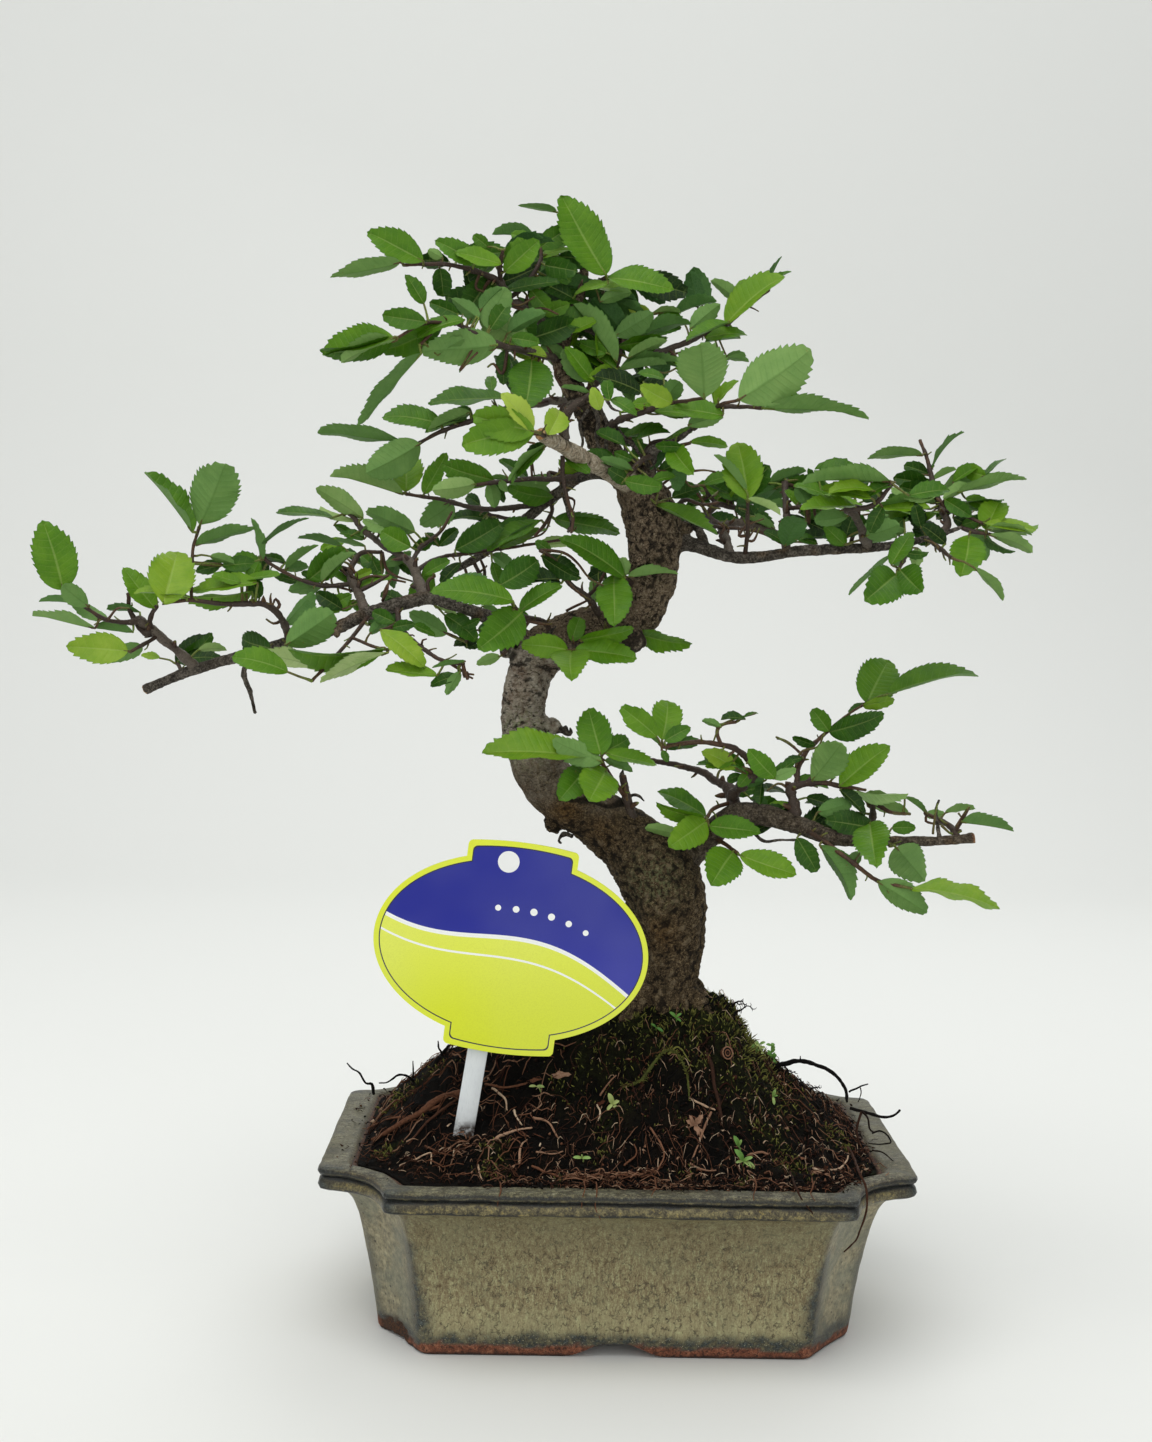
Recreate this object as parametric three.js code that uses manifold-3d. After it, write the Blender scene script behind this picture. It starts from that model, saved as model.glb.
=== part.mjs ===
// Zelkova bonsai in a glazed tray pot.
// Units are millimetres, +Z is up, the pot's long side runs along X and its front faces -Y.
// The tree is one grown frame of trunk and branches. Every leafy shoot on it is a piece of
// its own. Soil, pot, drainage meshes and the plant label on its stake are separate pieces.
import * as THREE from 'three';
import { mergeVertices } from 'three/addons/utils/BufferGeometryUtils.js';
import Module from 'manifold-3d';

const wasm = await Module();
wasm.setup();

// ---------------------------------------------------------------- driving dimensions
const SHIFT = [30.135, 0, 0];   // moves the pot-centred model so that the box centre is x = y = 0
const GAP = 0.35;             // clearance kept between neighbouring pieces
const POT_H = 61.7;           // rim height above the ground
const RIM_W = 100;            // half the rim's width
const RIM_D = 78.96;          // half the rim's depth
const FLOOR_Z = 9;            // inner floor of the pot
const DRAIN_X = 38;           // drainage holes either side of the centre
const DRAIN_R = 6;
const MOUND_TOP = 111.5;      // soil height at the trunk
const SOIL_EDGE = 60.9;       // soil height at the rim
const LEAF_T = 0.6;           // leaf blade thickness
const CARD_T = 1.0;           // label card thickness
const CARD_A = 46.0;          // label oval half width
const CARD_B = 31.4;          // label oval half height

// centre lines of the woody frame: x, y, z, radius (mm)
const WOOD = {
  trunk: [[19.85,1,92.26,14.12],[19.65,1,101.29,13.06],[19.1,0,107.26,10.94],[18.99,0,112.29,9.35],[19.23,0,117.69,9.71],[19.45,0,124.16,10.59],[18.89,0,133.13,12.18],[17.2,-1,142.92,13.94],[14.1,-2,151.94,14.47],[8.97,-2,159.69,13.41],[1.74,-2,166.67,11.83],[-5.12,-3,171.99,10.59],[-12.64,-3,176.81,9.88],[-21.58,-4,182.76,9.71],[-28.41,-4,190.41,9.35],[-32.81,-3,199.08,8.65],[-34.79,-1,209.54,7.87],[-34.26,0,218.34,8.12],[-31.61,2,227.19,8.37],[-26.07,4,233.64,8.82],[-17.24,6,237.35,9.18],[-7.61,8,239.3,9.35],[0.54,8,242.67,8.82],[6.81,7,248.49,7.77],[9.73,5,257.04,8.47],[10.5,3,266.19,9.18],[9.89,2,275.65,9.88],[6.88,2,284.38,9],[1.79,3,293.14,6.88],[-5.4,4,300.81,5.6],[-10.51,4,308.78,4.9],[-14.2,4,316.77,4.4],[-18.92,4,323.68,4],[-22.93,5,330.73,3.6],[-24.49,6,338.54,3.2],[-22.16,6,346.3,2.8],[-18.79,5,353.89,2.3],[-16.84,4,361.43,1.9],[-16.64,3,368.9,1.6],[-18.54,2,375.25,1.3],[-21.79,2,380.37,1.1],[-25.38,1,384.92,0.8]],
  BB_a: [[-22.08,28,290.92,1],[-20.51,24,284.14,0.9],[-18.95,22,278.25,0.7],[-20.36,20,275.23,0.5]],
  R_a: [[27.83,-1,269.2,1.7],[26.61,3,274.62,1.5],[22.95,8,279.76,1.3],[18.83,12,284.18,1],[21.04,14,287.93,0.7]],
  left_main: [[-33.9,6,233.11,5.4],[-43.87,1,241.46,3.8],[-52.55,-4,245.49,2.5],[-61.12,-8,248.08,2.5],[-67.98,-10,250,3],[-78.18,-12,247.7,2.9],[-88.31,-14,244.39,2.9],[-100.18,-15,238.99,2.8],[-115.73,-14,233.86,2.7],[-133.24,-12,228.67,2.5],[-147.39,-10,224.2,2.4],[-157.46,-8,220.48,2.3],[-167.6,-6,216.03,2.2]],
  back_left: [[1.92,6,292.66,5],[-7.52,14,295.93,3.4],[-16.38,22,295.31,3.2],[-22.81,28,290.91,3.2],[-28.99,34,286.43,2.9],[-36.34,38,280.24,2.7],[-47.46,42,270.92,2.4],[-56.8,44,264.46,2.2],[-65.48,46,260.23,2]],
  front_stub: [[1.69,0,292.21,5.2],[-5.74,-12,293.9,4.1],[-13.58,-22,297,3.8],[-20.51,-32,299.99,3.4],[-26.55,-42,302.22,2.9],[-30.45,-50,303.3,2.3]],
  right_main: [[12.27,6,273.78,5.5],[22.72,2,270.98,3.4],[29.52,-2,268.84,3.1],[35.62,-5,266.75,3],[41.64,-8,266.07,2.9],[51.49,-10,267.23,2.6],[59.89,-12,268.7,2.7],[71.71,-14,269.54,2.6],[83.64,-15,270.08,2.3],[93.78,-16,271.62,2],[102.35,-16,273.5,1.6],[109.4,-15,275.75,1.4],[115.42,-14,277.98,1]],
  low_right: [[18.88,2,155.78,9],[26.33,-1,163.44,6.4],[33.03,-4,170.3,5.4],[41.78,-7,176.44,4.9],[52.11,-9,176.12,4.4],[62.46,-11,173.01,3.8],[74.51,-13,169.24,2.9],[86.58,-14,168.52,2.3],[96.86,-15,168.82,1.9],[108.84,-16,169.16,1.8],[122.5,-17,170.56,1.9]],
  upper_right: [[5.49,4,287.65,5],[7.64,-6,296.03,3.4],[7.91,-12,301.73,3],[11.77,-16,303.83,2],[16.95,-20,305.92,1.5],[23.02,-24,310.7,1.2]],
  x_stub1: [[-98.47,-15,239.71,1.6],[-99.33,-19,236.28,1.2]],
  x_stub2: [[-22.54,-4,177.79,2],[-19.23,-9,169.2,1],[-17.47,-12,167.47,0.8],[-20.29,-14,168.34,0.7],[-21.3,-14,166.58,0.5]],
  x_low: [[42.51,-7,175.04,1],[49.17,-12,167.97,0.6],[55.22,-14,168.31,0.5],[62.31,-13,168.32,0.4]],
  x_h: [[110.58,-16,169.19,0.8],[109.31,-14,179.07,0.6],[110.23,-14,183.28,0.4]],
  x_g: [[-131.14,-12,225.94,0.9],[-131.78,-12,221.77,0.9],[-129.81,-11,216.23,0.8],[-128.16,-10,208.91,0.6]],
};
// leafy shoots. stems: x, y, z, radius. leaves: where the stalk leaves the stem (3),
// leaf base (3), direction base to tip (3), upper-side normal (3), length, width, index of the stem
const SHOOTS = {
  shoot_left_tip: {
    stems: [[[-148.96,-9,224.15,2.1],[-153.36,-11.53,228.62,2],[-158.73,-14.13,233.39,1.9],[-163.37,-16.68,237.78,1.8],[-167.31,-19.12,241.12,1.3]],
      [[-166.08,-18.36,240.08,1.2],[-172.99,-22.49,239.64,0.8],[-178.26,-25.98,241.22,0.7],[-183.05,-28.49,244.82,0.6],[-187.79,-31,248.38,0.5]],
      [[-162.66,-16.28,237.1,0.9],[-162.26,-21.96,241.21,0.8],[-159.02,-26.24,245.31,0.7]],
      [[-160.75,-15.24,235.29,0.8],[-164.97,-21.7,231.97,0.7],[-168.52,-23.95,229.55,0.5]]],
    leaves: [
      [-187.79,-31,248.38,-188.71,-33.9,249.99,-0.268,-0.1,0.958,0.257,-0.966,-0.029,24,14.34,1],
      [-182.24,-28.06,244.21,-181.27,-30.24,244.84,-0.553,-0.623,0.553,-0.595,0.76,0.262,12.2,7.38,1],
      [-184.41,-29.21,245.84,-184.5,-28.09,246.14,-0.995,-0.091,0.029,-0.005,0.359,0.934,13.49,6.91,1],
      [-176.28,-24.67,240.63,-176.73,-22.47,240.93,-0.896,-0.172,0.41,-0.411,0.672,-0.616,12.65,6.54,1],
      [-178.26,-25.98,241.22,-180.61,-23.16,237.46,-0.974,0.105,0.203,0.226,0.298,0.928,22.96,11.16,1],
      [-168.62,-19.88,239.92,-168.51,-19.7,236.32,-0.994,0,0.112,0.085,0.652,0.754,13.04,6.55,1],
      [-166.3,-18.49,240.07,-166.92,-16.32,243.19,-0.976,0.197,0.095,0.182,0.489,0.853,12.17,5.7,1],
      [-168.52,-23.95,229.55,-168.57,-26.73,229.93,-0.991,-0.117,0.065,0.131,-0.949,0.287,20.47,10.51,3],
      [-165.1,-21.78,231.88,-165.53,-19.13,231.59,-0.898,0.068,-0.436,-0.182,0.842,0.508,13.12,6.43,3],
      [-159.66,-25.4,244.5,-159.69,-26.21,244.62,-0.625,0,0.781,0.413,-0.849,0.33,17.42,8.79,2],
      [-159.02,-26.24,245.31,-159.11,-24.26,246.68,-0.944,0.242,0.225,-0.091,-0.844,0.528,9.9,4.56,2],
      [-151.44,-10.43,226.67,-148.41,-8.57,230.41,0.97,0.241,0.015,-0.18,0.679,0.712,9.94,5.04,0],
    ],
  },
  shoot_left_outer: {
    stems: [[[-115.73,-14,233.86,1.5],[-116.98,-22.6,240.72,1.4],[-119.25,-25.9,244.39,1.3],[-123.16,-29.13,246.65,1.1],[-133.2,-33.19,246.41,0.9],[-140.79,-37.27,246.88,0.8],[-145.53,-38.51,247.43,0.7],[-152.63,-42.49,246.26,0.5]],
      [[-144.91,-38.35,247.36,0.6],[-146.3,-33.1,254.16,0.6],[-146.59,-30.17,260.92,0.6],[-146.18,-29.06,265.99,0.5],[-144.57,-29,271.71,0.5]]],
    leaves: [
      [-152.63,-42.49,246.26,-152.95,-45.68,245.89,0.076,0.626,0.776,0.313,-0.754,0.578,23.53,15.07,0],
      [-126.3,-30.4,246.57,-126.5,-29.51,250.61,-0.994,-0.043,-0.101,0.11,-0.387,-0.915,24.74,12.48,0],
      [-144.57,-29,271.71,-143.78,-31.41,272.61,0.398,-0.622,0.674,0.098,0.76,0.643,28.23,16.06,1],
      [-145.07,-29.02,269.93,-146.39,-29.94,270.29,-0.635,0,0.772,0.741,-0.28,0.61,25.5,12.82,1],
      [-146.13,-29.06,266.17,-145.69,-28.09,266.04,0.955,0,0.297,-0.281,0.316,0.906,21.73,10.86,1],
      [-146.56,-30.54,260.07,-137.13,-26.81,259.87,-0.928,0.242,-0.283,0.036,0.814,0.579,9.9,4.59,1],
      [-129.12,-31.54,246.5,-129.23,-31.48,254.53,0.984,0,0.179,-0.158,-0.471,0.868,12.56,6.28,0],
      [-116.77,-21.19,239.59,-116.95,-18,239.7,0.625,0.173,0.761,0.297,0.849,-0.436,15.12,7.53,0],
    ],
  },
  shoot_left_outer_low: {
    stems: [[[-153.8,-9,221.97,0.8],[-157.42,2,225.14,0.7]]],
    leaves: [
      [-157.42,2,225.14,-164.5,5.39,227.07,-0.943,0.312,0.115,-0.175,-0.761,0.624,7.7,3.42,0],
      [-157.42,2,225.14,-158.56,4.11,225.79,0.784,0.04,0.619,0.48,-0.671,-0.566,16.42,8.23,0],
      [-157.42,2,225.14,-157.33,1.48,226.22,0.996,0,0.087,-0.056,-0.767,0.639,15.56,7.79,0],
    ],
  },
  shoot_left_underside: {
    stems: [[[-125.65,-12,230.2,0.9],[-121.76,-24,231.13,0.7]]],
    leaves: [
      [-121.76,-24,231.13,-120.74,-26.28,231.85,-0.699,0.693,0.176,-0.694,-0.717,0.068,17.44,8.8,0],
    ],
  },
  shoot_left_mid: {
    stems: [[[-90.04,-14,245.39,1.9],[-93.83,-5.08,252.36,1.8],[-96.9,0.11,256.96,1.5],[-96.36,7.52,262.48,1.1],[-93.96,11.41,265.87,0.8],[-87.1,14.43,266.47,0.6]],
      [[-95.44,-2.35,254.77,0.9],[-105.04,-4.85,253.54,0.8],[-112.01,-5.02,255.14,0.7],[-117.92,-5.33,257.46,0.6],[-125.81,-4.2,262.21,0.6],[-127.3,-4,267.41,0.5]]],
    leaves: [
      [-125.95,-4.18,262.69,-136.08,-1.07,260.02,-0.932,0.21,0.296,0.136,-0.553,0.822,11.41,5.38,1],
      [-124.89,-4.33,261.65,-127.48,-2.16,258.05,-0.809,0.427,0.403,-0.304,-0.892,0.335,13.86,7.71,1],
      [-125.91,-4.18,262.56,-127.1,-4.87,262.16,-0.243,0,0.97,0.815,0.542,0.204,14.98,7.53,1],
      [-127.3,-4,267.41,-127.14,-4.97,267.38,0.845,0,0.534,-0.531,0.109,0.84,18.81,9.39,1],
      [-120.64,-4.94,259.09,-119.35,-3.02,261.68,-0.937,0.267,0.224,-0.001,-0.646,0.764,9,4.16,1],
      [-105.04,-4.85,253.54,-105.97,-4.93,245.15,0.874,0,0.486,0.031,-0.998,-0.057,11.9,6.29,1],
      [-100.81,-3.75,254.08,-100.09,-1.39,245.29,0.773,0.349,0.53,0.327,-0.935,0.138,6.88,3.52,1],
      [-111.11,-5,254.93,-111.11,-4,255.53,0.746,0,0.666,0.068,-0.995,-0.077,17.13,9.44,1],
      [-106.35,-4.88,253.84,-105.87,-6.69,254.88,0.731,-0.151,0.665,-0.528,0.493,0.692,15.87,7.77,1],
      [-119.34,-5.12,258.31,-119.11,-4.44,258.85,0.787,0,0.617,-0.591,0.284,0.755,14.49,7.23,1],
      [-95.57,8.8,263.6,-100.89,9.22,268.14,-0.984,0,0.181,0.17,0.339,0.925,15.96,8.01,0],
      [-92.82,11.91,265.97,-93.21,14.17,268.49,-0.962,0.209,0.177,0.244,0.364,0.899,11.51,5.49,0],
      [-87.46,14.27,266.44,-87.15,16.07,258.99,-0.668,0.528,0.525,-0.386,-0.848,0.362,12.48,6.49,0],
      [-95.44,-2.35,254.77,-95.47,-0.14,256.98,0.861,0.341,0.376,0.338,-0.938,0.076,7.03,3.87,1],
      [-87.32,14.33,266.45,-87.42,18.53,261.94,0.91,-0.065,0.409,0.323,0.73,-0.602,11.9,5.91,0],
      [-96.85,-2.72,254.59,-96.73,-0.78,251.68,0.93,0.085,0.357,-0.269,-0.502,0.822,15.65,7.84,1],
    ],
  },
  shoot_left_inner: {
    stems: [[[-69.72,-10,250.66,2.4],[-72.83,-1.84,256.33,2.1],[-75.62,6.13,261.78,1.9],[-79.83,13.59,265.15,1.6],[-86.73,21.84,268.58,1.3],[-90.99,28,271.67,1.2],[-96.48,34.65,275.18,1.1],[-99.64,39.51,279.44,1],[-102.76,43.89,282.23,0.9]],
      [[-74.23,2.16,259.05,1],[-69.62,11.6,263.14,0.9],[-63.98,18.67,265.65,0.8],[-52.33,24.98,267.56,0.7],[-37.89,31.24,270.29,0.6],[-23.19,36,273,0.5]],
      [[-75.97,6.75,262.06,0.9],[-73.63,16.52,268.26,0.8],[-67.01,24.56,274.53,0.7],[-63.11,30.87,282.25,0.5]]],
    leaves: [
      [-96.65,34.91,275.4,-103.01,37.34,271.48,-0.905,0.228,-0.36,-0.274,-0.958,0.082,10.53,5,0],
      [-102.76,43.89,282.23,-108.3,43.47,280.23,-0.998,0,0.067,0.062,-0.393,0.918,21.37,10.71,0],
      [-98.8,38.22,278.31,-96.45,37.36,279.75,-0.853,0,0.522,0.361,0.723,0.59,20.57,10.35,0],
      [-98.97,38.48,278.53,-99.38,44.14,278.95,-0.905,0.298,0.303,-0.182,0.372,-0.91,16.02,7.35,0],
      [-72.06,18.43,269.75,-75.65,18.23,274.05,-0.92,0,0.391,0.248,0.773,0.584,19.33,9.7,2],
      [-73.63,16.52,268.26,-79.64,23,274.57,-0.964,0.133,0.23,-0.118,0.563,-0.818,16.49,8.07,2],
      [-74.06,14.71,267.11,-76.5,11.68,268.36,-0.801,0.438,0.407,-0.39,-0.899,0.198,14.21,8.95,2],
      [-73.94,15.22,267.43,-76.27,18.01,268.63,0.786,0.548,0.287,0.588,-0.806,-0.072,8.74,5.06,2],
      [-73.29,4.08,259.89,-71.94,5.04,257.92,0.859,0,0.511,-0.228,-0.895,0.383,11.45,5.72,1],
      [-69.48,21.57,272.2,-67.28,24.16,269.42,0.698,0.25,0.671,0.231,-0.966,0.119,9.59,5.11,2],
      [-60.95,20.31,266.15,-61.24,20.87,267.95,0.858,0,0.513,-0.013,-1,0.022,19.67,9.84,1],
      [-48.32,26.72,268.32,-48.78,26.26,270.96,0.894,0,0.448,-0.3,-0.743,0.598,18.65,9.33,1],
      [-45.01,28.16,268.95,-45.13,27.33,269.62,0.92,0,0.392,-0.326,-0.554,0.766,18.57,9.29,1],
      [-23.19,36,273,-19.06,39.62,272.13,-0.976,0.179,-0.123,0.02,0.639,0.769,13.37,6.57,1],
    ],
  },
  shoot_left_hanging: {
    stems: [[[-78.86,-12,247,1.2],[-77.74,-20.4,241.48,0.9],[-74.13,-26.37,236.81,0.8],[-68.03,-30.35,232.24,0.8],[-60.99,-34.52,228.42,0.7],[-54.8,-38,228.27,0.6]],
      [[-77.19,-21.29,240.78,0.6],[-80.77,-28.21,239.39,0.6],[-82.75,-32.18,238.69,0.5]]],
    leaves: [
      [-78.43,-23.67,240.3,-78.76,-24.44,241.46,-0.876,0.331,0.35,-0.294,-0.943,0.155,9.29,5.43,1],
      [-79.71,-26.17,239.8,-79.55,-26.68,239.41,0.982,0,0.19,0.002,-1,-0.013,7.9,4.06,1],
      [-82.75,-32.18,238.69,-82.75,-35.77,238.7,0.782,-0.122,-0.611,0.335,-0.744,0.578,19.62,9.72,1],
      [-61.05,-34.49,228.45,-63.37,-38.17,224.12,-0.983,-0.141,0.121,0.177,-0.509,0.843,17.06,8.57,0],
      [-56.27,-37.18,228.31,-56.47,-36.58,223.88,-0.935,0,-0.354,-0.211,-0.802,0.558,9.93,4.96,0],
      [-55.66,-37.52,228.29,-55.74,-38.16,225.26,-0.505,0,-0.863,-0.414,0.877,0.243,8.98,4.48,0],
      [-54.8,-38,228.27,-54.01,-40.88,229.01,-0.969,-0.156,-0.194,-0.181,-0.09,0.979,11.13,5.56,0],
    ],
  },
  shoot_left_front: {
    stems: [[[-88.3,-14,244.04,0.8],[-93.62,-27.35,235.09,0.7],[-99.25,-35.91,227.72,0.6],[-104.38,-42,221.46,0.5]],
      [[-93.14,-26.14,235.9,0.6],[-85.47,-34.47,233.3,0.6],[-79.64,-39.67,232.15,0.5]]],
    leaves: [
      [-104.38,-42,221.46,-111.92,-44.92,224.37,-0.961,-0.128,0.247,0.242,-0.823,0.514,18.75,9.53,0],
      [-101.72,-38.84,224.7,-102.94,-38.16,225.7,-0.981,0,0.194,0.151,0.626,0.765,20.34,10.21,0],
      [-80.84,-38.6,232.38,-80.36,-42.89,232.84,-0.999,0.006,-0.05,0.042,-0.451,-0.892,32,15.45,1],
      [-79.64,-39.67,232.15,-79.41,-42.19,231.52,-0.902,-0.098,-0.42,-0.427,0.354,0.832,24.4,12.28,1],
    ],
  },
  shoot_left_base_low: {
    stems: [[[-52.89,-4,245.13,0.9],[-53.64,-0.83,239.16,0.8],[-55.82,2,234.86,0.6]]],
    leaves: [
      [-55.82,2,234.86,-62.63,2.93,237.56,-0.875,0,0.485,-0.016,0.999,-0.029,15.51,7.79,0],
      [-53,-3.56,244.3,-63.28,-0.24,245.31,0.949,0.263,0.175,-0.302,0.597,0.743,9.14,4.46,0],
      [-54.65,0.49,237.15,-50.92,3.19,235.3,-0.958,0.238,-0.161,-0.285,-0.853,0.438,10.1,4.84,0],
      [-53.12,-3.03,243.3,-50.66,-6.55,243.07,-0.895,-0.041,-0.445,0.248,-0.874,-0.417,7.34,3.67,0],
    ],
  },
  shoot_left_knot: {
    stems: [[[-116.42,-14,233.51,0.8],[-114.24,-34,233.41,0.6]]],
    leaves: [
      [-114.24,-34,233.41,-113.84,-36.8,233.12,0.78,-0.337,0.527,0.236,0.939,0.251,21.35,11.99,0],
    ],
  },
  shoot_trunk_bend_left: {
    stems: [[[-26.15,-2,238.99,1.1],[-27.94,-7.9,242.46,1],[-35.1,-19.42,244.36,0.8],[-38.39,-28,247.63,0.6]],
      [[-32.73,-15.55,243.73,0.7],[-37.81,-13.76,236.05,0.6],[-42.53,-14.62,230.79,0.5]]],
    leaves: [
      [-38.39,-28,247.63,-38.69,-31.13,249.27,-0.991,-0.086,0.099,0.131,-0.686,0.715,27.99,13.8,0],
      [-42.53,-14.62,230.79,-43.23,-14.16,230.42,-0.943,0,-0.334,-0.163,0.873,0.46,8.74,4.37,1],
      [-38.39,-28,247.63,-43.25,-27.7,254.62,0.719,0.472,0.511,0.407,-0.881,0.242,17.52,10.47,0],
      [-36.58,-23.28,245.83,-36.44,-22.84,246.02,0.841,0,0.542,-0.365,-0.74,0.566,16.81,8.41,0],
      [-36.09,-22,245.34,-35.73,-24.16,245.68,-0.602,-0.59,-0.538,0.453,-0.807,0.378,23.52,13.59,0],
    ],
  },
  shoot_back_left_upper: {
    stems: [[[-16.38,22,295.31,1.2],[-27.24,19.13,294.14,1.1],[-36.25,17.57,293.84,0.9],[-45.25,17.82,292.6,0.8],[-53.89,18,291.37,0.6]]],
    leaves: [
      [-47.29,17.86,292.31,-47.48,19.46,293.4,-0.958,0.091,0.273,-0.167,-0.949,-0.269,20.21,10.01,0],
      [-53.89,18,291.37,-54.15,15.48,291.53,-0.974,-0.153,-0.168,-0.164,0.985,0.053,15.66,7.91,0],
      [-41.61,17.72,293.11,-41.75,21.5,293.67,-0.946,0.309,0.098,0.251,0.507,0.824,7.77,3.65,0],
      [-48.75,17.89,292.1,-48.95,20.45,293.09,0.201,-0.087,-0.976,0.014,0.996,-0.086,9.99,5.79,0],
      [-45.16,17.82,292.62,-45.15,14.2,293.05,0.483,0.394,-0.782,-0.238,0.919,0.315,5.23,3.23,0],
      [-21.83,20.56,294.72,-21.8,22.95,294.55,-0.982,0.184,0.05,-0.03,-0.408,0.913,13.01,6.37,0],
      [-16.38,22,295.31,-12.68,25.6,295.3,-0.881,0.034,0.473,-0.357,-0.704,-0.614,13.4,6.7,0],
    ],
  },
  shoot_back_left_long: {
    stems: [[[-28.99,34,286.43,1.2],[-41.92,35.13,284.4,1.1],[-54.91,36.15,284.2,1],[-66.09,36.58,286.96,0.8],[-73.54,36.87,287.94,0.7],[-80.68,38,288.98,0.6]]],
    leaves: [
      [-63.03,36.46,286.2,-63.16,37.38,285.96,-0.727,0.519,-0.45,0.388,0.851,0.355,17.59,10.39,0],
      [-80.68,38,288.98,-80.68,37.84,289.71,-0.113,0.639,0.761,0.001,-0.765,0.644,22.02,12.62,0],
      [-80.68,38,288.98,-81.75,37.43,288.92,-0.966,0,0.26,0.249,0.284,0.926,27.73,13.69,0],
      [-74.08,36.96,288.01,-73.88,36.16,288.99,0.476,0,0.879,-0.499,-0.823,0.271,17.37,8.71,0],
      [-53.05,36,284.23,-53.21,39.35,285.54,-0.555,0.746,0.368,-0.647,-0.665,0.372,10.15,4.84,0],
    ],
  },
  shoot_back_left_low: {
    stems: [[[-27.17,32,288.17,0.9],[-26.32,26,282.69,0.8],[-28.75,20,277.95,0.7],[-32.25,16,273.36,0.5]]],
    leaves: [
      [-27.17,32,288.17,-26.05,26.51,288.19,-0.96,-0.219,0.173,0.05,-0.745,-0.665,17.47,8.61,0],
      [-27.2,23.82,280.97,-25.54,26.2,280.17,0.974,-0.157,-0.165,0.012,-0.687,0.726,24.75,12.27,0],
    ],
  },
  shoot_back_left_end: {
    stems: [[[-36.34,38,280.24,0.9],[-43.85,40.29,280.96,0.8],[-50.27,42,282.42,0.6]]],
    leaves: [
      [-50.27,42,282.42,-52.19,43.95,281,-0.981,0.173,-0.091,-0.177,-0.594,0.785,13.88,6.77,0],
      [-46.54,41.01,281.57,-47.02,46.5,280.5,-0.92,0.19,0.343,-0.357,-0.766,-0.534,12.88,6.26,0],
    ],
  },
  shoot_front_upright: {
    stems: [[[-21.19,-33,300.55,1.7],[-22.99,-39.47,305.82,1.5],[-22.43,-41.8,310.49,1.3],[-19.22,-42.69,314.04,1.1],[-14.36,-43.77,316.62,0.9],[-11.07,-44,315.36,0.7]]],
    leaves: [
      [-11.07,-44,315.36,-7.8,-44.36,315.38,-0.127,0.476,0.87,-0.121,-0.878,0.463,8,4.58,0],
      [-14.36,-43.77,316.62,-14.37,-43.06,317.68,-0.975,0,0.221,0.21,0.302,0.93,9.46,4.73,0],
      [-11.07,-44,315.36,-11.07,-47.1,311.76,-0.353,-0.071,0.933,-0.031,-0.996,-0.087,7.84,4.89,0],
    ],
  },
  shoot_front_tip: {
    stems: [[[-28.51,-46,302.76,1],[-30.37,-58,302.81,0.7]]],
    leaves: [
      [-30.37,-58,302.81,-31.96,-60.03,303.21,-0.971,-0.101,-0.216,0.12,-0.99,-0.078,23.77,12.13,0],
      [-30.37,-58,302.81,-32.9,-61.38,303.37,-0.645,-0.16,0.747,0.466,-0.858,0.219,15,7.58,0],
      [-28.51,-46,302.76,-27.83,-53.12,302.72,0.258,0.703,0.663,0.433,-0.697,0.571,14.43,8.4,0],
    ],
  },
  shoot_front_side: {
    stems: [[[-26.55,-42,302.22,0.9],[-27.87,-38.01,301.59,0.7],[-28.87,-34,300.96,0.5]]],
    leaves: [
      [-28.7,-34.67,301.07,-28.87,-35.52,301.15,-0.715,0,-0.699,-0.678,0.244,0.693,16.9,8.46,0],
      [-28.2,-36.67,301.38,-28.57,-32.5,302.11,-0.815,0.456,-0.358,-0.401,-0.889,-0.22,7.79,3.67,0],
    ],
  },
  shoot_right_inner_upper: {
    stems: [[[36.31,-5,267.11,2],[35.56,3.74,273.42,1.9],[34.6,10.02,277.61,1.7],[40.64,13.72,279.36,1.7],[47.65,15.12,278.49,1.7],[54.53,14.72,275.74,1.6],[58.09,13.61,272.17,1]],
      [[34.67,10.06,277.63,1.3],[30.38,21.14,282.08,1.3],[34.53,28.22,286.59,1.2],[41.04,30.75,285.78,1],[47.42,32,286.72,0.7]],
      [[34.53,28.22,286.59,0.8],[30.3,22.39,290.12,0.7],[28.36,16.94,292.58,0.5]]],
    leaves: [
      [28.36,16.94,292.58,28.07,17.94,293.01,0.953,0.051,0.299,-0.149,-0.78,0.608,11.74,5.83,2],
      [31.79,24.45,288.88,34.4,28.05,291.33,0.964,0.255,-0.08,0.246,-0.964,-0.103,9.41,4.77,2],
      [33.42,26.69,287.52,35.94,32.6,289.84,0.967,0.22,0.132,0.139,-0.882,0.45,11.32,5.38,2],
      [47.42,32,286.72,48.92,31.83,284.9,0.461,-0.579,0.673,0.375,0.814,0.444,15.57,9.96,1],
      [30.3,22.39,290.12,26.94,25.44,288.08,-0.684,0.562,0.464,-0.527,-0.822,0.218,10.81,5.85,2],
      [30.55,20.72,281.92,29.53,23.69,280.4,0.984,0.177,0.029,0.115,-0.748,0.654,13.59,6.56,1],
      [51.68,14.89,276.88,52.13,19.26,276.99,-0.886,0.078,0.457,-0.454,-0.347,-0.821,11.52,5.76,0],
    ],
  },
  shoot_right_inner_back: {
    stems: [[[41.27,-8,266.75,0.9],[40.9,-19.94,275.17,0.8],[39.45,-32,283.89,0.6]]],
    leaves: [
      [39.45,-32,283.89,39.43,-32.08,284.55,-0.158,0.339,0.927,-0.251,-0.922,0.294,21.88,13.74,0],
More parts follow.
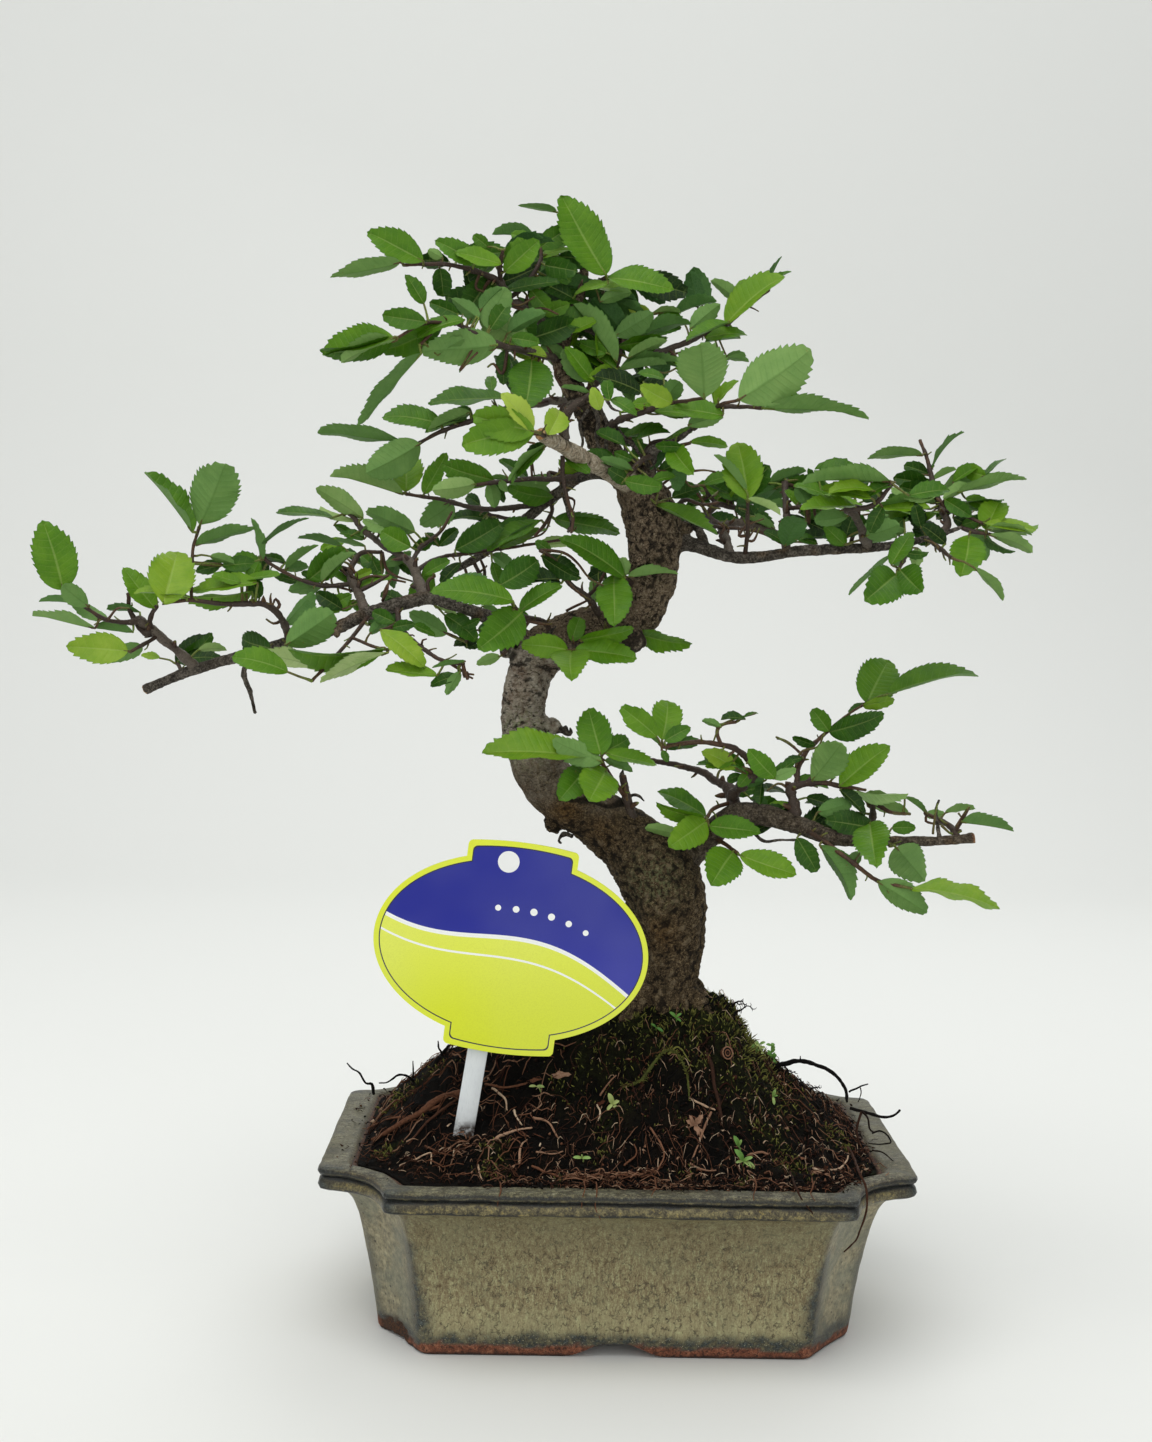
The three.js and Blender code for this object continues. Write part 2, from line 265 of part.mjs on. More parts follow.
      [39.45,-32,283.89,38.66,-32.3,287.85,-0.671,0,0.741,0.723,0.219,0.655,15.88,7.95,0],
      [39.45,-32,283.89,39.21,-34.22,284.74,0.893,-0.197,-0.404,0.442,0.227,0.868,12.17,6.05,0],
      [40.17,-25.97,279.53,42.75,-24.01,279.74,-0.863,0.312,0.397,-0.324,-0.945,0.039,7.69,3.73,0],
    ],
  },
  shoot_right_upright: {
    stems: [[[54.83,-11,267.95,1.5],[56.25,-3.4,276.3,1.5],[56.46,2.8,284.37,1.4],[56.64,8.69,291.84,1.1],[57.08,9.94,294.42,0.8]],
      [[56.46,2.8,284.37,0.9],[60.64,-3.21,284.43,0.8],[71.05,-3.68,286.35,0.7],[80.84,-4,285.83,0.6]]],
    leaves: [
      [56.8,9.14,292.77,50.97,12.67,293.79,0.926,0.161,0.342,-0.371,0.562,0.74,14.95,7.2,0],
      [55.26,-8.7,270.47,54.63,-12.19,270.31,0.171,-0.826,0.537,0.274,0.564,0.779,17.79,9.34,0],
      [55.59,-6.92,272.43,57.44,-3.14,272.49,0.98,0.16,0.12,-0.023,-0.507,0.862,15.02,7.23,0],
      [71.3,-3.68,286.34,71.43,-3.21,287.79,-0.951,0,0.31,0.223,-0.696,0.683,13.77,6.87,1],
      [79.72,-3.96,285.89,80.63,-1.28,296.84,-0.98,0.162,0.112,-0.029,-0.681,0.732,14.78,7.43,1],
      [60.62,-3.18,284.43,61.1,0.3,284.31,-0.604,0.281,0.746,0.143,-0.882,0.448,8.55,4.13,1],
    ],
  },
  shoot_right_mid: {
    stems: [[[82.94,-15,270.41,1.9],[79.2,-24.34,275.71,1.7],[75.11,-32.19,280.25,1.5],[72.09,-36.17,281.95,1.2],[79.64,-40.77,282.81,0.9],[85.49,-44,289.92,0.6]]],
    leaves: [
      [81.03,-19.77,273.12,74.47,-20.58,270.7,-0.588,0.644,0.489,-0.481,-0.765,0.428,8.7,6.15,0],
      [85.49,-44,289.92,85.21,-43.54,290.93,-1,0,-0.009,-0.009,0.156,0.988,29,14.16,0],
      [82.1,-42.13,285.8,79.1,-45.15,287.75,-0.985,-0.156,-0.073,0.031,-0.579,0.815,15.35,7.39,0],
      [74.88,-37.86,282.27,74.38,-40.5,282.72,-0.99,-0.126,-0.062,0.017,-0.544,0.839,19.03,9.27,0],
      [80.65,-20.72,273.66,80.61,-24.36,273.71,0.911,-0.229,0.344,0.16,0.963,0.216,12.03,7.81,0],
      [80.48,-21.15,273.9,84.08,-15.67,275.21,0.953,0.266,-0.148,-0.037,0.582,0.812,9.59,4.39,0],
    ],
  },
  shoot_right_outer: {
    stems: [[[107.68,-15,275.37,1.6],[111.43,-9.75,279.16,1.4],[109.95,-6.08,284.19,1.3],[108.85,-2.17,288.95,1.1],[107.81,2.31,295.22,0.9],[106.82,7.45,303.38,0.7],[104.82,11,310.05,0.6]],
      [[109.59,-4.8,285.75,0.8],[112.05,-8.8,288.57,0.7],[117.79,-10.78,292,0.6],[123.29,-10.55,295.58,0.5]],
      [[109.95,-6.08,284.19,0.8],[114.97,-12.26,282.54,0.7],[122.57,-15.91,279.05,0.6]]],
    leaves: [
      [106.34,8.3,304.97,104.47,4.67,304.14,-0.991,-0.12,-0.066,-0.105,0.358,0.928,20.08,9.75,0],
      [107.33,4.8,299.18,107.94,5.3,299.33,0.627,0,0.779,-0.752,0.258,0.606,17.5,8.82,0],
      [108.06,1.24,293.72,106.76,0.3,293.29,-0.964,0.192,0.182,-0.208,-0.975,-0.073,13.15,8.11,0],
      [107.81,2.31,295.22,108.4,5.31,295.46,0.877,0.236,0.419,-0.48,0.454,0.751,10.18,4.69,0],
      [108.74,-1.68,289.63,108.48,-3.93,289.52,-0.992,-0.043,0.122,-0.125,0.572,-0.81,16.83,8.32,0],
      [110.01,-6.23,283.98,108.6,-7.65,283.38,-0.997,0.057,0.043,-0.056,-0.245,-0.968,23.26,11.69,0],
      [109.27,-3.64,287.16,108.35,-3.24,286.78,-0.998,0,-0.07,-0.069,0.219,0.973,20.75,10.36,0],
      [123.29,-10.55,295.58,124.1,-10.03,295.98,-0.753,0.604,0.261,-0.613,-0.788,0.056,9.13,5.55,1],
      [123.29,-10.55,295.58,124.31,-7.52,296.53,0.755,0.235,0.612,-0.549,-0.282,0.786,10.22,4.7,1],
      [108.79,-1.9,289.33,110.12,-1.06,289.75,0.897,0,0.442,-0.317,0.697,0.644,12.4,6.22,0],
      [114.67,-9.71,290.14,113.89,-13,290.04,0.964,-0.102,0.244,-0.2,0.323,0.925,23.62,12.07,1],
      [111.29,-7.57,287.7,112.82,-5.41,286.73,0.991,-0.114,0.069,0.018,-0.4,-0.917,18.55,9.45,1],
      [110.97,-7.04,287.33,109.64,-12.17,287.26,0.796,-0.294,-0.529,-0.304,-0.95,0.069,11.08,5.88,1],
      [113.35,-10.26,283.07,113.47,-8.06,281.37,0.925,0.246,-0.29,0.195,-0.961,-0.196,9.74,4.88,2],
      [122.57,-15.91,279.05,123.79,-12.03,279.63,0.997,-0.05,-0.056,-0.025,0.472,-0.881,18.95,9.55,2],
    ],
  },
  shoot_right_tip_low: {
    stems: [[[104.09,-16,273.19,1],[105.98,-27.46,269.35,0.9],[107.24,-38,266.3,0.6]]],
    leaves: [
      [104.18,-16.56,273,103.27,-13.44,271.22,0.139,0.791,0.595,-0.138,-0.58,0.803,16.31,8.3,0],
      [107.24,-38,266.3,114.85,-38.73,263.11,0.692,0,-0.722,0.69,0.295,0.661,14.44,7.18,0],
    ],
  },
  shoot_right_underside: {
    stems: [[[95.5,-16,271.65,1],[93.64,-26.73,267.11,0.9],[89.35,-38,261.97,0.6]]],
    leaves: [
      [95.5,-16,271.65,98.77,-11.02,275.04,-0.435,0.251,-0.865,0.284,0.95,0.133,12.41,6.22,0],
      [92.17,-30.59,265.34,87.83,-32.61,267.11,-0.729,-0.121,-0.674,-0.678,0.261,0.687,19.85,9.74,0],
      [94.26,-23.15,268.62,93.49,-27.29,268.43,0.982,0.19,-0.013,0.124,-0.688,-0.715,8.63,4.06,0],
      [94.88,-19.58,270.13,99.94,-16.44,270.35,0.041,0.692,-0.72,0.213,0.698,0.683,9.25,4.82,0],
      [89.35,-38,261.97,88.11,-41.4,260.19,-0.517,-0.782,-0.35,0.554,-0.616,0.56,25.08,12.91,0],
      [89.59,-37.36,262.26,89.6,-40.29,261.91,0.24,-0.88,-0.409,-0.692,-0.451,0.564,18.26,10.28,0],
    ],
  },
  shoot_right_tip: {
    stems: [[[115.43,-14,277.63,0.9],[119.39,-15.06,276.28,0.8],[124.04,-16,275.64,0.5]]],
    leaves: [
      [123.2,-15.83,275.76,123.28,-16.09,277,0.425,0.539,0.727,-0.179,-0.738,0.651,14.03,10.33,0],
      [118.21,-14.74,276.69,117.29,-16.93,275.12,-0.261,-0.735,-0.626,-0.006,-0.648,0.762,22.79,12.03,0],
      [119.63,-15.11,276.25,119.89,-14.28,277.02,0.422,0.582,-0.695,-0.058,0.783,0.62,14.27,8.28,0],
      [123.48,-15.89,275.72,122.97,-18.92,277.19,0.982,-0.158,-0.101,0.153,0.368,0.917,15.18,7.76,0],
      [124.04,-16,275.64,124.13,-18.63,275.18,0.92,-0.154,-0.36,0.39,0.446,0.806,15.61,7.93,0],
      [123.25,-15.84,275.75,123.34,-14.7,274.32,0.904,0.141,-0.403,-0.344,-0.317,-0.884,12.11,5.79,0],
    ],
  },
  shoot_crown_left_top: {
    stems: [[[-24.48,6,337.84,2.3],[-29.87,-2.47,345.5,2.2],[-36.79,-10.69,350.2,1.9],[-42.87,-16.23,351.86,1.7],[-44.88,-20.49,356.79,1.3],[-51.84,-25.13,359.13,1],[-58.08,-28.47,360.37,0.8],[-64.89,-31.84,360.57,0.7],[-76.49,-36,359.21,0.5]],
      [[-44.88,-20.49,356.79,0.9],[-45.11,-26.77,361.29,0.8],[-44.04,-31.82,365.63,0.6]],
      [[-42.87,-16.23,351.86,1],[-36.95,-9.79,358.2,0.9],[-31.99,-4.86,367.07,0.7],[-31.74,-3.92,372.07,0.5]]],
    leaves: [
      [-70.34,-33.79,359.94,-70.21,-36.43,360.57,-0.894,-0.117,0.433,0.189,-0.974,0.128,20.52,10.48,0],
      [-76.49,-36,359.21,-77.54,-39.31,359.54,-0.967,-0.103,-0.234,-0.254,0.29,0.923,23.38,11.72,0],
      [-64.21,-31.5,360.55,-63.96,-31.3,362.67,-0.844,-0.396,0.361,-0.3,0.907,0.295,5.76,3.66,0],
      [-54.37,-26.49,359.63,-53.38,-29.54,361.92,-0.887,-0.16,0.433,0.196,-0.98,0.039,14.98,7.62,0],
      [-44.97,-27.44,361.87,-44.67,-30.33,361.29,-0.968,-0.152,0.201,0.232,-0.85,0.473,15.75,7.92,1],
      [-44.89,-20.84,357.04,-44.63,-17.91,357.59,-0.998,0.06,0.015,-0.036,-0.369,-0.929,13.32,6.63,1],
      [-31.74,-3.92,372.07,-32.1,-3.71,372.79,-0.923,0,0.386,0.061,-0.987,0.147,10.99,5.52,2],
      [-31.74,-3.92,372.04,-32.09,-4.08,372.03,0.819,0,0.573,0.095,-0.986,-0.136,12.96,7.29,2],
      [-31.99,-4.86,367.07,-30.23,-5.65,365.93,0.862,-0.454,-0.226,-0.482,-0.872,-0.084,12.86,7.62,2],
      [-31.92,-4.59,368.49,-32.04,-2.72,368.86,0.922,0.206,0.326,-0.1,-0.689,0.718,11.64,5.61,2],
      [-45.03,-24.48,359.65,-43.75,-26.35,359.41,0.736,-0.153,0.66,-0.008,-0.976,-0.216,15.73,8.72,1],
      [-45.11,-26.77,361.29,-45.23,-23.15,361.97,-0.22,0.674,0.705,-0.069,-0.732,0.678,12.74,5.73,1],
      [-44.83,-28.11,362.44,-44.52,-24.9,362.99,0.626,0.255,0.737,0.282,-0.955,0.092,9.39,4.71,1],
      [-43.89,-18.39,354.36,-43.61,-16.25,354.88,0.967,0.132,0.219,-0.093,-0.616,0.782,19.33,9.53,0],
    ],
  },
  shoot_crown_right: {
    stems: [[[-21.16,6,349.12,2.2],[-12.22,7.85,345.74,2],[-1.45,9.15,341.24,1.7],[9.37,11.35,339.32,1.4],[18.26,11.9,342.06,1.2],[27.13,12.47,346.57,1],[35.45,14.56,350.61,0.9],[42.63,16.23,357.07,0.8],[50.45,20,363.58,0.5]]],
    leaves: [
      [-8.82,8.26,344.32,-10.25,12.59,341.56,-0.709,0.049,0.704,0.333,-0.856,0.395,32.84,15.78,0],
      [-19.05,6.44,348.32,-21.03,10.82,344.25,-0.894,0.226,0.387,-0.056,-0.913,0.404,18.12,8.69,0],
      [41.61,15.99,356.15,38.9,15.25,358.96,-0.82,0,0.573,0.402,0.712,0.575,12,6.02,0],
      [34.71,14.37,350.25,34.46,11.3,349.72,0.754,-0.091,0.651,-0.508,-0.71,0.489,26.5,13.36,0],
      [50.45,20,363.58,50.45,20.78,366.94,0.415,0,0.91,-0.892,-0.194,0.407,9.91,5,0],
      [50.45,20,363.58,50.9,20.96,364.48,0.767,0,0.642,-0.579,-0.431,0.692,9.7,4.88,0],
      [42.58,16.22,357.03,38.12,19.33,362.85,0.757,0.29,0.586,-0.157,-0.79,0.593,8.28,3.75,0],
      [23.36,12.23,344.65,21.76,12.61,347.9,0.757,0,0.653,-0.049,0.997,0.056,13.87,7.14,0],
      [35.84,14.65,350.96,35.35,9.42,350.15,-0.87,-0.267,-0.415,-0.245,-0.496,0.833,17.77,8.28,0],
      [26.44,12.43,346.22,27.12,11.71,344.69,0.993,0,0.115,-0.084,-0.679,0.729,15.05,7.52,0],
      [30.65,13.35,348.28,35.43,15.19,338.63,0.954,0.28,-0.107,-0.076,0.571,0.817,8.56,4.01,0],
    ],
  },
  shoot_crown_left_low: {
    stems: [[[-14.22,3,316.66,2],[-24.15,18,322.07,1.8],[-35.07,26.94,321.45,1.5],[-46.04,29.18,319.31,1.2],[-58.81,29.92,314.76,0.9],[-67.92,30.02,311.31,0.8],[-75.91,30,306.77,0.6]]],
    leaves: [
      [-75.91,30,306.77,-81.81,30.29,307.77,-0.993,0,0.121,0.116,0.285,0.951,31.04,15.07,0],
      [-75.35,30,307.09,-74.92,26.43,306.45,-0.862,-0.107,-0.496,-0.151,0.987,0.049,22.38,12.77,0],
      [-66.67,30.01,311.78,-67.57,29.55,314.18,-0.994,0,0.113,0.068,-0.8,0.596,21.76,10.9,0],
      [-57.5,29.84,315.23,-57.89,33.22,316.23,-0.954,0.127,-0.27,-0.291,-0.597,0.747,16.66,8.22,0],
      [-55.5,29.73,315.94,-57.09,30.33,320.3,-0.787,0.376,-0.489,0.249,0.919,0.306,8.52,5.13,0],
      [-43.37,28.63,319.83,-44.27,28.24,323.96,-0.997,0,-0.072,-0.06,-0.553,0.831,28.16,13.84,0],
      [-46.53,29.2,319.13,-49.21,32.48,326.55,-0.108,0.745,0.658,-0.094,-0.667,0.739,10.36,4.78,0],
    ],
  },
  shoot_crown_left_mid: {
    stems: [[[-23.72,6,335.06,1.6],[-34.7,-17.26,334.29,1.3],[-44.58,-29.23,334.69,1.1],[-54.43,-34.6,338.63,0.9],[-62.57,-37.67,340.59,0.8],[-70.47,-40.67,332.47,0.5]],
      [[-61.05,-37.09,340.23,0.7],[-68.79,-42.7,339.34,0.6],[-77.42,-48,333.49,0.5]]],
    leaves: [
      [-70.47,-40.67,332.47,-70.05,-41.41,329.76,-0.648,0,-0.762,-0.752,0.16,0.64,31.37,15.18,0],
      [-59.49,-36.5,339.85,-58.39,-36.54,343.48,-0.933,0,0.36,-0.047,-0.991,-0.122,10.33,5.62,0],
      [-68.49,-42.48,339.37,-68.22,-46.31,339.1,-0.99,0.015,0.137,-0.026,-0.997,-0.076,14.49,7.25,1],
      [-77.42,-48,333.49,-77.74,-48.02,333.81,-0.976,-0.03,-0.217,0.216,-0.306,-0.927,25.07,12.56,1],
      [-77.42,-48,333.49,-77.35,-48.63,332.76,-0.924,0,-0.382,-0.34,0.456,0.823,19.51,9.75,1],
      [-62.57,-37.67,340.59,-62.63,-36.87,341.38,-0.889,0.028,-0.457,0.373,-0.537,-0.757,23.66,11.82,0],
      [-45.37,-29.66,335.01,-45.5,-31.83,334.29,-0.959,-0.257,-0.12,-0.282,0.816,0.504,26.19,12.8,0],
      [-53.65,-34.17,338.31,-51.69,-30.73,343.25,-0.788,0.205,0.581,0.391,0.895,0.216,11.73,5.6,0],
      [-35.14,-17.79,334.31,-34.71,-18.74,336.1,-0.854,-0.221,0.471,-0.213,0.974,0.071,19.89,11.57,0],
      [-49.05,-31.66,336.48,-51.87,-29.48,331.19,-0.731,0.275,-0.624,-0.601,0.173,0.78,8.74,4.26,0],
      [-30.02,-7.34,334.62,-30.94,-9.3,330.72,-0.871,-0.128,0.475,0.405,-0.733,0.546,18.72,9.45,0],
      [-23.72,6,335.06,-24.02,13.14,333.21,-0.531,-0.196,0.824,0.118,0.946,0.301,11.06,8.22,0],
      [-33.41,-14.52,334.38,-33.95,-18.2,331.47,-0.062,-0.727,-0.684,0.113,-0.686,0.718,27.6,14.65,0],
      [-42.65,-26.89,334.61,-43.01,-24.74,333.71,-0.047,0.206,-0.978,-0.384,-0.907,-0.172,11.68,5.91,0],
    ],
  },
  shoot_crown_leader: {
    stems: [[[-16.84,4,361.43,1.9],[-16.62,5.39,369.36,1.6],[-18.5,6.47,376.15,1.3],[-21.76,8.25,381.68,1.1],[-25.39,9,386.65,0.8]],
      [[-16.84,4,361.43,0.9],[-13.04,0.26,361.19,0.8],[-8.93,-1.96,362.95,0.6]]],
    leaves: [
      [-25.39,9,386.65,-26.47,9.88,387.51,-0.984,0,0.177,0.165,0.367,0.915,14.08,7.05,0],
      [-8.93,-1.96,362.95,-9.02,-5.37,363.01,-0.509,-0.076,0.858,0.201,-0.979,0.033,31.69,15.62,1],
      [-8.93,-1.96,362.95,-8.62,-3.86,362.26,0.98,-0.101,-0.171,0.007,-0.841,0.54,23.72,11.83,1],
      [-15.28,2.47,361.33,-15.05,3.23,359.59,0.999,0,-0.046,0.037,-0.602,0.798,15.5,7.75,1],
      [-13.04,0.26,361.19,-10.82,-0.26,354.57,0.936,0.099,0.337,-0.262,0.836,0.483,11.55,5.7,1],
    ],
  },
  shoot_crown_right_inner: {
    stems: [[[-17.82,4,321.6,1.5],[-10.2,3.66,328.02,1.2],[-5,4.08,333.43,1],[-2.66,4.75,340.57,0.7],[-2.71,5.16,344.13,0.5]],
      [[-2.66,4.8,341.11,0.7],[2.34,9.23,347.31,0.6],[7.43,14,353.12,0.5]]],
    leaves: [
      [-4.62,4.19,334.61,-4.39,1.58,334.15,-0.605,-0.096,0.79,0.703,0.401,0.587,25.05,12.68,0],
      [-2.71,5.16,344.13,-2.67,7.55,346.25,-0.684,-0.381,0.622,-0.184,0.915,0.359,15.99,10.62,0],
      [7.43,14,353.12,7.43,14.44,353.91,-0.994,0,0.113,-0.019,-0.986,-0.166,7.94,4.29,1],
      [7.43,14,353.12,8.23,15.94,353.81,0.971,0.221,0.09,-0.173,0.397,0.901,10.86,5.2,1],
      [-2.71,5.12,343.77,-5.24,2.83,343.37,0.825,0.166,0.54,-0.139,0.986,-0.092,16.16,8.09,0],
      [1.56,8.54,346.35,3.79,8.66,344.44,0.959,0,0.282,-0.246,0.493,0.834,18.76,9.38,1],
      [-2.91,4.68,339.8,-4.17,1.23,339.67,0.984,-0.001,0.177,0.142,-0.597,-0.79,17.77,8.89,0],
      [-3.79,4.42,337.1,-0.65,-0.9,335.27,0.897,-0.156,0.414,-0.29,0.498,0.817,14.92,7.52,0],
      [-6.56,3.95,331.81,-6.34,5.32,331.82,-0.815,0.17,0.554,0.044,-0.935,0.353,17.98,8.77,0],
      [-12.61,3.76,325.99,-13.77,-0.61,326.7,-0.669,-0.134,0.731,-0.145,0.988,0.049,14.99,7.58,0],
      [-6.39,3.97,331.99,-5.75,1.06,330.91,-0.731,-0.624,-0.276,0.631,-0.772,0.073,11.62,5.97,0],
      [-5,4.08,333.43,-3.23,3.82,332.38,0.99,0,0.139,-0.137,0.183,0.974,20.6,10.3,0],
      [-5,4.08,333.43,0.49,7.02,329.38,0.914,0.256,0.315,-0.191,-0.414,0.89,9.38,4.43,0],
      [-5.35,4.05,333.07,-1.47,1.71,329,0.29,-0.239,-0.927,0.144,0.968,-0.205,10.03,4.92,0],
    ],
  },
  shoot_crown_right_low: {
    stems: [[[-10.54,2,308.23,1.4],[-3.28,-9.53,312.73,1.2],[4.89,-18.85,314.6,1],[11.26,-25.9,316.62,0.7],[19.03,-35.18,317.02,0.6],[23.15,-42,316.95,0.5]]],
    leaves: [
      [23.15,-42,316.95,22.87,-45.73,316.5,-0.124,-0.831,0.543,-0.031,0.55,0.835,27.12,16.34,0],
      [13.43,-28.49,316.73,13.31,-31.02,316.4,-0.878,-0.193,0.438,0.112,-0.972,-0.205,12.45,7.03,0],
      [11.26,-25.9,316.62,10.9,-25.93,317.95,0.458,-0.717,0.526,0.435,0.696,0.571,10.45,6.74,0],
      [6.65,-20.8,315.16,6.89,-19.8,314.88,0.998,0,-0.068,0.055,-0.595,0.802,19.16,9.57,0],
      [-2.52,-10.4,312.91,-3.36,-10.3,315.39,0.994,0,0.105,-0.099,-0.327,0.94,28.45,13.94,0],
      [-5.68,-5.73,311.25,-2.32,-5.25,306.98,0.954,0,0.299,-0.232,-0.63,0.741,14.88,7.44,0],
    ],
  },
  shoot_upper_right_inner: {
    stems: [[[7.94,-12,300.35,1.2],[3.58,-18,297.69,0.9],[-0.72,-26,292.22,0.6]]],
    leaves: [
      [2.04,-20.87,295.73,7.67,-21.11,291.08,0.975,0,0.223,-0.117,-0.851,0.512,8.35,4.17,0],
      [0.95,-22.89,294.34,0.64,-24.65,294.37,-0.942,-0.099,0.32,0.221,0.535,0.815,11.61,5.78,0],
      [-0.72,-26,292.22,-1.78,-28.22,290.35,0.97,-0.188,-0.152,-0.198,-0.979,-0.052,12.75,6.73,0],
      [2.72,-19.6,296.6,0.91,-15.98,298.49,-0.857,0.334,0.393,-0.344,-0.938,0.046,7.19,3.77,0],
    ],
  },
  shoot_upper_right_mid: {
    stems: [[[11.77,-16,303.83,1],[15.53,-22,303,0.7],[19.98,-26,303.72,0.5]]],
    leaves: [
      [11.77,-16,303.83,11.82,-14.53,305.67,0.904,0.064,0.423,0.409,-0.416,-0.812,12.87,6.38,0],
      [17.9,-24.13,303.38,17.91,-27.11,302.23,-0.966,0.254,0.038,-0.22,-0.744,-0.631,9.99,4.89,0],
      [14.34,-20.1,303.26,14.15,-22.49,302.25,0.393,-0.713,-0.581,-0.52,-0.693,0.499,16.5,8.83,0],
      [19.98,-26,303.72,20.02,-25.41,304.11,0.996,0,-0.084,0.059,-0.705,0.707,12.93,6.46,0],
    ],
  },
  shoot_upper_right_tip: {
    stems: [[[21.1,-23,309.08,1.2],[27.85,-29.71,315.19,1],[35.93,-32.89,315.32,0.8],[42.96,-36,314.78,0.6]],
      [[27.85,-29.71,315.19,0.8],[29.59,-36.53,315.76,0.7],[34.4,-41.51,316.59,0.5]]],
    leaves: [
      [34.4,-41.51,316.59,34.54,-43.49,316.36,0.81,-0.085,0.58,0.044,0.995,0.084,28.27,17.06,1],
      [42.96,-36,314.78,43.36,-38.4,314.51,0.996,-0.069,-0.054,0.066,0.181,0.981,34.6,16.62,0],
      [28.36,-31.7,315.36,28.3,-28.1,316.38,0.646,-0.068,0.76,-0.607,-0.649,0.458,11.04,5.6,1],
      [27.99,-30.23,315.23,27.38,-31.19,316.01,-0.09,0,0.996,0.68,-0.731,0.061,9.98,5.03,1],
      [21.1,-23,309.08,18.96,-29.1,309.41,0.89,-0.348,0.295,0.231,0.901,0.366,12.68,6.72,0],
    ],
  },
  shoot_trunk_left: {
    stems: [[[-9.39,-2,245.63,1.3],[-13.12,-8,251.1,1.2],[-18.81,-12,255.07,1],[-22.01,-15,259.07,0.9],[-24.49,-18,263.05,0.7],[-28.31,-20,265.97,0.6]],
      [[-13.59,-8.33,251.43,0.8],[-10.32,-4,254.7,0.7],[-6.83,0,261.18,0.5]]],
    leaves: [
      [-28.31,-20,265.97,-29.64,-21.92,264.85,0.851,-0.145,-0.504,-0.487,-0.575,-0.657,15.75,7.8,0],
      [-6.83,0,261.18,-6.06,2.94,261.98,-0.865,0.085,-0.495,-0.067,-0.996,-0.053,8.09,4.96,1],
      [-11.78,-5.84,249.13,-10.19,-2.28,250.18,-0.19,0.303,0.934,0.085,0.953,-0.292,7.92,3.87,0],
      [-20.73,-13.8,257.47,-22.64,-17.47,255.92,-0.998,0.057,-0.002,-0.027,-0.442,0.897,21.69,10.81,0],
    ],
  },
  shoot_trunk_bend_front: {
    stems: [[[-17.29,-1,236.33,1],[-17.7,-13,232.97,0.8]]],
    leaves: [
      [-17.7,-13,232.97,-19.79,-15.52,232.96,-0.985,-0.146,0.088,0.147,-0.989,0,16.43,8.62,0],
      [-17.7,-13,232.97,-18.4,-15.36,232.64,-0.001,-0.929,-0.37,-0.021,-0.37,0.929,24.36,13.45,0],
      [-17.69,-12.88,233,-17.39,-16.25,233.02,0.988,-0.111,-0.107,-0.014,-0.755,0.655,21.57,10.77,0],
      [-17.35,-2.54,235.9,-18.39,-6.61,236.01,0.287,0.307,0.907,0.218,-0.943,0.25,9.3,6.29,0],
    ],
  },
  shoot_trunk_mid: {
    stems: [[[2.51,2,256.48,1.2],[0.05,-6,258.35,0.8],[-2.19,-10,258.9,0.6]]],
    leaves: [
      [-0.28,-6.6,258.44,-0.52,-12.12,258.19,-0.843,-0.208,0.497,0.487,-0.688,0.538,27.02,13.17,0],
      [-2.19,-10,258.9,-4.35,-12.21,259.15,0.01,-0.653,-0.757,-0.05,-0.757,0.652,22.8,12.8,0],
      [0.26,-5.33,258.2,0.7,-7.24,258.68,0.984,-0.137,0.115,-0.063,0.335,0.94,17.53,8.76,0],
      [-0.62,-7.2,258.52,-0.37,-7.27,259.36,-0.177,-0.547,0.818,-0.068,0.836,0.545,7.44,4.53,0],
    ],
  },
  shoot_trunk_bend_right: {
    stems: [[[-1.34,4,240.86,0.9],[-8.67,-8,237.95,0.8],[-15,-14,236.14,0.6]]],
    leaves: [
      [-15,-14,236.14,-15.71,-14.95,236.48,0.98,0.001,0.201,0.16,-0.609,-0.777,18.95,9.48,0],
      [-1.34,4,240.86,2.78,-0.03,239.53,0.977,-0.091,-0.192,-0.206,-0.626,-0.752,21.65,10.84,0],
    ],
  },
  shoot_trunk_upper_front: {
    stems: [[[9.85,-2,284.19,1],[9.77,-10,284.37,0.7]]],
    leaves: [
      [9.82,-5.2,284.26,10.24,-7.85,283.83,0.904,-0.102,-0.415,0.319,-0.484,0.815,23.5,11.74,0],
    ],
  },
  shoot_low_trunk_front: {
    stems: [[[3.81,-8,174.44,2.4],[1.8,-11,181.72,1.9],[0.17,-13,189.54,1.2]],
      [[1.95,-10.77,181.15,0.9],[-3.8,-18,189.18,0.8],[-7.16,-24,194.41,0.7],[-7.97,-27,197,0.5]]],
    leaves: [
      [-7.97,-27,197,-13.11,-29.81,196.77,-0.997,-0.068,0.044,0.073,-0.524,0.848,35.22,16.8,1],
      [-7.4,-24.91,195.19,-7.67,-29.93,195.52,-0.91,-0.143,0.39,-0.297,0.881,-0.367,18.74,9.24,1],
      [-7.97,-27,197,-8.03,-29.1,197.83,-0.244,0.506,0.827,-0.148,-0.862,0.484,18.65,12.19,1],
      [-7.97,-27,197,-7.31,-26.58,198.69,0.723,0.591,0.359,0.487,-0.804,0.341,12.51,7.48,1],
      [-7.97,-27,197,-6.69,-28.94,198.52,0.982,-0.024,-0.188,0.152,-0.491,0.858,18,9,1],
      [-7.52,-25.36,195.58,-6.55,-25.8,195.92,0.937,0,-0.349,0.194,0.831,0.521,10.26,5.12,1],
      [-7.25,-24.34,194.7,-12.95,-25,193.01,-0.495,-0.673,-0.549,0.388,-0.737,0.554,17.6,10.91,1],
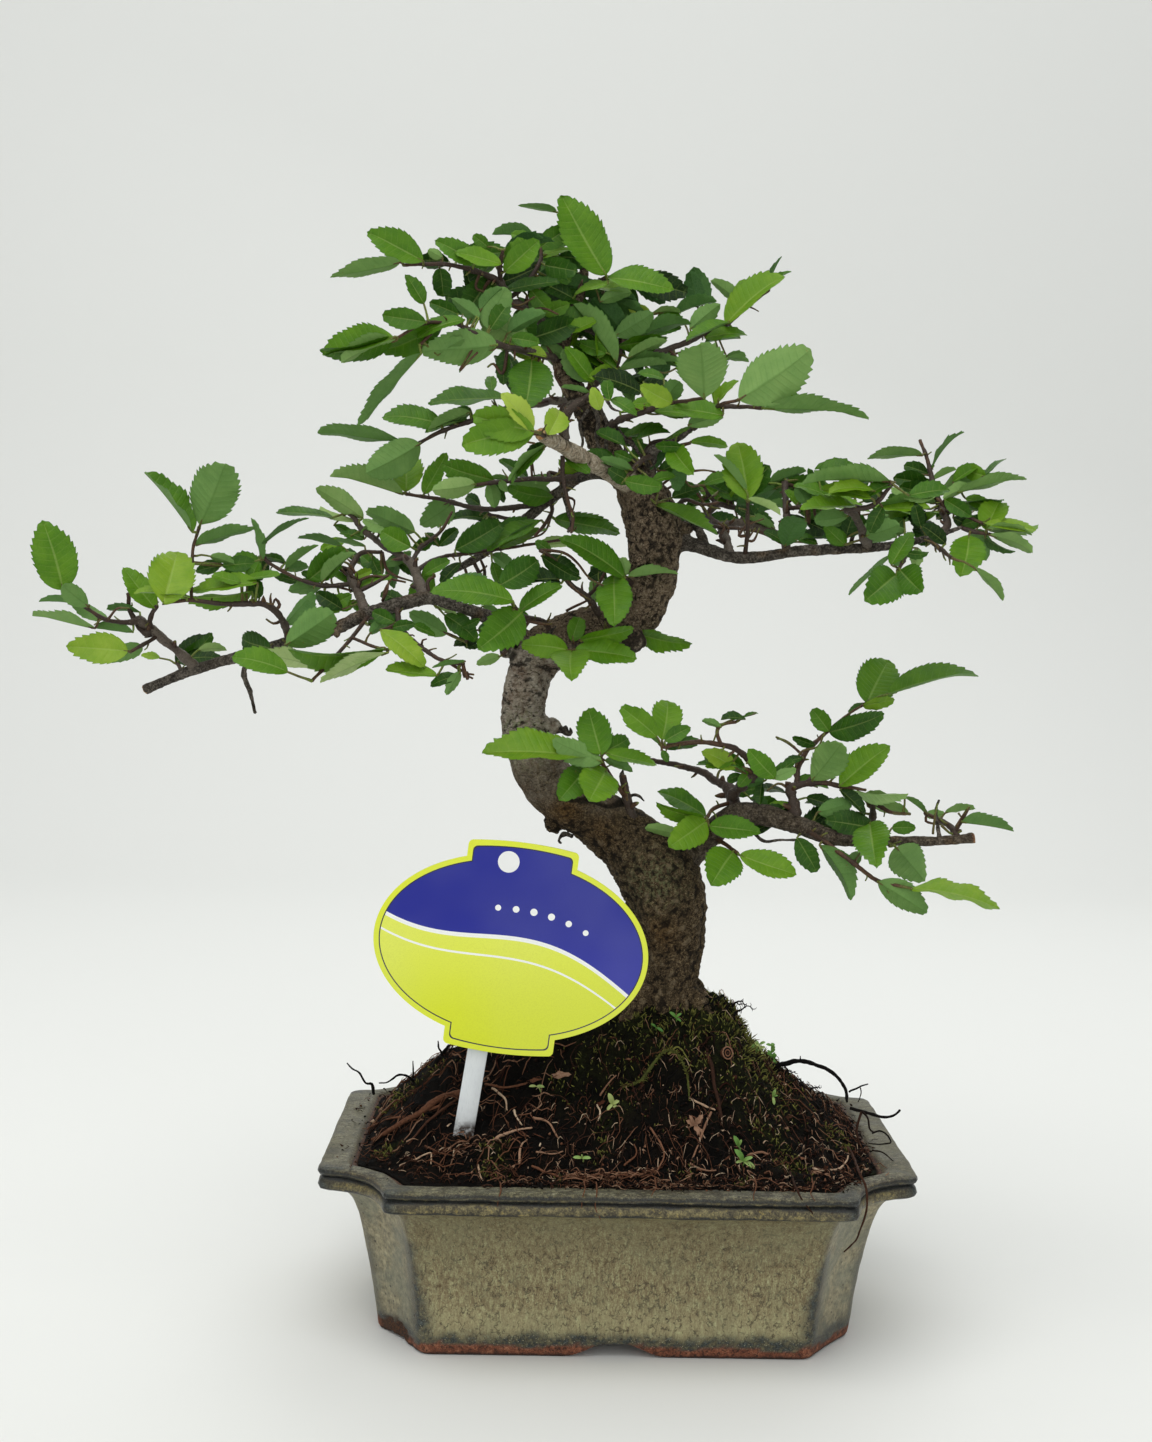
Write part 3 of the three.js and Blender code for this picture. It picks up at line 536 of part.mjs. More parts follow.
      [-5.81,-21.6,192.32,-6.11,-24.49,192.41,-0.236,-0.914,-0.329,0.404,-0.4,0.822,24.22,13.65,1],
    ],
  },
  shoot_low_inner_long: {
    stems: [[[40.37,-7,176.41,3.2],[39.76,-1.19,180.79,2.9],[38.41,4.41,184.54,2.4],[33.83,10.04,186.86,1.7],[29.09,14.84,189.64,1.4],[22.15,20.01,190.94,1.2],[13.31,26.12,192.16,1],[5.06,32,192.7,0.6]],
      [[39.83,-1.85,180.29,0.9],[32.59,-7.02,178.39,0.8],[29.85,-11.37,175.26,0.6]]],
    leaves: [
      [30.08,-10.99,175.53,29.57,-10.31,175.85,-0.888,0,0.46,0.347,-0.658,0.668,19.13,9.54,1],
      [29.85,-11.37,175.26,28.52,-14.81,175.59,-0.94,-0.205,0.273,-0.08,-0.644,-0.76,18.06,8.68,1],
      [29.85,-11.37,175.26,29.28,-14.27,174.5,-0.699,-0.58,-0.419,0.408,-0.804,0.432,19.11,10.77,1],
      [29.85,-11.37,175.26,20.41,-13.41,169.36,-0.979,0.032,0.203,0.153,0.771,0.618,12.49,6.25,1],
      [29.85,-11.37,175.26,30.29,-15.11,172.87,0.988,-0.133,-0.083,-0.089,-0.913,0.397,18.07,9.08,1],
    ],
  },
  shoot_low_inner_upright: {
    stems: [[[39.1,-4,182.46,2.4],[43.2,-10.92,188.42,2.2],[46.05,-16.04,192.72,1.8],[40,-19.58,199.09,1.2],[33.56,-21.66,201.52,1],[25.8,-24.1,202.56,0.9],[18.83,-26.5,201.9,0.8],[12.58,-29,200.92,0.6]],
      [[33.23,-21.75,201.56,0.8],[31.73,-21.94,205.62,0.7],[32.96,-22.74,208.43,0.6],[38.05,-22.94,209.56,0.5]],
      [[44.37,-13.01,190.18,0.8],[48,-17.42,191.82,0.7],[51.54,-22.88,190.6,0.5]]],
    leaves: [
      [12.58,-29,200.92,10.69,-31.12,204.41,-0.776,-0.094,0.623,0.033,-0.994,-0.109,15.99,8.1,0],
      [12.97,-28.84,200.98,12.49,-29.63,203.33,0.137,0.674,0.726,0.141,-0.739,0.659,18.05,11.17,0],
      [13.93,-28.46,201.13,13.44,-30.84,203.09,0.869,0.133,0.478,0.009,-0.967,0.253,10.11,5.74,0],
      [12.58,-29,200.92,11.9,-28.75,201.57,-0.816,0,0.578,0.519,0.441,0.733,8.01,4,0],
      [13.54,-28.62,201.07,13.85,-24.78,200.33,0.939,0.297,0.173,0.059,-0.636,0.769,13.73,6.42,0],
      [12.58,-29,200.92,12.58,-29.37,199.93,0.465,0,-0.885,-0.018,-1,-0.01,4.56,2.71,0],
      [32.72,-22.58,207.87,32.78,-24.96,207.86,-0.893,-0.319,0.317,-0.042,0.762,0.647,7.53,3.45,1],
      [38.05,-22.94,209.56,40.88,-25.25,210.76,-0.989,-0.145,-0.011,0.094,-0.695,0.713,8.38,4.09,1],
      [38.05,-22.94,209.56,40.38,-23.33,211,0.942,0,0.334,-0.319,-0.305,0.897,5.4,2.7,1],
      [44.37,-13.01,190.18,39.04,-16.66,193.33,-0.893,-0.134,0.429,0.202,-0.973,0.116,13.48,6.57,2],
      [44.37,-13.01,190.18,42.82,-13.97,191.45,-0.983,0,0.182,0.179,-0.184,0.967,17.39,8.68,2],
      [51.54,-22.88,190.6,51.47,-26.4,190.89,-0.69,-0.171,0.703,0.098,-0.985,-0.143,14.05,7.15,2],
      [51.04,-22.1,190.78,50.69,-24.26,190.7,0.926,0.143,0.35,0.071,0.843,-0.533,8.97,4.38,2],
      [44.37,-13.01,190.18,41.38,-11.16,190.5,-0.911,0.008,-0.413,-0.053,-0.994,0.099,5.31,3.49,2],
    ],
  },
  shoot_low_mid_upright: {
    stems: [[[60.71,-11,172.98,2.6],[60.43,-9.09,179.8,2.4],[59.41,-7.72,185.28,1.9],[62.49,-7.94,187.12,1.6],[68.56,-9.55,188.42,1.2],[76.09,-10.93,187.27,0.8],[85.03,-12.08,186.14,0.5]],
      [[61.47,-7.9,186.51,1.1],[62.17,-4.02,192.08,1],[65.45,0.57,198.19,0.9],[69.29,3.24,201.65,0.8],[74.13,5.4,205.9,0.6],[81.85,7.74,212.02,0.5],[87.54,8,215.7,0.4]],
      [[64.69,-0.5,196.78,0.6],[60.34,5.67,200.62,0.5],[55.66,8.98,202.84,0.4]]],
    leaves: [
      [59.46,-7.79,184.99,57.74,-4.33,184.24,-0.98,0.2,0.023,-0.07,-0.447,0.892,12.01,6,0],
      [60.51,-9.67,177.72,54.71,-4.64,176.79,-0.825,0.446,0.347,-0.549,-0.776,-0.309,6.12,2.92,0],
      [68.52,2.71,200.96,68.39,-0.83,200.83,-0.949,-0.06,0.311,-0.112,-0.855,-0.507,8.74,4.31,1],
      [64.27,-1.09,195.99,63.37,-4.84,196.4,-0.98,-0.094,-0.174,0.027,-0.936,0.352,6.52,3.21,1],
      [66.7,-9.05,188.02,66.16,-11.6,189.25,0.374,-0.643,0.668,0.487,0.75,0.449,21.38,12.2,0],
      [76.09,-10.93,187.27,75.64,-13.83,187.52,0.743,-0.108,0.661,-0.413,-0.85,0.326,22.32,11.24,0],
      [75.43,-10.81,187.37,75.88,-7.71,186.99,0.982,0.148,-0.118,-0.147,0.2,-0.969,25.89,12.38,0],
      [73.76,5.23,205.58,73.88,3.56,205.29,0.942,0.127,0.31,0.242,-0.899,-0.366,21.54,10.48,1],
      [73.95,5.31,205.74,73.81,3.13,205.67,-0.611,0.163,0.775,-0.164,-0.983,0.078,9.89,6.41,1],
      [87.54,8,215.7,87.59,6.12,215.78,0.417,0.655,0.63,0.17,-0.737,0.654,24.78,15.37,1],
      [86.29,7.94,214.9,86.21,6.3,214.68,0.979,0.036,0.2,0.15,-0.793,-0.591,11.72,5.82,1],
      [87.54,8,215.7,94.75,4.6,219.19,0.965,-0.074,0.251,-0.261,-0.31,0.914,32.53,15.84,1],
      [87.29,7.99,215.54,87.64,10.74,215.59,-0.782,0.332,-0.528,-0.337,0.488,0.805,7.24,3.55,1],
      [76.3,-10.95,187.25,76.12,-11.01,185.88,0.736,0,-0.678,0.449,-0.749,0.488,12.68,6.3,0],
    ],
  },
  shoot_low_inner_hanging: {
    stems: [[[32.37,-4,168.16,1],[36.64,-12,165.99,0.8],[40.11,-20,163.88,0.6]]],
    leaves: [
      [38.91,-17.23,164.61,38.44,-19.28,164.45,-0.374,-0.852,-0.366,0.393,-0.503,0.77,23.25,13.11,0],
      [40.11,-20,163.88,40.43,-23.72,163.99,0.95,-0.118,-0.288,0.074,-0.814,0.577,20.42,10.3,0],
    ],
  },
  shoot_low_hanging: {
    stems: [[[63.17,-11,172.32,1.2],[70.14,-21.64,168.42,0.9],[78.06,-29.16,162.95,0.8],[85.48,-34.49,157.65,0.7],[91.43,-37.3,156.45,0.6],[96.86,-39,155.44,0.4]]],
    leaves: [
      [63.67,-11.76,172.04,63.29,-5.31,169.22,0.712,0.381,0.59,-0.001,-0.84,0.543,17.89,8.11,0],
      [63.43,-11.4,172.17,61.01,-14.84,169.21,0.51,-0.177,-0.842,-0.137,-0.983,0.123,13.58,7.64,0],
      [69.15,-20.12,168.97,67.85,-23.38,167.89,0.532,-0.111,-0.84,0.701,0.615,0.362,21.54,10.85,0],
      [86.22,-34.84,157.5,85.66,-37.41,157.38,0.85,-0.125,-0.512,0.277,0.933,0.232,19.19,9.74,0],
      [96.86,-39,155.44,96.42,-41.29,155.75,0.979,-0.081,-0.186,0.151,-0.319,0.936,29.69,14.63,0],
      [78.51,-29.48,162.63,82.17,-22.4,165.27,-0.408,0.757,-0.51,0.78,0.58,0.237,10.23,4.81,0],
    ],
  },
  shoot_low_outer: {
    stems: [[[83.8,-14,168.47,1.6],[88.63,-5.08,174.26,1.4],[90.39,2.08,179.98,1],[96,1.06,177.32,0.7],[104.1,6,176.25,0.5]]],
    leaves: [
      [89.37,-2.07,176.67,81.49,-2.71,177.43,-0.981,0,0.195,0.184,-0.322,0.929,16.7,8.33,0],
      [84.58,-12.55,169.41,83.87,-9.03,169.66,-0.961,0.105,0.256,-0.047,-0.973,0.224,14.86,8.77,0],
      [88.22,-5.84,173.77,86.38,-14.21,174.83,-0.082,-0.927,-0.367,-0.33,-0.322,0.887,31.69,12.87,0],
      [103.7,5.76,176.31,104.22,8.54,176,-0.977,-0.043,0.207,0.1,0.769,0.631,13.09,6.46,0],
      [101.41,4.36,176.61,101.97,5.17,182.41,0.804,0,-0.594,0.563,0.321,0.761,10.03,4.98,0],
      [92.63,1.67,178.92,95.23,3.73,183.49,-0.955,0.293,-0.044,0.139,0.574,0.807,8.19,4.11,0],
    ],
  },
  shoot_low_tip: {
    stems: [[[116.61,-17,170.11,1.4],[115.74,-10.8,173.25,1.2],[113.05,-3.08,175.2,0.9],[109.08,4,176.9,0.6]],
      [[116.12,-13.5,171.88,0.9],[119,-11.54,176.19,0.7],[121.98,-8.54,180.52,0.5]]],
    leaves: [
      [109.28,3.64,176.82,109.73,7.17,175.88,0.979,0.199,0.045,-0.199,0.98,-0.008,7.67,3.6,0],
      [113.1,-3.23,175.17,114.9,-2.36,177.65,0.983,0,0.183,-0.141,0.634,0.76,10.78,5.39,0],
      [118.66,-11.77,175.69,118.45,-14.12,175.76,0.981,-0.133,-0.142,0.189,0.473,0.861,17.99,9.18,1],
    ],
  },
  shoot_low_underside: {
    stems: [[[91.81,-14,168.62,0.8],[91.07,-28,168.51,0.6]]],
    leaves: [
      [91.81,-14,168.62,94.2,-13.61,173.16,1,0,0.018,-0.002,-0.994,0.108,8.37,4.87,0],
      [91.07,-28,168.51,92.62,-30.76,168.53,0.577,0.554,-0.599,-0.331,0.83,0.449,21.09,12.21,0],
    ],
  },
};

// ---------------------------------------------------------------- helpers
const V = (a) => new THREE.Vector3(a[0], a[1], a[2]);

function geometryFrom(positions, indices) {
  const g = new THREE.BufferGeometry();
  g.setAttribute('position', new THREE.Float32BufferAttribute(positions, 3));
  g.setIndex(indices);
  return g;
}

function toSolid(geometry, tolerance = 1e-4) {
  let g = geometry.clone();
  g.deleteAttribute('normal');
  g.deleteAttribute('uv');
  g = mergeVertices(g, tolerance);
  const index = Uint32Array.from(g.index.array);
  const verts = Float32Array.from(g.attributes.position.array);
  const make = (tri) => new wasm.Manifold(new wasm.Mesh({ numProp: 3, vertProperties: verts, triVerts: tri }));
  const s = make(index);
  if (s.volume() >= 0) return s;
  const flip = new Uint32Array(index.length);
  for (let i = 0; i < index.length; i += 3) { flip[i] = index[i]; flip[i + 1] = index[i + 2]; flip[i + 2] = index[i + 1]; }
  return make(flip);
}

function toGeometry(solid) {
  const m = solid.getMesh();
  const p = [];
  for (let i = 0; i < m.numVert; i++) p.push(m.vertProperties[i * m.numProp], m.vertProperties[i * m.numProp + 1], m.vertProperties[i * m.numProp + 2]);
  const g = geometryFrom(p, Array.from(m.triVerts));
  g.computeVertexNormals();
  return g;
}

// keeps the biggest closed shell, so crumbs and sealed pockets left by a join or cut go
function largest(solid) {
  const m = solid.getMesh();
  const root = Array.from({ length: m.numVert }, (_, i) => i);
  const find = (i) => { while (root[i] !== i) { root[i] = root[root[i]]; i = root[i]; } return i; };
  const tri = m.triVerts, vp = m.vertProperties, n = m.numProp;
  for (let i = 0; i < tri.length; i += 3) {
    const a = find(tri[i]);
    root[find(tri[i + 1])] = a;
    root[find(tri[i + 2])] = find(a);
  }
  const volume = new Map();
  for (let i = 0; i < tri.length; i += 3) {
    const [p, q, r] = [tri[i], tri[i + 1], tri[i + 2]].map((k) => new THREE.Vector3(vp[k * n], vp[k * n + 1], vp[k * n + 2]));
    const k = find(tri[i]);
    volume.set(k, (volume.get(k) ?? 0) + p.dot(q.clone().cross(r)) / 6);
  }
  if (volume.size === 1) return solid;
  const best = [...volume.entries()].sort((x, y) => y[1] - x[1])[0][0];
  const keep = [];
  for (let i = 0; i < tri.length; i += 3) if (find(tri[i]) === best) keep.push(tri[i], tri[i + 1], tri[i + 2]);
  const map = new Map();
  const pos = [];
  const idx = keep.map((k) => {
    if (!map.has(k)) { map.set(k, map.size); pos.push(vp[k * n], vp[k * n + 1], vp[k * n + 2]); }
    return map.get(k);
  });
  return new wasm.Manifold(new wasm.Mesh({ numProp: 3, vertProperties: Float32Array.from(pos), triVerts: Uint32Array.from(idx) }));
}

// snaps vertices closer than a micrometre together, then drops what that closes off
function settle(solid) {
  let s = largest(solid);
  for (let i = 0; i < 3; i++) s = largest(toSolid(toGeometry(s), 1e-3));
  return s;
}

// closed solid through a stack of rings with the same number of points
function loft(rings) {
  const n = rings[0].length;
  const pos = [];
  const idx = [];
  for (const r of rings) for (const p of r) pos.push(p[0], p[1], p[2]);
  for (let i = 0; i < rings.length - 1; i++) {
    for (let k = 0; k < n; k++) {
      const a = i * n + k, b = i * n + (k + 1) % n, c = a + n, d = b + n;
      idx.push(a, b, d, a, d, c);
    }
  }
  const cap = (ring, base, down) => {
    const flat = ring.map((p) => new THREE.Vector2(p[0], p[1]));
    for (const t of THREE.ShapeUtils.triangulateShape(flat, [])) {
      if (down) idx.push(base + t[0], base + t[2], base + t[1]);
      else idx.push(base + t[0], base + t[1], base + t[2]);
    }
  };
  cap(rings[0], 0, true);
  cap(rings[rings.length - 1], (rings.length - 1) * n, false);
  return geometryFrom(pos, idx);
}

// round tube of changing radius along a centre line
function tube(line, sides, grow = 0, minRadius = 0.55) {
  const n = line.length;
  const pts = line.map(V);
  const tangents = pts.map((p, i) => pts[Math.min(i + 1, n - 1)].clone().sub(pts[Math.max(i - 1, 0)]).normalize());
  let u = new THREE.Vector3().crossVectors(tangents[0], Math.abs(tangents[0].y) < 0.9 ? new THREE.Vector3(0, 1, 0) : new THREE.Vector3(1, 0, 0)).normalize();
  const pos = [];
  const idx = [];
  for (let i = 0; i < n; i++) {
    const t = tangents[i];
    u = u.clone().addScaledVector(t, -u.dot(t)).normalize();
    const w = new THREE.Vector3().crossVectors(t, u);
    const r = Math.max(line[i][3], minRadius) + grow;
    const c = pts[i].clone();
    if (i === 0) c.addScaledVector(t, -grow);
    if (i === n - 1) c.addScaledVector(t, grow);
    for (let k = 0; k < sides; k++) {
      const a = 2 * Math.PI * k / sides;
      pos.push(c.x + (u.x * Math.cos(a) + w.x * Math.sin(a)) * r, c.y + (u.y * Math.cos(a) + w.y * Math.sin(a)) * r, c.z + (u.z * Math.cos(a) + w.z * Math.sin(a)) * r);
    }
  }
  for (let i = 0; i < n - 1; i++) for (let k = 0; k < sides; k++) {
    const a = i * sides + k, b = i * sides + (k + 1) % sides, c = a + sides, d = b + sides;
    idx.push(a, b, d, a, d, c);
  }
  for (let k = 1; k < sides - 1; k++) {
    idx.push(0, k + 1, k);
    idx.push((n - 1) * sides, (n - 1) * sides + k, (n - 1) * sides + k + 1);
  }
  return geometryFrom(pos, idx);
}

// flat leaf blade with its stalk, as one thin plate. Short leaves get fewer corners.
function leafPlate(L, grow = 0) {
  const at = V(L), base = V(L.slice(3)), axis = V(L.slice(6)).normalize(), len = L[12], wid = L[13];
  const nrm = V(L.slice(9)); nrm.addScaledVector(axis, -nrm.dot(axis)).normalize();
  const side = new THREE.Vector3().crossVectors(nrm, axis).normalize();
  const stalk = base.clone().sub(at);
  const dir = stalk.length() > 0.5 ? stalk.clone().normalize() : axis.clone();
  let ps = new THREE.Vector3().crossVectors(nrm, dir);
  ps = ps.length() > 0.2 ? ps.normalize() : side.clone();
  const a0 = at.clone().addScaledVector(dir, -0.1);
  const rows = len > 13 ? [[0.16, 0.34], [0.5, 0.5], [0.84, 0.30]] : [[0.25, 0.42], [0.72, 0.42]];
  const at2 = (u, w) => base.clone().addScaledVector(axis, u * len).addScaledVector(side, w);
  const pts = [a0.clone().addScaledVector(ps, 0.45 + grow), a0.clone().addScaledVector(ps, -0.45 - grow)];
  for (const [u, w] of rows) pts.push(at2(u, -w * wid - grow));
  pts.push(at2(1, 0).addScaledVector(axis, grow));
  for (const [u, w] of rows.slice().reverse()) pts.push(at2(u, w * wid + grow));
  const n = pts.length;
  const h = LEAF_T / 2 + grow;
  const pos = [];
  for (const p of pts) { const q = p.clone().addScaledVector(nrm, h); pos.push(q.x, q.y, q.z); }
  for (const p of pts) { const q = p.clone().addScaledVector(nrm, -h); pos.push(q.x, q.y, q.z); }
  const top = n === 9
    ? [[0, 1, 2], [0, 2, 8], [8, 2, 3], [8, 3, 7], [7, 3, 4], [7, 4, 6], [6, 4, 5]]
    : [[0, 1, 2], [0, 2, 6], [6, 2, 3], [6, 3, 5], [5, 3, 4]];
  const idx = [];
  for (const [a, b, c] of top) { idx.push(a, b, c); idx.push(a + n, c + n, b + n); }
  for (let i = 0; i < n; i++) { const j = (i + 1) % n; idx.push(i, i + n, j + n, i, j + n, j); }
  return geometryFrom(pos, idx);
}

const join = (solids) => solids.reduce((a, b) => a.add(b));

// A three-sided stem with its leaves as one closed surface. Each leaf grows out of a
// triangle of the stem: a thin stalk, then a blade that is flat above and keeled below.
function leafyStem(line, leaves) {
  const sides = 3, reach = 0.6;
  const pts = line.map(V);
  const len = [0];
  for (let i = 1; i < pts.length; i++) len.push(len[i - 1] + pts[i].distanceTo(pts[i - 1]));
  const total = len[len.length - 1];
  const sample = (s) => {
    let i = 0;
    while (i < pts.length - 2 && s > len[i + 1]) i++;
    const t = Math.min(1, Math.max(0, (s - len[i]) / (len[i + 1] - len[i])));
    return { p: pts[i].clone().lerp(pts[i + 1], t), r: Math.max(0.6, line[i][3] + (line[i + 1][3] - line[i][3]) * t), i, t };
  };
  const items = leaves.map((L) => {
    const at = V(L);
    let best = [1e9, 0];
    for (let i = 0; i < pts.length - 1; i++) {
      const ab = pts[i + 1].clone().sub(pts[i]);
      const t = Math.min(1, Math.max(0, at.clone().sub(pts[i]).dot(ab) / ab.lengthSq()));
      const d = at.distanceTo(pts[i].clone().addScaledVector(ab, t));
      if (d < best[0]) best = [d, len[i] + t * (len[i + 1] - len[i])];
    }
    return { L, s: Math.min(best[1], total - reach - 0.05) };
  }).sort((p, q) => p.s - q.s);
  const clusters = [];
  for (const it of items) {
    const last = clusters[clusters.length - 1];
    if (last && it.s - last.s < 2 * reach + 0.5 && last.items.length < 6) last.items.push(it);
    else clusters.push({ s: Math.max(it.s, last ? last.s + 2 * reach + 0.5 : reach + 0.1), items: [it] });
  }
  for (let i = clusters.length - 1, hi = total - reach - 0.02; i >= 0; i--) {
    clusters[i].s = Math.min(clusters[i].s, hi);
    hi = clusters[i].s - 2 * reach - 0.3;
  }
  const stations = [];
  len.forEach((s) => { if (!clusters.some((c) => Math.abs(s - c.s) < reach + 0.25)) stations.push({ s }); });
  if (!stations.length || stations[0].s > 0) stations.push({ s: 0 });
  clusters.forEach((c) => { stations.push({ s: c.s - reach, open: c }); stations.push({ s: c.s + reach }); });
  if (!stations.some((q) => q.s > total - 1e-6)) {
    const top = stations.reduce((m, q) => (q.s > m.s ? q : m), stations[0]);
    if (total - top.s > 0.25) stations.push({ s: total });
  }
  stations.sort((p, q) => p.s - q.s);
  const pos = [], tris = [];
  let u = null;
  const slots = new Map();
  stations.forEach((st, k) => {
    const c = sample(st.s);
    const ahead = sample(Math.min(total, st.s + 0.8)).p.sub(sample(Math.max(0, st.s - 0.8)).p).normalize();
    if (!u) u = new THREE.Vector3().crossVectors(ahead, Math.abs(ahead.y) < 0.9 ? new THREE.Vector3(0, 1, 0) : new THREE.Vector3(1, 0, 0)).normalize();
    u = u.clone().addScaledVector(ahead, -u.dot(ahead)).normalize();
    const w = new THREE.Vector3().crossVectors(ahead, u);
    for (let j = 0; j < sides; j++) {
      const a = 2 * Math.PI * j / sides;
      pos.push(c.p.clone().addScaledVector(u, Math.cos(a) * c.r).addScaledVector(w, Math.sin(a) * c.r));
    }
    if (k > 0) {
      const mine = [];
      for (let j = 0; j < sides; j++) {
        const a = (k - 1) * sides + j, b = (k - 1) * sides + (j + 1) % sides, c2 = a + sides, d = b + sides;
        mine.push([a, b, d], [a, d, c2]);
      }
      if (stations[k - 1].open) slots.set(stations[k - 1].open, mine);
      else tris.push(...mine);
    }
  });
  tris.push([0, 2, 1]);
  const e = (stations.length - 1) * sides;
  const endCap = [e, e + 1, e + 2];
  const lastCluster = clusters[clusters.length - 1];
  const tipFree = lastCluster && total - lastCluster.s < 1.4;
  if (tipFree) slots.get(lastCluster).push(endCap); else tris.push(endCap);
  for (const c of clusters) {
    const free = slots.get(c);
    for (const it of c.items) {
      const L = it.L;
      const base = V(L.slice(3)), axis = V(L.slice(6)).normalize();
      const nrm = V(L.slice(9)); nrm.addScaledVector(axis, -nrm.dot(axis)).normalize();
      const side = new THREE.Vector3().crossVectors(nrm, axis).normalize();
      const leafLen = L[12], wid = L[13];
      let pick = 0, score = -1e9;
      free.forEach((t, i) => {
        const [A, B, C] = t.map((v) => pos[v]);
        const n = B.clone().sub(A).cross(C.clone().sub(A)).normalize();
        const mid = A.clone().add(B).add(C).divideScalar(3);
        const sc = n.dot(base.clone().addScaledVector(axis, 1).sub(mid).normalize());
        if (sc > score) { score = sc; pick = i; }
      });
      const slot = free.splice(pick, 1)[0];
      const [A, B, C] = slot.map((v) => pos[v]);
      const mid = A.clone().add(B).add(C).divideScalar(3);
      const rows = leafLen > 15 ? [[0.2, 0.4], [0.52, 0.5], [0.83, 0.31]] : leafLen > 8.5 ? [[0.28, 0.45], [0.72, 0.42]] : [[0.5, 0.5]];
      const rings = [];
      const ring = (u0, w0, h) => {
        const o = base.clone().addScaledVector(axis, u0 * leafLen);
        rings.push([o.clone().addScaledVector(side, w0), o.clone().addScaledVector(nrm, h), o.clone().addScaledVector(side, -w0)]
          .map((q, i) => (i === 1 ? q : q.addScaledVector(nrm, -LEAF_T * 0.35))));
      };
      if (base.distanceTo(mid) > 1.6) ring(0.02, 0.5, LEAF_T * 0.5);
      for (const [ru, rw] of rows) ring(ru, rw * wid, LEAF_T * 0.6);
      // turn the first ring so that it twists least against the stem's triangle
      let prev = slot, turn = 0, bestD = 1e9;
      for (let k = 0; k < 3; k++) {
        let d = 0;
        for (let j = 0; j < 3; j++) {
          const p0 = pos[slot[j]].clone().sub(mid);
          const q0 = rings[0][(j + k) % 3].clone().sub(base);
          d += p0.distanceToSquared(q0.normalize().multiplyScalar(0.7));
        }
        if (d < bestD) { bestD = d; turn = k; }
      }
      for (const rg of rings) {
        const id = [0, 1, 2].map((j) => { pos.push(rg[(j + turn) % 3]); return pos.length - 1; });
        for (let j = 0; j < 3; j++) {
          const j2 = (j + 1) % 3;
          tris.push([prev[j], prev[j2], id[j2]], [prev[j], id[j2], id[j]]);
        }
        prev = id;
      }
      pos.push(base.clone().addScaledVector(axis, leafLen));
      const tip = pos.length - 1;
      for (let j = 0; j < 3; j++) tris.push([prev[j], prev[(j + 1) % 3], tip]);
    }
    tris.push(...free);
  }
  return geometryFrom(pos.flatMap((p) => [p.x, p.y, p.z]), tris.flat());
}

// ---------------------------------------------------------------- pot outline
// Rectangle with indented corners. hw, hd: half width and depth; yc: half length of the end
// edges; wf: half width of the front edge; c: how far the corner is indented, 0 straight to 1.
function outline(z, hw, hd, yc, wf, c) {
  const dx = hw - wf, dy = hd - yc;
  const straight = [[0, 0], [0.25, 0.25], [0.5, 0.5], [0.75, 0.75], [1, 1]];
  const curved = [[0, 0], [0.44, 0.04], [0.72, 0.26], [0.84, 0.62], [1, 1]];
  const corner = straight.map((s, i) => [hw - dx * (s[0] + (curved[i][0] - s[0]) * c), yc + dy * (s[1] + (curved[i][1] - s[1]) * c)]);
  const q = [[hw, 0], ...corner, [0, hd]];
  const ring = [];
  for (const p of q) ring.push([p[0], p[1], z]);
  for (const p of q.slice(0, -1).reverse()) ring.push([-p[0], p[1], z]);
  for (const p of q.slice(1)) ring.push([-p[0], -p[1], z]);
  for (const p of q.slice(1, -1).reverse()) ring.push([p[0], -p[1], z]);
  return ring;
}

const CAVITY = [
  [FLOOR_Z, 70, 45, 26, 55, 0.1], [14, 74.5, 49.5, 29.5, 57.5, 0.15], [30, 77.5, 53.5, 32, 59.5, 0.2],
  [45, 80.5, 58.5, 36, 62, 0.3], [54, 84, 63.5, 41, 66, 0.4], [60.2, 87.6, 68, 46, 69.5, 0.5], [62.6, 89, 69.4, 47, 70.6, 0.5],
];

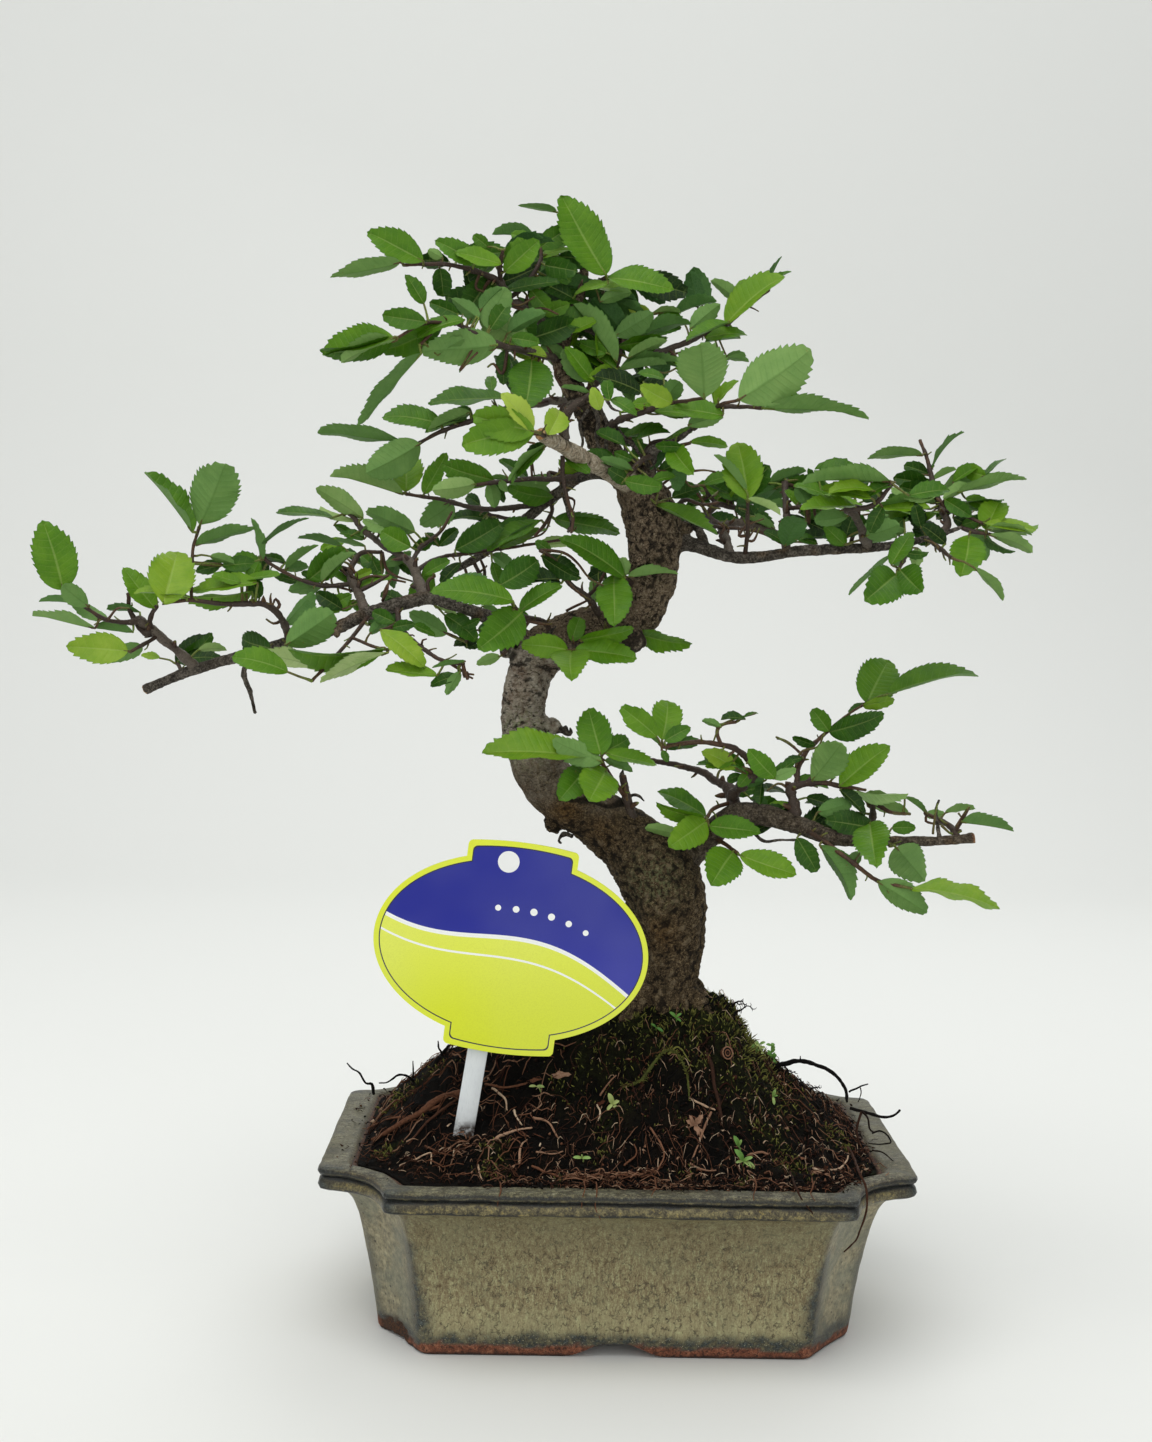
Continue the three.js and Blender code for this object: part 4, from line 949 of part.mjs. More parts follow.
function buildPot() {
  const body = toSolid(loft([
    outline(0, 79.6, 54, 31.8, 63.6, 0.1), outline(1.2, 80.6, 55, 32.6, 64.4, 0.12), outline(9, 81.6, 56.3, 33.6, 65, 0.15),
    outline(20, 83.2, 58.5, 35.5, 66, 0.2), outline(32, 85, 61.3, 38.3, 67.3, 0.3), outline(42, 87.3, 64.7, 41.8, 69, 0.4),
    outline(49, 89.8, 68, 44.5, 70.5, 0.5), outline(53.2, 91.6, 70.6, 46.3, 71.6, 0.6),
    outline(53.8, 98.6, 77.4, 51.9, 75.2, 1), outline(55, RIM_W, RIM_D, 52.9, 76.2, 1),
    outline(POT_H - 1.1, RIM_W, RIM_D, 52.9, 76.2, 1), outline(POT_H, RIM_W - 1.1, RIM_D - 1.1, 52, 75.4, 1),
  ]));
  const cavity = toSolid(loft(CAVITY.map((r) => outline(...r))));
  const recess = toSolid(loft([outline(-1, 66, 41, 24, 52, 0), outline(4, 64, 39, 23, 50, 0)]));
  let pot = body.subtract(cavity).subtract(recess);
  // arched notches under the long and the short sides, which leave four feet
  const arch = (halfFoot, halfTop, top, length) => {
    const s = new THREE.Shape([[-halfFoot, -1], [halfFoot, -1], [(halfFoot + halfTop) / 2, top * 0.72], [halfTop, top], [-halfTop, top], [-(halfFoot + halfTop) / 2, top * 0.72]].map((p) => new THREE.Vector2(p[0], p[1])));
    const g = new THREE.ExtrudeGeometry(s, { depth: length, bevelEnabled: false, steps: 1 });
    g.translate(0, 0, -length / 2);
    g.rotateX(Math.PI / 2);
    return g;
  };
  pot = pot.subtract(toSolid(arch(13.5, 5, 4.9, 170)));
  const sideArch = arch(12, 5, 4.9, 200);
  sideArch.rotateZ(Math.PI / 2);
  pot = pot.subtract(toSolid(sideArch));
  for (const sx of [-1, 1]) {
    const hole = new THREE.CylinderGeometry(DRAIN_R, DRAIN_R, 20, 20);
    hole.rotateX(Math.PI / 2);
    hole.translate(sx * DRAIN_X, 0, 6);
    pot = pot.subtract(toSolid(hole));
  }
  return pot;
}

// ---------------------------------------------------------------- soil
const RIDGE = [[-90, 0], [-87, 0.02], [-76, 0.28], [-66, 0.45], [-59, 0.56], [-40, 0.72], [-20, 0.88], [0, 0.97], [19, 1], [38, 0.97], [42, 0.91], [46, 0.74], [55, 0.54], [66, 0.37], [77, 0.19], [86, 0.02], [90, 0]];
function ridge(x) {
  for (let i = 0; i < RIDGE.length - 1; i++) {
    if (x <= RIDGE[i + 1][0]) {
      const t = (x - RIDGE[i][0]) / (RIDGE[i + 1][0] - RIDGE[i][0]);
      return RIDGE[i][1] + (RIDGE[i + 1][1] - RIDGE[i][1]) * Math.max(0, t);
    }
  }
  return 0;
}
function soilHeight(x, y) {
  const ax = Math.abs(x);
  const reach = ax < 69 ? 67 : Math.max(20, 67 - (ax - 69) * 1.3);
  const t = Math.min(1, Math.abs(y) / reach);
  const fall = (1 + Math.cos(Math.PI * Math.pow(t, 0.92))) / 2;
  return SOIL_EDGE + (MOUND_TOP - SOIL_EDGE) * ridge(x) * fall;
}

function buildSoil(cutters) {
  const g = GAP;
  const rings = [];
  for (const [z, hw, hd, yc, wf, c] of CAVITY.slice(0, 6)) rings.push(outline(z === FLOOR_Z ? z + g : z, hw - g, hd - g, yc - g, wf - g, c));
  const edge = rings[rings.length - 1];
  edge.forEach((p) => { p[2] = 60; });
  const cx = 19, cy = 0;
  for (const s of [0.96, 0.86, 0.74, 0.62, 0.5, 0.39, 0.29, 0.19, 0.1]) {
    rings.push(edge.map((p) => {
      const x = cx + (p[0] - cx) * s, y = cy + (p[1] - cy) * s;
      return [x, y, soilHeight(x, y)];
    }));
  }
  let soil = toSolid(loft(rings));
  for (const c of cutters) soil = soil.subtract(c);
  return settle(soil);
}

// ---------------------------------------------------------------- drainage mesh
function meshPad(x) {
  const size = 26, t = 0.9, n = 4, bar = 2.2, pitch = (size - bar) / (n - 1);
  const strips = [];
  for (let i = 0; i < n; i++) {
    const o = -size / 2 + bar / 2 + i * pitch;
    const a = new THREE.BoxGeometry(size - 0.6, bar, t - 0.1);
    a.translate(x, o * 0.96, FLOOR_Z + 0.3 + t / 2);
    const b = new THREE.BoxGeometry(bar, size, t);
    b.translate(x + o, 0, FLOOR_Z + 0.3 + t / 2);
    strips.push(toSolid(a), toSolid(b));
  }
  return settle(join(strips));
}
function meshPocket(x) {
  const g = new THREE.BoxGeometry(27, 27, 2.4);
  g.translate(x, 0, FLOOR_Z + 0.4);
  return g;
}

// ---------------------------------------------------------------- plant label
const CARD_C = [-37.08, -42.00, 133.69];
const CARD_TILT = THREE.MathUtils.degToRad(6.5);
function cardOutline(grow) {
  const a = CARD_A + grow, b = CARD_B + grow, tabW = 18.5 + grow, tabH = 35.6 + grow, r = 2;
  const pts = [];
  const vAt = (u) => b * Math.sqrt(Math.max(0, 1 - (u / a) * (u / a)));
  const quarter = [];
  const start = Math.acos(Math.min(1, tabW / a));
  for (let i = 0; i <= 7; i++) { const t = start * i / 7; quarter.push([a * Math.cos(t), b * Math.sin(t)]); }
  const tab = [[tabW, tabH - r - 1.2], [tabW - r * 0.3, tabH - r * 0.3 - 1.2], [tabW - r, tabH - 1.0], [0, tabH]];
  const q = [...quarter, ...tab];
  for (const p of q) pts.push([p[0], p[1]]);
  for (const p of q.slice(0, -1).reverse()) pts.push([-p[0], p[1]]);
  for (const p of q.slice(1)) pts.push([-p[0], -p[1]]);
  for (const p of q.slice(1, -1).reverse()) pts.push([p[0], -p[1]]);
  return pts;
}
function buildCard() {
  const s = new THREE.Shape(cardOutline(0).map((p) => new THREE.Vector2(p[0], p[1])));
  const hole = new THREE.Path();
  hole.absarc(-4.5, 28.6, 3.6, 0, Math.PI * 2, true);
  s.holes.push(hole);
  const g = new THREE.ExtrudeGeometry(s, { depth: CARD_T, bevelEnabled: false, steps: 1, curveSegments: 10 });
  g.translate(0, 0, -CARD_T / 2);
  g.rotateX(Math.PI / 2);            // sheet now stands in the XZ plane, its face to -Y
  g.rotateY(CARD_TILT);
  g.translate(...CARD_C);
  return g;
}
// shallow channel strip with a pointed foot
const STAKE = [[-43.81, -39.61, 123.76], [-56.50, -40.63, 40.76]];
function buildStake(grow = 0) {
  const top = V(STAKE[0]), foot = V(STAKE[1]);
  const dir = foot.clone().sub(top).normalize();
  const u = new THREE.Vector3(1, 0, 0); u.addScaledVector(dir, -u.dot(dir)).normalize();
  const w = new THREE.Vector3().crossVectors(dir, u).normalize();
  const section = grow
    ? [[-3.4 - grow, -0.9 - grow], [3.4 + grow, -0.9 - grow], [3.4 + grow, 0.9 + grow], [-3.4 - grow, 0.9 + grow]]
    : [[-3.4, -0.9], [-2.7, -0.9], [-2.5, 0.1], [2.5, 0.1], [2.7, -0.9], [3.4, -0.9], [3.4, 0.9], [-3.4, 0.9]];
  const len = foot.clone().sub(top).length();
  const pos = [], idx = [];
  const rows = [[-grow, 1], [len - 12, 1], [len + grow, 0.18]];
  const n = section.length;
  for (const [d, k] of rows) for (const [a, b] of section) {
    const p = top.clone().addScaledVector(dir, d).addScaledVector(u, a * k).addScaledVector(w, b);
    pos.push(p.x, p.y, p.z);
  }
  for (let i = 0; i < rows.length - 1; i++) for (let k = 0; k < n; k++) {
    const a = i * n + k, b = i * n + (k + 1) % n, c = a + n, d = b + n;
    idx.push(a, b, d, a, d, c);
  }
  const flat = section.map((p) => new THREE.Vector2(p[0], p[1]));
  for (const t of THREE.ShapeUtils.triangulateShape(flat, [])) {
    idx.push(t[0], t[2], t[1]);
    idx.push((rows.length - 1) * n + t[0], (rows.length - 1) * n + t[1], (rows.length - 1) * n + t[2]);
  }
  return geometryFrom(pos, idx);
}

// ---------------------------------------------------------------- build all pieces
const sidesOf = (name) => (name === 'trunk' ? 11 : 6);
const woodParts = Object.entries(WOOD).map(([k, line]) => toSolid(tube(line, sidesOf(k))));
const wood = settle(join(woodParts));
const woodGrown = join(Object.entries(WOOD).map(([k, line]) => toSolid(tube(line, sidesOf(k), GAP))));

const pot = buildPot();
const stake = toSolid(buildStake());
const stakeGrown = toSolid(buildStake(GAP));
const soil = buildSoil([woodGrown, stakeGrown, toSolid(meshPocket(-DRAIN_X)), toSolid(meshPocket(DRAIN_X))]);
const card = toSolid(buildCard());

const boxesMeet = (a, b) => {
  for (let i = 0; i < 3; i++) if (a.min[i] > b.max[i] || b.min[i] > a.max[i]) return false;
  return true;
};
// shoots whose leaves cross each other, so they are joined blade by blade
const CROWDED = ['shoot_right_mid', 'shoot_crown_left_top', 'shoot_front_side', 'shoot_trunk_upper_front'];
const shootSolids = [];
for (const [name, s] of Object.entries(SHOOTS)) {
  let solid = CROWDED.includes(name)
    ? join([...s.stems.map((l) => toSolid(tube(l, 4, 0, 0.6))), ...s.leaves.map((l) => toSolid(leafPlate(l)))])
    : join(s.stems.map((l, i) => toSolid(leafyStem(l, s.leaves.filter((q) => q[14] === i)))));
  const grown = join([...s.stems.map((l) => toSolid(tube(l, 5, GAP))), ...s.leaves.map((l) => toSolid(leafPlate(l, GAP)))]);
  solid = solid.subtract(woodGrown);
  for (const o of shootSolids) {
    if (boxesMeet(solid.boundingBox(), o.grown.boundingBox())) solid = solid.subtract(o.grown).subtract(o.solid);
  }
  solid = settle(solid);
  shootSolids.push({ name, solid, grown });
}

// ---------------------------------------------------------------- scene graph
const mat = (color, roughness, metalness = 0) => new THREE.MeshStandardMaterial({ color, roughness, metalness });
const bark = mat(0x4f463c, 0.9);
const leafGreens = [0x3f7d1a, 0x4d8a22, 0x5b9a22, 0x467f2b, 0x6a9c38];

const model = new THREE.Group();
model.position.set(SHIFT[0], SHIFT[1], SHIFT[2]);
function addPiece(parent, name, solid, material) {
  const m = new THREE.Mesh(toGeometry(solid), material);
  m.name = name;
  parent.add(m);
  return m;
}
const potGroup = new THREE.Group();
const treeGroup = new THREE.Group();
const labelGroup = new THREE.Group();
model.add(potGroup, treeGroup, labelGroup);

addPiece(potGroup, 'pot', pot, mat(0x857f63, 0.35));
addPiece(potGroup, 'drainage_mesh_left', meshPad(-DRAIN_X), mat(0x22252a, 0.6));
addPiece(potGroup, 'drainage_mesh_right', meshPad(DRAIN_X), mat(0x22252a, 0.6));
addPiece(potGroup, 'soil', soil, mat(0x2f2117, 1));
addPiece(treeGroup, 'trunk', wood, bark);
shootSolids.forEach((s, i) => addPiece(treeGroup, s.name, s.solid, mat(leafGreens[i % leafGreens.length], 0.5)));
addPiece(labelGroup, 'label_card', card, mat(0xd8e23a, 0.3));
addPiece(labelGroup, 'label_stake', stake, mat(0xb9bfc2, 0.4));

const root = new THREE.Group();
root.add(model);
export default root;
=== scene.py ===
# Zelkova bonsai in a glazed tray pot: the visible surfaces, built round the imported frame.
# Tables and helper functions work in pot-centred millimetres; SHIFT and MM take them to the frame.
import math

import bpy
import numpy as np
from mathutils import Matrix, Vector


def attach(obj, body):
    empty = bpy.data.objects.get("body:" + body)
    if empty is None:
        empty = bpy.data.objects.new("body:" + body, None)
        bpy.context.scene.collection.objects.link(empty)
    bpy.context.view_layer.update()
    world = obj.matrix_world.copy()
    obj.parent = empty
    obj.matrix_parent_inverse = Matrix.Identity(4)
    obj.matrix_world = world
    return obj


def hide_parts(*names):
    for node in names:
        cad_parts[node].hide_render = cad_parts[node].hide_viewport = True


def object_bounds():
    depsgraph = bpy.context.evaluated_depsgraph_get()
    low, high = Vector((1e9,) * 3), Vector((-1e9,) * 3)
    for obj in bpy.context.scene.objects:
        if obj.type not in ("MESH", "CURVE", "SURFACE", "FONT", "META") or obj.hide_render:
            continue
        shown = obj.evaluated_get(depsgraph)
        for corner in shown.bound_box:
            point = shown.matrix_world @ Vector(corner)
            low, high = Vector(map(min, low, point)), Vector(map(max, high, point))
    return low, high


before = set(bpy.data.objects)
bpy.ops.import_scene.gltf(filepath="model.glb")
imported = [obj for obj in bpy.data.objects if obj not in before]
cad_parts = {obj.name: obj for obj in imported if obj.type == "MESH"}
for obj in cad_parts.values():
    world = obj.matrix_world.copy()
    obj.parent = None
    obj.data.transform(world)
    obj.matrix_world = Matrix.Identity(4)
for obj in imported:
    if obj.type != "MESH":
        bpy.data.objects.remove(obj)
CAD_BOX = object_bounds()
MM = 0.001
SHIFT = np.array([30.135, 0.0, 0.0])
COUNT = {}

# centre lines of the woody frame: x, y, z, radius
WOOD = {
    "trunk": [[19.85, 1, 92.26, 14.12], [19.65, 1, 101.29, 13.06], [19.1, 0, 107.26, 10.94], [18.99, 0, 112.29, 9.35], [19.23, 0, 117.69, 9.71], [19.45, 0, 124.16, 10.59], [18.89, 0, 133.13, 12.18], [17.2, -1, 142.92, 13.94], [14.1, -2, 151.94, 14.47], [8.97, -2, 159.69, 13.41], [1.74, -2, 166.67, 11.83], [-5.12, -3, 171.99, 10.59], [-12.64, -3, 176.81, 9.88], [-21.58, -4, 182.76, 9.71], [-28.41, -4, 190.41, 9.35], [-32.81, -3, 199.08, 8.65], [-34.79, -1, 209.54, 7.87], [-34.26, 0, 218.34, 8.12], [-31.61, 2, 227.19, 8.37], [-26.07, 4, 233.64, 8.82], [-17.24, 6, 237.35, 9.18], [-7.61, 8, 239.3, 9.35], [0.54, 8, 242.67, 8.82], [6.81, 7, 248.49, 7.77], [9.73, 5, 257.04, 8.47], [10.5, 3, 266.19, 9.18], [9.89, 2, 275.65, 9.88], [6.88, 2, 284.38, 9], [1.79, 3, 293.14, 6.88], [-5.4, 4, 300.81, 5.6], [-10.51, 4, 308.78, 4.9], [-14.2, 4, 316.77, 4.4], [-18.92, 4, 323.68, 4], [-22.93, 5, 330.73, 3.6], [-24.49, 6, 338.54, 3.2], [-22.16, 6, 346.3, 2.8], [-18.79, 5, 353.89, 2.3], [-16.84, 4, 361.43, 1.9], [-16.64, 3, 368.9, 1.6], [-18.54, 2, 375.25, 1.3], [-21.79, 2, 380.37, 1.1], [-25.38, 1, 384.92, 0.8]],
    "BB_a": [[-22.08, 28, 290.92, 1], [-20.51, 24, 284.14, 0.9], [-18.95, 22, 278.25, 0.7], [-20.36, 20, 275.23, 0.5]],
    "R_a": [[27.83, -1, 269.2, 1.7], [26.61, 3, 274.62, 1.5], [22.95, 8, 279.76, 1.3], [18.83, 12, 284.18, 1], [21.04, 14, 287.93, 0.7]],
    "left_main": [[-33.9, 6, 233.11, 5.4], [-43.87, 1, 241.46, 3.8], [-52.55, -4, 245.49, 2.5], [-61.12, -8, 248.08, 2.5], [-67.98, -10, 250, 3], [-78.18, -12, 247.7, 2.9], [-88.31, -14, 244.39, 2.9], [-100.18, -15, 238.99, 2.8], [-115.73, -14, 233.86, 2.7], [-133.24, -12, 228.67, 2.5], [-147.39, -10, 224.2, 2.4], [-157.46, -8, 220.48, 2.3], [-167.6, -6, 216.03, 2.2]],
    "back_left": [[1.92, 6, 292.66, 5], [-7.52, 14, 295.93, 3.4], [-16.38, 22, 295.31, 3.2], [-22.81, 28, 290.91, 3.2], [-28.99, 34, 286.43, 2.9], [-36.34, 38, 280.24, 2.7], [-47.46, 42, 270.92, 2.4], [-56.8, 44, 264.46, 2.2], [-65.48, 46, 260.23, 2]],
    "front_stub": [[1.69, 0, 292.21, 5.2], [-5.74, -12, 293.9, 4.1], [-13.58, -22, 297, 3.8], [-20.51, -32, 299.99, 3.4], [-26.55, -42, 302.22, 2.9], [-30.45, -50, 303.3, 2.3]],
    "right_main": [[12.27, 6, 273.78, 5.5], [22.72, 2, 270.98, 3.4], [29.52, -2, 268.84, 3.1], [35.62, -5, 266.75, 3], [41.64, -8, 266.07, 2.9], [51.49, -10, 267.23, 2.6], [59.89, -12, 268.7, 2.7], [71.71, -14, 269.54, 2.6], [83.64, -15, 270.08, 2.3], [93.78, -16, 271.62, 2], [102.35, -16, 273.5, 1.6], [109.4, -15, 275.75, 1.4], [115.42, -14, 277.98, 1]],
    "low_right": [[18.88, 2, 155.78, 9], [26.33, -1, 163.44, 6.4], [33.03, -4, 170.3, 5.4], [41.78, -7, 176.44, 4.9], [52.11, -9, 176.12, 4.4], [62.46, -11, 173.01, 3.8], [74.51, -13, 169.24, 2.9], [86.58, -14, 168.52, 2.3], [96.86, -15, 168.82, 1.9], [108.84, -16, 169.16, 1.8], [122.5, -17, 170.56, 1.9]],
    "upper_right": [[5.49, 4, 287.65, 5], [7.64, -6, 296.03, 3.4], [7.91, -12, 301.73, 3], [11.77, -16, 303.83, 2], [16.95, -20, 305.92, 1.5], [23.02, -24, 310.7, 1.2]],
    "x_stub1": [[-98.47, -15, 239.71, 1.6], [-99.33, -19, 236.28, 1.2]],
    "x_stub2": [[-22.54, -4, 177.79, 2], [-19.23, -9, 169.2, 1], [-17.47, -12, 167.47, 0.8], [-20.29, -14, 168.34, 0.7], [-21.3, -14, 166.58, 0.5]],
    "x_low": [[42.51, -7, 175.04, 1], [49.17, -12, 167.97, 0.6], [55.22, -14, 168.31, 0.5], [62.31, -13, 168.32, 0.4]],
    "x_h": [[110.58, -16, 169.19, 0.8], [109.31, -14, 179.07, 0.6], [110.23, -14, 183.28, 0.4]],
    "x_g": [[-131.14, -12, 225.94, 0.9], [-131.78, -12, 221.77, 0.9], [-129.81, -11, 216.23, 0.8], [-128.16, -10, 208.91, 0.6]],
}
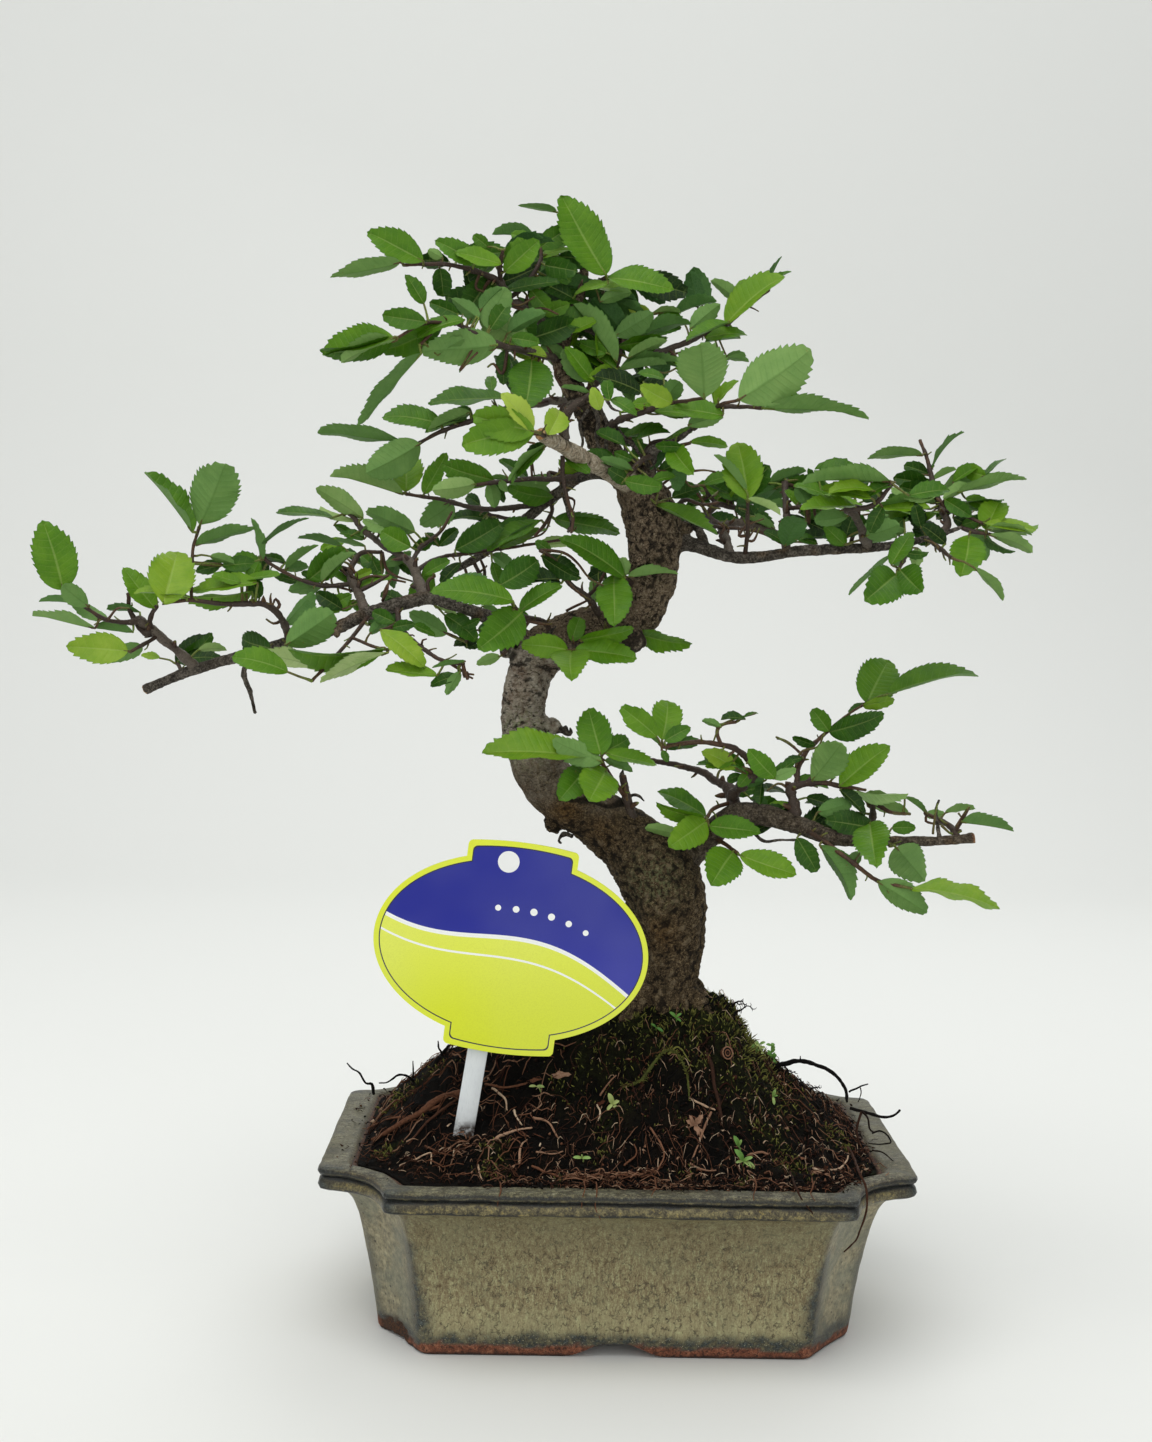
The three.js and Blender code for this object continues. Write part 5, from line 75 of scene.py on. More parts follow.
# shoots: (stems as x, y, z, radius; leaves as the place on the stem, the base of the blade,
# the direction to its tip, the normal of its upper side, length, width, tone 0-9 (leaf colour with painted light and
# shade: dark for leaves in shade, light for lit ones), 1 if the upper side faces the front)
FOLIAGE = {
    "shoot_left_tip": ([
        [[-148.96, -9, 224.15, 2.1], [-153.36, -11.53, 228.62, 2], [-158.73, -14.13, 233.39, 1.9], [-163.37, -16.68, 237.78, 1.8], [-167.31, -19.12, 241.12, 1.3]],
        [[-166.08, -18.36, 240.08, 1.2], [-172.99, -22.49, 239.64, 0.8], [-178.26, -25.98, 241.22, 0.7], [-183.05, -28.49, 244.82, 0.6], [-187.79, -31, 248.38, 0.5]],
        [[-162.66, -16.28, 237.1, 0.9], [-162.26, -21.96, 241.21, 0.8], [-159.02, -26.24, 245.31, 0.7]],
        [[-160.75, -15.24, 235.29, 0.8], [-164.97, -21.7, 231.97, 0.7], [-168.52, -23.95, 229.55, 0.5]],
    ], [
        [-187.8, -31, 248.4, -188.7, -33.9, 250, -0.268, -0.1, 0.958, 0.257, -0.966, -0.029, 24, 14.3, 5, 1],
        [-182.2, -28.1, 244.2, -181.3, -30.2, 244.8, -0.553, -0.623, 0.553, -0.595, 0.76, 0.262, 12.2, 7.4, 4, 0],
        [-184.4, -29.2, 245.8, -184.5, -28.1, 246.1, -0.995, -0.091, 0.029, -0.005, 0.359, 0.934, 13.5, 6.9, 3, 0],
        [-176.3, -24.7, 240.6, -176.7, -22.5, 240.9, -0.896, -0.172, 0.41, -0.411, 0.672, -0.616, 12.7, 6.5, 4, 0],
        [-178.3, -26, 241.2, -180.6, -23.2, 237.5, -0.974, 0.105, 0.203, 0.226, 0.298, 0.928, 23, 11.2, 5, 0],
        [-168.6, -19.9, 239.9, -168.5, -19.7, 236.3, -0.994, 0, 0.112, 0.085, 0.652, 0.754, 13, 6.5, 4, 0],
        [-166.3, -18.5, 240.1, -166.9, -16.3, 243.2, -0.976, 0.197, 0.095, 0.182, 0.489, 0.853, 12.2, 5.7, 3, 0],
        [-168.5, -24, 229.6, -168.6, -26.7, 229.9, -0.991, -0.117, 0.065, 0.131, -0.949, 0.287, 20.5, 10.5, 7, 1],
        [-165.1, -21.8, 231.9, -165.5, -19.1, 231.6, -0.898, 0.068, -0.436, -0.182, 0.842, 0.508, 13.1, 6.4, 4, 0],
        [-159.7, -25.4, 244.5, -159.7, -26.2, 244.6, -0.625, 0, 0.781, 0.413, -0.849, 0.33, 17.4, 8.8, 6, 1],
        [-159, -26.2, 245.3, -159.1, -24.3, 246.7, -0.944, 0.242, 0.225, -0.091, -0.844, 0.528, 9.9, 4.6, 7, 1],
        [-151.4, -10.4, 226.7, -148.4, -8.6, 230.4, 0.97, 0.241, 0.015, -0.18, 0.679, 0.712, 9.9, 5, 7, 0],
    ]),
    "shoot_left_outer": ([
        [[-115.73, -14, 233.86, 1.5], [-116.98, -22.6, 240.72, 1.4], [-119.25, -25.9, 244.39, 1.3], [-123.16, -29.13, 246.65, 1.1], [-133.2, -33.19, 246.41, 0.9], [-140.79, -37.27, 246.88, 0.8], [-145.53, -38.51, 247.43, 0.7], [-152.63, -42.49, 246.26, 0.5]],
        [[-144.91, -38.35, 247.36, 0.6], [-146.3, -33.1, 254.16, 0.6], [-146.59, -30.17, 260.92, 0.6], [-146.18, -29.06, 265.99, 0.5], [-144.57, -29, 271.71, 0.5]],
    ], [
        [-152.6, -42.5, 246.3, -152.9, -45.7, 245.9, 0.076, 0.626, 0.776, 0.313, -0.754, 0.578, 23.5, 15.1, 7, 1],
        [-126.3, -30.4, 246.6, -126.5, -29.5, 250.6, -0.994, -0.043, -0.101, 0.11, -0.387, -0.915, 24.7, 12.5, 6, 1],
        [-144.6, -29, 271.7, -143.8, -31.4, 272.6, 0.398, -0.622, 0.674, 0.098, 0.76, 0.643, 28.2, 16.1, 5, 0],
        [-145.1, -29, 269.9, -146.4, -29.9, 270.3, -0.635, 0, 0.772, 0.741, -0.28, 0.61, 25.5, 12.8, 5, 1],
        [-146.1, -29.1, 266.2, -145.7, -28.1, 266, 0.955, 0, 0.297, -0.281, 0.316, 0.906, 21.7, 10.9, 4, 0],
        [-146.6, -30.5, 260.1, -137.1, -26.8, 259.9, -0.928, 0.242, -0.283, 0.036, 0.814, 0.579, 9.9, 4.6, 3, 0],
        [-129.1, -31.5, 246.5, -129.2, -31.5, 254.5, 0.984, 0, 0.179, -0.158, -0.471, 0.868, 12.6, 6.3, 5, 1],
        [-116.8, -21.2, 239.6, -116.9, -18, 239.7, 0.625, 0.173, 0.761, 0.297, 0.849, -0.436, 15.1, 7.5, 3, 0],
    ]),
    "shoot_left_outer_low": ([
        [[-153.8, -9, 221.97, 0.8], [-157.42, 2, 225.14, 0.7]],
    ], [
        [-157.4, 2, 225.1, -164.5, 5.4, 227.1, -0.943, 0.312, 0.115, -0.175, -0.761, 0.624, 7.7, 3.4, 7, 1],
        [-157.4, 2, 225.1, -158.6, 4.1, 225.8, 0.784, 0.04, 0.619, 0.48, -0.671, -0.566, 16.4, 8.2, 3, 1],
        [-157.4, 2, 225.1, -157.3, 1.5, 226.2, 0.996, 0, 0.087, -0.056, -0.767, 0.639, 15.6, 7.8, 2, 1],
    ]),
    "shoot_left_underside": ([
        [[-125.65, -12, 230.2, 0.9], [-121.76, -24, 231.13, 0.7]],
    ], [
        [-121.8, -24, 231.1, -120.7, -26.3, 231.9, -0.699, 0.693, 0.176, -0.694, -0.717, 0.068, 17.4, 8.8, 2, 1],
    ]),
    "shoot_left_mid": ([
        [[-90.04, -14, 245.39, 1.9], [-93.83, -5.08, 252.36, 1.8], [-96.9, 0.11, 256.96, 1.5], [-96.36, 7.52, 262.48, 1.1], [-93.96, 11.41, 265.87, 0.8], [-87.1, 14.43, 266.47, 0.6]],
        [[-95.44, -2.35, 254.77, 0.9], [-105.04, -4.85, 253.54, 0.8], [-112.01, -5.02, 255.14, 0.7], [-117.92, -5.33, 257.46, 0.6], [-125.81, -4.2, 262.21, 0.6], [-127.3, -4, 267.41, 0.5]],
    ], [
        [-125.9, -4.2, 262.7, -136.1, -1.1, 260, -0.932, 0.21, 0.296, 0.136, -0.553, 0.822, 11.4, 5.4, 5, 1],
        [-124.9, -4.3, 261.7, -127.5, -2.2, 258.1, -0.809, 0.427, 0.403, -0.304, -0.892, 0.335, 13.9, 7.7, 4, 1],
        [-125.9, -4.2, 262.6, -127.1, -4.9, 262.2, -0.243, 0, 0.97, 0.815, 0.542, 0.204, 15, 7.5, 3, 0],
        [-127.3, -4, 267.4, -127.1, -5, 267.4, 0.845, 0, 0.534, -0.531, 0.109, 0.84, 18.8, 9.4, 3, 0],
        [-120.6, -4.9, 259.1, -119.3, -3, 261.7, -0.937, 0.267, 0.224, -0.001, -0.646, 0.764, 9, 4.2, 3, 1],
        [-105, -4.8, 253.5, -106, -4.9, 245.1, 0.874, 0, 0.486, 0.031, -0.998, -0.057, 11.9, 6.3, 5, 1],
        [-100.8, -3.8, 254.1, -100.1, -1.4, 245.3, 0.773, 0.349, 0.53, 0.327, -0.935, 0.138, 6.9, 3.5, 6, 1],
        [-111.1, -5, 254.9, -111.1, -4, 255.5, 0.746, 0, 0.666, 0.068, -0.995, -0.077, 17.1, 9.4, 4, 1],
        [-106.4, -4.9, 253.8, -105.9, -6.7, 254.9, 0.731, -0.151, 0.665, -0.528, 0.493, 0.692, 15.9, 7.8, 5, 0],
        [-119.3, -5.1, 258.3, -119.1, -4.4, 258.9, 0.787, 0, 0.617, -0.591, 0.284, 0.755, 14.5, 7.2, 4, 0],
        [-95.6, 8.8, 263.6, -100.9, 9.2, 268.1, -0.984, 0, 0.181, 0.17, 0.339, 0.925, 16, 8, 3, 0],
        [-92.8, 11.9, 266, -93.2, 14.2, 268.5, -0.962, 0.209, 0.177, 0.244, 0.364, 0.899, 11.5, 5.5, 4, 0],
        [-87.5, 14.3, 266.4, -87.1, 16.1, 259, -0.668, 0.528, 0.525, -0.386, -0.848, 0.362, 12.5, 6.5, 3, 1],
        [-95.4, -2.4, 254.8, -95.5, -0.1, 257, 0.861, 0.341, 0.376, 0.338, -0.938, 0.076, 7, 3.9, 7, 1],
        [-87.3, 14.3, 266.5, -87.4, 18.5, 261.9, 0.91, -0.065, 0.409, 0.323, 0.73, -0.602, 11.9, 5.9, 4, 0],
        [-96.9, -2.7, 254.6, -96.7, -0.8, 251.7, 0.93, 0.085, 0.357, -0.269, -0.502, 0.822, 15.7, 7.8, 5, 1],
    ]),
    "shoot_left_inner": ([
        [[-69.72, -10, 250.66, 2.4], [-72.83, -1.84, 256.33, 2.1], [-75.62, 6.13, 261.78, 1.9], [-79.83, 13.59, 265.15, 1.6], [-86.73, 21.84, 268.58, 1.3], [-90.99, 28, 271.67, 1.2], [-96.48, 34.65, 275.18, 1.1], [-99.64, 39.51, 279.44, 1], [-102.76, 43.89, 282.23, 0.9]],
        [[-74.23, 2.16, 259.05, 1], [-69.62, 11.6, 263.14, 0.9], [-63.98, 18.67, 265.65, 0.8], [-52.33, 24.98, 267.56, 0.7], [-37.89, 31.24, 270.29, 0.6], [-23.19, 36, 273, 0.5]],
        [[-75.97, 6.75, 262.06, 0.9], [-73.63, 16.52, 268.26, 0.8], [-67.01, 24.56, 274.53, 0.7], [-63.11, 30.87, 282.25, 0.5]],
    ], [
        [-96.6, 34.9, 275.4, -103, 37.3, 271.5, -0.905, 0.228, -0.36, -0.274, -0.958, 0.082, 10.5, 5, 6, 1],
        [-102.8, 43.9, 282.2, -108.3, 43.5, 280.2, -0.998, 0, 0.067, 0.062, -0.393, 0.918, 21.4, 10.7, 3, 1],
        [-98.8, 38.2, 278.3, -96.4, 37.4, 279.8, -0.853, 0, 0.522, 0.361, 0.723, 0.59, 20.6, 10.3, 7, 0],
        [-99, 38.5, 278.5, -99.4, 44.1, 279, -0.905, 0.298, 0.303, -0.182, 0.372, -0.91, 16, 7.3, 8, 0],
        [-72.1, 18.4, 269.7, -75.6, 18.2, 274, -0.92, 0, 0.391, 0.248, 0.773, 0.584, 19.3, 9.7, 5, 0],
        [-73.6, 16.5, 268.3, -79.6, 23, 274.6, -0.964, 0.133, 0.23, -0.118, 0.563, -0.818, 16.5, 8.1, 6, 0],
        [-74.1, 14.7, 267.1, -76.5, 11.7, 268.4, -0.801, 0.438, 0.407, -0.39, -0.899, 0.198, 14.2, 8.9, 5, 1],
        [-73.9, 15.2, 267.4, -76.3, 18, 268.6, 0.786, 0.548, 0.287, 0.588, -0.806, -0.072, 8.7, 5.1, 3, 1],
        [-73.3, 4.1, 259.9, -71.9, 5, 257.9, 0.859, 0, 0.511, -0.228, -0.895, 0.383, 11.4, 5.7, 4, 1],
        [-69.5, 21.6, 272.2, -67.3, 24.2, 269.4, 0.698, 0.25, 0.671, 0.231, -0.966, 0.119, 9.6, 5.1, 2, 1],
        [-60.9, 20.3, 266.1, -61.2, 20.9, 268, 0.858, 0, 0.513, -0.013, -1, 0.022, 19.7, 9.8, 3, 1],
        [-48.3, 26.7, 268.3, -48.8, 26.3, 271, 0.894, 0, 0.448, -0.3, -0.743, 0.598, 18.6, 9.3, 3, 1],
        [-45, 28.2, 268.9, -45.1, 27.3, 269.6, 0.92, 0, 0.392, -0.326, -0.554, 0.766, 18.6, 9.3, 6, 1],
        [-23.2, 36, 273, -19.1, 39.6, 272.1, -0.976, 0.179, -0.123, 0.02, 0.639, 0.769, 13.4, 6.6, 8, 0],
    ]),
    "shoot_left_hanging": ([
        [[-78.86, -12, 247, 1.2], [-77.74, -20.4, 241.48, 0.9], [-74.13, -26.37, 236.81, 0.8], [-68.03, -30.35, 232.24, 0.8], [-60.99, -34.52, 228.42, 0.7], [-54.8, -38, 228.27, 0.6]],
        [[-77.19, -21.29, 240.78, 0.6], [-80.77, -28.21, 239.39, 0.6], [-82.75, -32.18, 238.69, 0.5]],
    ], [
        [-78.4, -23.7, 240.3, -78.8, -24.4, 241.5, -0.876, 0.331, 0.35, -0.294, -0.943, 0.155, 9.3, 5.4, 3, 1],
        [-79.7, -26.2, 239.8, -79.6, -26.7, 239.4, 0.982, 0, 0.19, 0.002, -1, -0.013, 7.9, 4.1, 3, 1],
        [-82.7, -32.2, 238.7, -82.7, -35.8, 238.7, 0.782, -0.122, -0.611, 0.335, -0.744, 0.578, 19.6, 9.7, 7, 1],
        [-61, -34.5, 228.4, -63.4, -38.2, 224.1, -0.983, -0.141, 0.121, 0.177, -0.509, 0.843, 17.1, 8.6, 6, 1],
        [-56.3, -37.2, 228.3, -56.5, -36.6, 223.9, -0.935, 0, -0.354, -0.211, -0.802, 0.558, 9.9, 5, 3, 1],
        [-55.7, -37.5, 228.3, -55.7, -38.2, 225.3, -0.505, 0, -0.863, -0.414, 0.877, 0.243, 9, 4.5, 5, 0],
        [-54.8, -38, 228.3, -54, -40.9, 229, -0.969, -0.156, -0.194, -0.181, -0.09, 0.979, 11.1, 5.6, 3, 1],
    ]),
    "shoot_left_front": ([
        [[-88.3, -14, 244.04, 0.8], [-93.62, -27.35, 235.09, 0.7], [-99.25, -35.91, 227.72, 0.6], [-104.38, -42, 221.46, 0.5]],
        [[-93.14, -26.14, 235.9, 0.6], [-85.47, -34.47, 233.3, 0.6], [-79.64, -39.67, 232.15, 0.5]],
    ], [
        [-104.4, -42, 221.5, -111.9, -44.9, 224.4, -0.961, -0.128, 0.247, 0.242, -0.823, 0.514, 18.8, 9.5, 5, 1],
        [-101.7, -38.8, 224.7, -102.9, -38.2, 225.7, -0.981, 0, 0.194, 0.151, 0.626, 0.765, 20.3, 10.2, 8, 0],
        [-80.8, -38.6, 232.4, -80.4, -42.9, 232.8, -0.999, 0.006, -0.05, 0.042, -0.451, -0.892, 32, 15.4, 5, 1],
        [-79.6, -39.7, 232.1, -79.4, -42.2, 231.5, -0.902, -0.098, -0.42, -0.427, 0.354, 0.832, 24.4, 12.3, 8, 0],
    ]),
    "shoot_left_base_low": ([
        [[-52.89, -4, 245.13, 0.9], [-53.64, -0.83, 239.16, 0.8], [-55.82, 2, 234.86, 0.6]],
    ], [
        [-55.8, 2, 234.9, -62.6, 2.9, 237.6, -0.875, 0, 0.485, -0.016, 0.999, -0.029, 15.5, 7.8, 4, 0],
        [-53, -3.6, 244.3, -63.3, -0.2, 245.3, 0.949, 0.263, 0.175, -0.302, 0.597, 0.743, 9.1, 4.5, 6, 0],
        [-54.7, 0.5, 237.2, -50.9, 3.2, 235.3, -0.958, 0.238, -0.161, -0.285, -0.853, 0.438, 10.1, 4.8, 1, 1],
        [-53.1, -3, 243.3, -50.7, -6.6, 243.1, -0.895, -0.041, -0.445, 0.248, -0.874, -0.417, 7.3, 3.7, 3, 1],
    ]),
    "shoot_left_knot": ([
        [[-116.42, -14, 233.51, 0.8], [-114.24, -34, 233.41, 0.6]],
    ], [
        [-114.2, -34, 233.4, -113.8, -36.8, 233.1, 0.78, -0.337, 0.527, 0.236, 0.939, 0.251, 21.4, 12, 4, 0],
    ]),
    "shoot_trunk_bend_left": ([
        [[-26.15, -2, 238.99, 1.1], [-27.94, -7.9, 242.46, 1], [-35.1, -19.42, 244.36, 0.8], [-38.39, -28, 247.63, 0.6]],
        [[-32.73, -15.55, 243.73, 0.7], [-37.81, -13.76, 236.05, 0.6], [-42.53, -14.62, 230.79, 0.5]],
    ], [
        [-38.4, -28, 247.6, -38.7, -31.1, 249.3, -0.991, -0.086, 0.099, 0.131, -0.686, 0.715, 28, 13.8, 5, 1],
        [-42.5, -14.6, 230.8, -43.2, -14.2, 230.4, -0.943, 0, -0.334, -0.163, 0.873, 0.46, 8.7, 4.4, 6, 0],
        [-38.4, -28, 247.6, -43.2, -27.7, 254.6, 0.719, 0.472, 0.511, 0.407, -0.881, 0.242, 17.5, 10.5, 3, 1],
        [-36.6, -23.3, 245.8, -36.4, -22.8, 246, 0.841, 0, 0.542, -0.365, -0.74, 0.566, 16.8, 8.4, 4, 1],
        [-36.1, -22, 245.3, -35.7, -24.2, 245.7, -0.602, -0.59, -0.538, 0.453, -0.807, 0.378, 23.5, 13.6, 5, 1],
    ]),
    "shoot_back_left_upper": ([
        [[-16.38, 22, 295.31, 1.2], [-27.24, 19.13, 294.14, 1.1], [-36.25, 17.57, 293.84, 0.9], [-45.25, 17.82, 292.6, 0.8], [-53.89, 18, 291.37, 0.6]],
    ], [
        [-47.3, 17.9, 292.3, -47.5, 19.5, 293.4, -0.958, 0.091, 0.273, -0.167, -0.949, -0.269, 20.2, 10, 4, 1],
        [-53.9, 18, 291.4, -54.1, 15.5, 291.5, -0.974, -0.153, -0.168, -0.164, 0.985, 0.053, 15.7, 7.9, 7, 0],
        [-41.6, 17.7, 293.1, -41.7, 21.5, 293.7, -0.946, 0.309, 0.098, 0.251, 0.507, 0.824, 7.8, 3.6, 5, 0],
        [-48.7, 17.9, 292.1, -49, 20.5, 293.1, 0.201, -0.087, -0.976, 0.014, 0.996, -0.086, 10, 5.8, 5, 0],
        [-45.2, 17.8, 292.6, -45.1, 14.2, 293, 0.483, 0.394, -0.782, -0.238, 0.919, 0.315, 5.2, 3.2, 5, 0],
        [-21.8, 20.6, 294.7, -21.8, 22.9, 294.5, -0.982, 0.184, 0.05, -0.03, -0.408, 0.913, 13, 6.4, 2, 1],
        [-16.4, 22, 295.3, -12.7, 25.6, 295.3, -0.881, 0.034, 0.473, -0.357, -0.704, -0.614, 13.4, 6.7, 7, 1],
    ]),
    "shoot_back_left_long": ([
        [[-28.99, 34, 286.43, 1.2], [-41.92, 35.13, 284.4, 1.1], [-54.91, 36.15, 284.2, 1], [-66.09, 36.58, 286.96, 0.8], [-73.54, 36.87, 287.94, 0.7], [-80.68, 38, 288.98, 0.6]],
    ], [
        [-63, 36.5, 286.2, -63.2, 37.4, 286, -0.727, 0.519, -0.45, 0.388, 0.851, 0.355, 17.6, 10.4, 4, 0],
        [-80.7, 38, 289, -80.7, 37.8, 289.7, -0.113, 0.639, 0.761, 0.001, -0.765, 0.644, 22, 12.6, 6, 1],
        [-80.7, 38, 289, -81.8, 37.4, 288.9, -0.966, 0, 0.26, 0.249, 0.284, 0.926, 27.7, 13.7, 6, 0],
        [-74.1, 37, 288, -73.9, 36.2, 289, 0.476, 0, 0.879, -0.499, -0.823, 0.271, 17.4, 8.7, 5, 1],
        [-53.1, 36, 284.2, -53.2, 39.3, 285.5, -0.555, 0.746, 0.368, -0.647, -0.665, 0.372, 10.1, 4.8, 2, 1],
    ]),
    "shoot_back_left_low": ([
        [[-27.17, 32, 288.17, 0.9], [-26.32, 26, 282.69, 0.8], [-28.75, 20, 277.95, 0.7], [-32.25, 16, 273.36, 0.5]],
    ], [
        [-27.2, 32, 288.2, -26.1, 26.5, 288.2, -0.96, -0.219, 0.173, 0.05, -0.745, -0.665, 17.5, 8.6, 4, 1],
        [-27.2, 23.8, 281, -25.5, 26.2, 280.2, 0.974, -0.157, -0.165, 0.012, -0.687, 0.726, 24.8, 12.3, 4, 1],
    ]),
    "shoot_back_left_end": ([
        [[-36.34, 38, 280.24, 0.9], [-43.85, 40.29, 280.96, 0.8], [-50.27, 42, 282.42, 0.6]],
    ], [
        [-50.3, 42, 282.4, -52.2, 43.9, 281, -0.981, 0.173, -0.091, -0.177, -0.594, 0.785, 13.9, 6.8, 2, 1],
        [-46.5, 41, 281.6, -47, 46.5, 280.5, -0.92, 0.19, 0.343, -0.357, -0.766, -0.534, 12.9, 6.3, 1, 1],
    ]),
    "shoot_front_upright": ([
        [[-21.19, -33, 300.55, 1.7], [-22.99, -39.47, 305.82, 1.5], [-22.43, -41.8, 310.49, 1.3], [-19.22, -42.69, 314.04, 1.1], [-14.36, -43.77, 316.62, 0.9], [-11.07, -44, 315.36, 0.7]],
    ], [
        [-11.1, -44, 315.4, -7.8, -44.4, 315.4, -0.127, 0.476, 0.87, -0.121, -0.878, 0.463, 8, 4.6, 4, 1],
        [-14.4, -43.8, 316.6, -14.4, -43.1, 317.7, -0.975, 0, 0.221, 0.21, 0.302, 0.93, 9.5, 4.7, 4, 0],
        [-11.1, -44, 315.4, -11.1, -47.1, 311.8, -0.353, -0.071, 0.933, -0.031, -0.996, -0.087, 7.8, 4.9, 8, 1],
    ]),
    "shoot_front_tip": ([
        [[-28.51, -46, 302.76, 1], [-30.37, -58, 302.81, 0.7]],
    ], [
        [-30.4, -58, 302.8, -32, -60, 303.2, -0.971, -0.101, -0.216, 0.12, -0.99, -0.078, 23.8, 12.1, 6, 1],
        [-30.4, -58, 302.8, -32.9, -61.4, 303.4, -0.645, -0.16, 0.747, 0.466, -0.858, 0.219, 15, 7.6, 9, 1],
        [-28.5, -46, 302.8, -27.8, -53.1, 302.7, 0.258, 0.703, 0.663, 0.433, -0.697, 0.571, 14.4, 8.4, 8, 1],
    ]),
    "shoot_front_side": ([
        [[-26.55, -42, 302.22, 0.9], [-27.87, -38.01, 301.59, 0.7], [-28.87, -34, 300.96, 0.5]],
    ], [
        [-28.7, -34.7, 301.1, -28.9, -35.5, 301.2, -0.715, 0, -0.699, -0.678, 0.244, 0.693, 16.9, 8.5, 5, 0],
        [-28.2, -36.7, 301.4, -28.6, -32.5, 302.1, -0.815, 0.456, -0.358, -0.401, -0.889, -0.22, 7.8, 3.7, 1, 1],
    ]),
    "shoot_right_inner_upper": ([
        [[36.31, -5, 267.11, 2], [35.56, 3.74, 273.42, 1.9], [34.6, 10.02, 277.61, 1.7], [40.64, 13.72, 279.36, 1.7], [47.65, 15.12, 278.49, 1.7], [54.53, 14.72, 275.74, 1.6], [58.09, 13.61, 272.17, 1]],
        [[34.67, 10.06, 277.63, 1.3], [30.38, 21.14, 282.08, 1.3], [34.53, 28.22, 286.59, 1.2], [41.04, 30.75, 285.78, 1], [47.42, 32, 286.72, 0.7]],
        [[34.53, 28.22, 286.59, 0.8], [30.3, 22.39, 290.12, 0.7], [28.36, 16.94, 292.58, 0.5]],
    ], [
        [28.4, 16.9, 292.6, 28.1, 17.9, 293, 0.953, 0.051, 0.299, -0.149, -0.78, 0.608, 11.7, 5.8, 4, 1],
        [31.8, 24.4, 288.9, 34.4, 28, 291.3, 0.964, 0.255, -0.08, 0.246, -0.964, -0.103, 9.4, 4.8, 3, 1],
        [33.4, 26.7, 287.5, 35.9, 32.6, 289.8, 0.967, 0.22, 0.132, 0.139, -0.882, 0.45, 11.3, 5.4, 1, 1],
        [47.4, 32, 286.7, 48.9, 31.8, 284.9, 0.461, -0.579, 0.673, 0.375, 0.814, 0.444, 15.6, 10, 2, 0],
        [30.3, 22.4, 290.1, 26.9, 25.4, 288.1, -0.684, 0.562, 0.464, -0.527, -0.822, 0.218, 10.8, 5.8, 3, 1],
        [30.5, 20.7, 281.9, 29.5, 23.7, 280.4, 0.984, 0.177, 0.029, 0.115, -0.748, 0.654, 13.6, 6.6, 2, 1],
        [51.7, 14.9, 276.9, 52.1, 19.3, 277, -0.886, 0.078, 0.457, -0.454, -0.347, -0.821, 11.5, 5.8, 5, 1],
    ]),
    "shoot_right_inner_back": ([
        [[41.27, -8, 266.75, 0.9], [40.9, -19.94, 275.17, 0.8], [39.45, -32, 283.89, 0.6]],
    ], [
        [39.5, -32, 283.9, 39.4, -32.1, 284.5, -0.158, 0.339, 0.927, -0.251, -0.922, 0.294, 21.9, 13.7, 6, 1],
        [39.5, -32, 283.9, 38.7, -32.3, 287.9, -0.671, 0, 0.741, 0.723, 0.219, 0.655, 15.9, 8, 5, 0],
        [39.5, -32, 283.9, 39.2, -34.2, 284.7, 0.893, -0.197, -0.404, 0.442, 0.227, 0.868, 12.2, 6.1, 8, 0],
        [40.2, -26, 279.5, 42.7, -24, 279.7, -0.863, 0.312, 0.397, -0.324, -0.945, 0.039, 7.7, 3.7, 1, 1],
    ]),
    "shoot_right_upright": ([
        [[54.83, -11, 267.95, 1.5], [56.25, -3.4, 276.3, 1.5], [56.46, 2.8, 284.37, 1.4], [56.64, 8.69, 291.84, 1.1], [57.08, 9.94, 294.42, 0.8]],
        [[56.46, 2.8, 284.37, 0.9], [60.64, -3.21, 284.43, 0.8], [71.05, -3.68, 286.35, 0.7], [80.84, -4, 285.83, 0.6]],
    ], [
        [56.8, 9.1, 292.8, 51, 12.7, 293.8, 0.926, 0.161, 0.342, -0.371, 0.562, 0.74, 14.9, 7.2, 4, 0],
        [55.3, -8.7, 270.5, 54.6, -12.2, 270.3, 0.171, -0.826, 0.537, 0.274, 0.564, 0.779, 17.8, 9.3, 1, 0],
        [55.6, -6.9, 272.4, 57.4, -3.1, 272.5, 0.98, 0.16, 0.12, -0.023, -0.507, 0.862, 15, 7.2, 1, 1],
        [71.3, -3.7, 286.3, 71.4, -3.2, 287.8, -0.951, 0, 0.31, 0.223, -0.696, 0.683, 13.8, 6.9, 5, 1],
        [79.7, -4, 285.9, 80.6, -1.3, 296.8, -0.98, 0.162, 0.112, -0.029, -0.681, 0.732, 14.8, 7.4, 4, 1],
        [60.6, -3.2, 284.4, 61.1, 0.3, 284.3, -0.604, 0.281, 0.746, 0.143, -0.882, 0.448, 8.5, 4.1, 5, 1],
    ]),
    "shoot_right_mid": ([
        [[82.94, -15, 270.41, 1.9], [79.2, -24.34, 275.71, 1.7], [75.11, -32.19, 280.25, 1.5], [72.09, -36.17, 281.95, 1.2], [79.64, -40.77, 282.81, 0.9], [85.49, -44, 289.92, 0.6]],
    ], [
        [81, -19.8, 273.1, 74.5, -20.6, 270.7, -0.588, 0.644, 0.489, -0.481, -0.765, 0.428, 8.7, 6.2, 4, 1],
        [85.5, -44, 289.9, 85.2, -43.5, 290.9, -1, 0, -0.009, -0.009, 0.156, 0.988, 29, 14.2, 5, 0],
        [82.1, -42.1, 285.8, 79.1, -45.2, 287.7, -0.985, -0.156, -0.073, 0.031, -0.579, 0.815, 15.3, 7.4, 7, 1],
        [74.9, -37.9, 282.3, 74.4, -40.5, 282.7, -0.99, -0.126, -0.062, 0.017, -0.544, 0.839, 19, 9.3, 6, 1],
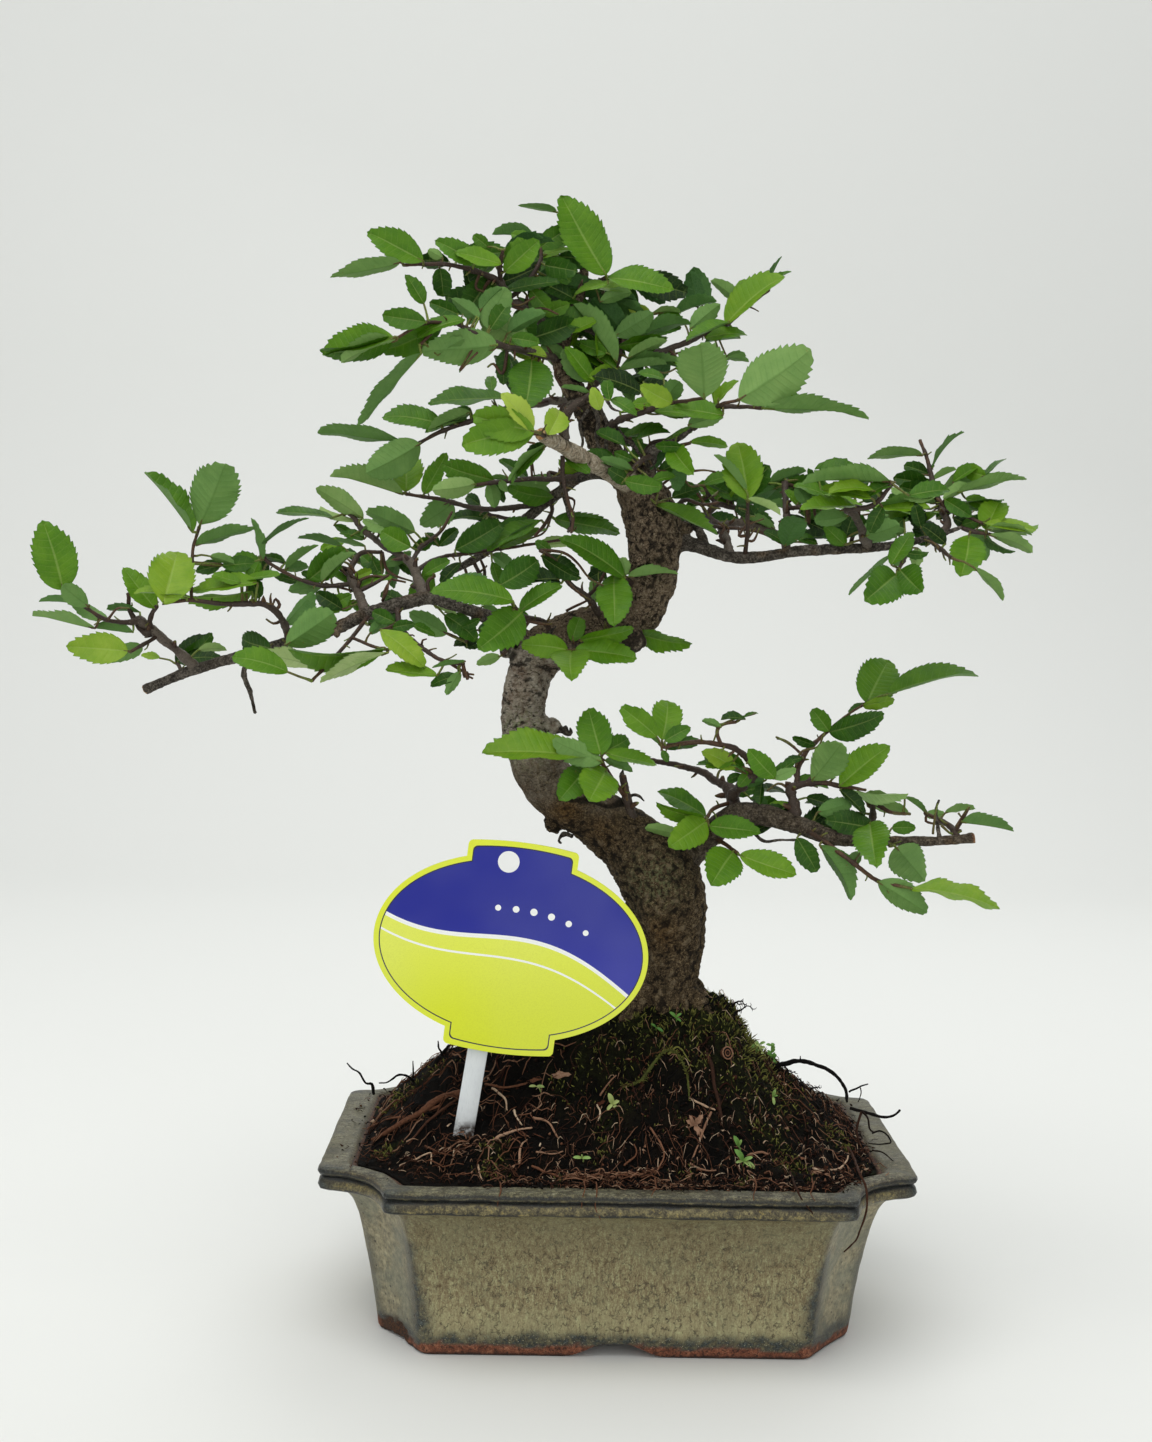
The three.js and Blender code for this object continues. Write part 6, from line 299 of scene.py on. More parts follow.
        [80.7, -20.7, 273.7, 80.6, -24.4, 273.7, 0.911, -0.229, 0.344, 0.16, 0.963, 0.216, 12, 7.8, 4, 0],
        [80.5, -21.1, 273.9, 84.1, -15.7, 275.2, 0.953, 0.266, -0.148, -0.037, 0.582, 0.812, 9.6, 4.4, 7, 0],
    ]),
    "shoot_right_outer": ([
        [[107.68, -15, 275.37, 1.6], [111.43, -9.75, 279.16, 1.4], [109.95, -6.08, 284.19, 1.3], [108.85, -2.17, 288.95, 1.1], [107.81, 2.31, 295.22, 0.9], [106.82, 7.45, 303.38, 0.7], [104.82, 11, 310.05, 0.6]],
        [[109.59, -4.8, 285.75, 0.8], [112.05, -8.8, 288.57, 0.7], [117.79, -10.78, 292, 0.6], [123.29, -10.55, 295.58, 0.5]],
        [[109.95, -6.08, 284.19, 0.8], [114.97, -12.26, 282.54, 0.7], [122.57, -15.91, 279.05, 0.6]],
    ], [
        [106.3, 8.3, 305, 104.5, 4.7, 304.1, -0.991, -0.12, -0.066, -0.105, 0.358, 0.928, 20.1, 9.8, 5, 0],
        [107.3, 4.8, 299.2, 107.9, 5.3, 299.3, 0.627, 0, 0.779, -0.752, 0.258, 0.606, 17.5, 8.8, 3, 0],
        [108.1, 1.2, 293.7, 106.8, 0.3, 293.3, -0.964, 0.192, 0.182, -0.208, -0.975, -0.073, 13.2, 8.1, 2, 1],
        [107.8, 2.3, 295.2, 108.4, 5.3, 295.5, 0.877, 0.236, 0.419, -0.48, 0.454, 0.751, 10.2, 4.7, 6, 0],
        [108.7, -1.7, 289.6, 108.5, -3.9, 289.5, -0.992, -0.043, 0.122, -0.125, 0.572, -0.81, 16.8, 8.3, 6, 0],
        [110, -6.2, 284, 108.6, -7.6, 283.4, -0.997, 0.057, 0.043, -0.056, -0.245, -0.968, 23.3, 11.7, 5, 1],
        [109.3, -3.6, 287.2, 108.3, -3.2, 286.8, -0.998, 0, -0.07, -0.069, 0.219, 0.973, 20.7, 10.4, 5, 0],
        [123.3, -10.5, 295.6, 124.1, -10, 296, -0.753, 0.604, 0.261, -0.613, -0.788, 0.056, 9.1, 5.6, 5, 1],
        [123.3, -10.5, 295.6, 124.3, -7.5, 296.5, 0.755, 0.235, 0.612, -0.549, -0.282, 0.786, 10.2, 4.7, 3, 1],
        [108.8, -1.9, 289.3, 110.1, -1.1, 289.8, 0.897, 0, 0.442, -0.317, 0.697, 0.644, 12.4, 6.2, 4, 0],
        [114.7, -9.7, 290.1, 113.9, -13, 290, 0.964, -0.102, 0.244, -0.2, 0.323, 0.925, 23.6, 12.1, 6, 0],
        [111.3, -7.6, 287.7, 112.8, -5.4, 286.7, 0.991, -0.114, 0.069, 0.018, -0.4, -0.917, 18.6, 9.5, 4, 1],
        [111, -7, 287.3, 109.6, -12.2, 287.3, 0.796, -0.294, -0.529, -0.304, -0.95, 0.069, 11.1, 5.9, 4, 1],
        [113.3, -10.3, 283.1, 113.5, -8.1, 281.4, 0.925, 0.246, -0.29, 0.195, -0.961, -0.196, 9.7, 4.9, 1, 1],
        [122.6, -15.9, 279.1, 123.8, -12, 279.6, 0.997, -0.05, -0.056, -0.025, 0.472, -0.881, 18.9, 9.5, 6, 0],
    ]),
    "shoot_right_tip_low": ([
        [[104.09, -16, 273.19, 1], [105.98, -27.46, 269.35, 0.9], [107.24, -38, 266.3, 0.6]],
    ], [
        [104.2, -16.6, 273, 103.3, -13.4, 271.2, 0.139, 0.791, 0.595, -0.138, -0.58, 0.803, 16.3, 8.3, 1, 1],
        [107.2, -38, 266.3, 114.8, -38.7, 263.1, 0.692, 0, -0.722, 0.69, 0.295, 0.661, 14.4, 7.2, 5, 0],
    ]),
    "shoot_right_underside": ([
        [[95.5, -16, 271.65, 1], [93.64, -26.73, 267.11, 0.9], [89.35, -38, 261.97, 0.6]],
    ], [
        [95.5, -16, 271.6, 98.8, -11, 275, -0.435, 0.251, -0.865, 0.284, 0.95, 0.133, 12.4, 6.2, 3, 0],
        [92.2, -30.6, 265.3, 87.8, -32.6, 267.1, -0.729, -0.121, -0.674, -0.678, 0.261, 0.687, 19.9, 9.7, 4, 0],
        [94.3, -23.2, 268.6, 93.5, -27.3, 268.4, 0.982, 0.19, -0.013, 0.124, -0.688, -0.715, 8.6, 4.1, 3, 1],
        [94.9, -19.6, 270.1, 99.9, -16.4, 270.3, 0.041, 0.692, -0.72, 0.213, 0.698, 0.683, 9.3, 4.8, 6, 0],
        [89.3, -38, 262, 88.1, -41.4, 260.2, -0.517, -0.782, -0.35, 0.554, -0.616, 0.56, 25.1, 12.9, 4, 1],
        [89.6, -37.4, 262.3, 89.6, -40.3, 261.9, 0.24, -0.88, -0.409, -0.692, -0.451, 0.564, 18.3, 10.3, 4, 1],
    ]),
    "shoot_right_tip": ([
        [[115.43, -14, 277.63, 0.9], [119.39, -15.06, 276.28, 0.8], [124.04, -16, 275.64, 0.5]],
    ], [
        [123.2, -15.8, 275.8, 123.3, -16.1, 277, 0.425, 0.539, 0.727, -0.179, -0.738, 0.651, 14, 10.3, 6, 1],
        [118.2, -14.7, 276.7, 117.3, -16.9, 275.1, -0.261, -0.735, -0.626, -0.006, -0.648, 0.762, 22.8, 12, 5, 1],
        [119.6, -15.1, 276.3, 119.9, -14.3, 277, 0.422, 0.582, -0.695, -0.058, 0.783, 0.62, 14.3, 8.3, 4, 0],
        [123.5, -15.9, 275.7, 123, -18.9, 277.2, 0.982, -0.158, -0.101, 0.153, 0.368, 0.917, 15.2, 7.8, 6, 0],
        [124, -16, 275.6, 124.1, -18.6, 275.2, 0.92, -0.154, -0.36, 0.39, 0.446, 0.806, 15.6, 7.9, 6, 0],
        [123.2, -15.8, 275.8, 123.3, -14.7, 274.3, 0.904, 0.141, -0.403, -0.344, -0.317, -0.884, 12.1, 5.8, 2, 1],
    ]),
    "shoot_crown_left_top": ([
        [[-24.48, 6, 337.84, 2.3], [-29.87, -2.47, 345.5, 2.2], [-36.79, -10.69, 350.2, 1.9], [-42.87, -16.23, 351.86, 1.7], [-44.88, -20.49, 356.79, 1.3], [-51.84, -25.13, 359.13, 1], [-58.08, -28.47, 360.37, 0.8], [-64.89, -31.84, 360.57, 0.7], [-76.49, -36, 359.21, 0.5]],
        [[-44.88, -20.49, 356.79, 0.9], [-45.11, -26.77, 361.29, 0.8], [-44.04, -31.82, 365.63, 0.6]],
        [[-42.87, -16.23, 351.86, 1], [-36.95, -9.79, 358.2, 0.9], [-31.99, -4.86, 367.07, 0.7], [-31.74, -3.92, 372.07, 0.5]],
    ], [
        [-70.3, -33.8, 359.9, -70.2, -36.4, 360.6, -0.894, -0.117, 0.433, 0.189, -0.974, 0.128, 20.5, 10.5, 5, 1],
        [-76.5, -36, 359.2, -77.5, -39.3, 359.5, -0.967, -0.103, -0.234, -0.254, 0.29, 0.923, 23.4, 11.7, 5, 0],
        [-64.2, -31.5, 360.6, -64, -31.3, 362.7, -0.844, -0.396, 0.361, -0.3, 0.907, 0.295, 5.8, 3.7, 6, 0],
        [-54.4, -26.5, 359.6, -53.4, -29.5, 361.9, -0.887, -0.16, 0.433, 0.196, -0.98, 0.039, 15, 7.6, 5, 1],
        [-45, -27.4, 361.9, -44.7, -30.3, 361.3, -0.968, -0.152, 0.201, 0.232, -0.85, 0.473, 15.8, 7.9, 6, 1],
        [-44.9, -20.8, 357, -44.6, -17.9, 357.6, -0.998, 0.06, 0.015, -0.036, -0.369, -0.929, 13.3, 6.6, 2, 1],
        [-31.7, -3.9, 372.1, -32.1, -3.7, 372.8, -0.923, 0, 0.386, 0.061, -0.987, 0.147, 11, 5.5, 5, 1],
        [-31.7, -3.9, 372, -32.1, -4.1, 372, 0.819, 0, 0.573, 0.095, -0.986, -0.136, 13, 7.3, 4, 1],
        [-32, -4.9, 367.1, -30.2, -5.7, 365.9, 0.862, -0.454, -0.226, -0.482, -0.872, -0.084, 12.9, 7.6, 3, 1],
        [-31.9, -4.6, 368.5, -32, -2.7, 368.9, 0.922, 0.206, 0.326, -0.1, -0.689, 0.718, 11.6, 5.6, 6, 1],
        [-45, -24.5, 359.6, -43.7, -26.3, 359.4, 0.736, -0.153, 0.66, -0.008, -0.976, -0.216, 15.7, 8.7, 5, 1],
        [-45.1, -26.8, 361.3, -45.2, -23.1, 362, -0.22, 0.674, 0.705, -0.069, -0.732, 0.678, 12.7, 5.7, 6, 1],
        [-44.8, -28.1, 362.4, -44.5, -24.9, 363, 0.626, 0.255, 0.737, 0.282, -0.955, 0.092, 9.4, 4.7, 5, 1],
        [-43.9, -18.4, 354.4, -43.6, -16.2, 354.9, 0.967, 0.132, 0.219, -0.093, -0.616, 0.782, 19.3, 9.5, 2, 1],
    ]),
    "shoot_crown_right": ([
        [[-21.16, 6, 349.12, 2.2], [-12.22, 7.85, 345.74, 2], [-1.45, 9.15, 341.24, 1.7], [9.37, 11.35, 339.32, 1.4], [18.26, 11.9, 342.06, 1.2], [27.13, 12.47, 346.57, 1], [35.45, 14.56, 350.61, 0.9], [42.63, 16.23, 357.07, 0.8], [50.45, 20, 363.58, 0.5]],
    ], [
        [-8.8, 8.3, 344.3, -10.3, 12.6, 341.6, -0.709, 0.049, 0.704, 0.333, -0.856, 0.395, 32.8, 15.8, 3, 1],
        [-19.1, 6.4, 348.3, -21, 10.8, 344.3, -0.894, 0.226, 0.387, -0.056, -0.913, 0.404, 18.1, 8.7, 2, 1],
        [41.6, 16, 356.2, 38.9, 15.3, 359, -0.82, 0, 0.573, 0.402, 0.712, 0.575, 12, 6, 5, 0],
        [34.7, 14.4, 350.3, 34.5, 11.3, 349.7, 0.754, -0.091, 0.651, -0.508, -0.71, 0.489, 26.5, 13.4, 6, 1],
        [50.4, 20, 363.6, 50.5, 20.8, 366.9, 0.415, 0, 0.91, -0.892, -0.194, 0.407, 9.9, 5, 2, 1],
        [50.4, 20, 363.6, 50.9, 21, 364.5, 0.767, 0, 0.642, -0.579, -0.431, 0.692, 9.7, 4.9, 4, 1],
        [42.6, 16.2, 357, 38.1, 19.3, 362.8, 0.757, 0.29, 0.586, -0.157, -0.79, 0.593, 8.3, 3.7, 5, 1],
        [23.4, 12.2, 344.7, 21.8, 12.6, 347.9, 0.757, 0, 0.653, -0.049, 0.997, 0.056, 13.9, 7.1, 5, 0],
        [35.8, 14.6, 351, 35.3, 9.4, 350.1, -0.87, -0.267, -0.415, -0.245, -0.496, 0.833, 17.8, 8.3, 5, 1],
        [26.4, 12.4, 346.2, 27.1, 11.7, 344.7, 0.993, 0, 0.115, -0.084, -0.679, 0.729, 15.1, 7.5, 5, 1],
        [30.7, 13.4, 348.3, 35.4, 15.2, 338.6, 0.954, 0.28, -0.107, -0.076, 0.571, 0.817, 8.6, 4, 4, 0],
    ]),
    "shoot_crown_left_low": ([
        [[-14.22, 3, 316.66, 2], [-24.15, 18, 322.07, 1.8], [-35.07, 26.94, 321.45, 1.5], [-46.04, 29.18, 319.31, 1.2], [-58.81, 29.92, 314.76, 0.9], [-67.92, 30.02, 311.31, 0.8], [-75.91, 30, 306.77, 0.6]],
    ], [
        [-75.9, 30, 306.8, -81.8, 30.3, 307.8, -0.993, 0, 0.121, 0.116, 0.285, 0.951, 31, 15.1, 4, 0],
        [-75.4, 30, 307.1, -74.9, 26.4, 306.5, -0.862, -0.107, -0.496, -0.151, 0.987, 0.049, 22.4, 12.8, 5, 0],
        [-66.7, 30, 311.8, -67.6, 29.5, 314.2, -0.994, 0, 0.113, 0.068, -0.8, 0.596, 21.8, 10.9, 4, 1],
        [-57.5, 29.8, 315.2, -57.9, 33.2, 316.2, -0.954, 0.127, -0.27, -0.291, -0.597, 0.747, 16.7, 8.2, 4, 1],
        [-55.5, 29.7, 315.9, -57.1, 30.3, 320.3, -0.787, 0.376, -0.489, 0.249, 0.919, 0.306, 8.5, 5.1, 4, 0],
        [-43.4, 28.6, 319.8, -44.3, 28.2, 324, -0.997, 0, -0.072, -0.06, -0.553, 0.831, 28.2, 13.8, 3, 1],
        [-46.5, 29.2, 319.1, -49.2, 32.5, 326.6, -0.108, 0.745, 0.658, -0.094, -0.667, 0.739, 10.4, 4.8, 4, 1],
    ]),
    "shoot_crown_left_mid": ([
        [[-23.72, 6, 335.06, 1.6], [-34.7, -17.26, 334.29, 1.3], [-44.58, -29.23, 334.69, 1.1], [-54.43, -34.6, 338.63, 0.9], [-62.57, -37.67, 340.59, 0.8], [-70.47, -40.67, 332.47, 0.5]],
        [[-61.05, -37.09, 340.23, 0.7], [-68.79, -42.7, 339.34, 0.6], [-77.42, -48, 333.49, 0.5]],
    ], [
        [-70.5, -40.7, 332.5, -70.1, -41.4, 329.8, -0.648, 0, -0.762, -0.752, 0.16, 0.64, 31.4, 15.2, 4, 0],
        [-59.5, -36.5, 339.8, -58.4, -36.5, 343.5, -0.933, 0, 0.36, -0.047, -0.991, -0.122, 10.3, 5.6, 3, 1],
        [-68.5, -42.5, 339.4, -68.2, -46.3, 339.1, -0.99, 0.015, 0.137, -0.026, -0.997, -0.076, 14.5, 7.2, 4, 1],
        [-77.4, -48, 333.5, -77.7, -48, 333.8, -0.976, -0.03, -0.217, 0.216, -0.306, -0.927, 25.1, 12.6, 4, 1],
        [-77.4, -48, 333.5, -77.4, -48.6, 332.8, -0.924, 0, -0.382, -0.34, 0.456, 0.823, 19.5, 9.8, 6, 0],
        [-62.6, -37.7, 340.6, -62.6, -36.9, 341.4, -0.889, 0.028, -0.457, 0.373, -0.537, -0.757, 23.7, 11.8, 4, 1],
        [-45.4, -29.7, 335, -45.5, -31.8, 334.3, -0.959, -0.257, -0.12, -0.282, 0.816, 0.504, 26.2, 12.8, 5, 0],
        [-53.6, -34.2, 338.3, -51.7, -30.7, 343.2, -0.788, 0.205, 0.581, 0.391, 0.895, 0.216, 11.7, 5.6, 4, 0],
        [-35.1, -17.8, 334.3, -34.7, -18.7, 336.1, -0.854, -0.221, 0.471, -0.213, 0.974, 0.071, 19.9, 11.6, 6, 0],
        [-49, -31.7, 336.5, -51.9, -29.5, 331.2, -0.731, 0.275, -0.624, -0.601, 0.173, 0.78, 8.7, 4.3, 3, 0],
        [-30, -7.3, 334.6, -30.9, -9.3, 330.7, -0.871, -0.128, 0.475, 0.405, -0.733, 0.546, 18.7, 9.4, 8, 1],
        [-23.7, 6, 335.1, -24, 13.1, 333.2, -0.531, -0.196, 0.824, 0.118, 0.946, 0.301, 11.1, 8.2, 5, 0],
        [-33.4, -14.5, 334.4, -34, -18.2, 331.5, -0.062, -0.727, -0.684, 0.113, -0.686, 0.718, 27.6, 14.6, 4, 1],
        [-42.7, -26.9, 334.6, -43, -24.7, 333.7, -0.047, 0.206, -0.978, -0.384, -0.907, -0.172, 11.7, 5.9, 2, 1],
    ]),
    "shoot_crown_leader": ([
        [[-16.84, 4, 361.43, 1.9], [-16.62, 5.39, 369.36, 1.6], [-18.5, 6.47, 376.15, 1.3], [-21.76, 8.25, 381.68, 1.1], [-25.39, 9, 386.65, 0.8]],
        [[-16.84, 4, 361.43, 0.9], [-13.04, 0.26, 361.19, 0.8], [-8.93, -1.96, 362.95, 0.6]],
    ], [
        [-25.4, 9, 386.6, -26.5, 9.9, 387.5, -0.984, 0, 0.177, 0.165, 0.367, 0.915, 14.1, 7, 5, 0],
        [-8.9, -2, 362.9, -9, -5.4, 363, -0.509, -0.076, 0.858, 0.201, -0.979, 0.033, 31.7, 15.6, 5, 1],
        [-8.9, -2, 362.9, -8.6, -3.9, 362.3, 0.98, -0.101, -0.171, 0.007, -0.841, 0.54, 23.7, 11.8, 5, 1],
        [-15.3, 2.5, 361.3, -15.1, 3.2, 359.6, 0.999, 0, -0.046, 0.037, -0.602, 0.798, 15.5, 7.7, 6, 1],
        [-13, 0.3, 361.2, -10.8, -0.3, 354.6, 0.936, 0.099, 0.337, -0.262, 0.836, 0.483, 11.5, 5.7, 5, 0],
    ]),
    "shoot_crown_right_inner": ([
        [[-17.82, 4, 321.6, 1.5], [-10.2, 3.66, 328.02, 1.2], [-5, 4.08, 333.43, 1], [-2.66, 4.75, 340.57, 0.7], [-2.71, 5.16, 344.13, 0.5]],
        [[-2.66, 4.8, 341.11, 0.7], [2.34, 9.23, 347.31, 0.6], [7.43, 14, 353.12, 0.5]],
    ], [
        [-4.6, 4.2, 334.6, -4.4, 1.6, 334.1, -0.605, -0.096, 0.79, 0.703, 0.401, 0.587, 25.1, 12.7, 5, 0],
        [-2.7, 5.2, 344.1, -2.7, 7.6, 346.2, -0.684, -0.381, 0.622, -0.184, 0.915, 0.359, 16, 10.6, 1, 0],
        [7.4, 14, 353.1, 7.4, 14.4, 353.9, -0.994, 0, 0.113, -0.019, -0.986, -0.166, 7.9, 4.3, 8, 1],
        [7.4, 14, 353.1, 8.2, 15.9, 353.8, 0.971, 0.221, 0.09, -0.173, 0.397, 0.901, 10.9, 5.2, 7, 0],
        [-2.7, 5.1, 343.8, -5.2, 2.8, 343.4, 0.825, 0.166, 0.54, -0.139, 0.986, -0.092, 16.2, 8.1, 4, 0],
        [1.6, 8.5, 346.3, 3.8, 8.7, 344.4, 0.959, 0, 0.282, -0.246, 0.493, 0.834, 18.8, 9.4, 3, 0],
        [-2.9, 4.7, 339.8, -4.2, 1.2, 339.7, 0.984, -0.001, 0.177, 0.142, -0.597, -0.79, 17.8, 8.9, 4, 1],
        [-3.8, 4.4, 337.1, -0.6, -0.9, 335.3, 0.897, -0.156, 0.414, -0.29, 0.498, 0.817, 14.9, 7.5, 6, 0],
        [-6.6, 4, 331.8, -6.3, 5.3, 331.8, -0.815, 0.17, 0.554, 0.044, -0.935, 0.353, 18, 8.8, 5, 1],
        [-12.6, 3.8, 326, -13.8, -0.6, 326.7, -0.669, -0.134, 0.731, -0.145, 0.988, 0.049, 15, 7.6, 5, 0],
        [-6.4, 4, 332, -5.7, 1.1, 330.9, -0.731, -0.624, -0.276, 0.631, -0.772, 0.073, 11.6, 6, 7, 1],
        [-5, 4.1, 333.4, -3.2, 3.8, 332.4, 0.99, 0, 0.139, -0.137, 0.183, 0.974, 20.6, 10.3, 4, 0],
        [-5, 4.1, 333.4, 0.5, 7, 329.4, 0.914, 0.256, 0.315, -0.191, -0.414, 0.89, 9.4, 4.4, 3, 1],
        [-5.3, 4.1, 333.1, -1.5, 1.7, 329, 0.29, -0.239, -0.927, 0.144, 0.968, -0.205, 10, 4.9, 5, 0],
    ]),
    "shoot_crown_right_low": ([
        [[-10.54, 2, 308.23, 1.4], [-3.28, -9.53, 312.73, 1.2], [4.89, -18.85, 314.6, 1], [11.26, -25.9, 316.62, 0.7], [19.03, -35.18, 317.02, 0.6], [23.15, -42, 316.95, 0.5]],
    ], [
        [23.2, -42, 317, 22.9, -45.7, 316.5, -0.124, -0.831, 0.543, -0.031, 0.55, 0.835, 27.1, 16.3, 6, 0],
        [13.4, -28.5, 316.7, 13.3, -31, 316.4, -0.878, -0.193, 0.438, 0.112, -0.972, -0.205, 12.4, 7, 7, 1],
        [11.3, -25.9, 316.6, 10.9, -25.9, 317.9, 0.458, -0.717, 0.526, 0.435, 0.696, 0.571, 10.5, 6.7, 3, 0],
        [6.6, -20.8, 315.2, 6.9, -19.8, 314.9, 0.998, 0, -0.068, 0.055, -0.595, 0.802, 19.2, 9.6, 5, 1],
        [-2.5, -10.4, 312.9, -3.4, -10.3, 315.4, 0.994, 0, 0.105, -0.099, -0.327, 0.94, 28.4, 13.9, 7, 1],
        [-5.7, -5.7, 311.2, -2.3, -5.3, 307, 0.954, 0, 0.299, -0.232, -0.63, 0.741, 14.9, 7.4, 4, 1],
    ]),
    "shoot_upper_right_inner": ([
        [[7.94, -12, 300.35, 1.2], [3.58, -18, 297.69, 0.9], [-0.72, -26, 292.22, 0.6]],
    ], [
        [2, -20.9, 295.7, 7.7, -21.1, 291.1, 0.975, 0, 0.223, -0.117, -0.851, 0.512, 8.3, 4.2, 4, 1],
        [0.9, -22.9, 294.3, 0.6, -24.7, 294.4, -0.942, -0.099, 0.32, 0.221, 0.535, 0.815, 11.6, 5.8, 4, 0],
        [-0.7, -26, 292.2, -1.8, -28.2, 290.3, 0.97, -0.188, -0.152, -0.198, -0.979, -0.052, 12.8, 6.7, 4, 1],
        [2.7, -19.6, 296.6, 0.9, -16, 298.5, -0.857, 0.334, 0.393, -0.344, -0.938, 0.046, 7.2, 3.8, 3, 1],
    ]),
    "shoot_upper_right_mid": ([
        [[11.77, -16, 303.83, 1], [15.53, -22, 303, 0.7], [19.98, -26, 303.72, 0.5]],
    ], [
        [11.8, -16, 303.8, 11.8, -14.5, 305.7, 0.904, 0.064, 0.423, 0.409, -0.416, -0.812, 12.9, 6.4, 5, 1],
        [17.9, -24.1, 303.4, 17.9, -27.1, 302.2, -0.966, 0.254, 0.038, -0.22, -0.744, -0.631, 10, 4.9, 3, 1],
        [14.3, -20.1, 303.3, 14.2, -22.5, 302.2, 0.393, -0.713, -0.581, -0.52, -0.693, 0.499, 16.5, 8.8, 5, 1],
        [20, -26, 303.7, 20, -25.4, 304.1, 0.996, 0, -0.084, 0.059, -0.705, 0.707, 12.9, 6.5, 5, 1],
    ]),
    "shoot_upper_right_tip": ([
        [[21.1, -23, 309.08, 1.2], [27.85, -29.71, 315.19, 1], [35.93, -32.89, 315.32, 0.8], [42.96, -36, 314.78, 0.6]],
        [[27.85, -29.71, 315.19, 0.8], [29.59, -36.53, 315.76, 0.7], [34.4, -41.51, 316.59, 0.5]],
    ], [
        [34.4, -41.5, 316.6, 34.5, -43.5, 316.4, 0.81, -0.085, 0.58, 0.044, 0.995, 0.084, 28.3, 17.1, 5, 0],
        [43, -36, 314.8, 43.4, -38.4, 314.5, 0.996, -0.069, -0.054, 0.066, 0.181, 0.981, 34.6, 16.6, 5, 0],
        [28.4, -31.7, 315.4, 28.3, -28.1, 316.4, 0.646, -0.068, 0.76, -0.607, -0.649, 0.458, 11, 5.6, 6, 1],
        [28, -30.2, 315.2, 27.4, -31.2, 316, -0.09, 0, 0.996, 0.68, -0.731, 0.061, 10, 5, 6, 1],
        [21.1, -23, 309.1, 19, -29.1, 309.4, 0.89, -0.348, 0.295, 0.231, 0.901, 0.366, 12.7, 6.7, 5, 0],
    ]),
    "shoot_trunk_left": ([
        [[-9.39, -2, 245.63, 1.3], [-13.12, -8, 251.1, 1.2], [-18.81, -12, 255.07, 1], [-22.01, -15, 259.07, 0.9], [-24.49, -18, 263.05, 0.7], [-28.31, -20, 265.97, 0.6]],
        [[-13.59, -8.33, 251.43, 0.8], [-10.32, -4, 254.7, 0.7], [-6.83, 0, 261.18, 0.5]],
    ], [
        [-28.3, -20, 266, -29.6, -21.9, 264.9, 0.851, -0.145, -0.504, -0.487, -0.575, -0.657, 15.8, 7.8, 1, 1],
        [-6.8, 0, 261.2, -6.1, 2.9, 262, -0.865, 0.085, -0.495, -0.067, -0.996, -0.053, 8.1, 5, 1, 1],
        [-11.8, -5.8, 249.1, -10.2, -2.3, 250.2, -0.19, 0.303, 0.934, 0.085, 0.953, -0.292, 7.9, 3.9, 4, 0],
        [-20.7, -13.8, 257.5, -22.6, -17.5, 255.9, -0.998, 0.057, -0.002, -0.027, -0.442, 0.897, 21.7, 10.8, 1, 1],
    ]),
    "shoot_trunk_bend_front": ([
        [[-17.29, -1, 236.33, 1], [-17.7, -13, 232.97, 0.8]],
    ], [
        [-17.7, -13, 233, -19.8, -15.5, 233, -0.985, -0.146, 0.088, 0.147, -0.989, 0, 16.4, 8.6, 6, 1],
        [-17.7, -13, 233, -18.4, -15.4, 232.6, -0.001, -0.929, -0.37, -0.021, -0.37, 0.929, 24.4, 13.5, 6, 1],
        [-17.7, -12.9, 233, -17.4, -16.3, 233, 0.988, -0.111, -0.107, -0.014, -0.755, 0.655, 21.6, 10.8, 5, 1],
        [-17.3, -2.5, 235.9, -18.4, -6.6, 236, 0.287, 0.307, 0.907, 0.218, -0.943, 0.25, 9.3, 6.3, 4, 1],
    ]),
    "shoot_trunk_mid": ([
        [[2.51, 2, 256.48, 1.2], [0.05, -6, 258.35, 0.8], [-2.19, -10, 258.9, 0.6]],
    ], [
        [-0.3, -6.6, 258.4, -0.5, -12.1, 258.2, -0.843, -0.208, 0.497, 0.487, -0.688, 0.538, 27, 13.2, 4, 1],
        [-2.2, -10, 258.9, -4.4, -12.2, 259.1, 0.01, -0.653, -0.757, -0.05, -0.757, 0.652, 22.8, 12.8, 5, 1],
        [0.3, -5.3, 258.2, 0.7, -7.2, 258.7, 0.984, -0.137, 0.115, -0.063, 0.335, 0.94, 17.5, 8.8, 5, 0],
        [-0.6, -7.2, 258.5, -0.4, -7.3, 259.4, -0.177, -0.547, 0.818, -0.068, 0.836, 0.545, 7.4, 4.5, 6, 0],
    ]),
    "shoot_trunk_bend_right": ([
        [[-1.34, 4, 240.86, 0.9], [-8.67, -8, 237.95, 0.8], [-15, -14, 236.14, 0.6]],
    ], [
        [-15, -14, 236.1, -15.7, -15, 236.5, 0.98, 0.001, 0.201, 0.16, -0.609, -0.777, 19, 9.5, 5, 1],
        [-1.3, 4, 240.9, 2.8, 0, 239.5, 0.977, -0.091, -0.192, -0.206, -0.626, -0.752, 21.6, 10.8, 5, 1],
    ]),
    "shoot_trunk_upper_front": ([
        [[9.85, -2, 284.19, 1], [9.77, -10, 284.37, 0.7]],
    ], [
        [9.8, -5.2, 284.3, 10.2, -7.9, 283.8, 0.904, -0.102, -0.415, 0.319, -0.484, 0.815, 23.5, 11.7, 5, 1],
    ]),
    "shoot_low_trunk_front": ([
        [[3.81, -8, 174.44, 2.4], [1.8, -11, 181.72, 1.9], [0.17, -13, 189.54, 1.2]],
        [[1.95, -10.77, 181.15, 0.9], [-3.8, -18, 189.18, 0.8], [-7.16, -24, 194.41, 0.7], [-7.97, -27, 197, 0.5]],
    ], [
        [-8, -27, 197, -13.1, -29.8, 196.8, -0.997, -0.068, 0.044, 0.073, -0.524, 0.848, 35.2, 16.8, 6, 1],
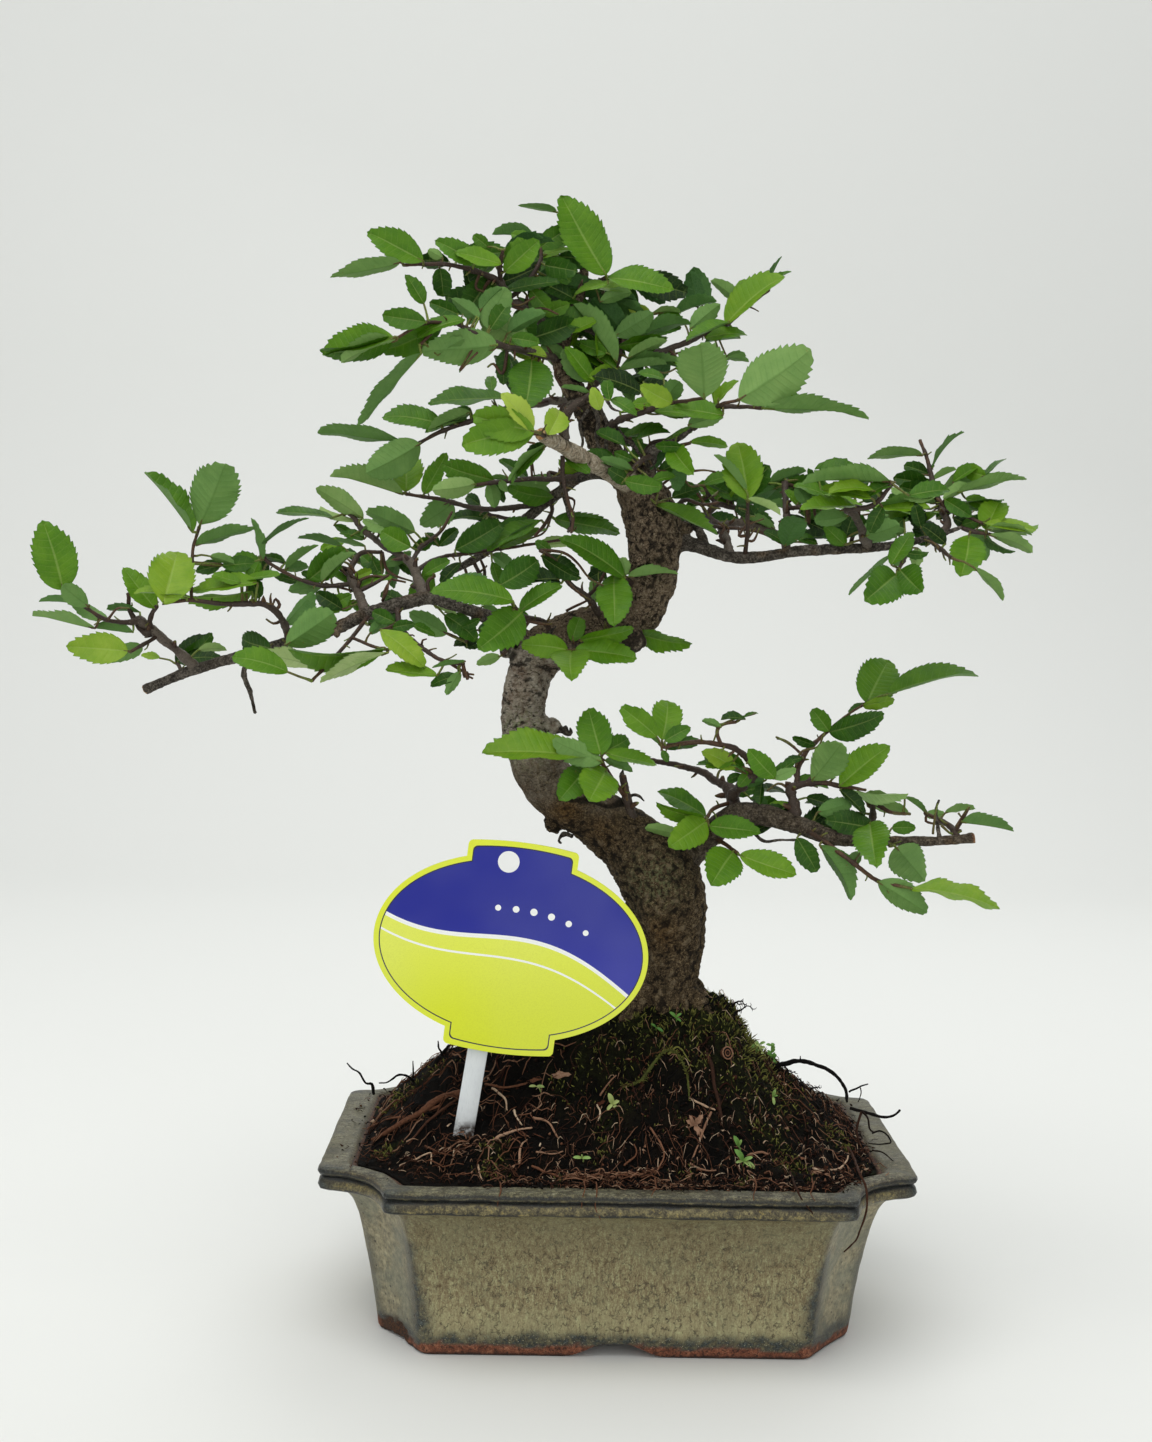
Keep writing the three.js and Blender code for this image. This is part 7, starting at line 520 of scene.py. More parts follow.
        [-7.4, -24.9, 195.2, -7.7, -29.9, 195.5, -0.91, -0.143, 0.39, -0.297, 0.881, -0.367, 18.7, 9.2, 5, 0],
        [-8, -27, 197, -8, -29.1, 197.8, -0.244, 0.506, 0.827, -0.148, -0.862, 0.484, 18.6, 12.2, 5, 1],
        [-8, -27, 197, -7.3, -26.6, 198.7, 0.723, 0.591, 0.359, 0.487, -0.804, 0.341, 12.5, 7.5, 4, 1],
        [-8, -27, 197, -6.7, -28.9, 198.5, 0.982, -0.024, -0.188, 0.152, -0.491, 0.858, 18, 9, 5, 1],
        [-7.5, -25.4, 195.6, -6.6, -25.8, 195.9, 0.937, 0, -0.349, 0.194, 0.831, 0.521, 10.3, 5.1, 4, 0],
        [-7.3, -24.3, 194.7, -13, -25, 193, -0.495, -0.673, -0.549, 0.388, -0.737, 0.554, 17.6, 10.9, 4, 1],
        [-5.8, -21.6, 192.3, -6.1, -24.5, 192.4, -0.236, -0.914, -0.329, 0.404, -0.4, 0.822, 24.2, 13.7, 6, 1],
    ]),
    "shoot_low_inner_long": ([
        [[40.37, -7, 176.41, 3.2], [39.76, -1.19, 180.79, 2.9], [38.41, 4.41, 184.54, 2.4], [33.83, 10.04, 186.86, 1.7], [29.09, 14.84, 189.64, 1.4], [22.15, 20.01, 190.94, 1.2], [13.31, 26.12, 192.16, 1], [5.06, 32, 192.7, 0.6]],
        [[39.83, -1.85, 180.29, 0.9], [32.59, -7.02, 178.39, 0.8], [29.85, -11.37, 175.26, 0.6]],
    ], [
        [30.1, -11, 175.5, 29.6, -10.3, 175.8, -0.888, 0, 0.46, 0.347, -0.658, 0.668, 19.1, 9.5, 4, 1],
        [29.8, -11.4, 175.3, 28.5, -14.8, 175.6, -0.94, -0.205, 0.273, -0.08, -0.644, -0.76, 18.1, 8.7, 5, 1],
        [29.8, -11.4, 175.3, 29.3, -14.3, 174.5, -0.699, -0.58, -0.419, 0.408, -0.804, 0.432, 19.1, 10.8, 6, 1],
        [29.8, -11.4, 175.3, 20.4, -13.4, 169.4, -0.979, 0.032, 0.203, 0.153, 0.771, 0.618, 12.5, 6.2, 6, 0],
        [29.8, -11.4, 175.3, 30.3, -15.1, 172.9, 0.988, -0.133, -0.083, -0.089, -0.913, 0.397, 18.1, 9.1, 4, 1],
    ]),
    "shoot_low_inner_upright": ([
        [[39.1, -4, 182.46, 2.4], [43.2, -10.92, 188.42, 2.2], [46.05, -16.04, 192.72, 1.8], [40, -19.58, 199.09, 1.2], [33.56, -21.66, 201.52, 1], [25.8, -24.1, 202.56, 0.9], [18.83, -26.5, 201.9, 0.8], [12.58, -29, 200.92, 0.6]],
        [[33.23, -21.75, 201.56, 0.8], [31.73, -21.94, 205.62, 0.7], [32.96, -22.74, 208.43, 0.6], [38.05, -22.94, 209.56, 0.5]],
        [[44.37, -13.01, 190.18, 0.8], [48, -17.42, 191.82, 0.7], [51.54, -22.88, 190.6, 0.5]],
    ], [
        [12.6, -29, 200.9, 10.7, -31.1, 204.4, -0.776, -0.094, 0.623, 0.033, -0.994, -0.109, 16, 8.1, 5, 1],
        [13, -28.8, 201, 12.5, -29.6, 203.3, 0.137, 0.674, 0.726, 0.141, -0.739, 0.659, 18, 11.2, 5, 1],
        [13.9, -28.5, 201.1, 13.4, -30.8, 203.1, 0.869, 0.133, 0.478, 0.009, -0.967, 0.253, 10.1, 5.7, 4, 1],
        [12.6, -29, 200.9, 11.9, -28.7, 201.6, -0.816, 0, 0.578, 0.519, 0.441, 0.733, 8, 4, 3, 0],
        [13.5, -28.6, 201.1, 13.9, -24.8, 200.3, 0.939, 0.297, 0.173, 0.059, -0.636, 0.769, 13.7, 6.4, 3, 1],
        [12.6, -29, 200.9, 12.6, -29.4, 199.9, 0.465, 0, -0.885, -0.018, -1, -0.01, 4.6, 2.7, 3, 1],
        [32.7, -22.6, 207.9, 32.8, -25, 207.9, -0.893, -0.319, 0.317, -0.042, 0.762, 0.647, 7.5, 3.5, 4, 0],
        [38.1, -22.9, 209.6, 40.9, -25.2, 210.8, -0.989, -0.145, -0.011, 0.094, -0.695, 0.713, 8.4, 4.1, 2, 1],
        [38.1, -22.9, 209.6, 40.4, -23.3, 211, 0.942, 0, 0.334, -0.319, -0.305, 0.897, 5.4, 2.7, 3, 1],
        [44.4, -13, 190.2, 39, -16.7, 193.3, -0.893, -0.134, 0.429, 0.202, -0.973, 0.116, 13.5, 6.6, 7, 1],
        [44.4, -13, 190.2, 42.8, -14, 191.5, -0.983, 0, 0.182, 0.179, -0.184, 0.967, 17.4, 8.7, 3, 1],
        [51.5, -22.9, 190.6, 51.5, -26.4, 190.9, -0.69, -0.171, 0.703, 0.098, -0.985, -0.143, 14, 7.2, 5, 1],
        [51, -22.1, 190.8, 50.7, -24.3, 190.7, 0.926, 0.143, 0.35, 0.071, 0.843, -0.533, 9, 4.4, 5, 0],
        [44.4, -13, 190.2, 41.4, -11.2, 190.5, -0.911, 0.008, -0.413, -0.053, -0.994, 0.099, 5.3, 3.5, 3, 1],
    ]),
    "shoot_low_mid_upright": ([
        [[60.71, -11, 172.98, 2.6], [60.43, -9.09, 179.8, 2.4], [59.41, -7.72, 185.28, 1.9], [62.49, -7.94, 187.12, 1.6], [68.56, -9.55, 188.42, 1.2], [76.09, -10.93, 187.27, 0.8], [85.03, -12.08, 186.14, 0.5]],
        [[61.47, -7.9, 186.51, 1.1], [62.17, -4.02, 192.08, 1], [65.45, 0.57, 198.19, 0.9], [69.29, 3.24, 201.65, 0.8], [74.13, 5.4, 205.9, 0.6], [81.85, 7.74, 212.02, 0.5], [87.54, 8, 215.7, 0.4]],
        [[64.69, -0.5, 196.78, 0.6], [60.34, 5.67, 200.62, 0.5], [55.66, 8.98, 202.84, 0.4]],
    ], [
        [59.5, -7.8, 185, 57.7, -4.3, 184.2, -0.98, 0.2, 0.023, -0.07, -0.447, 0.892, 12, 6, 1, 1],
        [60.5, -9.7, 177.7, 54.7, -4.6, 176.8, -0.825, 0.446, 0.347, -0.549, -0.776, -0.309, 6.1, 2.9, 2, 1],
        [68.5, 2.7, 201, 68.4, -0.8, 200.8, -0.949, -0.06, 0.311, -0.112, -0.855, -0.507, 8.7, 4.3, 2, 1],
        [64.3, -1.1, 196, 63.4, -4.8, 196.4, -0.98, -0.094, -0.174, 0.027, -0.936, 0.352, 6.5, 3.2, 2, 1],
        [66.7, -9.1, 188, 66.2, -11.6, 189.2, 0.374, -0.643, 0.668, 0.487, 0.75, 0.449, 21.4, 12.2, 5, 0],
        [76.1, -10.9, 187.3, 75.6, -13.8, 187.5, 0.743, -0.108, 0.661, -0.413, -0.85, 0.326, 22.3, 11.2, 6, 1],
        [75.4, -10.8, 187.4, 75.9, -7.7, 187, 0.982, 0.148, -0.118, -0.147, 0.2, -0.969, 25.9, 12.4, 7, 0],
        [73.8, 5.2, 205.6, 73.9, 3.6, 205.3, 0.942, 0.127, 0.31, 0.242, -0.899, -0.366, 21.5, 10.5, 3, 1],
        [73.9, 5.3, 205.7, 73.8, 3.1, 205.7, -0.611, 0.163, 0.775, -0.164, -0.983, 0.078, 9.9, 6.4, 5, 1],
        [87.5, 8, 215.7, 87.6, 6.1, 215.8, 0.417, 0.655, 0.63, 0.17, -0.737, 0.654, 24.8, 15.4, 5, 1],
        [86.3, 7.9, 214.9, 86.2, 6.3, 214.7, 0.979, 0.036, 0.2, 0.15, -0.793, -0.591, 11.7, 5.8, 6, 1],
        [87.5, 8, 215.7, 94.7, 4.6, 219.2, 0.965, -0.074, 0.251, -0.261, -0.31, 0.914, 32.5, 15.8, 5, 1],
        [87.3, 8, 215.5, 87.6, 10.7, 215.6, -0.782, 0.332, -0.528, -0.337, 0.488, 0.805, 7.2, 3.5, 3, 0],
        [76.3, -11, 187.2, 76.1, -11, 185.9, 0.736, 0, -0.678, 0.449, -0.749, 0.488, 12.7, 6.3, 2, 1],
    ]),
    "shoot_low_inner_hanging": ([
        [[32.37, -4, 168.16, 1], [36.64, -12, 165.99, 0.8], [40.11, -20, 163.88, 0.6]],
    ], [
        [38.9, -17.2, 164.6, 38.4, -19.3, 164.5, -0.374, -0.852, -0.366, 0.393, -0.503, 0.77, 23.3, 13.1, 5, 1],
        [40.1, -20, 163.9, 40.4, -23.7, 164, 0.95, -0.118, -0.288, 0.074, -0.814, 0.577, 20.4, 10.3, 6, 1],
    ]),
    "shoot_low_hanging": ([
        [[63.17, -11, 172.32, 1.2], [70.14, -21.64, 168.42, 0.9], [78.06, -29.16, 162.95, 0.8], [85.48, -34.49, 157.65, 0.7], [91.43, -37.3, 156.45, 0.6], [96.86, -39, 155.44, 0.4]],
    ], [
        [63.7, -11.8, 172, 63.3, -5.3, 169.2, 0.712, 0.381, 0.59, -0.001, -0.84, 0.543, 17.9, 8.1, 1, 1],
        [63.4, -11.4, 172.2, 61, -14.8, 169.2, 0.51, -0.177, -0.842, -0.137, -0.983, 0.123, 13.6, 7.6, 3, 1],
        [69.2, -20.1, 169, 67.8, -23.4, 167.9, 0.532, -0.111, -0.84, 0.701, 0.615, 0.362, 21.5, 10.9, 3, 0],
        [86.2, -34.8, 157.5, 85.7, -37.4, 157.4, 0.85, -0.125, -0.512, 0.277, 0.933, 0.232, 19.2, 9.7, 5, 0],
        [96.9, -39, 155.4, 96.4, -41.3, 155.8, 0.979, -0.081, -0.186, 0.151, -0.319, 0.936, 29.7, 14.6, 7, 1],
        [78.5, -29.5, 162.6, 82.2, -22.4, 165.3, -0.408, 0.757, -0.51, 0.78, 0.58, 0.237, 10.2, 4.8, 5, 0],
    ]),
    "shoot_low_outer": ([
        [[83.8, -14, 168.47, 1.6], [88.63, -5.08, 174.26, 1.4], [90.39, 2.08, 179.98, 1], [96, 1.06, 177.32, 0.7], [104.1, 6, 176.25, 0.5]],
    ], [
        [89.4, -2.1, 176.7, 81.5, -2.7, 177.4, -0.981, 0, 0.195, 0.184, -0.322, 0.929, 16.7, 8.3, 3, 1],
        [84.6, -12.5, 169.4, 83.9, -9, 169.7, -0.961, 0.105, 0.256, -0.047, -0.973, 0.224, 14.9, 8.8, 1, 1],
        [88.2, -5.8, 173.8, 86.4, -14.2, 174.8, -0.082, -0.927, -0.367, -0.33, -0.322, 0.887, 31.7, 12.9, 5, 1],
        [103.7, 5.8, 176.3, 104.2, 8.5, 176, -0.977, -0.043, 0.207, 0.1, 0.769, 0.631, 13.1, 6.5, 6, 0],
        [101.4, 4.4, 176.6, 102, 5.2, 182.4, 0.804, 0, -0.594, 0.563, 0.321, 0.761, 10, 5, 4, 0],
        [92.6, 1.7, 178.9, 95.2, 3.7, 183.5, -0.955, 0.293, -0.044, 0.139, 0.574, 0.807, 8.2, 4.1, 6, 0],
    ]),
    "shoot_low_tip": ([
        [[116.61, -17, 170.11, 1.4], [115.74, -10.8, 173.25, 1.2], [113.05, -3.08, 175.2, 0.9], [109.08, 4, 176.9, 0.6]],
        [[116.12, -13.5, 171.88, 0.9], [119, -11.54, 176.19, 0.7], [121.98, -8.54, 180.52, 0.5]],
    ], [
        [109.3, 3.6, 176.8, 109.7, 7.2, 175.9, 0.979, 0.199, 0.045, -0.199, 0.98, -0.008, 7.7, 3.6, 5, 0],
        [113.1, -3.2, 175.2, 114.9, -2.4, 177.7, 0.983, 0, 0.183, -0.141, 0.634, 0.76, 10.8, 5.4, 5, 0],
        [118.7, -11.8, 175.7, 118.4, -14.1, 175.8, 0.981, -0.133, -0.142, 0.189, 0.473, 0.861, 18, 9.2, 4, 0],
    ]),
    "shoot_low_underside": ([
        [[91.81, -14, 168.62, 0.8], [91.07, -28, 168.51, 0.6]],
    ], [
        [91.8, -14, 168.6, 94.2, -13.6, 173.2, 1, 0, 0.018, -0.002, -0.994, 0.108, 8.4, 4.9, 4, 1],
        [91.1, -28, 168.5, 92.6, -30.8, 168.5, 0.577, 0.554, -0.599, -0.331, 0.83, 0.449, 21.1, 12.2, 5, 0],
    ]),
}
# more leaves where the shoots are dense: base and tip as the camera sees them, width seen, side, tone (leaf colour with
# painted light and shade), depth from the twig
MORE_LEAVES = [
    (572.8, 298.1, 531.7, 279.1, 18.2, 1, 2, -3),
    (552.3, 287.9, 505.3, 285.5, 13.5, 1, 2, 6),
    (505.3, 298.1, 470.1, 314.3, 11.7, 0, 3, 2),
    (502.4, 302.5, 465.7, 321.6, 12.9, 1, 3, 4),
    (558.1, 317.2, 517.1, 323.7, 17.6, 1, 1, 10),
    (565.5, 326, 533.2, 337.7, 12.9, 1, 1, 8),
    (608, 283.5, 574.3, 293.2, 8.8, 1, 6, -3),
    (610.9, 314.3, 631.5, 302.5, 11.7, 1, 2, 12),
    (546.4, 356.8, 499.5, 338.3, 14.1, 1, 7, -9),
    (565.5, 355.3, 540.5, 346, 15.3, 0, 5, -6),
    (593.3, 381.7, 565.5, 346, 17, 1, 5, -6),
    (615.3, 368.5, 580.1, 340.7, 14.7, 1, 4, -2),
    (618.3, 370.6, 666.7, 363.6, 8.2, 0, 5, -4),
    (643.2, 381.7, 678.4, 394.1, 17, 1, 1, 6),
    (722.4, 415.5, 672.5, 408.1, 18.2, 1, 5, -3),
    (652, 409.6, 710.7, 415.5, 14.7, 1, 6, 4),
    (637.3, 438.9, 670.2, 432.2, 8.8, 1, 3, 3),
    (511.2, 390.5, 494.2, 355.3, 13.5, 1, 1, 8),
    (518.5, 384.7, 506.8, 352.4, 12.3, 1, 1, 10),
    (534.7, 431.6, 472.5, 415.5, 31.7, 1, 6, -5),
    (505.3, 438.9, 467.8, 443.3, 7.6, 0, 5, 3),
    (470.1, 411.7, 426.7, 431, 12.9, 0, 6, -2),
    (464.3, 319.6, 416.7, 337.7, 12.9, 1, 4, -3),
    (393.9, 337.7, 321.1, 352.4, 23.5, 1, 5, -3),
    (596.3, 337.7, 564, 326, 14.7, 1, 2, 14),
    (616.8, 326, 646.1, 314.3, 15.3, 0, 3, 12),
    (646.1, 337.7, 681.3, 326, 13.5, 1, 3, 8),
    (666.7, 352.4, 634.4, 356.8, 10, 1, 3, 4),
    (625.6, 355.3, 596.3, 343.6, 12.9, 1, 3, 8),
    (564, 390.5, 590.4, 402.3, 7.6, 1, 5, -2),
    (575.7, 381.7, 564, 361.2, 11.7, 1, 3, 6),
    (631.5, 405.2, 654.9, 402.9, 10, 1, 5, -3),
    (581.6, 337.7, 552.3, 314.3, 14.7, 1, 1, 16),
    (610.9, 399.3, 637.3, 415.5, 11.7, 1, 4, 2),
    (625.6, 446.3, 596.3, 431.6, 13.5, 1, 3, 6),
    (652, 446.3, 628.5, 458, 11.7, 1, 3, 5),
    (616.8, 463.9, 581.6, 455.1, 14.7, 1, 3, 8),
    (564, 455.1, 590.4, 472.7, 11.7, 1, 4, 6),
    (543.5, 449.2, 511.2, 484.4, 11.1, 1, 4, -2),
    (552.3, 475.6, 534.7, 484.4, 11.7, 0, 5, 4),
    (487.7, 481.5, 505.3, 502, 11.7, 1, 3, 6),
    (522.9, 323.1, 543.5, 305.5, 13.5, 1, 2, 14),
    (478.9, 279.1, 505.3, 246.8, 12.9, 1, 4, 4),
    (505.3, 267.3, 522.9, 238, 16.4, 1, 5, 4),
    (540.5, 246.8, 564, 226.3, 14.7, 1, 4, 5),
    (572.8, 238, 549.3, 249.7, 11.7, 1, 4, 6),
    (528.8, 296.7, 549.3, 276.1, 14.1, 1, 1, 9),
    (487.7, 246.8, 473.1, 235.1, 11.7, 1, 4, 5),
    (493.6, 287.9, 476, 276.1, 11.7, 1, 3, 4),
    (437.9, 355.3, 464.3, 337.7, 14.7, 0, 4, 5),
    (684.3, 323.1, 657.9, 314.3, 10, 1, 4, 6),
    (704.8, 331.9, 740, 337.7, 8.8, 1, 4, 3),
    (740, 337.7, 704.8, 342.1, 8.2, 1, 3, 6),
    (722.4, 361.2, 745.9, 355.3, 6.5, 0, 5, 4),
    (678.4, 367.1, 654.9, 355.3, 11.7, 1, 2, 9),
    (663.7, 378.8, 637.3, 372.9, 8.8, 1, 4, 6),
    (683.3, 481.8, 698.5, 498.3, 13.2, 1, 3, 0),
    (705.9, 481.8, 728.2, 492.5, 11.5, 1, 2, 6),
    (714.2, 500.3, 735.6, 485.9, 10.7, 1, 3, 8),
    (733.9, 504.9, 712.5, 495, 9.9, 1, 2, 4),
    (818, 471.5, 855.9, 466.1, 12.4, 1, 4, 2),
    (871.6, 498.3, 821.3, 488, 14, 1, 6, -5),
    (895.5, 481.8, 865, 496.6, 12.4, 1, 3, 2),
    (805.6, 479.7, 833.7, 498.3, 15.7, 0, 5, 2),
    (808.9, 500.8, 870.7, 511.5, 13.2, 1, 6, -5),
    (930.9, 508.6, 871.6, 507.4, 14, 1, 6, -4),
    (846, 537.8, 854.3, 511.5, 15.7, 1, 1, 5),
    (862.5, 536.2, 860, 513.9, 14, 1, 2, 6),
    (864.6, 533.7, 888, 514.8, 17.3, 0, 4, -2),
    (844.4, 544.4, 823.8, 525.5, 15.7, 1, 4, -2),
    (817.2, 543.6, 792.5, 537.8, 9.9, 1, 3, 2),
    (805.6, 518.9, 778.4, 525.5, 13.2, 1, 1, 4),
    (774.3, 528, 743, 517.2, 9.9, 0, 5, -3),
    (945.7, 543.6, 921.8, 525.5, 15.7, 1, 1, 5),
    (929.2, 543.6, 915.2, 537.8, 9.9, 1, 2, 6),
    (984.5, 523, 1036.4, 528.8, 11.5, 1, 7, -2),
    (993.5, 536.2, 1031.4, 551.9, 10.7, 0, 6, -2),
    (891.3, 565, 911.9, 531.2, 18.1, 1, 4, -3),
    (939.1, 495, 995.2, 476, 12.4, 0, 6, 0),
    (743, 504.5, 722.4, 485.9, 12.4, 1, 3, 8),
    (701.8, 502.4, 685.3, 490, 10.7, 1, 2, 10),
    (759.5, 523, 738.9, 502.4, 12.4, 1, 2, 8),
    (784.2, 543.6, 763.6, 531.2, 10.7, 1, 2, 7),
    (903.7, 518.9, 883.1, 537.4, 16.5, 1, 3, 6),
    (936.7, 518.9, 961.4, 502.4, 14, 1, 3, 5),
    (928.4, 473.6, 903.7, 465.3, 14.8, 1, 2, 8),
    (870.7, 481.8, 837.8, 477.7, 11.5, 1, 3, 7),
    (837.8, 512.7, 813.1, 518.9, 9.9, 1, 3, 7),
    (895.5, 529.2, 870.7, 543.6, 12.4, 1, 2, 9),
    (965.5, 498.3, 994.3, 508.6, 14, 1, 5, 4),
    (969.6, 485.9, 942.8, 498.3, 12.4, 0, 6, -3),
    (784.2, 477.7, 763.6, 490, 14, 1, 3, 6),
    (953.1, 481.8, 977.9, 465.3, 12.4, 1, 4, 5),
    (961.4, 525.1, 986.1, 518.9, 14, 1, 3, 6),
    (257.2, 582.6, 189.6, 592.5, 15.7, 1, 6, -4),
    (187.2, 596.6, 133.6, 592.5, 8.2, 1, 7, -2),
    (220.1, 566.1, 195.4, 571, 13.2, 1, 2, 4),
    (210.2, 556.2, 234.6, 563.6, 9.9, 0, 5, 0),
    (240.7, 582.6, 211.9, 574.3, 10.7, 1, 5, -2),
    (257.2, 557.8, 286.1, 563.6, 8.2, 1, 2, 4),
    (360.2, 563.6, 339.6, 551.2, 9.9, 1, 2, 5),
    (372.6, 559.5, 380.8, 576, 15.7, 1, 3, 5),
    (175.6, 662.5, 211.9, 636.1, 15.7, 1, 1, 5),
    (240.7, 571.9, 216, 582.2, 10.7, 1, 3, 5),
    (298.4, 582.2, 273.7, 576, 10.7, 1, 3, 4),
    (331.4, 576, 306.7, 584.2, 10.7, 1, 4, 4),
    (364.3, 538.9, 339.6, 532.7, 10.7, 1, 3, 5),
    (397.3, 559.5, 415.9, 576, 14, 1, 2, 5),
    (380.8, 522.4, 360.2, 534.8, 9.9, 0, 5, 5),
    (352, 602.8, 372.6, 613.1, 12.4, 1, 4, 5),
    (405.6, 604.8, 380.8, 592.5, 14, 1, 2, 7),
    (558.7, 578.8, 501.7, 584, 17.8, 1, 1, -4),
    (435.9, 607.5, 457.3, 614.1, 6.3, 0, 7, 6),
    (482.9, 530.5, 459.4, 546.1, 15.7, 1, 3, 8),
    (522.1, 535.7, 498.6, 548.7, 13.1, 1, 3, 8),
    (425.4, 533.1, 441.1, 546.1, 10.5, 1, 2, 8),
    (388.8, 535.7, 404.5, 525.2, 10.5, 1, 3, 7),
    (334, 525.2, 352.3, 535.7, 9.4, 1, 4, 6),
    (482.9, 606.2, 501.2, 616.7, 10.5, 0, 5, 7),
    (462, 637.6, 477.7, 648, 11.5, 1, 1, 3),
    (529.9, 619.3, 511.7, 611.5, 10.5, 1, 3, 8),
    (550.8, 551.4, 535.2, 540.9, 11.5, 1, 3, 6),
    (795.1, 820.1, 761.4, 808.8, 14.6, 1, 1, 3),
    (817.6, 812.2, 852.5, 802.1, 20.3, 0, 3, 2),
    (873.9, 828.5, 824.4, 820.1, 24.8, 1, 2, -3),
    (795.1, 780.7, 828.9, 787.4, 11.3, 1, 4, 3),
    (744.5, 772.2, 727.6, 752.5, 14.6, 1, 4, 3),
    (778.3, 820.1, 750.1, 834.1, 13.5, 1, 2, 5),
    (806.4, 797.6, 840.2, 808.8, 13.5, 1, 2, 4),
    (772.6, 775.1, 795.1, 761, 11.3, 1, 3, 3),
    (733.2, 761, 705.1, 766.6, 12.4, 1, 5, 2),
    (542.4, 556.8, 579.8, 574.4, 14.7, 1, 1, 6),
    (606.4, 580.8, 590.4, 566.4, 11.5, 1, 2, 7),
    (616, 557.8, 628.8, 574.4, 13.4, 0, 6, 4),
    (552, 493.1, 509.4, 483.5, 14.1, 0, 5, 6),
    (540.8, 520, 486.4, 548.8, 17.3, 1, 4, 6),
    (563.8, 523.8, 611.2, 523.8, 10.9, 0, 5, 6),
    (528, 478.4, 499.2, 459.2, 12.8, 1, 3, 8),
    (614.4, 459.2, 588.8, 452.8, 16, 1, 3, 8),
    (659.2, 472, 684.8, 459.2, 16, 1, 3, 8),
    (672, 497.6, 700.8, 488, 14.1, 1, 2, 8),
    (684.8, 510.4, 710.4, 500.8, 10.9, 1, 3, 6),
    (659.2, 510.4, 684.8, 520, 11.5, 1, 2, 9),
    (630.4, 481.6, 608, 468.8, 16, 1, 2, 8),
]
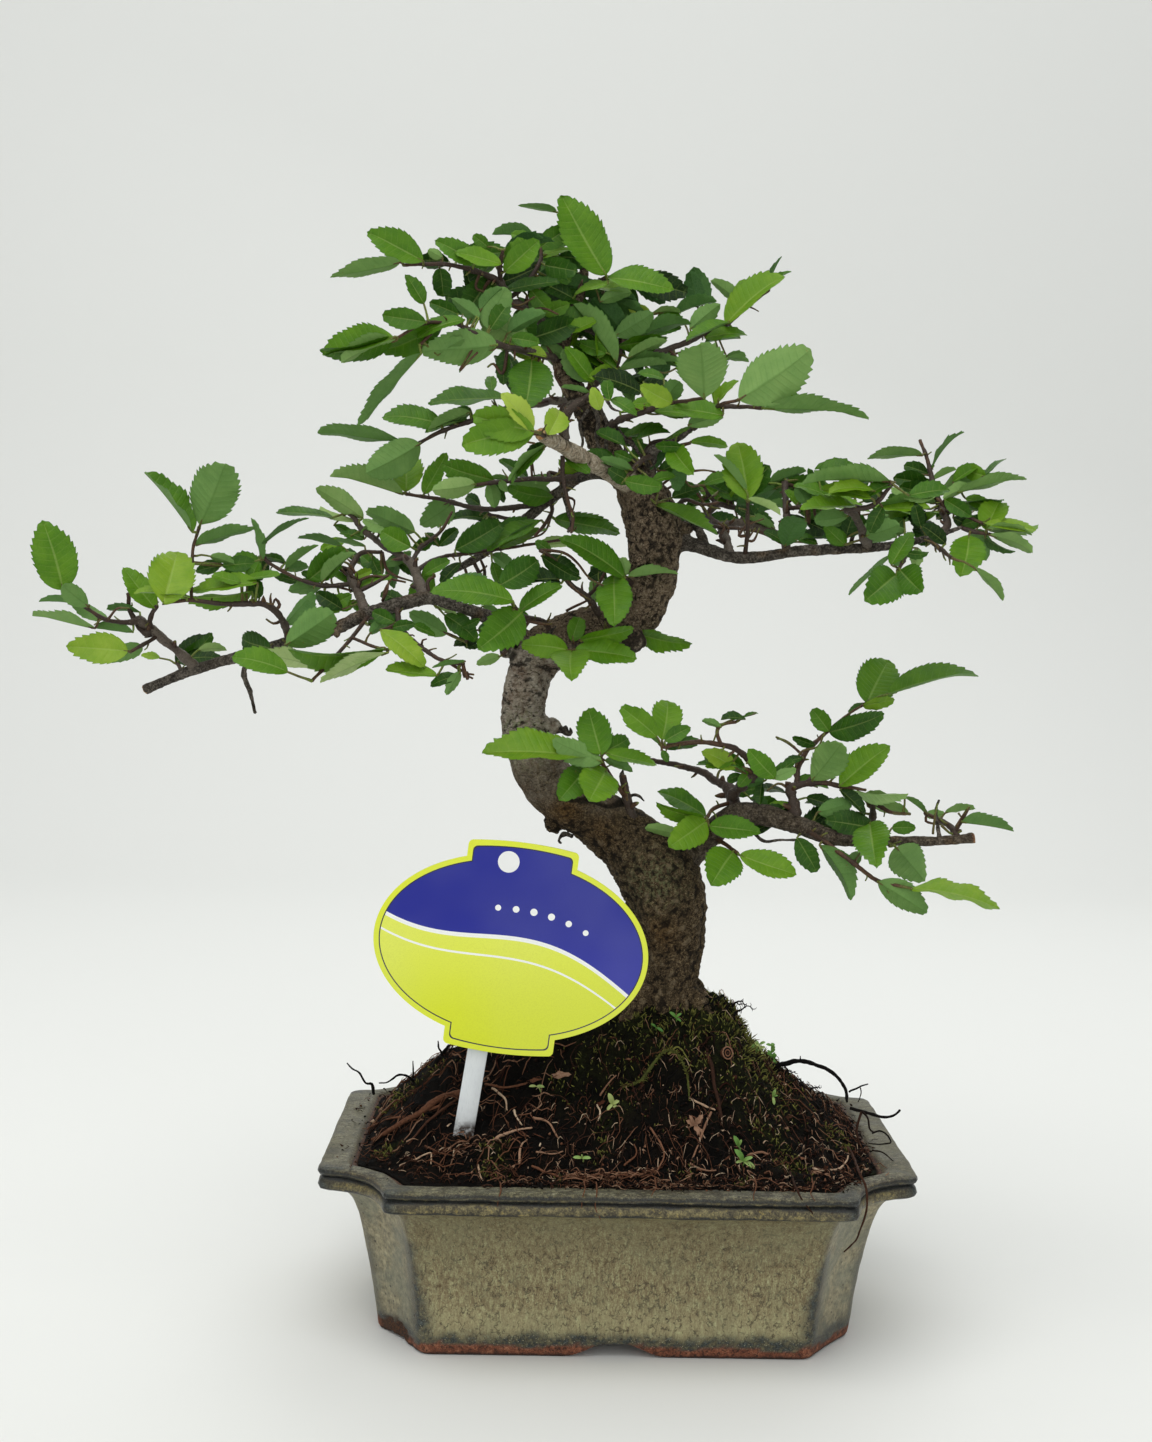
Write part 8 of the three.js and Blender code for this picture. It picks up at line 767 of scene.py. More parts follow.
# fine twigs: depth from the nearest stem, first and last radius, points as the camera sees them
MORE_TWIGS = [
    (0, 0.65, 0.5, [[447.0, 661.0], [456.0, 667.0], [467.0, 674.0]]),
    (-4, 1.5, 0.9, [[565.5, 438.9], [565.5, 422.8], [571.3, 409.6], [583.1, 402.3]]),
    (-3, 1.1, 0.6, [[571.3, 409.6], [564.0, 405.2], [559.6, 414.0]]),
    (0, 1, 0.5, [[593.3, 408.1], [605.1, 422.8], [618.3, 431.6], [631.5, 438.9]]),
    (-4, 0.9, 0.4, [[641.7, 458.0], [652.0, 443.3], [669.6, 438.9], [690.1, 428.7], [701.9, 424.3]]),
    (-2, 0.7, 0.3, [[565.5, 390.5], [555.2, 375.9], [558.1, 364.1]]),
    (-1, 0.7, 0.3, [[590.4, 402.3], [588.9, 384.7], [593.3, 372.9]]),
    (2, 0.6, 0.3, [[528.8, 402.3], [546.4, 399.3], [555.2, 393.5]]),
    (0, 0.5, 0.25, [[514.1, 434.5], [522.9, 440.4], [534.7, 443.3]]),
    (4, 0.8, 0.4, [[549.3, 472.7], [564.0, 475.6], [581.6, 478.5]]),
    (2, 0.6, 0.3, [[559.6, 469.7], [562.5, 493.2], [566.9, 509.3]]),
    (4, 0.6, 0.3, [[565.5, 496.1], [574.3, 500.5], [572.8, 510.8]]),
    (1, 0.5, 0.2, [[531.7, 460.9], [534.7, 475.6]]),
    (4, 0.6, 0.3, [[484.8, 290.8], [502.4, 296.7], [517.1, 305.5], [534.7, 296.7]]),
    (2, 0.5, 0.3, [[476.0, 287.9], [487.7, 293.7], [490.7, 302.5]]),
    (3, 0.6, 0.3, [[505.3, 302.5], [522.9, 309.9], [543.5, 308.4], [558.1, 314.3]]),
    (3, 0.5, 0.3, [[528.8, 309.9], [534.7, 296.7], [540.5, 287.9]]),
    (6, 0.7, 0.3, [[646.1, 361.2], [669.6, 355.3], [690.1, 349.5]]),
    (4, 0.5, 0.25, [[646.1, 367.1], [663.7, 372.9], [678.4, 367.1]]),
    (4, 0.6, 0.3, [[502.4, 372.9], [493.6, 364.1], [487.7, 367.1]]),
    (0, 0.4, 0.2, [[459.9, 370.0], [470.1, 359.7], [477.5, 352.4]]),
    (2, 0.5, 0.3, [[631.5, 408.1], [652.0, 414.0], [672.5, 412.5]]),
    (4, 0.9, 0.5, [[670.9, 512.7], [685.3, 500.3], [701.8, 504.5], [718.3, 502.4]]),
    (4, 0.7, 0.4, [[724.5, 543.6], [720.3, 536.2], [724.5, 528.0], [718.3, 523.0]]),
    (3, 0.6, 0.3, [[726.5, 537.4], [728.6, 529.2], [722.4, 523.0]]),
    (5, 0.9, 0.5, [[685.3, 529.2], [710.0, 526.3], [724.5, 528.0], [743.0, 529.2], [763.6, 533.3], [782.2, 543.6]]),
    (6, 0.6, 0.3, [[738.9, 535.4], [747.1, 525.1], [763.6, 518.9]]),
    (6, 0.5, 0.25, [[747.1, 539.5], [755.4, 528.0]]),
    (6, 0.5, 0.25, [[753.3, 540.3], [759.5, 528.0]]),
    (2, 1.2, 0.8, [[784.2, 481.8], [786.3, 498.3], [785.0, 516.8]]),
    (2, 0.7, 0.4, [[793.3, 485.9], [798.6, 494.2], [801.5, 502.4]]),
    (3, 0.6, 0.3, [[808.9, 523.0], [809.8, 512.7], [808.1, 504.5]]),
    (3, 0.6, 0.3, [[833.7, 514.8], [837.0, 523.8], [833.7, 531.2]]),
    (3, 0.8, 0.5, [[851.0, 543.6], [854.3, 528.0], [850.1, 512.7]]),
    (3, 0.7, 0.4, [[862.5, 543.6], [864.6, 528.0], [870.7, 518.9]]),
    (4, 0.5, 0.3, [[817.2, 518.9], [833.7, 515.6], [850.1, 516.8], [870.7, 513.9]]),
    (4, 0.6, 0.3, [[701.8, 502.4], [708.0, 516.8], [722.4, 528.0]]),
    (5, 0.5, 0.3, [[675.0, 485.9], [685.3, 502.4]]),
    (5, 0.5, 0.3, [[693.6, 490.0], [705.9, 504.5], [720.3, 508.6]]),
    (3, 0.8, 0.5, [[944.9, 520.9], [942.8, 504.5], [936.7, 498.3]]),
    (3, 0.5, 0.3, [[940.8, 551.9], [934.6, 543.6], [924.3, 539.5]]),
    (6, 0.5, 0.3, [[728.6, 498.3], [736.8, 514.8], [738.9, 535.4]]),
    (6, 0.4, 0.2, [[679.1, 473.6], [689.4, 485.9], [699.7, 485.9]]),
    (-1, 1.2, 0.7, [[146.0, 633.7], [135.7, 621.3], [129.5, 608.9], [128.3, 593.3]]),
    (-2, 0.6, 0.35, [[148.0, 630.4], [152.2, 617.2], [155.0, 606.9]]),
    (-2, 0.5, 0.3, [[106.8, 621.3], [117.1, 608.9], [129.5, 608.1]]),
    (0, 0.5, 0.3, [[263.4, 596.6], [265.5, 602.8], [273.7, 604.0]]),
    (2, 0.6, 0.3, [[279.9, 621.3], [273.7, 623.4], [266.3, 619.2]]),
    (2, 0.6, 0.35, [[279.9, 604.8], [275.8, 598.6], [273.7, 602.8]]),
    (4, 0.7, 0.4, [[314.9, 584.2], [335.5, 586.3], [360.2, 593.3]]),
    (4, 0.6, 0.3, [[382.9, 601.5], [385.8, 588.3], [391.1, 579.3]]),
    (4, 0.8, 0.5, [[360.2, 582.2], [352.0, 576.0], [347.9, 567.7]]),
    (4, 0.6, 0.4, [[360.2, 580.1], [372.6, 576.0], [387.0, 578.0], [405.6, 582.2]]),
    (2, 0.6, 0.3, [[356.1, 576.0], [347.9, 563.6], [335.5, 559.5]]),
    (2, 0.6, 0.3, [[382.3, 601.0], [387.5, 590.6], [388.8, 581.4]]),
    (2, 0.8, 0.4, [[339.2, 567.0], [349.6, 576.2], [357.5, 587.9]]),
    (0, 0.9, 0.5, [[362.7, 589.2], [375.8, 582.7], [388.8, 574.9]]),
    (2, 0.6, 0.3, [[386.2, 568.3], [396.7, 576.2], [412.4, 581.4]]),
    (0, 0.7, 0.35, [[428.0, 581.4], [434.6, 576.2], [433.3, 573.6]]),
    (4, 0.6, 0.3, [[469.8, 577.5], [482.9, 569.6], [486.8, 565.7]]),
    (4, 0.8, 0.5, [[482.9, 580.1], [484.2, 569.6], [480.3, 559.2]]),
    (2, 0.5, 0.25, [[421.5, 645.4], [422.8, 640.2], [426.7, 638.9]]),
    (0, 0.6, 0.3, [[464.6, 676.8], [468.5, 674.2], [473.8, 674.7]]),
    (0, 0.5, 0.25, [[467.2, 678.9], [468.5, 674.2], [467.2, 672.1]]),
    (0, 0.5, 0.25, [[464.6, 674.7], [469.3, 676.8], [472.5, 678.3]]),
    (0, 1.6, 1, [[727.6, 790.8], [734.4, 803.2], [736.6, 815.6]]),
    (0, 1, 0.6, [[730.4, 794.8], [744.5, 787.4], [755.7, 780.7]]),
    (1, 0.6, 0.3, [[733.2, 780.7], [747.3, 772.2], [758.6, 770.6], [761.4, 761.0]]),
    (2, 0.9, 0.5, [[786.7, 783.5], [790.6, 800.4], [798.0, 814.5]]),
    (2, 0.6, 0.3, [[786.7, 787.4], [778.3, 783.5], [767.0, 790.8]]),
    (2, 0.5, 0.3, [[795.1, 787.4], [806.4, 783.5], [817.6, 787.4]]),
    (2, 0.6, 0.3, [[868.3, 806.0], [865.5, 794.8], [857.0, 790.8]]),
    (0, 0.5, 0.25, [[933.0, 834.1], [934.7, 817.3], [938.1, 803.2]]),
    (0, 0.5, 0.25, [[925.7, 821.2], [938.6, 824.6], [952.7, 825.7]]),
    (0, 0.55, 0.3, [[941.5, 825.7], [951.6, 834.1], [961.7, 831.3]]),
    (0, 0.5, 0.25, [[956.1, 826.8], [962.8, 815.6], [968.5, 806.6]]),
    (-1, 0.4, 0.2, [[962.8, 819.0], [958.3, 813.3]]),
    (0, 0.45, 0.25, [[704.0, 719.9], [719.2, 724.4], [727.6, 721.6], [738.9, 717.7], [755.7, 713.2]]),
    (0, 0.5, 0.3, [[719.2, 724.4], [716.4, 732.9], [713.5, 741.3]]),
    (2, 0.5, 0.3, [[722.0, 769.4], [744.5, 768.3]]),
    (2, 0.5, 0.25, [[777.1, 738.5], [786.7, 741.3], [795.1, 746.9]]),
    (2, 0.6, 0.3, [[795.1, 775.1], [800.8, 752.5], [817.6, 746.9], [824.4, 732.9]]),
    (0, 0.9, 0.5, [[623.5, 775.1], [625.2, 789.1], [627.4, 800.4]]),
    (3, 0.6, 0.3, [[540.8, 550.4], [563.2, 552.6], [576.0, 561.6], [588.8, 577.6], [603.2, 585.6]]),
    (3, 0.5, 0.3, [[560.0, 571.2], [576.0, 590.4], [590.4, 600.0]]),
    (4, 0.6, 0.3, [[553.0, 499.2], [551.0, 516.8], [544.0, 532.8], [528.0, 539.2]]),
    (2, 0.9, 0.5, [[562.6, 456.0], [562.6, 478.4], [568.0, 500.8], [572.8, 516.8], [571.2, 532.8]]),
    (2, 0.5, 0.25, [[568.0, 528.0], [572.8, 531.2], [576.6, 526.4]]),
    (4, 0.6, 0.3, [[566.4, 611.2], [585.6, 601.6], [598.4, 596.8]]),
    (5, 0.8, 0.4, [[524.8, 619.2], [537.6, 623.0], [552.0, 624.0]]),
    (5, 0.5, 0.25, [[659.2, 500.8], [675.2, 513.6], [684.8, 529.6]]),
    (5, 0.5, 0.25, [[672.0, 478.4], [688.0, 488.0], [704.0, 491.2]]),
    (5, 0.5, 0.25, [[684.8, 468.8], [704.0, 470.4], [715.2, 472.0]]),
    (5, 0.5, 0.25, [[691.2, 500.8], [704.0, 507.2], [710.4, 520.0]]),
]

# ------------------------------------------------------------------ camera
CAM = np.array([-24.21, -663.70, 241.72])
YAW, PITCH, ROLL, FOCAL = 0.0118, -0.0512, 0.0193, 1878.5
FWD = np.array([math.sin(YAW) * math.cos(PITCH), math.cos(YAW) * math.cos(PITCH), math.sin(PITCH)])
RIGHT0 = np.array([math.cos(YAW), -math.sin(YAW), 0.0])
UP0 = np.cross(RIGHT0, FWD)
RIGHT = math.cos(ROLL) * RIGHT0 + math.sin(ROLL) * UP0
UP = -math.sin(ROLL) * RIGHT0 + math.cos(ROLL) * UP0


def at_y(px, py, y):
    """The point at depth y that shows at pixel (px, py) of the 1152 x 1442 frame."""
    d = FWD + (px - 576) / FOCAL * RIGHT + (721 - py) / FOCAL * UP
    return CAM + (y - CAM[1]) / d[1] * d


def add_camera():
    data = bpy.data.cameras.new("camera")
    data.sensor_fit = "AUTO"
    data.sensor_width = 36.0
    data.lens = FOCAL / 1442 * 36.0
    data.clip_start, data.clip_end = 0.01, 50
    cam = bpy.data.objects.new("camera", data)
    bpy.context.scene.collection.objects.link(cam)
    m = Matrix.Identity(4)
    for i, col in enumerate((RIGHT, UP, -FWD, (CAM + SHIFT) * MM)):
        for j in range(3):
            m[j][i] = float(col[j])
    cam.matrix_world = m
    bpy.context.scene.camera = cam


add_camera()


# ------------------------------------------------------------------ numbers
def unit(v):
    v = np.asarray(v, float)
    return v / max(1e-12, float(np.linalg.norm(v)))


def units(v):
    return v / np.maximum(1e-12, np.linalg.norm(v, axis=-1, keepdims=True))


def _hash(i, j, k, seed):
    h = (i * 374761393 + j * 668265263 + k * 1442695041 + seed * 974634777) & 0xFFFFFFFF
    h = ((h ^ (h >> 13)) * 1274126177) & 0xFFFFFFFF
    h = ((h ^ (h >> 16)) * 2246822519) & 0xFFFFFFFF
    return h ^ (h >> 15)


def perlin(p, seed=0):
    p = np.asarray(p, float)
    i = np.floor(p).astype(np.int64)
    f = p - i
    u = f * f * f * (f * (f * 6 - 15) + 10)
    out = np.zeros(len(p))
    for dx in (0, 1):
        wx = u[:, 0] if dx else 1 - u[:, 0]
        for dy in (0, 1):
            wy = u[:, 1] if dy else 1 - u[:, 1]
            for dz in (0, 1):
                wz = u[:, 2] if dz else 1 - u[:, 2]
                h = _hash(i[:, 0] + dx, i[:, 1] + dy, i[:, 2] + dz, seed)
                a = (h & 0xFFFF) / 65535.0 * 2 * math.pi
                z = ((h >> 16) & 0xFFFF) / 65535.0 * 2 - 1
                r = np.sqrt(np.maximum(0, 1 - z * z))
                d = r * np.cos(a) * (f[:, 0] - dx) + r * np.sin(a) * (f[:, 1] - dy) + z * (f[:, 2] - dz)
                out += wx * wy * wz * d
    return out * 1.7


def fbm(p, octaves=3, seed=0, gain=0.5):
    p = np.asarray(p, float)
    out, amp, tot = np.zeros(len(p)), 1.0, 0.0
    for o in range(octaves):
        out += amp * perlin(p * (2.03 ** o) + 17.3 * o, seed + o)
        tot += amp
        amp *= gain
    return out / tot


def cells(p, seed=0):
    """Distance to the nearest and to the second nearest of scattered points."""
    p = np.asarray(p, float)
    i = np.floor(p).astype(np.int64)
    f1 = np.full(len(p), 9.0)
    f2 = np.full(len(p), 9.0)
    for dx in (-1, 0, 1):
        for dy in (-1, 0, 1):
            for dz in (-1, 0, 1):
                c = i + np.array([dx, dy, dz])
                h = _hash(c[:, 0], c[:, 1], c[:, 2], seed)
                q = c + np.stack([(h & 1023) / 1023.0, ((h >> 10) & 1023) / 1023.0, ((h >> 20) & 1023) / 1023.0], 1)
                d = np.linalg.norm(p - q, axis=1)
                near = d < f1
                f2 = np.where(near, f1, np.minimum(f2, d))
                f1 = np.where(near, d, f1)
    return f1, f2


def smoothstep(a, b, x):
    t = np.clip((np.asarray(x, float) - a) / (b - a), 0, 1)
    return t * t * (3 - 2 * t)


def resample(line, step):
    """Smooth curve through the points of a centre line; every column is interpolated."""
    p = np.asarray(line, float)
    if len(p) == 2:
        n = max(1, int(np.ceil(np.linalg.norm(p[1, :3] - p[0, :3]) / step)))
        t = np.linspace(0, 1, n + 1)[:, None]
        return p[0] * (1 - t) + p[1] * t
    q = np.vstack([2 * p[0] - p[1], p, 2 * p[-1] - p[-2]])
    out = []
    for i in range(1, len(q) - 2):
        n = max(1, int(np.ceil(np.linalg.norm(q[i + 1, :3] - q[i, :3]) / step)))
        t = (np.arange(n) / n)[:, None]
        a, b, c, d = q[i - 1], q[i], q[i + 1], q[i + 2]
        out.append(0.5 * (2 * b + (c - a) * t + (2 * a - 5 * b + 4 * c - d) * t ** 2 + (3 * b - a - 3 * c + d) * t ** 3))
    out.append(p[-1:])
    return np.vstack(out)


def frames(p):
    """Tangent and two cross directions along a polyline, turned as little as possible."""
    t = np.gradient(p, axis=0) if len(p) > 2 else np.repeat([p[-1] - p[0]], len(p), 0)
    t = units(t)
    u = np.zeros_like(t)
    ref = np.array([0, 1.0, 0]) if abs(t[0][1]) < 0.9 else np.array([1.0, 0, 0])
    cur = unit(np.cross(t[0], ref))
    for i in range(len(p)):
        cur = unit(cur - t[i] * float(cur @ t[i]))
        u[i] = cur
    return t, u, np.cross(t, u)


class Soup:
    """Collects vertices, faces, materials and per-vertex values of one piece."""

    def __init__(self, *names):
        self.v, self.f3, self.f4, self.m3, self.m4 = [], [], [], [], []
        self.n = 0
        self.names = names
        self.a = {k: [] for k in names}
        self.uv = []

    def add(self, v, f4=None, f3=None, mat=0, mat3=None, uv=None, **values):
        v = np.asarray(v, float).reshape(-1, 3)
        self.v.append(v)
        if f4 is not None and len(f4):
            f4 = np.asarray(f4, np.int64)
            self.f4.append(f4 + self.n)
            self.m4.append(np.broadcast_to(np.asarray(mat), (len(f4),)))
        if f3 is not None and len(f3):
            f3 = np.asarray(f3, np.int64)
            self.f3.append(f3 + self.n)
            self.m3.append(np.broadcast_to(np.asarray(mat if mat3 is None else mat3), (len(f3),)))
        for k in self.names:
            self.a[k].append(np.broadcast_to(np.asarray(values.get(k, 0.0), float), (len(v),)))
        self.uv.append(np.zeros((len(v), 2)) if uv is None else np.asarray(uv, float))
        self.n += len(v)

    def build(self, name, materials, smooth=True, uv=False):
        v = np.vstack(self.v)
        faces, mats = [], []
        if self.f4:
            faces += np.vstack(self.f4).tolist()
            mats.append(np.concatenate(self.m4))
        if self.f3:
            faces += np.vstack(self.f3).tolist()
            mats.append(np.concatenate(self.m3))
        me = bpy.data.meshes.new(name)
        me.from_pydata(((v + SHIFT) * MM).tolist(), [], faces)
        me.polygons.foreach_set("material_index", np.concatenate(mats).astype(np.int32))
        me.polygons.foreach_set("use_smooth", np.full(len(faces), smooth))
        for k in self.names:
            at = me.attributes.new(k, "FLOAT", "POINT")
            at.data.foreach_set("value", np.concatenate(self.a[k]).astype(np.float32))
        if uv:
            layer = me.uv_layers.new(name="leaf_uv")
            idx = np.zeros(len(me.loops), np.int32)
            me.loops.foreach_get("vertex_index", idx)
            layer.data.foreach_set("uv", np.vstack(self.uv)[idx].astype(np.float32).ravel())
        for m in materials:
            me.materials.append(m)
        me.update()
        ob = bpy.data.objects.new(name, me)
        bpy.context.scene.collection.objects.link(ob)
        COUNT[name] = sum(len(f) - 2 for f in faces)
        return ob


def tube_parts(line, sides, wobble=None, seed=0):
    """Closed tube: vertices, quads, cap triangles and, per vertex, the place along it."""
    line = np.asarray(line, float)
    p, r = line[:, :3], line[:, 3]
    t, u, w = frames(p)
    a = 2 * math.pi * np.arange(sides) / sides
    ring = np.cos(a)[None, :, None] * u[:, None, :] + np.sin(a)[None, :, None] * w[:, None, :]
    rr = np.repeat(r[:, None], sides, 1)
    if wobble:
        q = (p[:, None, :] + ring * r[:, None, None]).reshape(-1, 3)
        rr = rr * (1 + wobble * fbm(q / 1.7, 2, seed).reshape(rr.shape))
    v = (p[:, None, :] + ring * rr[:, :, None]).reshape(-1, 3)
    n = len(p)
    i = np.arange(n - 1)[:, None] * sides
    k = np.arange(sides)[None, :]
    k2 = (k + 1) % sides
    f4 = np.stack([i + k, i + k2, i + sides + k2, i + sides + k], -1).reshape(-1, 4)
    v = np.vstack([v, p[:1] - t[:1] * r[0] * 0.25, p[-1:] + t[-1:] * r[-1] * 0.6])
    b = (n - 1) * sides
    kk = np.arange(sides)
    caps = np.vstack([
        np.stack([np.full(sides, n * sides), (kk + 1) % sides, kk], 1),
        np.stack([np.full(sides, n * sides + 1), b + kk, b + (kk + 1) % sides], 1)])
    s = np.concatenate([[0], np.cumsum(np.linalg.norm(np.diff(p, axis=0), axis=1))])
    along = np.concatenate([np.repeat(s, sides), [0, s[-1]]])
    return v, f4, caps, along


# ------------------------------------------------------------------ materials
class Mat:
    """Small helper for node trees."""

    def __init__(self, name, roughness=0.5, specular=0.5):
        self.m = bpy.data.materials.new(name)
        self.m.use_nodes = True
        self.t = self.m.node_tree
        self.b = self.t.nodes["Principled BSDF"]
        self.b.inputs["Roughness"].default_value = roughness
        self.b.inputs["Specular IOR Level"].default_value = specular
        self.x = 0

    def node(self, kind, **kw):
        n = self.t.nodes.new(kind)
        n.location = (-200 - 30 * self.x, 400 - 25 * self.x)
        self.x += 1
        for k, v in kw.items():
            if hasattr(n, k):
                setattr(n, k, v)
            else:
                n.inputs[k].default_value = v
        return n

    def link(self, a, b):
        self.t.links.new(a, b)

    def attr(self, name):
        return self.node("ShaderNodeAttribute", attribute_name=name).outputs["Fac"]

    def coords(self, scale=(1, 1, 1), uv=None):
        """Object coordinates in millimetres, or a UV map, scaled."""
        if uv:
            src = self.node("ShaderNodeUVMap", uv_map=uv).outputs["UV"]
            s = scale
        else:
            src = self.node("ShaderNodeTexCoord").outputs["Object"]
            s = tuple(1000 * q for q in scale)
        m = self.node("ShaderNodeMapping")
        m.inputs["Scale"].default_value = s
        self.link(src, m.inputs["Vector"])
        return m.outputs["Vector"]

    def noise(self, vec, scale, detail=3, rough=0.55, dist=0.0):
        n = self.node("ShaderNodeTexNoise")
        n.inputs["Scale"].default_value = scale
        n.inputs["Detail"].default_value = detail
        n.inputs["Roughness"].default_value = rough
        n.inputs["Distortion"].default_value = dist
        self.link(vec, n.inputs["Vector"])
        return n.outputs["Fac"]

    def voronoi(self, vec, scale, feature="F1", rnd=1.0):
        n = self.node("ShaderNodeTexVoronoi", feature=feature)
        n.inputs["Scale"].default_value = scale
        n.inputs["Randomness"].default_value = rnd
        self.link(vec, n.inputs["Vector"])
        return n.outputs["Distance"]

    def ramp(self, fac, stops, mode="LINEAR"):
        n = self.node("ShaderNodeValToRGB")
        n.color_ramp.interpolation = mode
        e = n.color_ramp.elements
        while len(e) < len(stops):
            e.new(0.5)
        for el, (pos, col) in zip(e, stops):
            el.position = pos
            el.color = (*rgb(col), 1)
        self.link(fac, n.inputs["Fac"])
        return n.outputs["Color"]

    def range(self, fac, a, b, c=0.0, d=1.0, smooth=False):
        n = self.node("ShaderNodeMapRange")
        n.interpolation_type = "SMOOTHSTEP" if smooth else "LINEAR"
        for k, v in zip(("From Min", "From Max", "To Min", "To Max"), (a, b, c, d)):
            n.inputs[k].default_value = v
        self.link(fac, n.inputs["Value"])
        return n.outputs["Result"]

    def math(self, op, a, b=None, clamp=False):
        n = self.node("ShaderNodeMath", operation=op, use_clamp=clamp)
        for i, v in enumerate((a, b)):
            if v is None:
                continue
            if isinstance(v, (int, float)):
                n.inputs[i].default_value = v
            else:
                self.link(v, n.inputs[i])
        return n.outputs["Value"]

    def mix(self, fac, a, b, blend="MIX"):
        n = self.node("ShaderNodeMix", data_type="RGBA", blend_type=blend)
        for key, v in ((0, fac), (6, a), (7, b)):
            if isinstance(v, (int, float)):
                n.inputs[key].default_value = v
            elif isinstance(v, (str, tuple)):
                n.inputs[key].default_value = (*rgb(v), 1)
            else:
                self.link(v, n.inputs[key])
        return n.outputs[2]

    def split(self, vec):
        n = self.node("ShaderNodeSeparateXYZ")
        self.link(vec, n.inputs[0])
        return n.outputs

    def bump(self, height, strength=0.5, distance=0.3, chain=None):
        n = self.node("ShaderNodeBump")
        n.inputs["Strength"].default_value = strength
        n.inputs["Distance"].default_value = distance * MM
        self.link(height, n.inputs["Height"])
        if chain is not None:
            self.link(chain, n.inputs["Normal"])
        return n.outputs["Normal"]

    def out(self, color=None, rough=None, normal=None):
        for key, v in (("Base Color", color), ("Roughness", rough), ("Normal", normal)):
            if v is None:
                continue
            if isinstance(v, (str, tuple)):
                self.b.inputs[key].default_value = (*rgb(v), 1)
            elif isinstance(v, (int, float)):
                self.b.inputs[key].default_value = v
            else:
                self.link(v, self.b.inputs[key])
        return self.m


def rgb(c):
    """#rrggbb as linear numbers; a tuple is taken as linear already."""
    if not isinstance(c, str):
        return tuple(c)
    out = []
    for i in (1, 3, 5):
        s = int(c[i:i + 2], 16) / 255
        out.append(s / 12.92 if s <= 0.04045 else ((s + 0.055) / 1.055) ** 2.4)
    return tuple(out)


# ------------------------------------------------------------------ leaves and shoots
def leaf_material(name, under):
    m = Mat(name, 0.46, 0.30)
    tone, rnd, phase, vv, uu = (m.attr(k) for k in ("tone", "rnd", "phase", "vv", "uu"))
    obj = m.coords()
    blotch = m.noise(obj, 0.16, 3, 0.6)
    fine = m.noise(obj, 1.6, 4, 0.65)
    grain = m.noise(obj, 6.0, 2, 0.6)
    v = m.math("ABSOLUTE", vv)
    # veins run from the midrib to the tips of the teeth
    f = m.math("ABSOLUTE", m.math("SUBTRACT", m.math("FRACT", m.math("ADD", phase, 0.64)), 0.5))
    side = m.range(f, 0.0, 0.11 if not under else 0.13, 1.0, 0.0, True)
    side = m.math("MULTIPLY", side, m.range(v, 0.93, 0.45, 0.15, 1.0))
    mid = m.range(m.math("DIVIDE", v, m.range(uu, 0.0, 1.0, 1.25, 0.55)), 0.025, 0.085, 1.0, 0.0, True)
    margin = m.range(v, 0.9, 1.0, 0.0, 1.0, True)
    net = m.range(m.voronoi(obj, 1.15, "DISTANCE_TO_EDGE"), 0.0, 0.12, 1.0, 0.0, True)
    # tone is leaf colour with painted light and shade: leaves in shade carry dark tones and lit leaves light ones,
    # which the ramps turn into dark and light greens
    t = m.math("ADD", tone, m.math("MULTIPLY", m.math("SUBTRACT", blotch, 0.5), 0.34))
    t = m.math("ADD", t, m.math("MULTIPLY", m.math("SUBTRACT", rnd, 0.5), 0.12))
    t = m.math("ADD", t, m.math("MULTIPLY", m.math("SUBTRACT", fine, 0.5), 0.10), True)
    if under:
        base = m.ramp(t, UNDER_RAMP)
        col = m.mix(m.math("MULTIPLY", net, 0.07), base, "#9dbb84")
        col = m.mix(m.math("MULTIPLY", side, 0.20), col, m.mix(0.6, base, "#4f7f3c"))
        col = m.mix(m.math("MULTIPLY", mid, 0.60), col, m.mix(0.5, base, "#4f7a30"))
        col = m.mix(m.math("MULTIPLY", margin, 0.45), col, "#4c7f38")
        rough = m.range(fine, 0.3, 0.7, 0.56, 0.68)
    else:
        base = m.ramp(t, TOP_RAMP)
        col = m.mix(m.math("MULTIPLY", net, 0.13), base, m.mix(0.5, base, "#a0bd52"))
        col = m.mix(m.math("MULTIPLY", side, 0.27), col, m.mix(0.5, base, "#a9c463"))
        col = m.mix(m.math("MULTIPLY", mid, 0.55), col, m.mix(0.5, base, "#b9cf74"))
        col = m.mix(m.math("MULTIPLY", margin, 0.50), col, m.mix(0.5, base, "#1b3a0c"))
        rough = m.range(fine, 0.3, 0.7, 0.36, 0.52)
    # a few old blemishes
    spot = m.math("MULTIPLY", m.range(m.noise(obj, 0.55, 2, 0.5), 0.71, 0.78, 0.0, 1.0, True),
                  m.range(rnd, 0.55, 0.8, 0.0, 0.7, True))
    col = m.mix(spot, col, "#8a7a3a")
    height = m.math("ADD", m.math("MULTIPLY", side, -0.55 if not under else 0.6),
                    m.math("MULTIPLY", net, -0.25 if not under else 0.2))
    height = m.math("ADD", height, m.math("MULTIPLY", grain, 0.25))
    height = m.math("ADD", height, m.math("MULTIPLY", mid, -0.6 if not under else 0.8))
    m.out(col, rough, m.bump(height, 0.55, 0.22))
    # light from behind comes through the blade
    tr = m.node("ShaderNodeBsdfTranslucent")
    m.link(m.mix(0.55, col, m.ramp(t, GLOW_RAMP)), tr.inputs["Color"])
    mx = m.node("ShaderNodeMixShader")
    mx.inputs[0].default_value = 0.26
    m.link(m.b.outputs[0], mx.inputs[1])
    m.link(tr.outputs[0], mx.inputs[2])
    m.link(mx.outputs[0], m.t.nodes["Material Output"].inputs["Surface"])
    return m.m


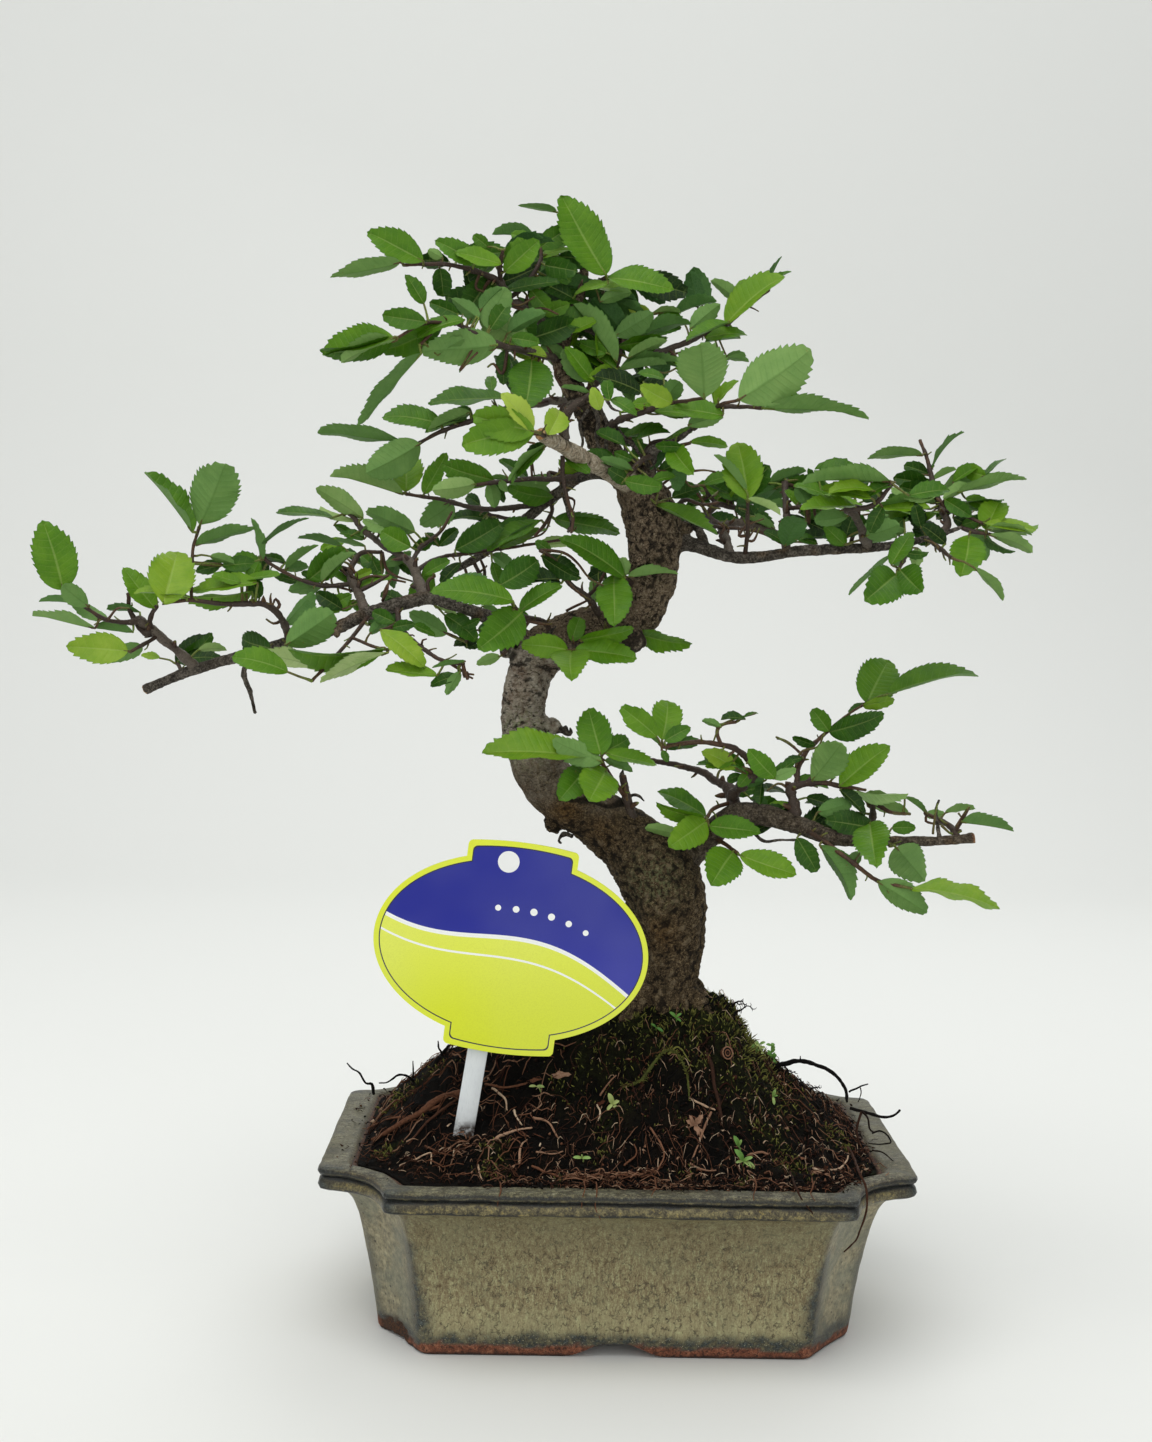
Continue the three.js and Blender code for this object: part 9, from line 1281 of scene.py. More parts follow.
TOP_RAMP = [(0.0, "#102a07"), (0.16, "#1c4309"), (0.34, "#34640c"), (0.52, "#528411"), (0.68, "#6b9818"), (0.84, "#8aac2c"), (1.0, "#aac24a")]
UNDER_RAMP = [(0.0, "#335c26"), (0.25, "#527f3b"), (0.5, "#729b50"), (0.72, "#8cb062"), (0.88, "#a6c277"), (1.0, "#bcd18e")]
GLOW_RAMP = [(0.0, "#3f660a"), (0.5, "#7ba01a"), (1.0, "#bccb4a")]


def twig_material():
    m = Mat("young_bark", 0.62, 0.35)
    age, rnd = m.attr("tone"), m.attr("rnd")
    obj = m.coords()
    big, fine = m.noise(obj, 0.12, 3, 0.6), m.noise(obj, 1.9, 4, 0.7)
    dots = m.range(m.voronoi(obj, 0.85), 0.10, 0.24, 1.0, 0.0, True)
    a = m.math("ADD", age, m.math("MULTIPLY", m.math("SUBTRACT", big, 0.5), 0.5))
    a = m.math("ADD", a, m.math("MULTIPLY", m.math("SUBTRACT", fine, 0.5), 0.22), True)
    col = m.ramp(a, [(0.0, "#6b8030"), (0.10, "#5f5f2a"), (0.2, "#553a25"), (0.4, "#36271e"), (0.7, "#433830"), (1.0, "#594f45")])
    col = m.mix(m.math("MULTIPLY", dots, m.range(age, 0.2, 0.5, 0.0, 0.35)), col, "#8d8070")
    col = m.mix(m.range(fine, 0.52, 0.66, 0.0, 0.75, True), col, "#16100c")
    h = m.math("ADD", m.math("MULTIPLY", fine, 0.8), m.math("MULTIPLY", dots, 0.5))
    return m.out(col, m.range(fine, 0.3, 0.7, 0.5, 0.72), m.bump(h, 0.5, 0.25))


LEAF_TOP = leaf_material("leaf_top", False)
LEAF_UNDER = leaf_material("leaf_underside", True)
TWIG = twig_material()
WIDE = np.array([-1, -0.84, -0.5, -0.11, 0, 0.11, 0.5, 0.84, 1.0])
NARROW = np.array([-1, -0.8, -0.12, 0, 0.12, 0.8, 1.0])


def leaf_parts(row, rng):
    """One blade: two skins that meet at a toothed margin, folded along the midrib, arched and waved."""
    at, base, axis, up = (np.array(row[i:i + 3], float) for i in (0, 3, 6, 9))
    length, width, tone, side = row[12:16]
    axis = unit(axis)
    up = unit(up - axis * float(up @ axis))
    across = np.cross(up, axis)
    asp = width / max(length, 1e-6)
    nt = int(np.clip(round(length / 2.4 + rng.uniform(-0.8, 0.8)), 4, 12))
    COLS = WIDE if length > 12 else NARROW
    p, q = rng.uniform(0.56, 0.74), rng.uniform(0.66, 0.86)
    if asp > 0.66:
        p, q = p * 0.76, q * 0.70
    top = (p / (p + q)) ** p * (q / (p + q)) ** q
    t, ph, hh = [0.0, 0.018, 0.05], [-0.8, -0.6, -0.3], [0, 0, 0]
    small = length < 16
    for k in range(nt):
        for f, h in (((0.0, -0.45), (0.46, 0.45), (0.84, 1.0)) if not small else ((0.0, -0.4), (0.7, 0.9))):
            g = (k + f) / nt
            t.append(0.075 + 0.885 * g ** 0.96)
            ph.append(k + f)
            hh.append(h)
    t += [0.975, 0.992, 1.0]
    ph += [nt, nt + 0.3, nt + 0.6]
    hh += [-0.3, 0, 0]
    t, ph, hh = np.array(t), np.array(ph), np.array(hh)
    env = smoothstep(0.05, 0.26, t) * (1 - smoothstep(0.93, 1.0, t))
    hh = hh * env * rng.uniform(0.5, 1.3, len(t))
    v = COLS[None, :]
    av = np.abs(v)
    lean = np.where(v < 0, rng.uniform(0.10, 0.13), rng.uniform(0.10, 0.13)) * (asp / 0.55)
    lean = np.minimum(lean, 0.16)
    tm = t[:, None]
    tmid = tm - lean * 4 * tm * (1 - tm)
    tt = tmid + (tm - tmid) * av
    wob = 1 + 0.03 * np.sin(tt * rng.uniform(5, 11) + rng.uniform(0, 6))
    shape = np.maximum(tt, 0) ** p * np.maximum(1 - tt, 0) ** q / top
    half = width / 2 * np.where(v < 0, rng.uniform(0.95, 1.05), rng.uniform(0.95, 1.05)) * wob
    y = half * shape * v
    x = tt * length
    amp = rng.uniform(0.030, 0.046) * width
    edge = np.where(av > 0.99, 1.0, np.where(av > 0.8, 0.45, np.where(av > 0.5, 0.12, 0.0)))
    y = y + np.sign(v) * amp * hh[:, None] * edge
    x = x + edge * 0.26 * (length / nt) * np.maximum(hh, 0)[:, None] * (0.8 if not small else 0.6)
    # relief of the blade
    fold = math.radians(rng.uniform(7, 20) if rng.random() < 0.75 else rng.uniform(20, 34))
    ay = np.abs(y)
    z = ay * math.tan(fold) * (0.75 + 0.25 * np.tanh(ay / (0.25 * width + 0.1)))
    y = y * (0.5 + 0.5 * math.cos(fold))
    size = length / 22
    ripple = -np.cos(2 * math.pi * (ph[:, None] - 0.84)) * np.sin(math.pi * np.minimum(av, 0.999)) ** 0.8
    z = z + ripple * 0.118 * size * env[:, None]
    z = z + rng.uniform(0.012, 0.045) * width * np.sin(2 * math.pi * (rng.uniform(1.2, 2.6) * tt + rng.random()) + (v > 0) * rng.uniform(1, 5)) * av ** 2.2
    bow = rng.uniform(-0.012, 0.075) * length
    z = z + bow * 4 * tt * (1 - tt) - rng.uniform(0, 0.05) * length * smoothstep(0.72, 1.05, tt)
    y = y + rng.uniform(-0.03, 0.03) * length * 4 * tt * (1 - tt)
    tw = rng.uniform(-0.28, 0.28) * (tt - 0.5)
    y, z = y * np.cos(tw) - z * np.sin(tw), y * np.sin(tw) + z * np.cos(tw)
    thick = 0.13 * (1 - av ** 6) * np.ones_like(z)
    rib = np.exp(-(v / 0.05) ** 2)
    z_top = z + thick - 0.10 * rib * size - 0.10 * size * np.exp(-(v / 0.14) ** 2)
    z_low = z - thick - (0.34 - 0.22 * tt) * rib * size
    pos = []
    for zz in (z_top, z_low):
        pos.append(base + x[..., None] * axis + y[..., None] * across + zz[..., None] * up)
    r, c = len(t), len(COLS)
    i, j = np.meshgrid(np.arange(r - 1), np.arange(c - 1), indexing="ij")
    k = (i * c + j).ravel()
    quads_top = np.stack([k, k + c, k + c + 1, k + 1], 1)
    quads_low = quads_top[:, ::-1] + r * c
    verts = np.vstack([pos[0].reshape(-1, 3), pos[1].reshape(-1, 3)])
    rnd = rng.random()
    vals = dict(tone=tone / 9.0, rnd=rnd,
                phase=np.tile(np.repeat(ph, c), 2), vv=np.tile(np.tile(COLS, r), 2),
                uu=np.tile(tt.ravel(), 2))
    mid = 0.5 * (at + base) + unit(np.cross(axis, across)) * 0.25 + rng.normal(0, 0.15, 3)
    inner = base + axis * length * 0.10 - up * 0.20 * size
    rp = 0.36 + 0.14 * min(1.4, size)
    petiole = np.array([[*(at - 0.15 * unit(base - at)), rp * 1.35], [*(at + 0.25 * (base - at)), rp * 1.05],
                        [*mid, rp * 0.92], [*(base - up * 0.1), rp * 0.85], [*inner, rp * 0.42]])
    return verts, quads_top, quads_low, vals, petiole, rnd


def bud(p, d, size):
    """A small pointed bud beside a leaf stalk."""
    d = unit(d)
    line = [[*(p + d * size * s), size * w] for s, w in ((-0.2, 0.25), (0.3, 0.56), (1.1, 0.42), (1.95, 0.05))]
    return np.array(line)


def squeeze(v, soft=2.5):
    """Keep the outermost leaf tips inside the box of the CAD model."""
    lo, hi = np.array(CAD_BOX[0]) / MM - SHIFT, np.array(CAD_BOX[1]) / MM - SHIFT
    v = v.copy()
    for k in (0, 2):
        e = v[:, k] - (hi[k] - soft)
        v[:, k] = np.where(e > 0, hi[k] - soft + soft * np.tanh(e / soft), v[:, k])
    e = (lo[0] + soft) - v[:, 0]
    v[:, 0] = np.where(e > 0, lo[0] + soft - soft * np.tanh(e / soft), v[:, 0])
    return v


# outlines, as the camera sees them, of the places where the foliage is thickest; leaves there, their length, their depth
DENSE = [
    ([(395, 250), (440, 232), (520, 226), (600, 240), (640, 268), (690, 262), (722, 300), (700, 350), (650, 400), (600, 405), (560, 372), (520, 350), (470, 335), (430, 310), (400, 280)], 44, (30, 56), (3, 20)),
    ([(470, 290), (560, 280), (640, 300), (660, 350), (600, 372), (540, 350), (490, 330)], 14, (28, 50), (-5, 4)),
    ([(690, 480), (740, 462), (800, 465), (880, 470), (960, 478), (985, 515), (950, 540), (880, 542), (800, 540), (740, 528), (700, 510)], 30, (24, 46), (-2, 14)),
    ([(330, 560), (400, 540), (480, 545), (530, 580), (520, 640), (450, 650), (380, 660), (320, 640), (300, 600)], 18, (26, 48), (3, 16)),
    ([(600, 420), (680, 430), (690, 500), (640, 500), (610, 470)], 6, (24, 40), (4, 14)),
    ([(215, 560), (300, 545), (330, 590), (260, 600)], 7, (22, 40), (2, 10)),
    ([(690, 765), (800, 770), (860, 815), (800, 830), (700, 800)], 7, (22, 38), (2, 8)),
]


def project(p):
    d = np.atleast_2d(p)[:, :3] - CAM
    w = d @ FWD
    return np.stack([576 + FOCAL * (d @ RIGHT) / w, 721 - FOCAL * (d @ UP) / w], 1)


def crowd():
    """Hang the further leaves and fine twigs on the stem that runs closest to them."""
    rng = np.random.default_rng(911)
    names, pts = [], []
    for node, (stems, rows) in FOLIAGE.items():
        for line in stems:
            q = resample(np.array(line, float), 1.5)
            pts.append(q)
            names += [node] * len(q)
    pts = np.vstack(pts)
    seen = project(pts)
    twigs = {k: [] for k in FOLIAGE}
    leaves = {k: [] for k in FOLIAGE}
    wood = np.vstack([resample(np.array(line, float), 1.5) for line in WOOD.values()])
    wood_seen = project(wood)
    for dy, r0, r1, way in MORE_TWIGS:
        way = np.array(way, float)
        j = int(np.linalg.norm(seen - way[0], axis=1).argmin())
        far = float(np.linalg.norm(seen[j] - way[0]))
        off = np.linalg.norm(wood_seen - way[0], axis=1) - wood[:, 3] / 0.3533
        jw = int(off.argmin())
        stem = pts[j] if far < off[jw] else wood[jw]
        y = stem[1] + dy * 0.5
        line = [[*at_y(px, py, y + dy * 0.5 * i / len(way) + rng.normal(0, 0.7)), r] for i, ((px, py), r) in enumerate(zip(way, np.linspace(r0, r1, len(way))))]
        if min(far, off[jw]) > 2.5:
            line = [[*stem[:3], r0]] + line
        twigs[names[j]].append(line)
    more = list(MORE_LEAVES)
    for poly, count, size, depth in DENSE:
        poly = np.array(poly, float)
        k = tries = 0
        while k < count:
            c = rng.uniform(poly.min(0), poly.max(0))
            x0, y0, x1, y1 = poly[:, 0], poly[:, 1], np.roll(poly[:, 0], -1), np.roll(poly[:, 1], -1)
            if (((y0 > c[1]) != (y1 > c[1])) & (c[0] < (x1 - x0) * (c[1] - y0) / (y1 - y0 + 1e-9) + x0)).sum() % 2 == 0:
                continue
            j = int(np.linalg.norm(seen - c, axis=1).argmin())
            out = c - seen[j]
            ang = math.atan2(out[1], out[0]) if np.linalg.norm(out) > 3 else rng.uniform(-math.pi, math.pi)
            ang += rng.normal(0, 0.7)
            ln = rng.uniform(*size)
            t = c + ln * np.array([math.cos(ang), math.sin(ang) * 0.8])
            if ((((y0 > t[1]) != (y1 > t[1])) & (t[0] < (x1 - x0) * (t[1] - y0) / (y1 - y0 + 1e-9) + x0)).sum() % 2 == 0) or np.linalg.norm(out) > 60:
                tries += 1
                if tries < 4000:
                    continue
            back = rng.uniform(*depth)
            # leaves set further back get a darker tone: painted shade inside the crown
            more.append((c[0], c[1], t[0], t[1], ln * rng.uniform(0.3, 0.6), int(rng.random() < 0.62), float(np.clip(4.2 - back * 0.22 + rng.normal(0, 0.9), 0, 7)), back))
            k += 1
    for bx, by, tx, ty, w, side, tone, dy in more:
        j = int(np.linalg.norm(seen - np.array([bx, by]), axis=1).argmin())
        gap = float(np.linalg.norm(seen[j] - np.array([bx, by])))
        y = pts[j, 1] + dy
        b = at_y(bx, by, y)
        lseen = math.hypot(tx - bx, ty - by) * 0.3533
        t = at_y(tx, ty, y + rng.uniform(-0.32, 0.32) * lseen)
        length = float(np.linalg.norm(t - b))
        axis = unit(t - b)
        wseen = w * 0.3533
        width = max(wseen, min(length * 0.56, length * 0.40 + 1.8))
        roll = math.acos(min(1.0, wseen / width))
        v = unit(b - CAM)
        p = unit(np.cross(axis, v))
        q = unit(np.cross(axis, p))
        best = None
        for s in (1, -1):
            n = unit(np.cross(axis, math.cos(roll) * p + s * math.sin(roll) * q))
            n = n if float(n @ v) < 0 else -n
            n = n if side else -n
            if best is None or n[2] - 0.15 * n[1] > best[0]:
                best = (n[2] - 0.15 * n[1], n)
        at = pts[j, :3] if gap < 34 else b - 2.2 * axis
        leaves[names[j]].append([*at, *b, *axis, *best[1], length, width, tone, side])
    return twigs, leaves


def foliage():
    twigs, leaves = crowd()
    for n, (node, (stems, rows)) in enumerate(FOLIAGE.items()):
        rng = np.random.default_rng(4100 + n)
        soup = Soup("tone", "rnd", "phase", "vv", "uu")
        ats = np.array([r[:3] for r in rows], float)
        spurs = np.random.default_rng(6300 + n)
        stems, rows = stems + twigs[node], rows + leaves[node]
        for k in range(len(stems)):
            line = resample(np.array(stems[k], float), 1.0)
            if line[0, 3] < 0.75:
                continue
            gap = spurs.uniform(3, 6)
            for i in range(2, len(line) - 1):
                gap -= 1.0
                if gap > 0 or line[i, 3] < 0.6:
                    continue
                gap = spurs.uniform(4, 9)
                t = unit(line[i + 1, :3] - line[i, :3])
                d = unit(np.cross(t, spurs.normal(0, 1, 3))) + t * 0.5
                ln, r = spurs.uniform(1.0, 3.4), line[i, 3]
                stems.append([[*line[i, :3], r * 0.55], [*(line[i, :3] + d * (r + ln * 0.5)), r * 0.36],
                              [*(line[i, :3] + d * (r + ln) + spurs.normal(0, 0.35, 3)), 0.22]])
        for line in stems:
            line = np.array(line, float)
            fine = resample(line, 0.9 if line[0, 3] > 0.9 else 1.4)
            big = np.clip((fine[:, 3] - 0.5) / 1.5, 0, 1)
            fine[:, 3] *= 1 - 0.14 * big
            fine[:, 3] = np.maximum(fine[:, 3], 0.24 if len(line) == 3 else 0.36)
            fine[:, 3] *= 1 + big * (0.20 * perlin(fine[:, :3] / 1.9, 15) + 0.16 * perlin(fine[:, :3] / 4.5, 16))
            if len(ats):
                d = np.linalg.norm(fine[:, None, :3] - ats[None], axis=2).min(1)
                fine[:, 3] *= 1 + 0.22 * np.exp(-(d / 1.3) ** 2)
            fine[:, 3] *= 1 + 0.05 * perlin(fine[:, :3] / 3.1, 5)
            fine[1:-1, :3] += 0.16 * np.stack([perlin(fine[1:-1, :3] / 6 + 9 * k, 70 + k) for k in range(3)], 1)
            sides = 9 if line[0, 3] > 1.0 else 7 if len(line) > 3 else 5
            v, f4, caps, along = tube_parts(fine, sides, 0.26 if line[0, 3] > 0.9 else 0.14, 3)
            age = np.clip((np.repeat(fine[:, 3], sides) - 0.30) / 1.6 + 0.12, 0, 1)
            age = np.concatenate([age, age[:1], age[-1:]]) * (0.62 if node.startswith("shoot_low") else 1.0)
            soup.add(v, f4, caps, 2, tone=age, rnd=rng.random(), phase=along / 10)
        for row in rows:
            verts, top, low, vals, petiole, rnd = leaf_parts(row, rng)
            soup.add(verts, np.vstack([top, low]), None, np.repeat([0, 1], len(top)), **vals)
            v, f4, caps, _ = tube_parts(resample(petiole, 1.6), 5, 0.06, 8)
            soup.add(v, f4, caps, 2, tone=0.02 + 0.12 * rnd, rnd=rnd)
            at, b = np.array(row[:3], float), np.array(row[3:6], float)
            d = unit(b - at) + 0.5 * rng.normal(0, 0.4, 3) + np.array([0, 0, 0.3])
            if rng.random() < 0.5:
                continue
            v, f4, caps, _ = tube_parts(bud(at + 0.25 * unit(d), d, rng.uniform(0.5, 0.85)), 5)
            soup.add(v, f4, caps, 2, tone=0.28, rnd=rnd)
        soup.v = [squeeze(v) for v in soup.v]
        ob = soup.build(node + "_foliage", [LEAF_TOP, LEAF_UNDER, TWIG])
        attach(ob, "root")
        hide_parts(node)


foliage()


# ------------------------------------------------------------------ trunk and branches
def bark_material():
    m = Mat("bark", 0.88, 0.16)
    pale, rough_, relief, cut, warm, moss, rim, limb = (m.attr(k) for k in ("pale", "fissured", "relief", "cut", "warm", "moss", "cutrim", "limb"))
    ashen = m.attr("ashen")
    obj = m.coords()
    # coordinates stirred by noise, for cracks that wander
    stir = m.node("ShaderNodeTexNoise")
    stir.inputs["Scale"].default_value = 0.8
    stir.inputs["Detail"].default_value = 3
    m.link(obj, stir.inputs["Vector"])
    push = m.node("ShaderNodeVectorMath", operation="MULTIPLY_ADD")
    m.link(stir.outputs["Color"], push.inputs[0])
    push.inputs[1].default_value = (1.8, 1.8, 1.8)
    m.link(obj, push.inputs[2])
    wander = push.outputs["Vector"]
    crack = m.range(m.voronoi(wander, 0.52, "DISTANCE_TO_EDGE"), 0.0, 0.10, 1.0, 0.0, True)
    crack2 = m.range(m.voronoi(wander, 1.1, "DISTANCE_TO_EDGE"), 0.0, 0.10, 1.0, 0.0, True)
    flatw = m.node("ShaderNodeVectorMath", operation="MULTIPLY")
    m.link(wander, flatw.inputs[0])
    flatw.inputs[1].default_value = (0.26, 0.26, 1.25)
    across = m.range(m.voronoi(flatw.outputs["Vector"], 0.74, "DISTANCE_TO_EDGE"), 0.0, 0.11, 1.0, 0.0, True)
    gate = m.range(m.noise(obj, 0.28, 3, 0.6), 0.40, 0.60, 0.15, 1.0, True)
    big = m.noise(obj, 0.075, 4, 0.6)
    mid = m.noise(obj, 0.33, 4, 0.65, 0.3)
    fine = m.noise(obj, 1.25, 5, 0.72)
    speck = m.noise(obj, 2.6, 3, 0.7)
    # dark old bark, flecked with tan and olive
    old = m.ramp(m.math("ADD", m.math("MULTIPLY", fine, 0.5), m.math("ADD", m.math("MULTIPLY", mid, 0.12), m.math("MULTIPLY", speck, 0.38))),
                 [(0.36, "#0d0a07"), (0.44, "#2c2318"), (0.50, "#4e412f"), (0.56, "#726148"), (0.62, "#a08c69"), (0.72, "#cbbd9b")])
    old = m.mix(m.range(m.noise(obj, 0.5, 3, 0.6), 0.5, 0.68, 0.0, 0.35, True), old, "#4f4434")
    old = m.mix(m.math("MULTIPLY", crack2, m.math("MULTIPLY", gate, 0.55)), old, "#120d09")
    # pale young bark of the bend: grey, short dark lines across, pits
    grey = m.ramp(m.math("ADD", m.math("MULTIPLY", mid, 0.55), m.math("MULTIPLY", fine, 0.45)),
                  [(0.33, "#4c4239"), (0.42, "#7b7064"), (0.51, "#9f9587"), (0.60, "#bab1a3"), (0.74, "#d6cfc1")])
    grey = m.mix(m.range(m.noise(obj, 0.21, 3, 0.55), 0.50, 0.64, 0.0, 0.55, True), grey, "#6e5544")
    grey = m.mix(m.math("MULTIPLY", across, m.range(gate, 0.15, 1.0, 0.12, 0.88)), grey, "#241b15")
    grey = m.mix(m.math("MULTIPLY", crack, m.math("MULTIPLY", gate, 0.22)), grey, "#2a201a")
    grey = m.mix(m.range(speck, 0.64, 0.74, 0.0, 0.45, True), grey, "#2c221c")
    # fissured bark of the upper trunk
    fis = m.ramp(m.math("ADD", m.math("MULTIPLY", fine, 0.6), m.math("MULTIPLY", speck, 0.4)),
                 [(0.34, "#352a1f"), (0.43, "#5e5042"), (0.50, "#82715b"), (0.58, "#9f8e78"), (0.70, "#bfb29b")])
    fis = m.mix(m.math("MULTIPLY", crack, m.math("MULTIPLY", gate, 0.95)), fis, "#110c08")
    fis = m.mix(m.math("MULTIPLY", crack2, m.math("MULTIPLY", gate, 0.60)), fis, "#15100b")
    fis = m.mix(m.math("MULTIPLY", m.range(speck, 0.40, 0.31, 0.0, 0.8, True), m.range(gate, 0.15, 1.0, 0.25, 1.0)), fis, "#15100b")
    fis = m.mix(m.range(m.noise(obj, 0.17, 3, 0.6), 0.48, 0.62, 0.0, 0.45, True), fis, "#6f5f4c")
    col = m.mix(pale, old, grey)
    col = m.mix(rough_, col, fis)
    # smaller limbs: dark grey skin, a little lighter on its ridges
    skin = m.ramp(m.math("ADD", m.math("MULTIPLY", fine, 0.6), m.math("MULTIPLY", mid, 0.4)),
                  [(0.34, "#141210"), (0.44, "#37332f"), (0.51, "#5a554e"), (0.59, "#80786f"), (0.70, "#aaa195")])
    skin = m.mix(m.math("MULTIPLY", crack2, 0.5), skin, "#0e0b09")
    col = m.mix(limb, col, skin)
    # the pale front limb: bleached skin, ringed
    bleach = m.ramp(m.math("ADD", m.math("MULTIPLY", fine, 0.5), m.math("MULTIPLY", mid, 0.5)),
                    [(0.34, "#5b4c40"), (0.43, "#94856f"), (0.51, "#b9ab95"), (0.60, "#d3c8b4"), (0.72, "#e6decd")])
    bleach = m.mix(m.math("MULTIPLY", crack, m.math("MULTIPLY", gate, 0.6)), bleach, "#3b2d22")
    col = m.mix(ashen, col, bleach)
    col = m.mix(m.range(big, 0.42, 0.62, 0.0, 0.30, True), col, m.mix(0.5, col, "#3b3225"))
    col = m.mix(m.math("MULTIPLY", warm, m.range(fine, 0.35, 0.62, 0.1, 0.8)), col, "#7d5a2a")
    col = m.mix(m.math("MULTIPLY", moss, m.range(m.noise(obj, 0.8, 3, 0.6), 0.45, 0.6, 0.0, 0.8, True)), col, "#8f9a6c")
    # hollows and the places round knots are darkened as painted shade, ridges are worn lighter
    col = m.mix(m.range(relief, 0.34, 0.04, 0.0, 0.80, True), col, "#0f0b08")
    col = m.mix(m.range(relief, 0.58, 0.95, 0.0, 0.30, True), col, m.mix(0.5, col, "#c9b695"))
    # sawn ends
    rings = m.range(m.noise(obj, 1.3, 2, 0.5), 0.4, 0.6, 0.0, 1.0)
    col = m.mix(cut, col, m.mix(rings, "#a5764c", "#cfae83"))
    col = m.mix(rim, col, "#8c4a2c")
    h = m.math("ADD", m.math("MULTIPLY", fine, 1.0), m.math("MULTIPLY", speck, 0.5))
    h = m.math("SUBTRACT", h, m.math("MULTIPLY", m.math("MULTIPLY", crack, rough_), 0.6))
    h = m.math("MULTIPLY", h, m.range(cut, 0.0, 1.0, 1.0, 0.25))
    return m.out(col, m.range(fine, 0.3, 0.7, 0.78, 0.95), m.bump(h, 1.0, 0.9))


BARK = bark_material()
# the outer part of a limb, thinned towards its end
SLIM = {"front_stub": (0.74, 0.94), "back_left": (0.66, 0.74), "right_main": (0.76, 0.74), "left_main": (0.86, 0.80), "low_right": (0.84, 0.96),
        "upper_right": (0.72, 0.70)}
CUTS = {"left_main": 0, "low_right": 0.35, "front_stub": 0}


def knob(px, py, y, r, dx=0.0, dy=0.0, dz=0.0, grow=1.0):
    p = at_y(px, py, y)
    d = np.array([dx, dy, dz], float)
    return [[*(p - 0.5 * d), r], [*p, r * 1.08], [*(p + 0.5 * d), r * grow]]


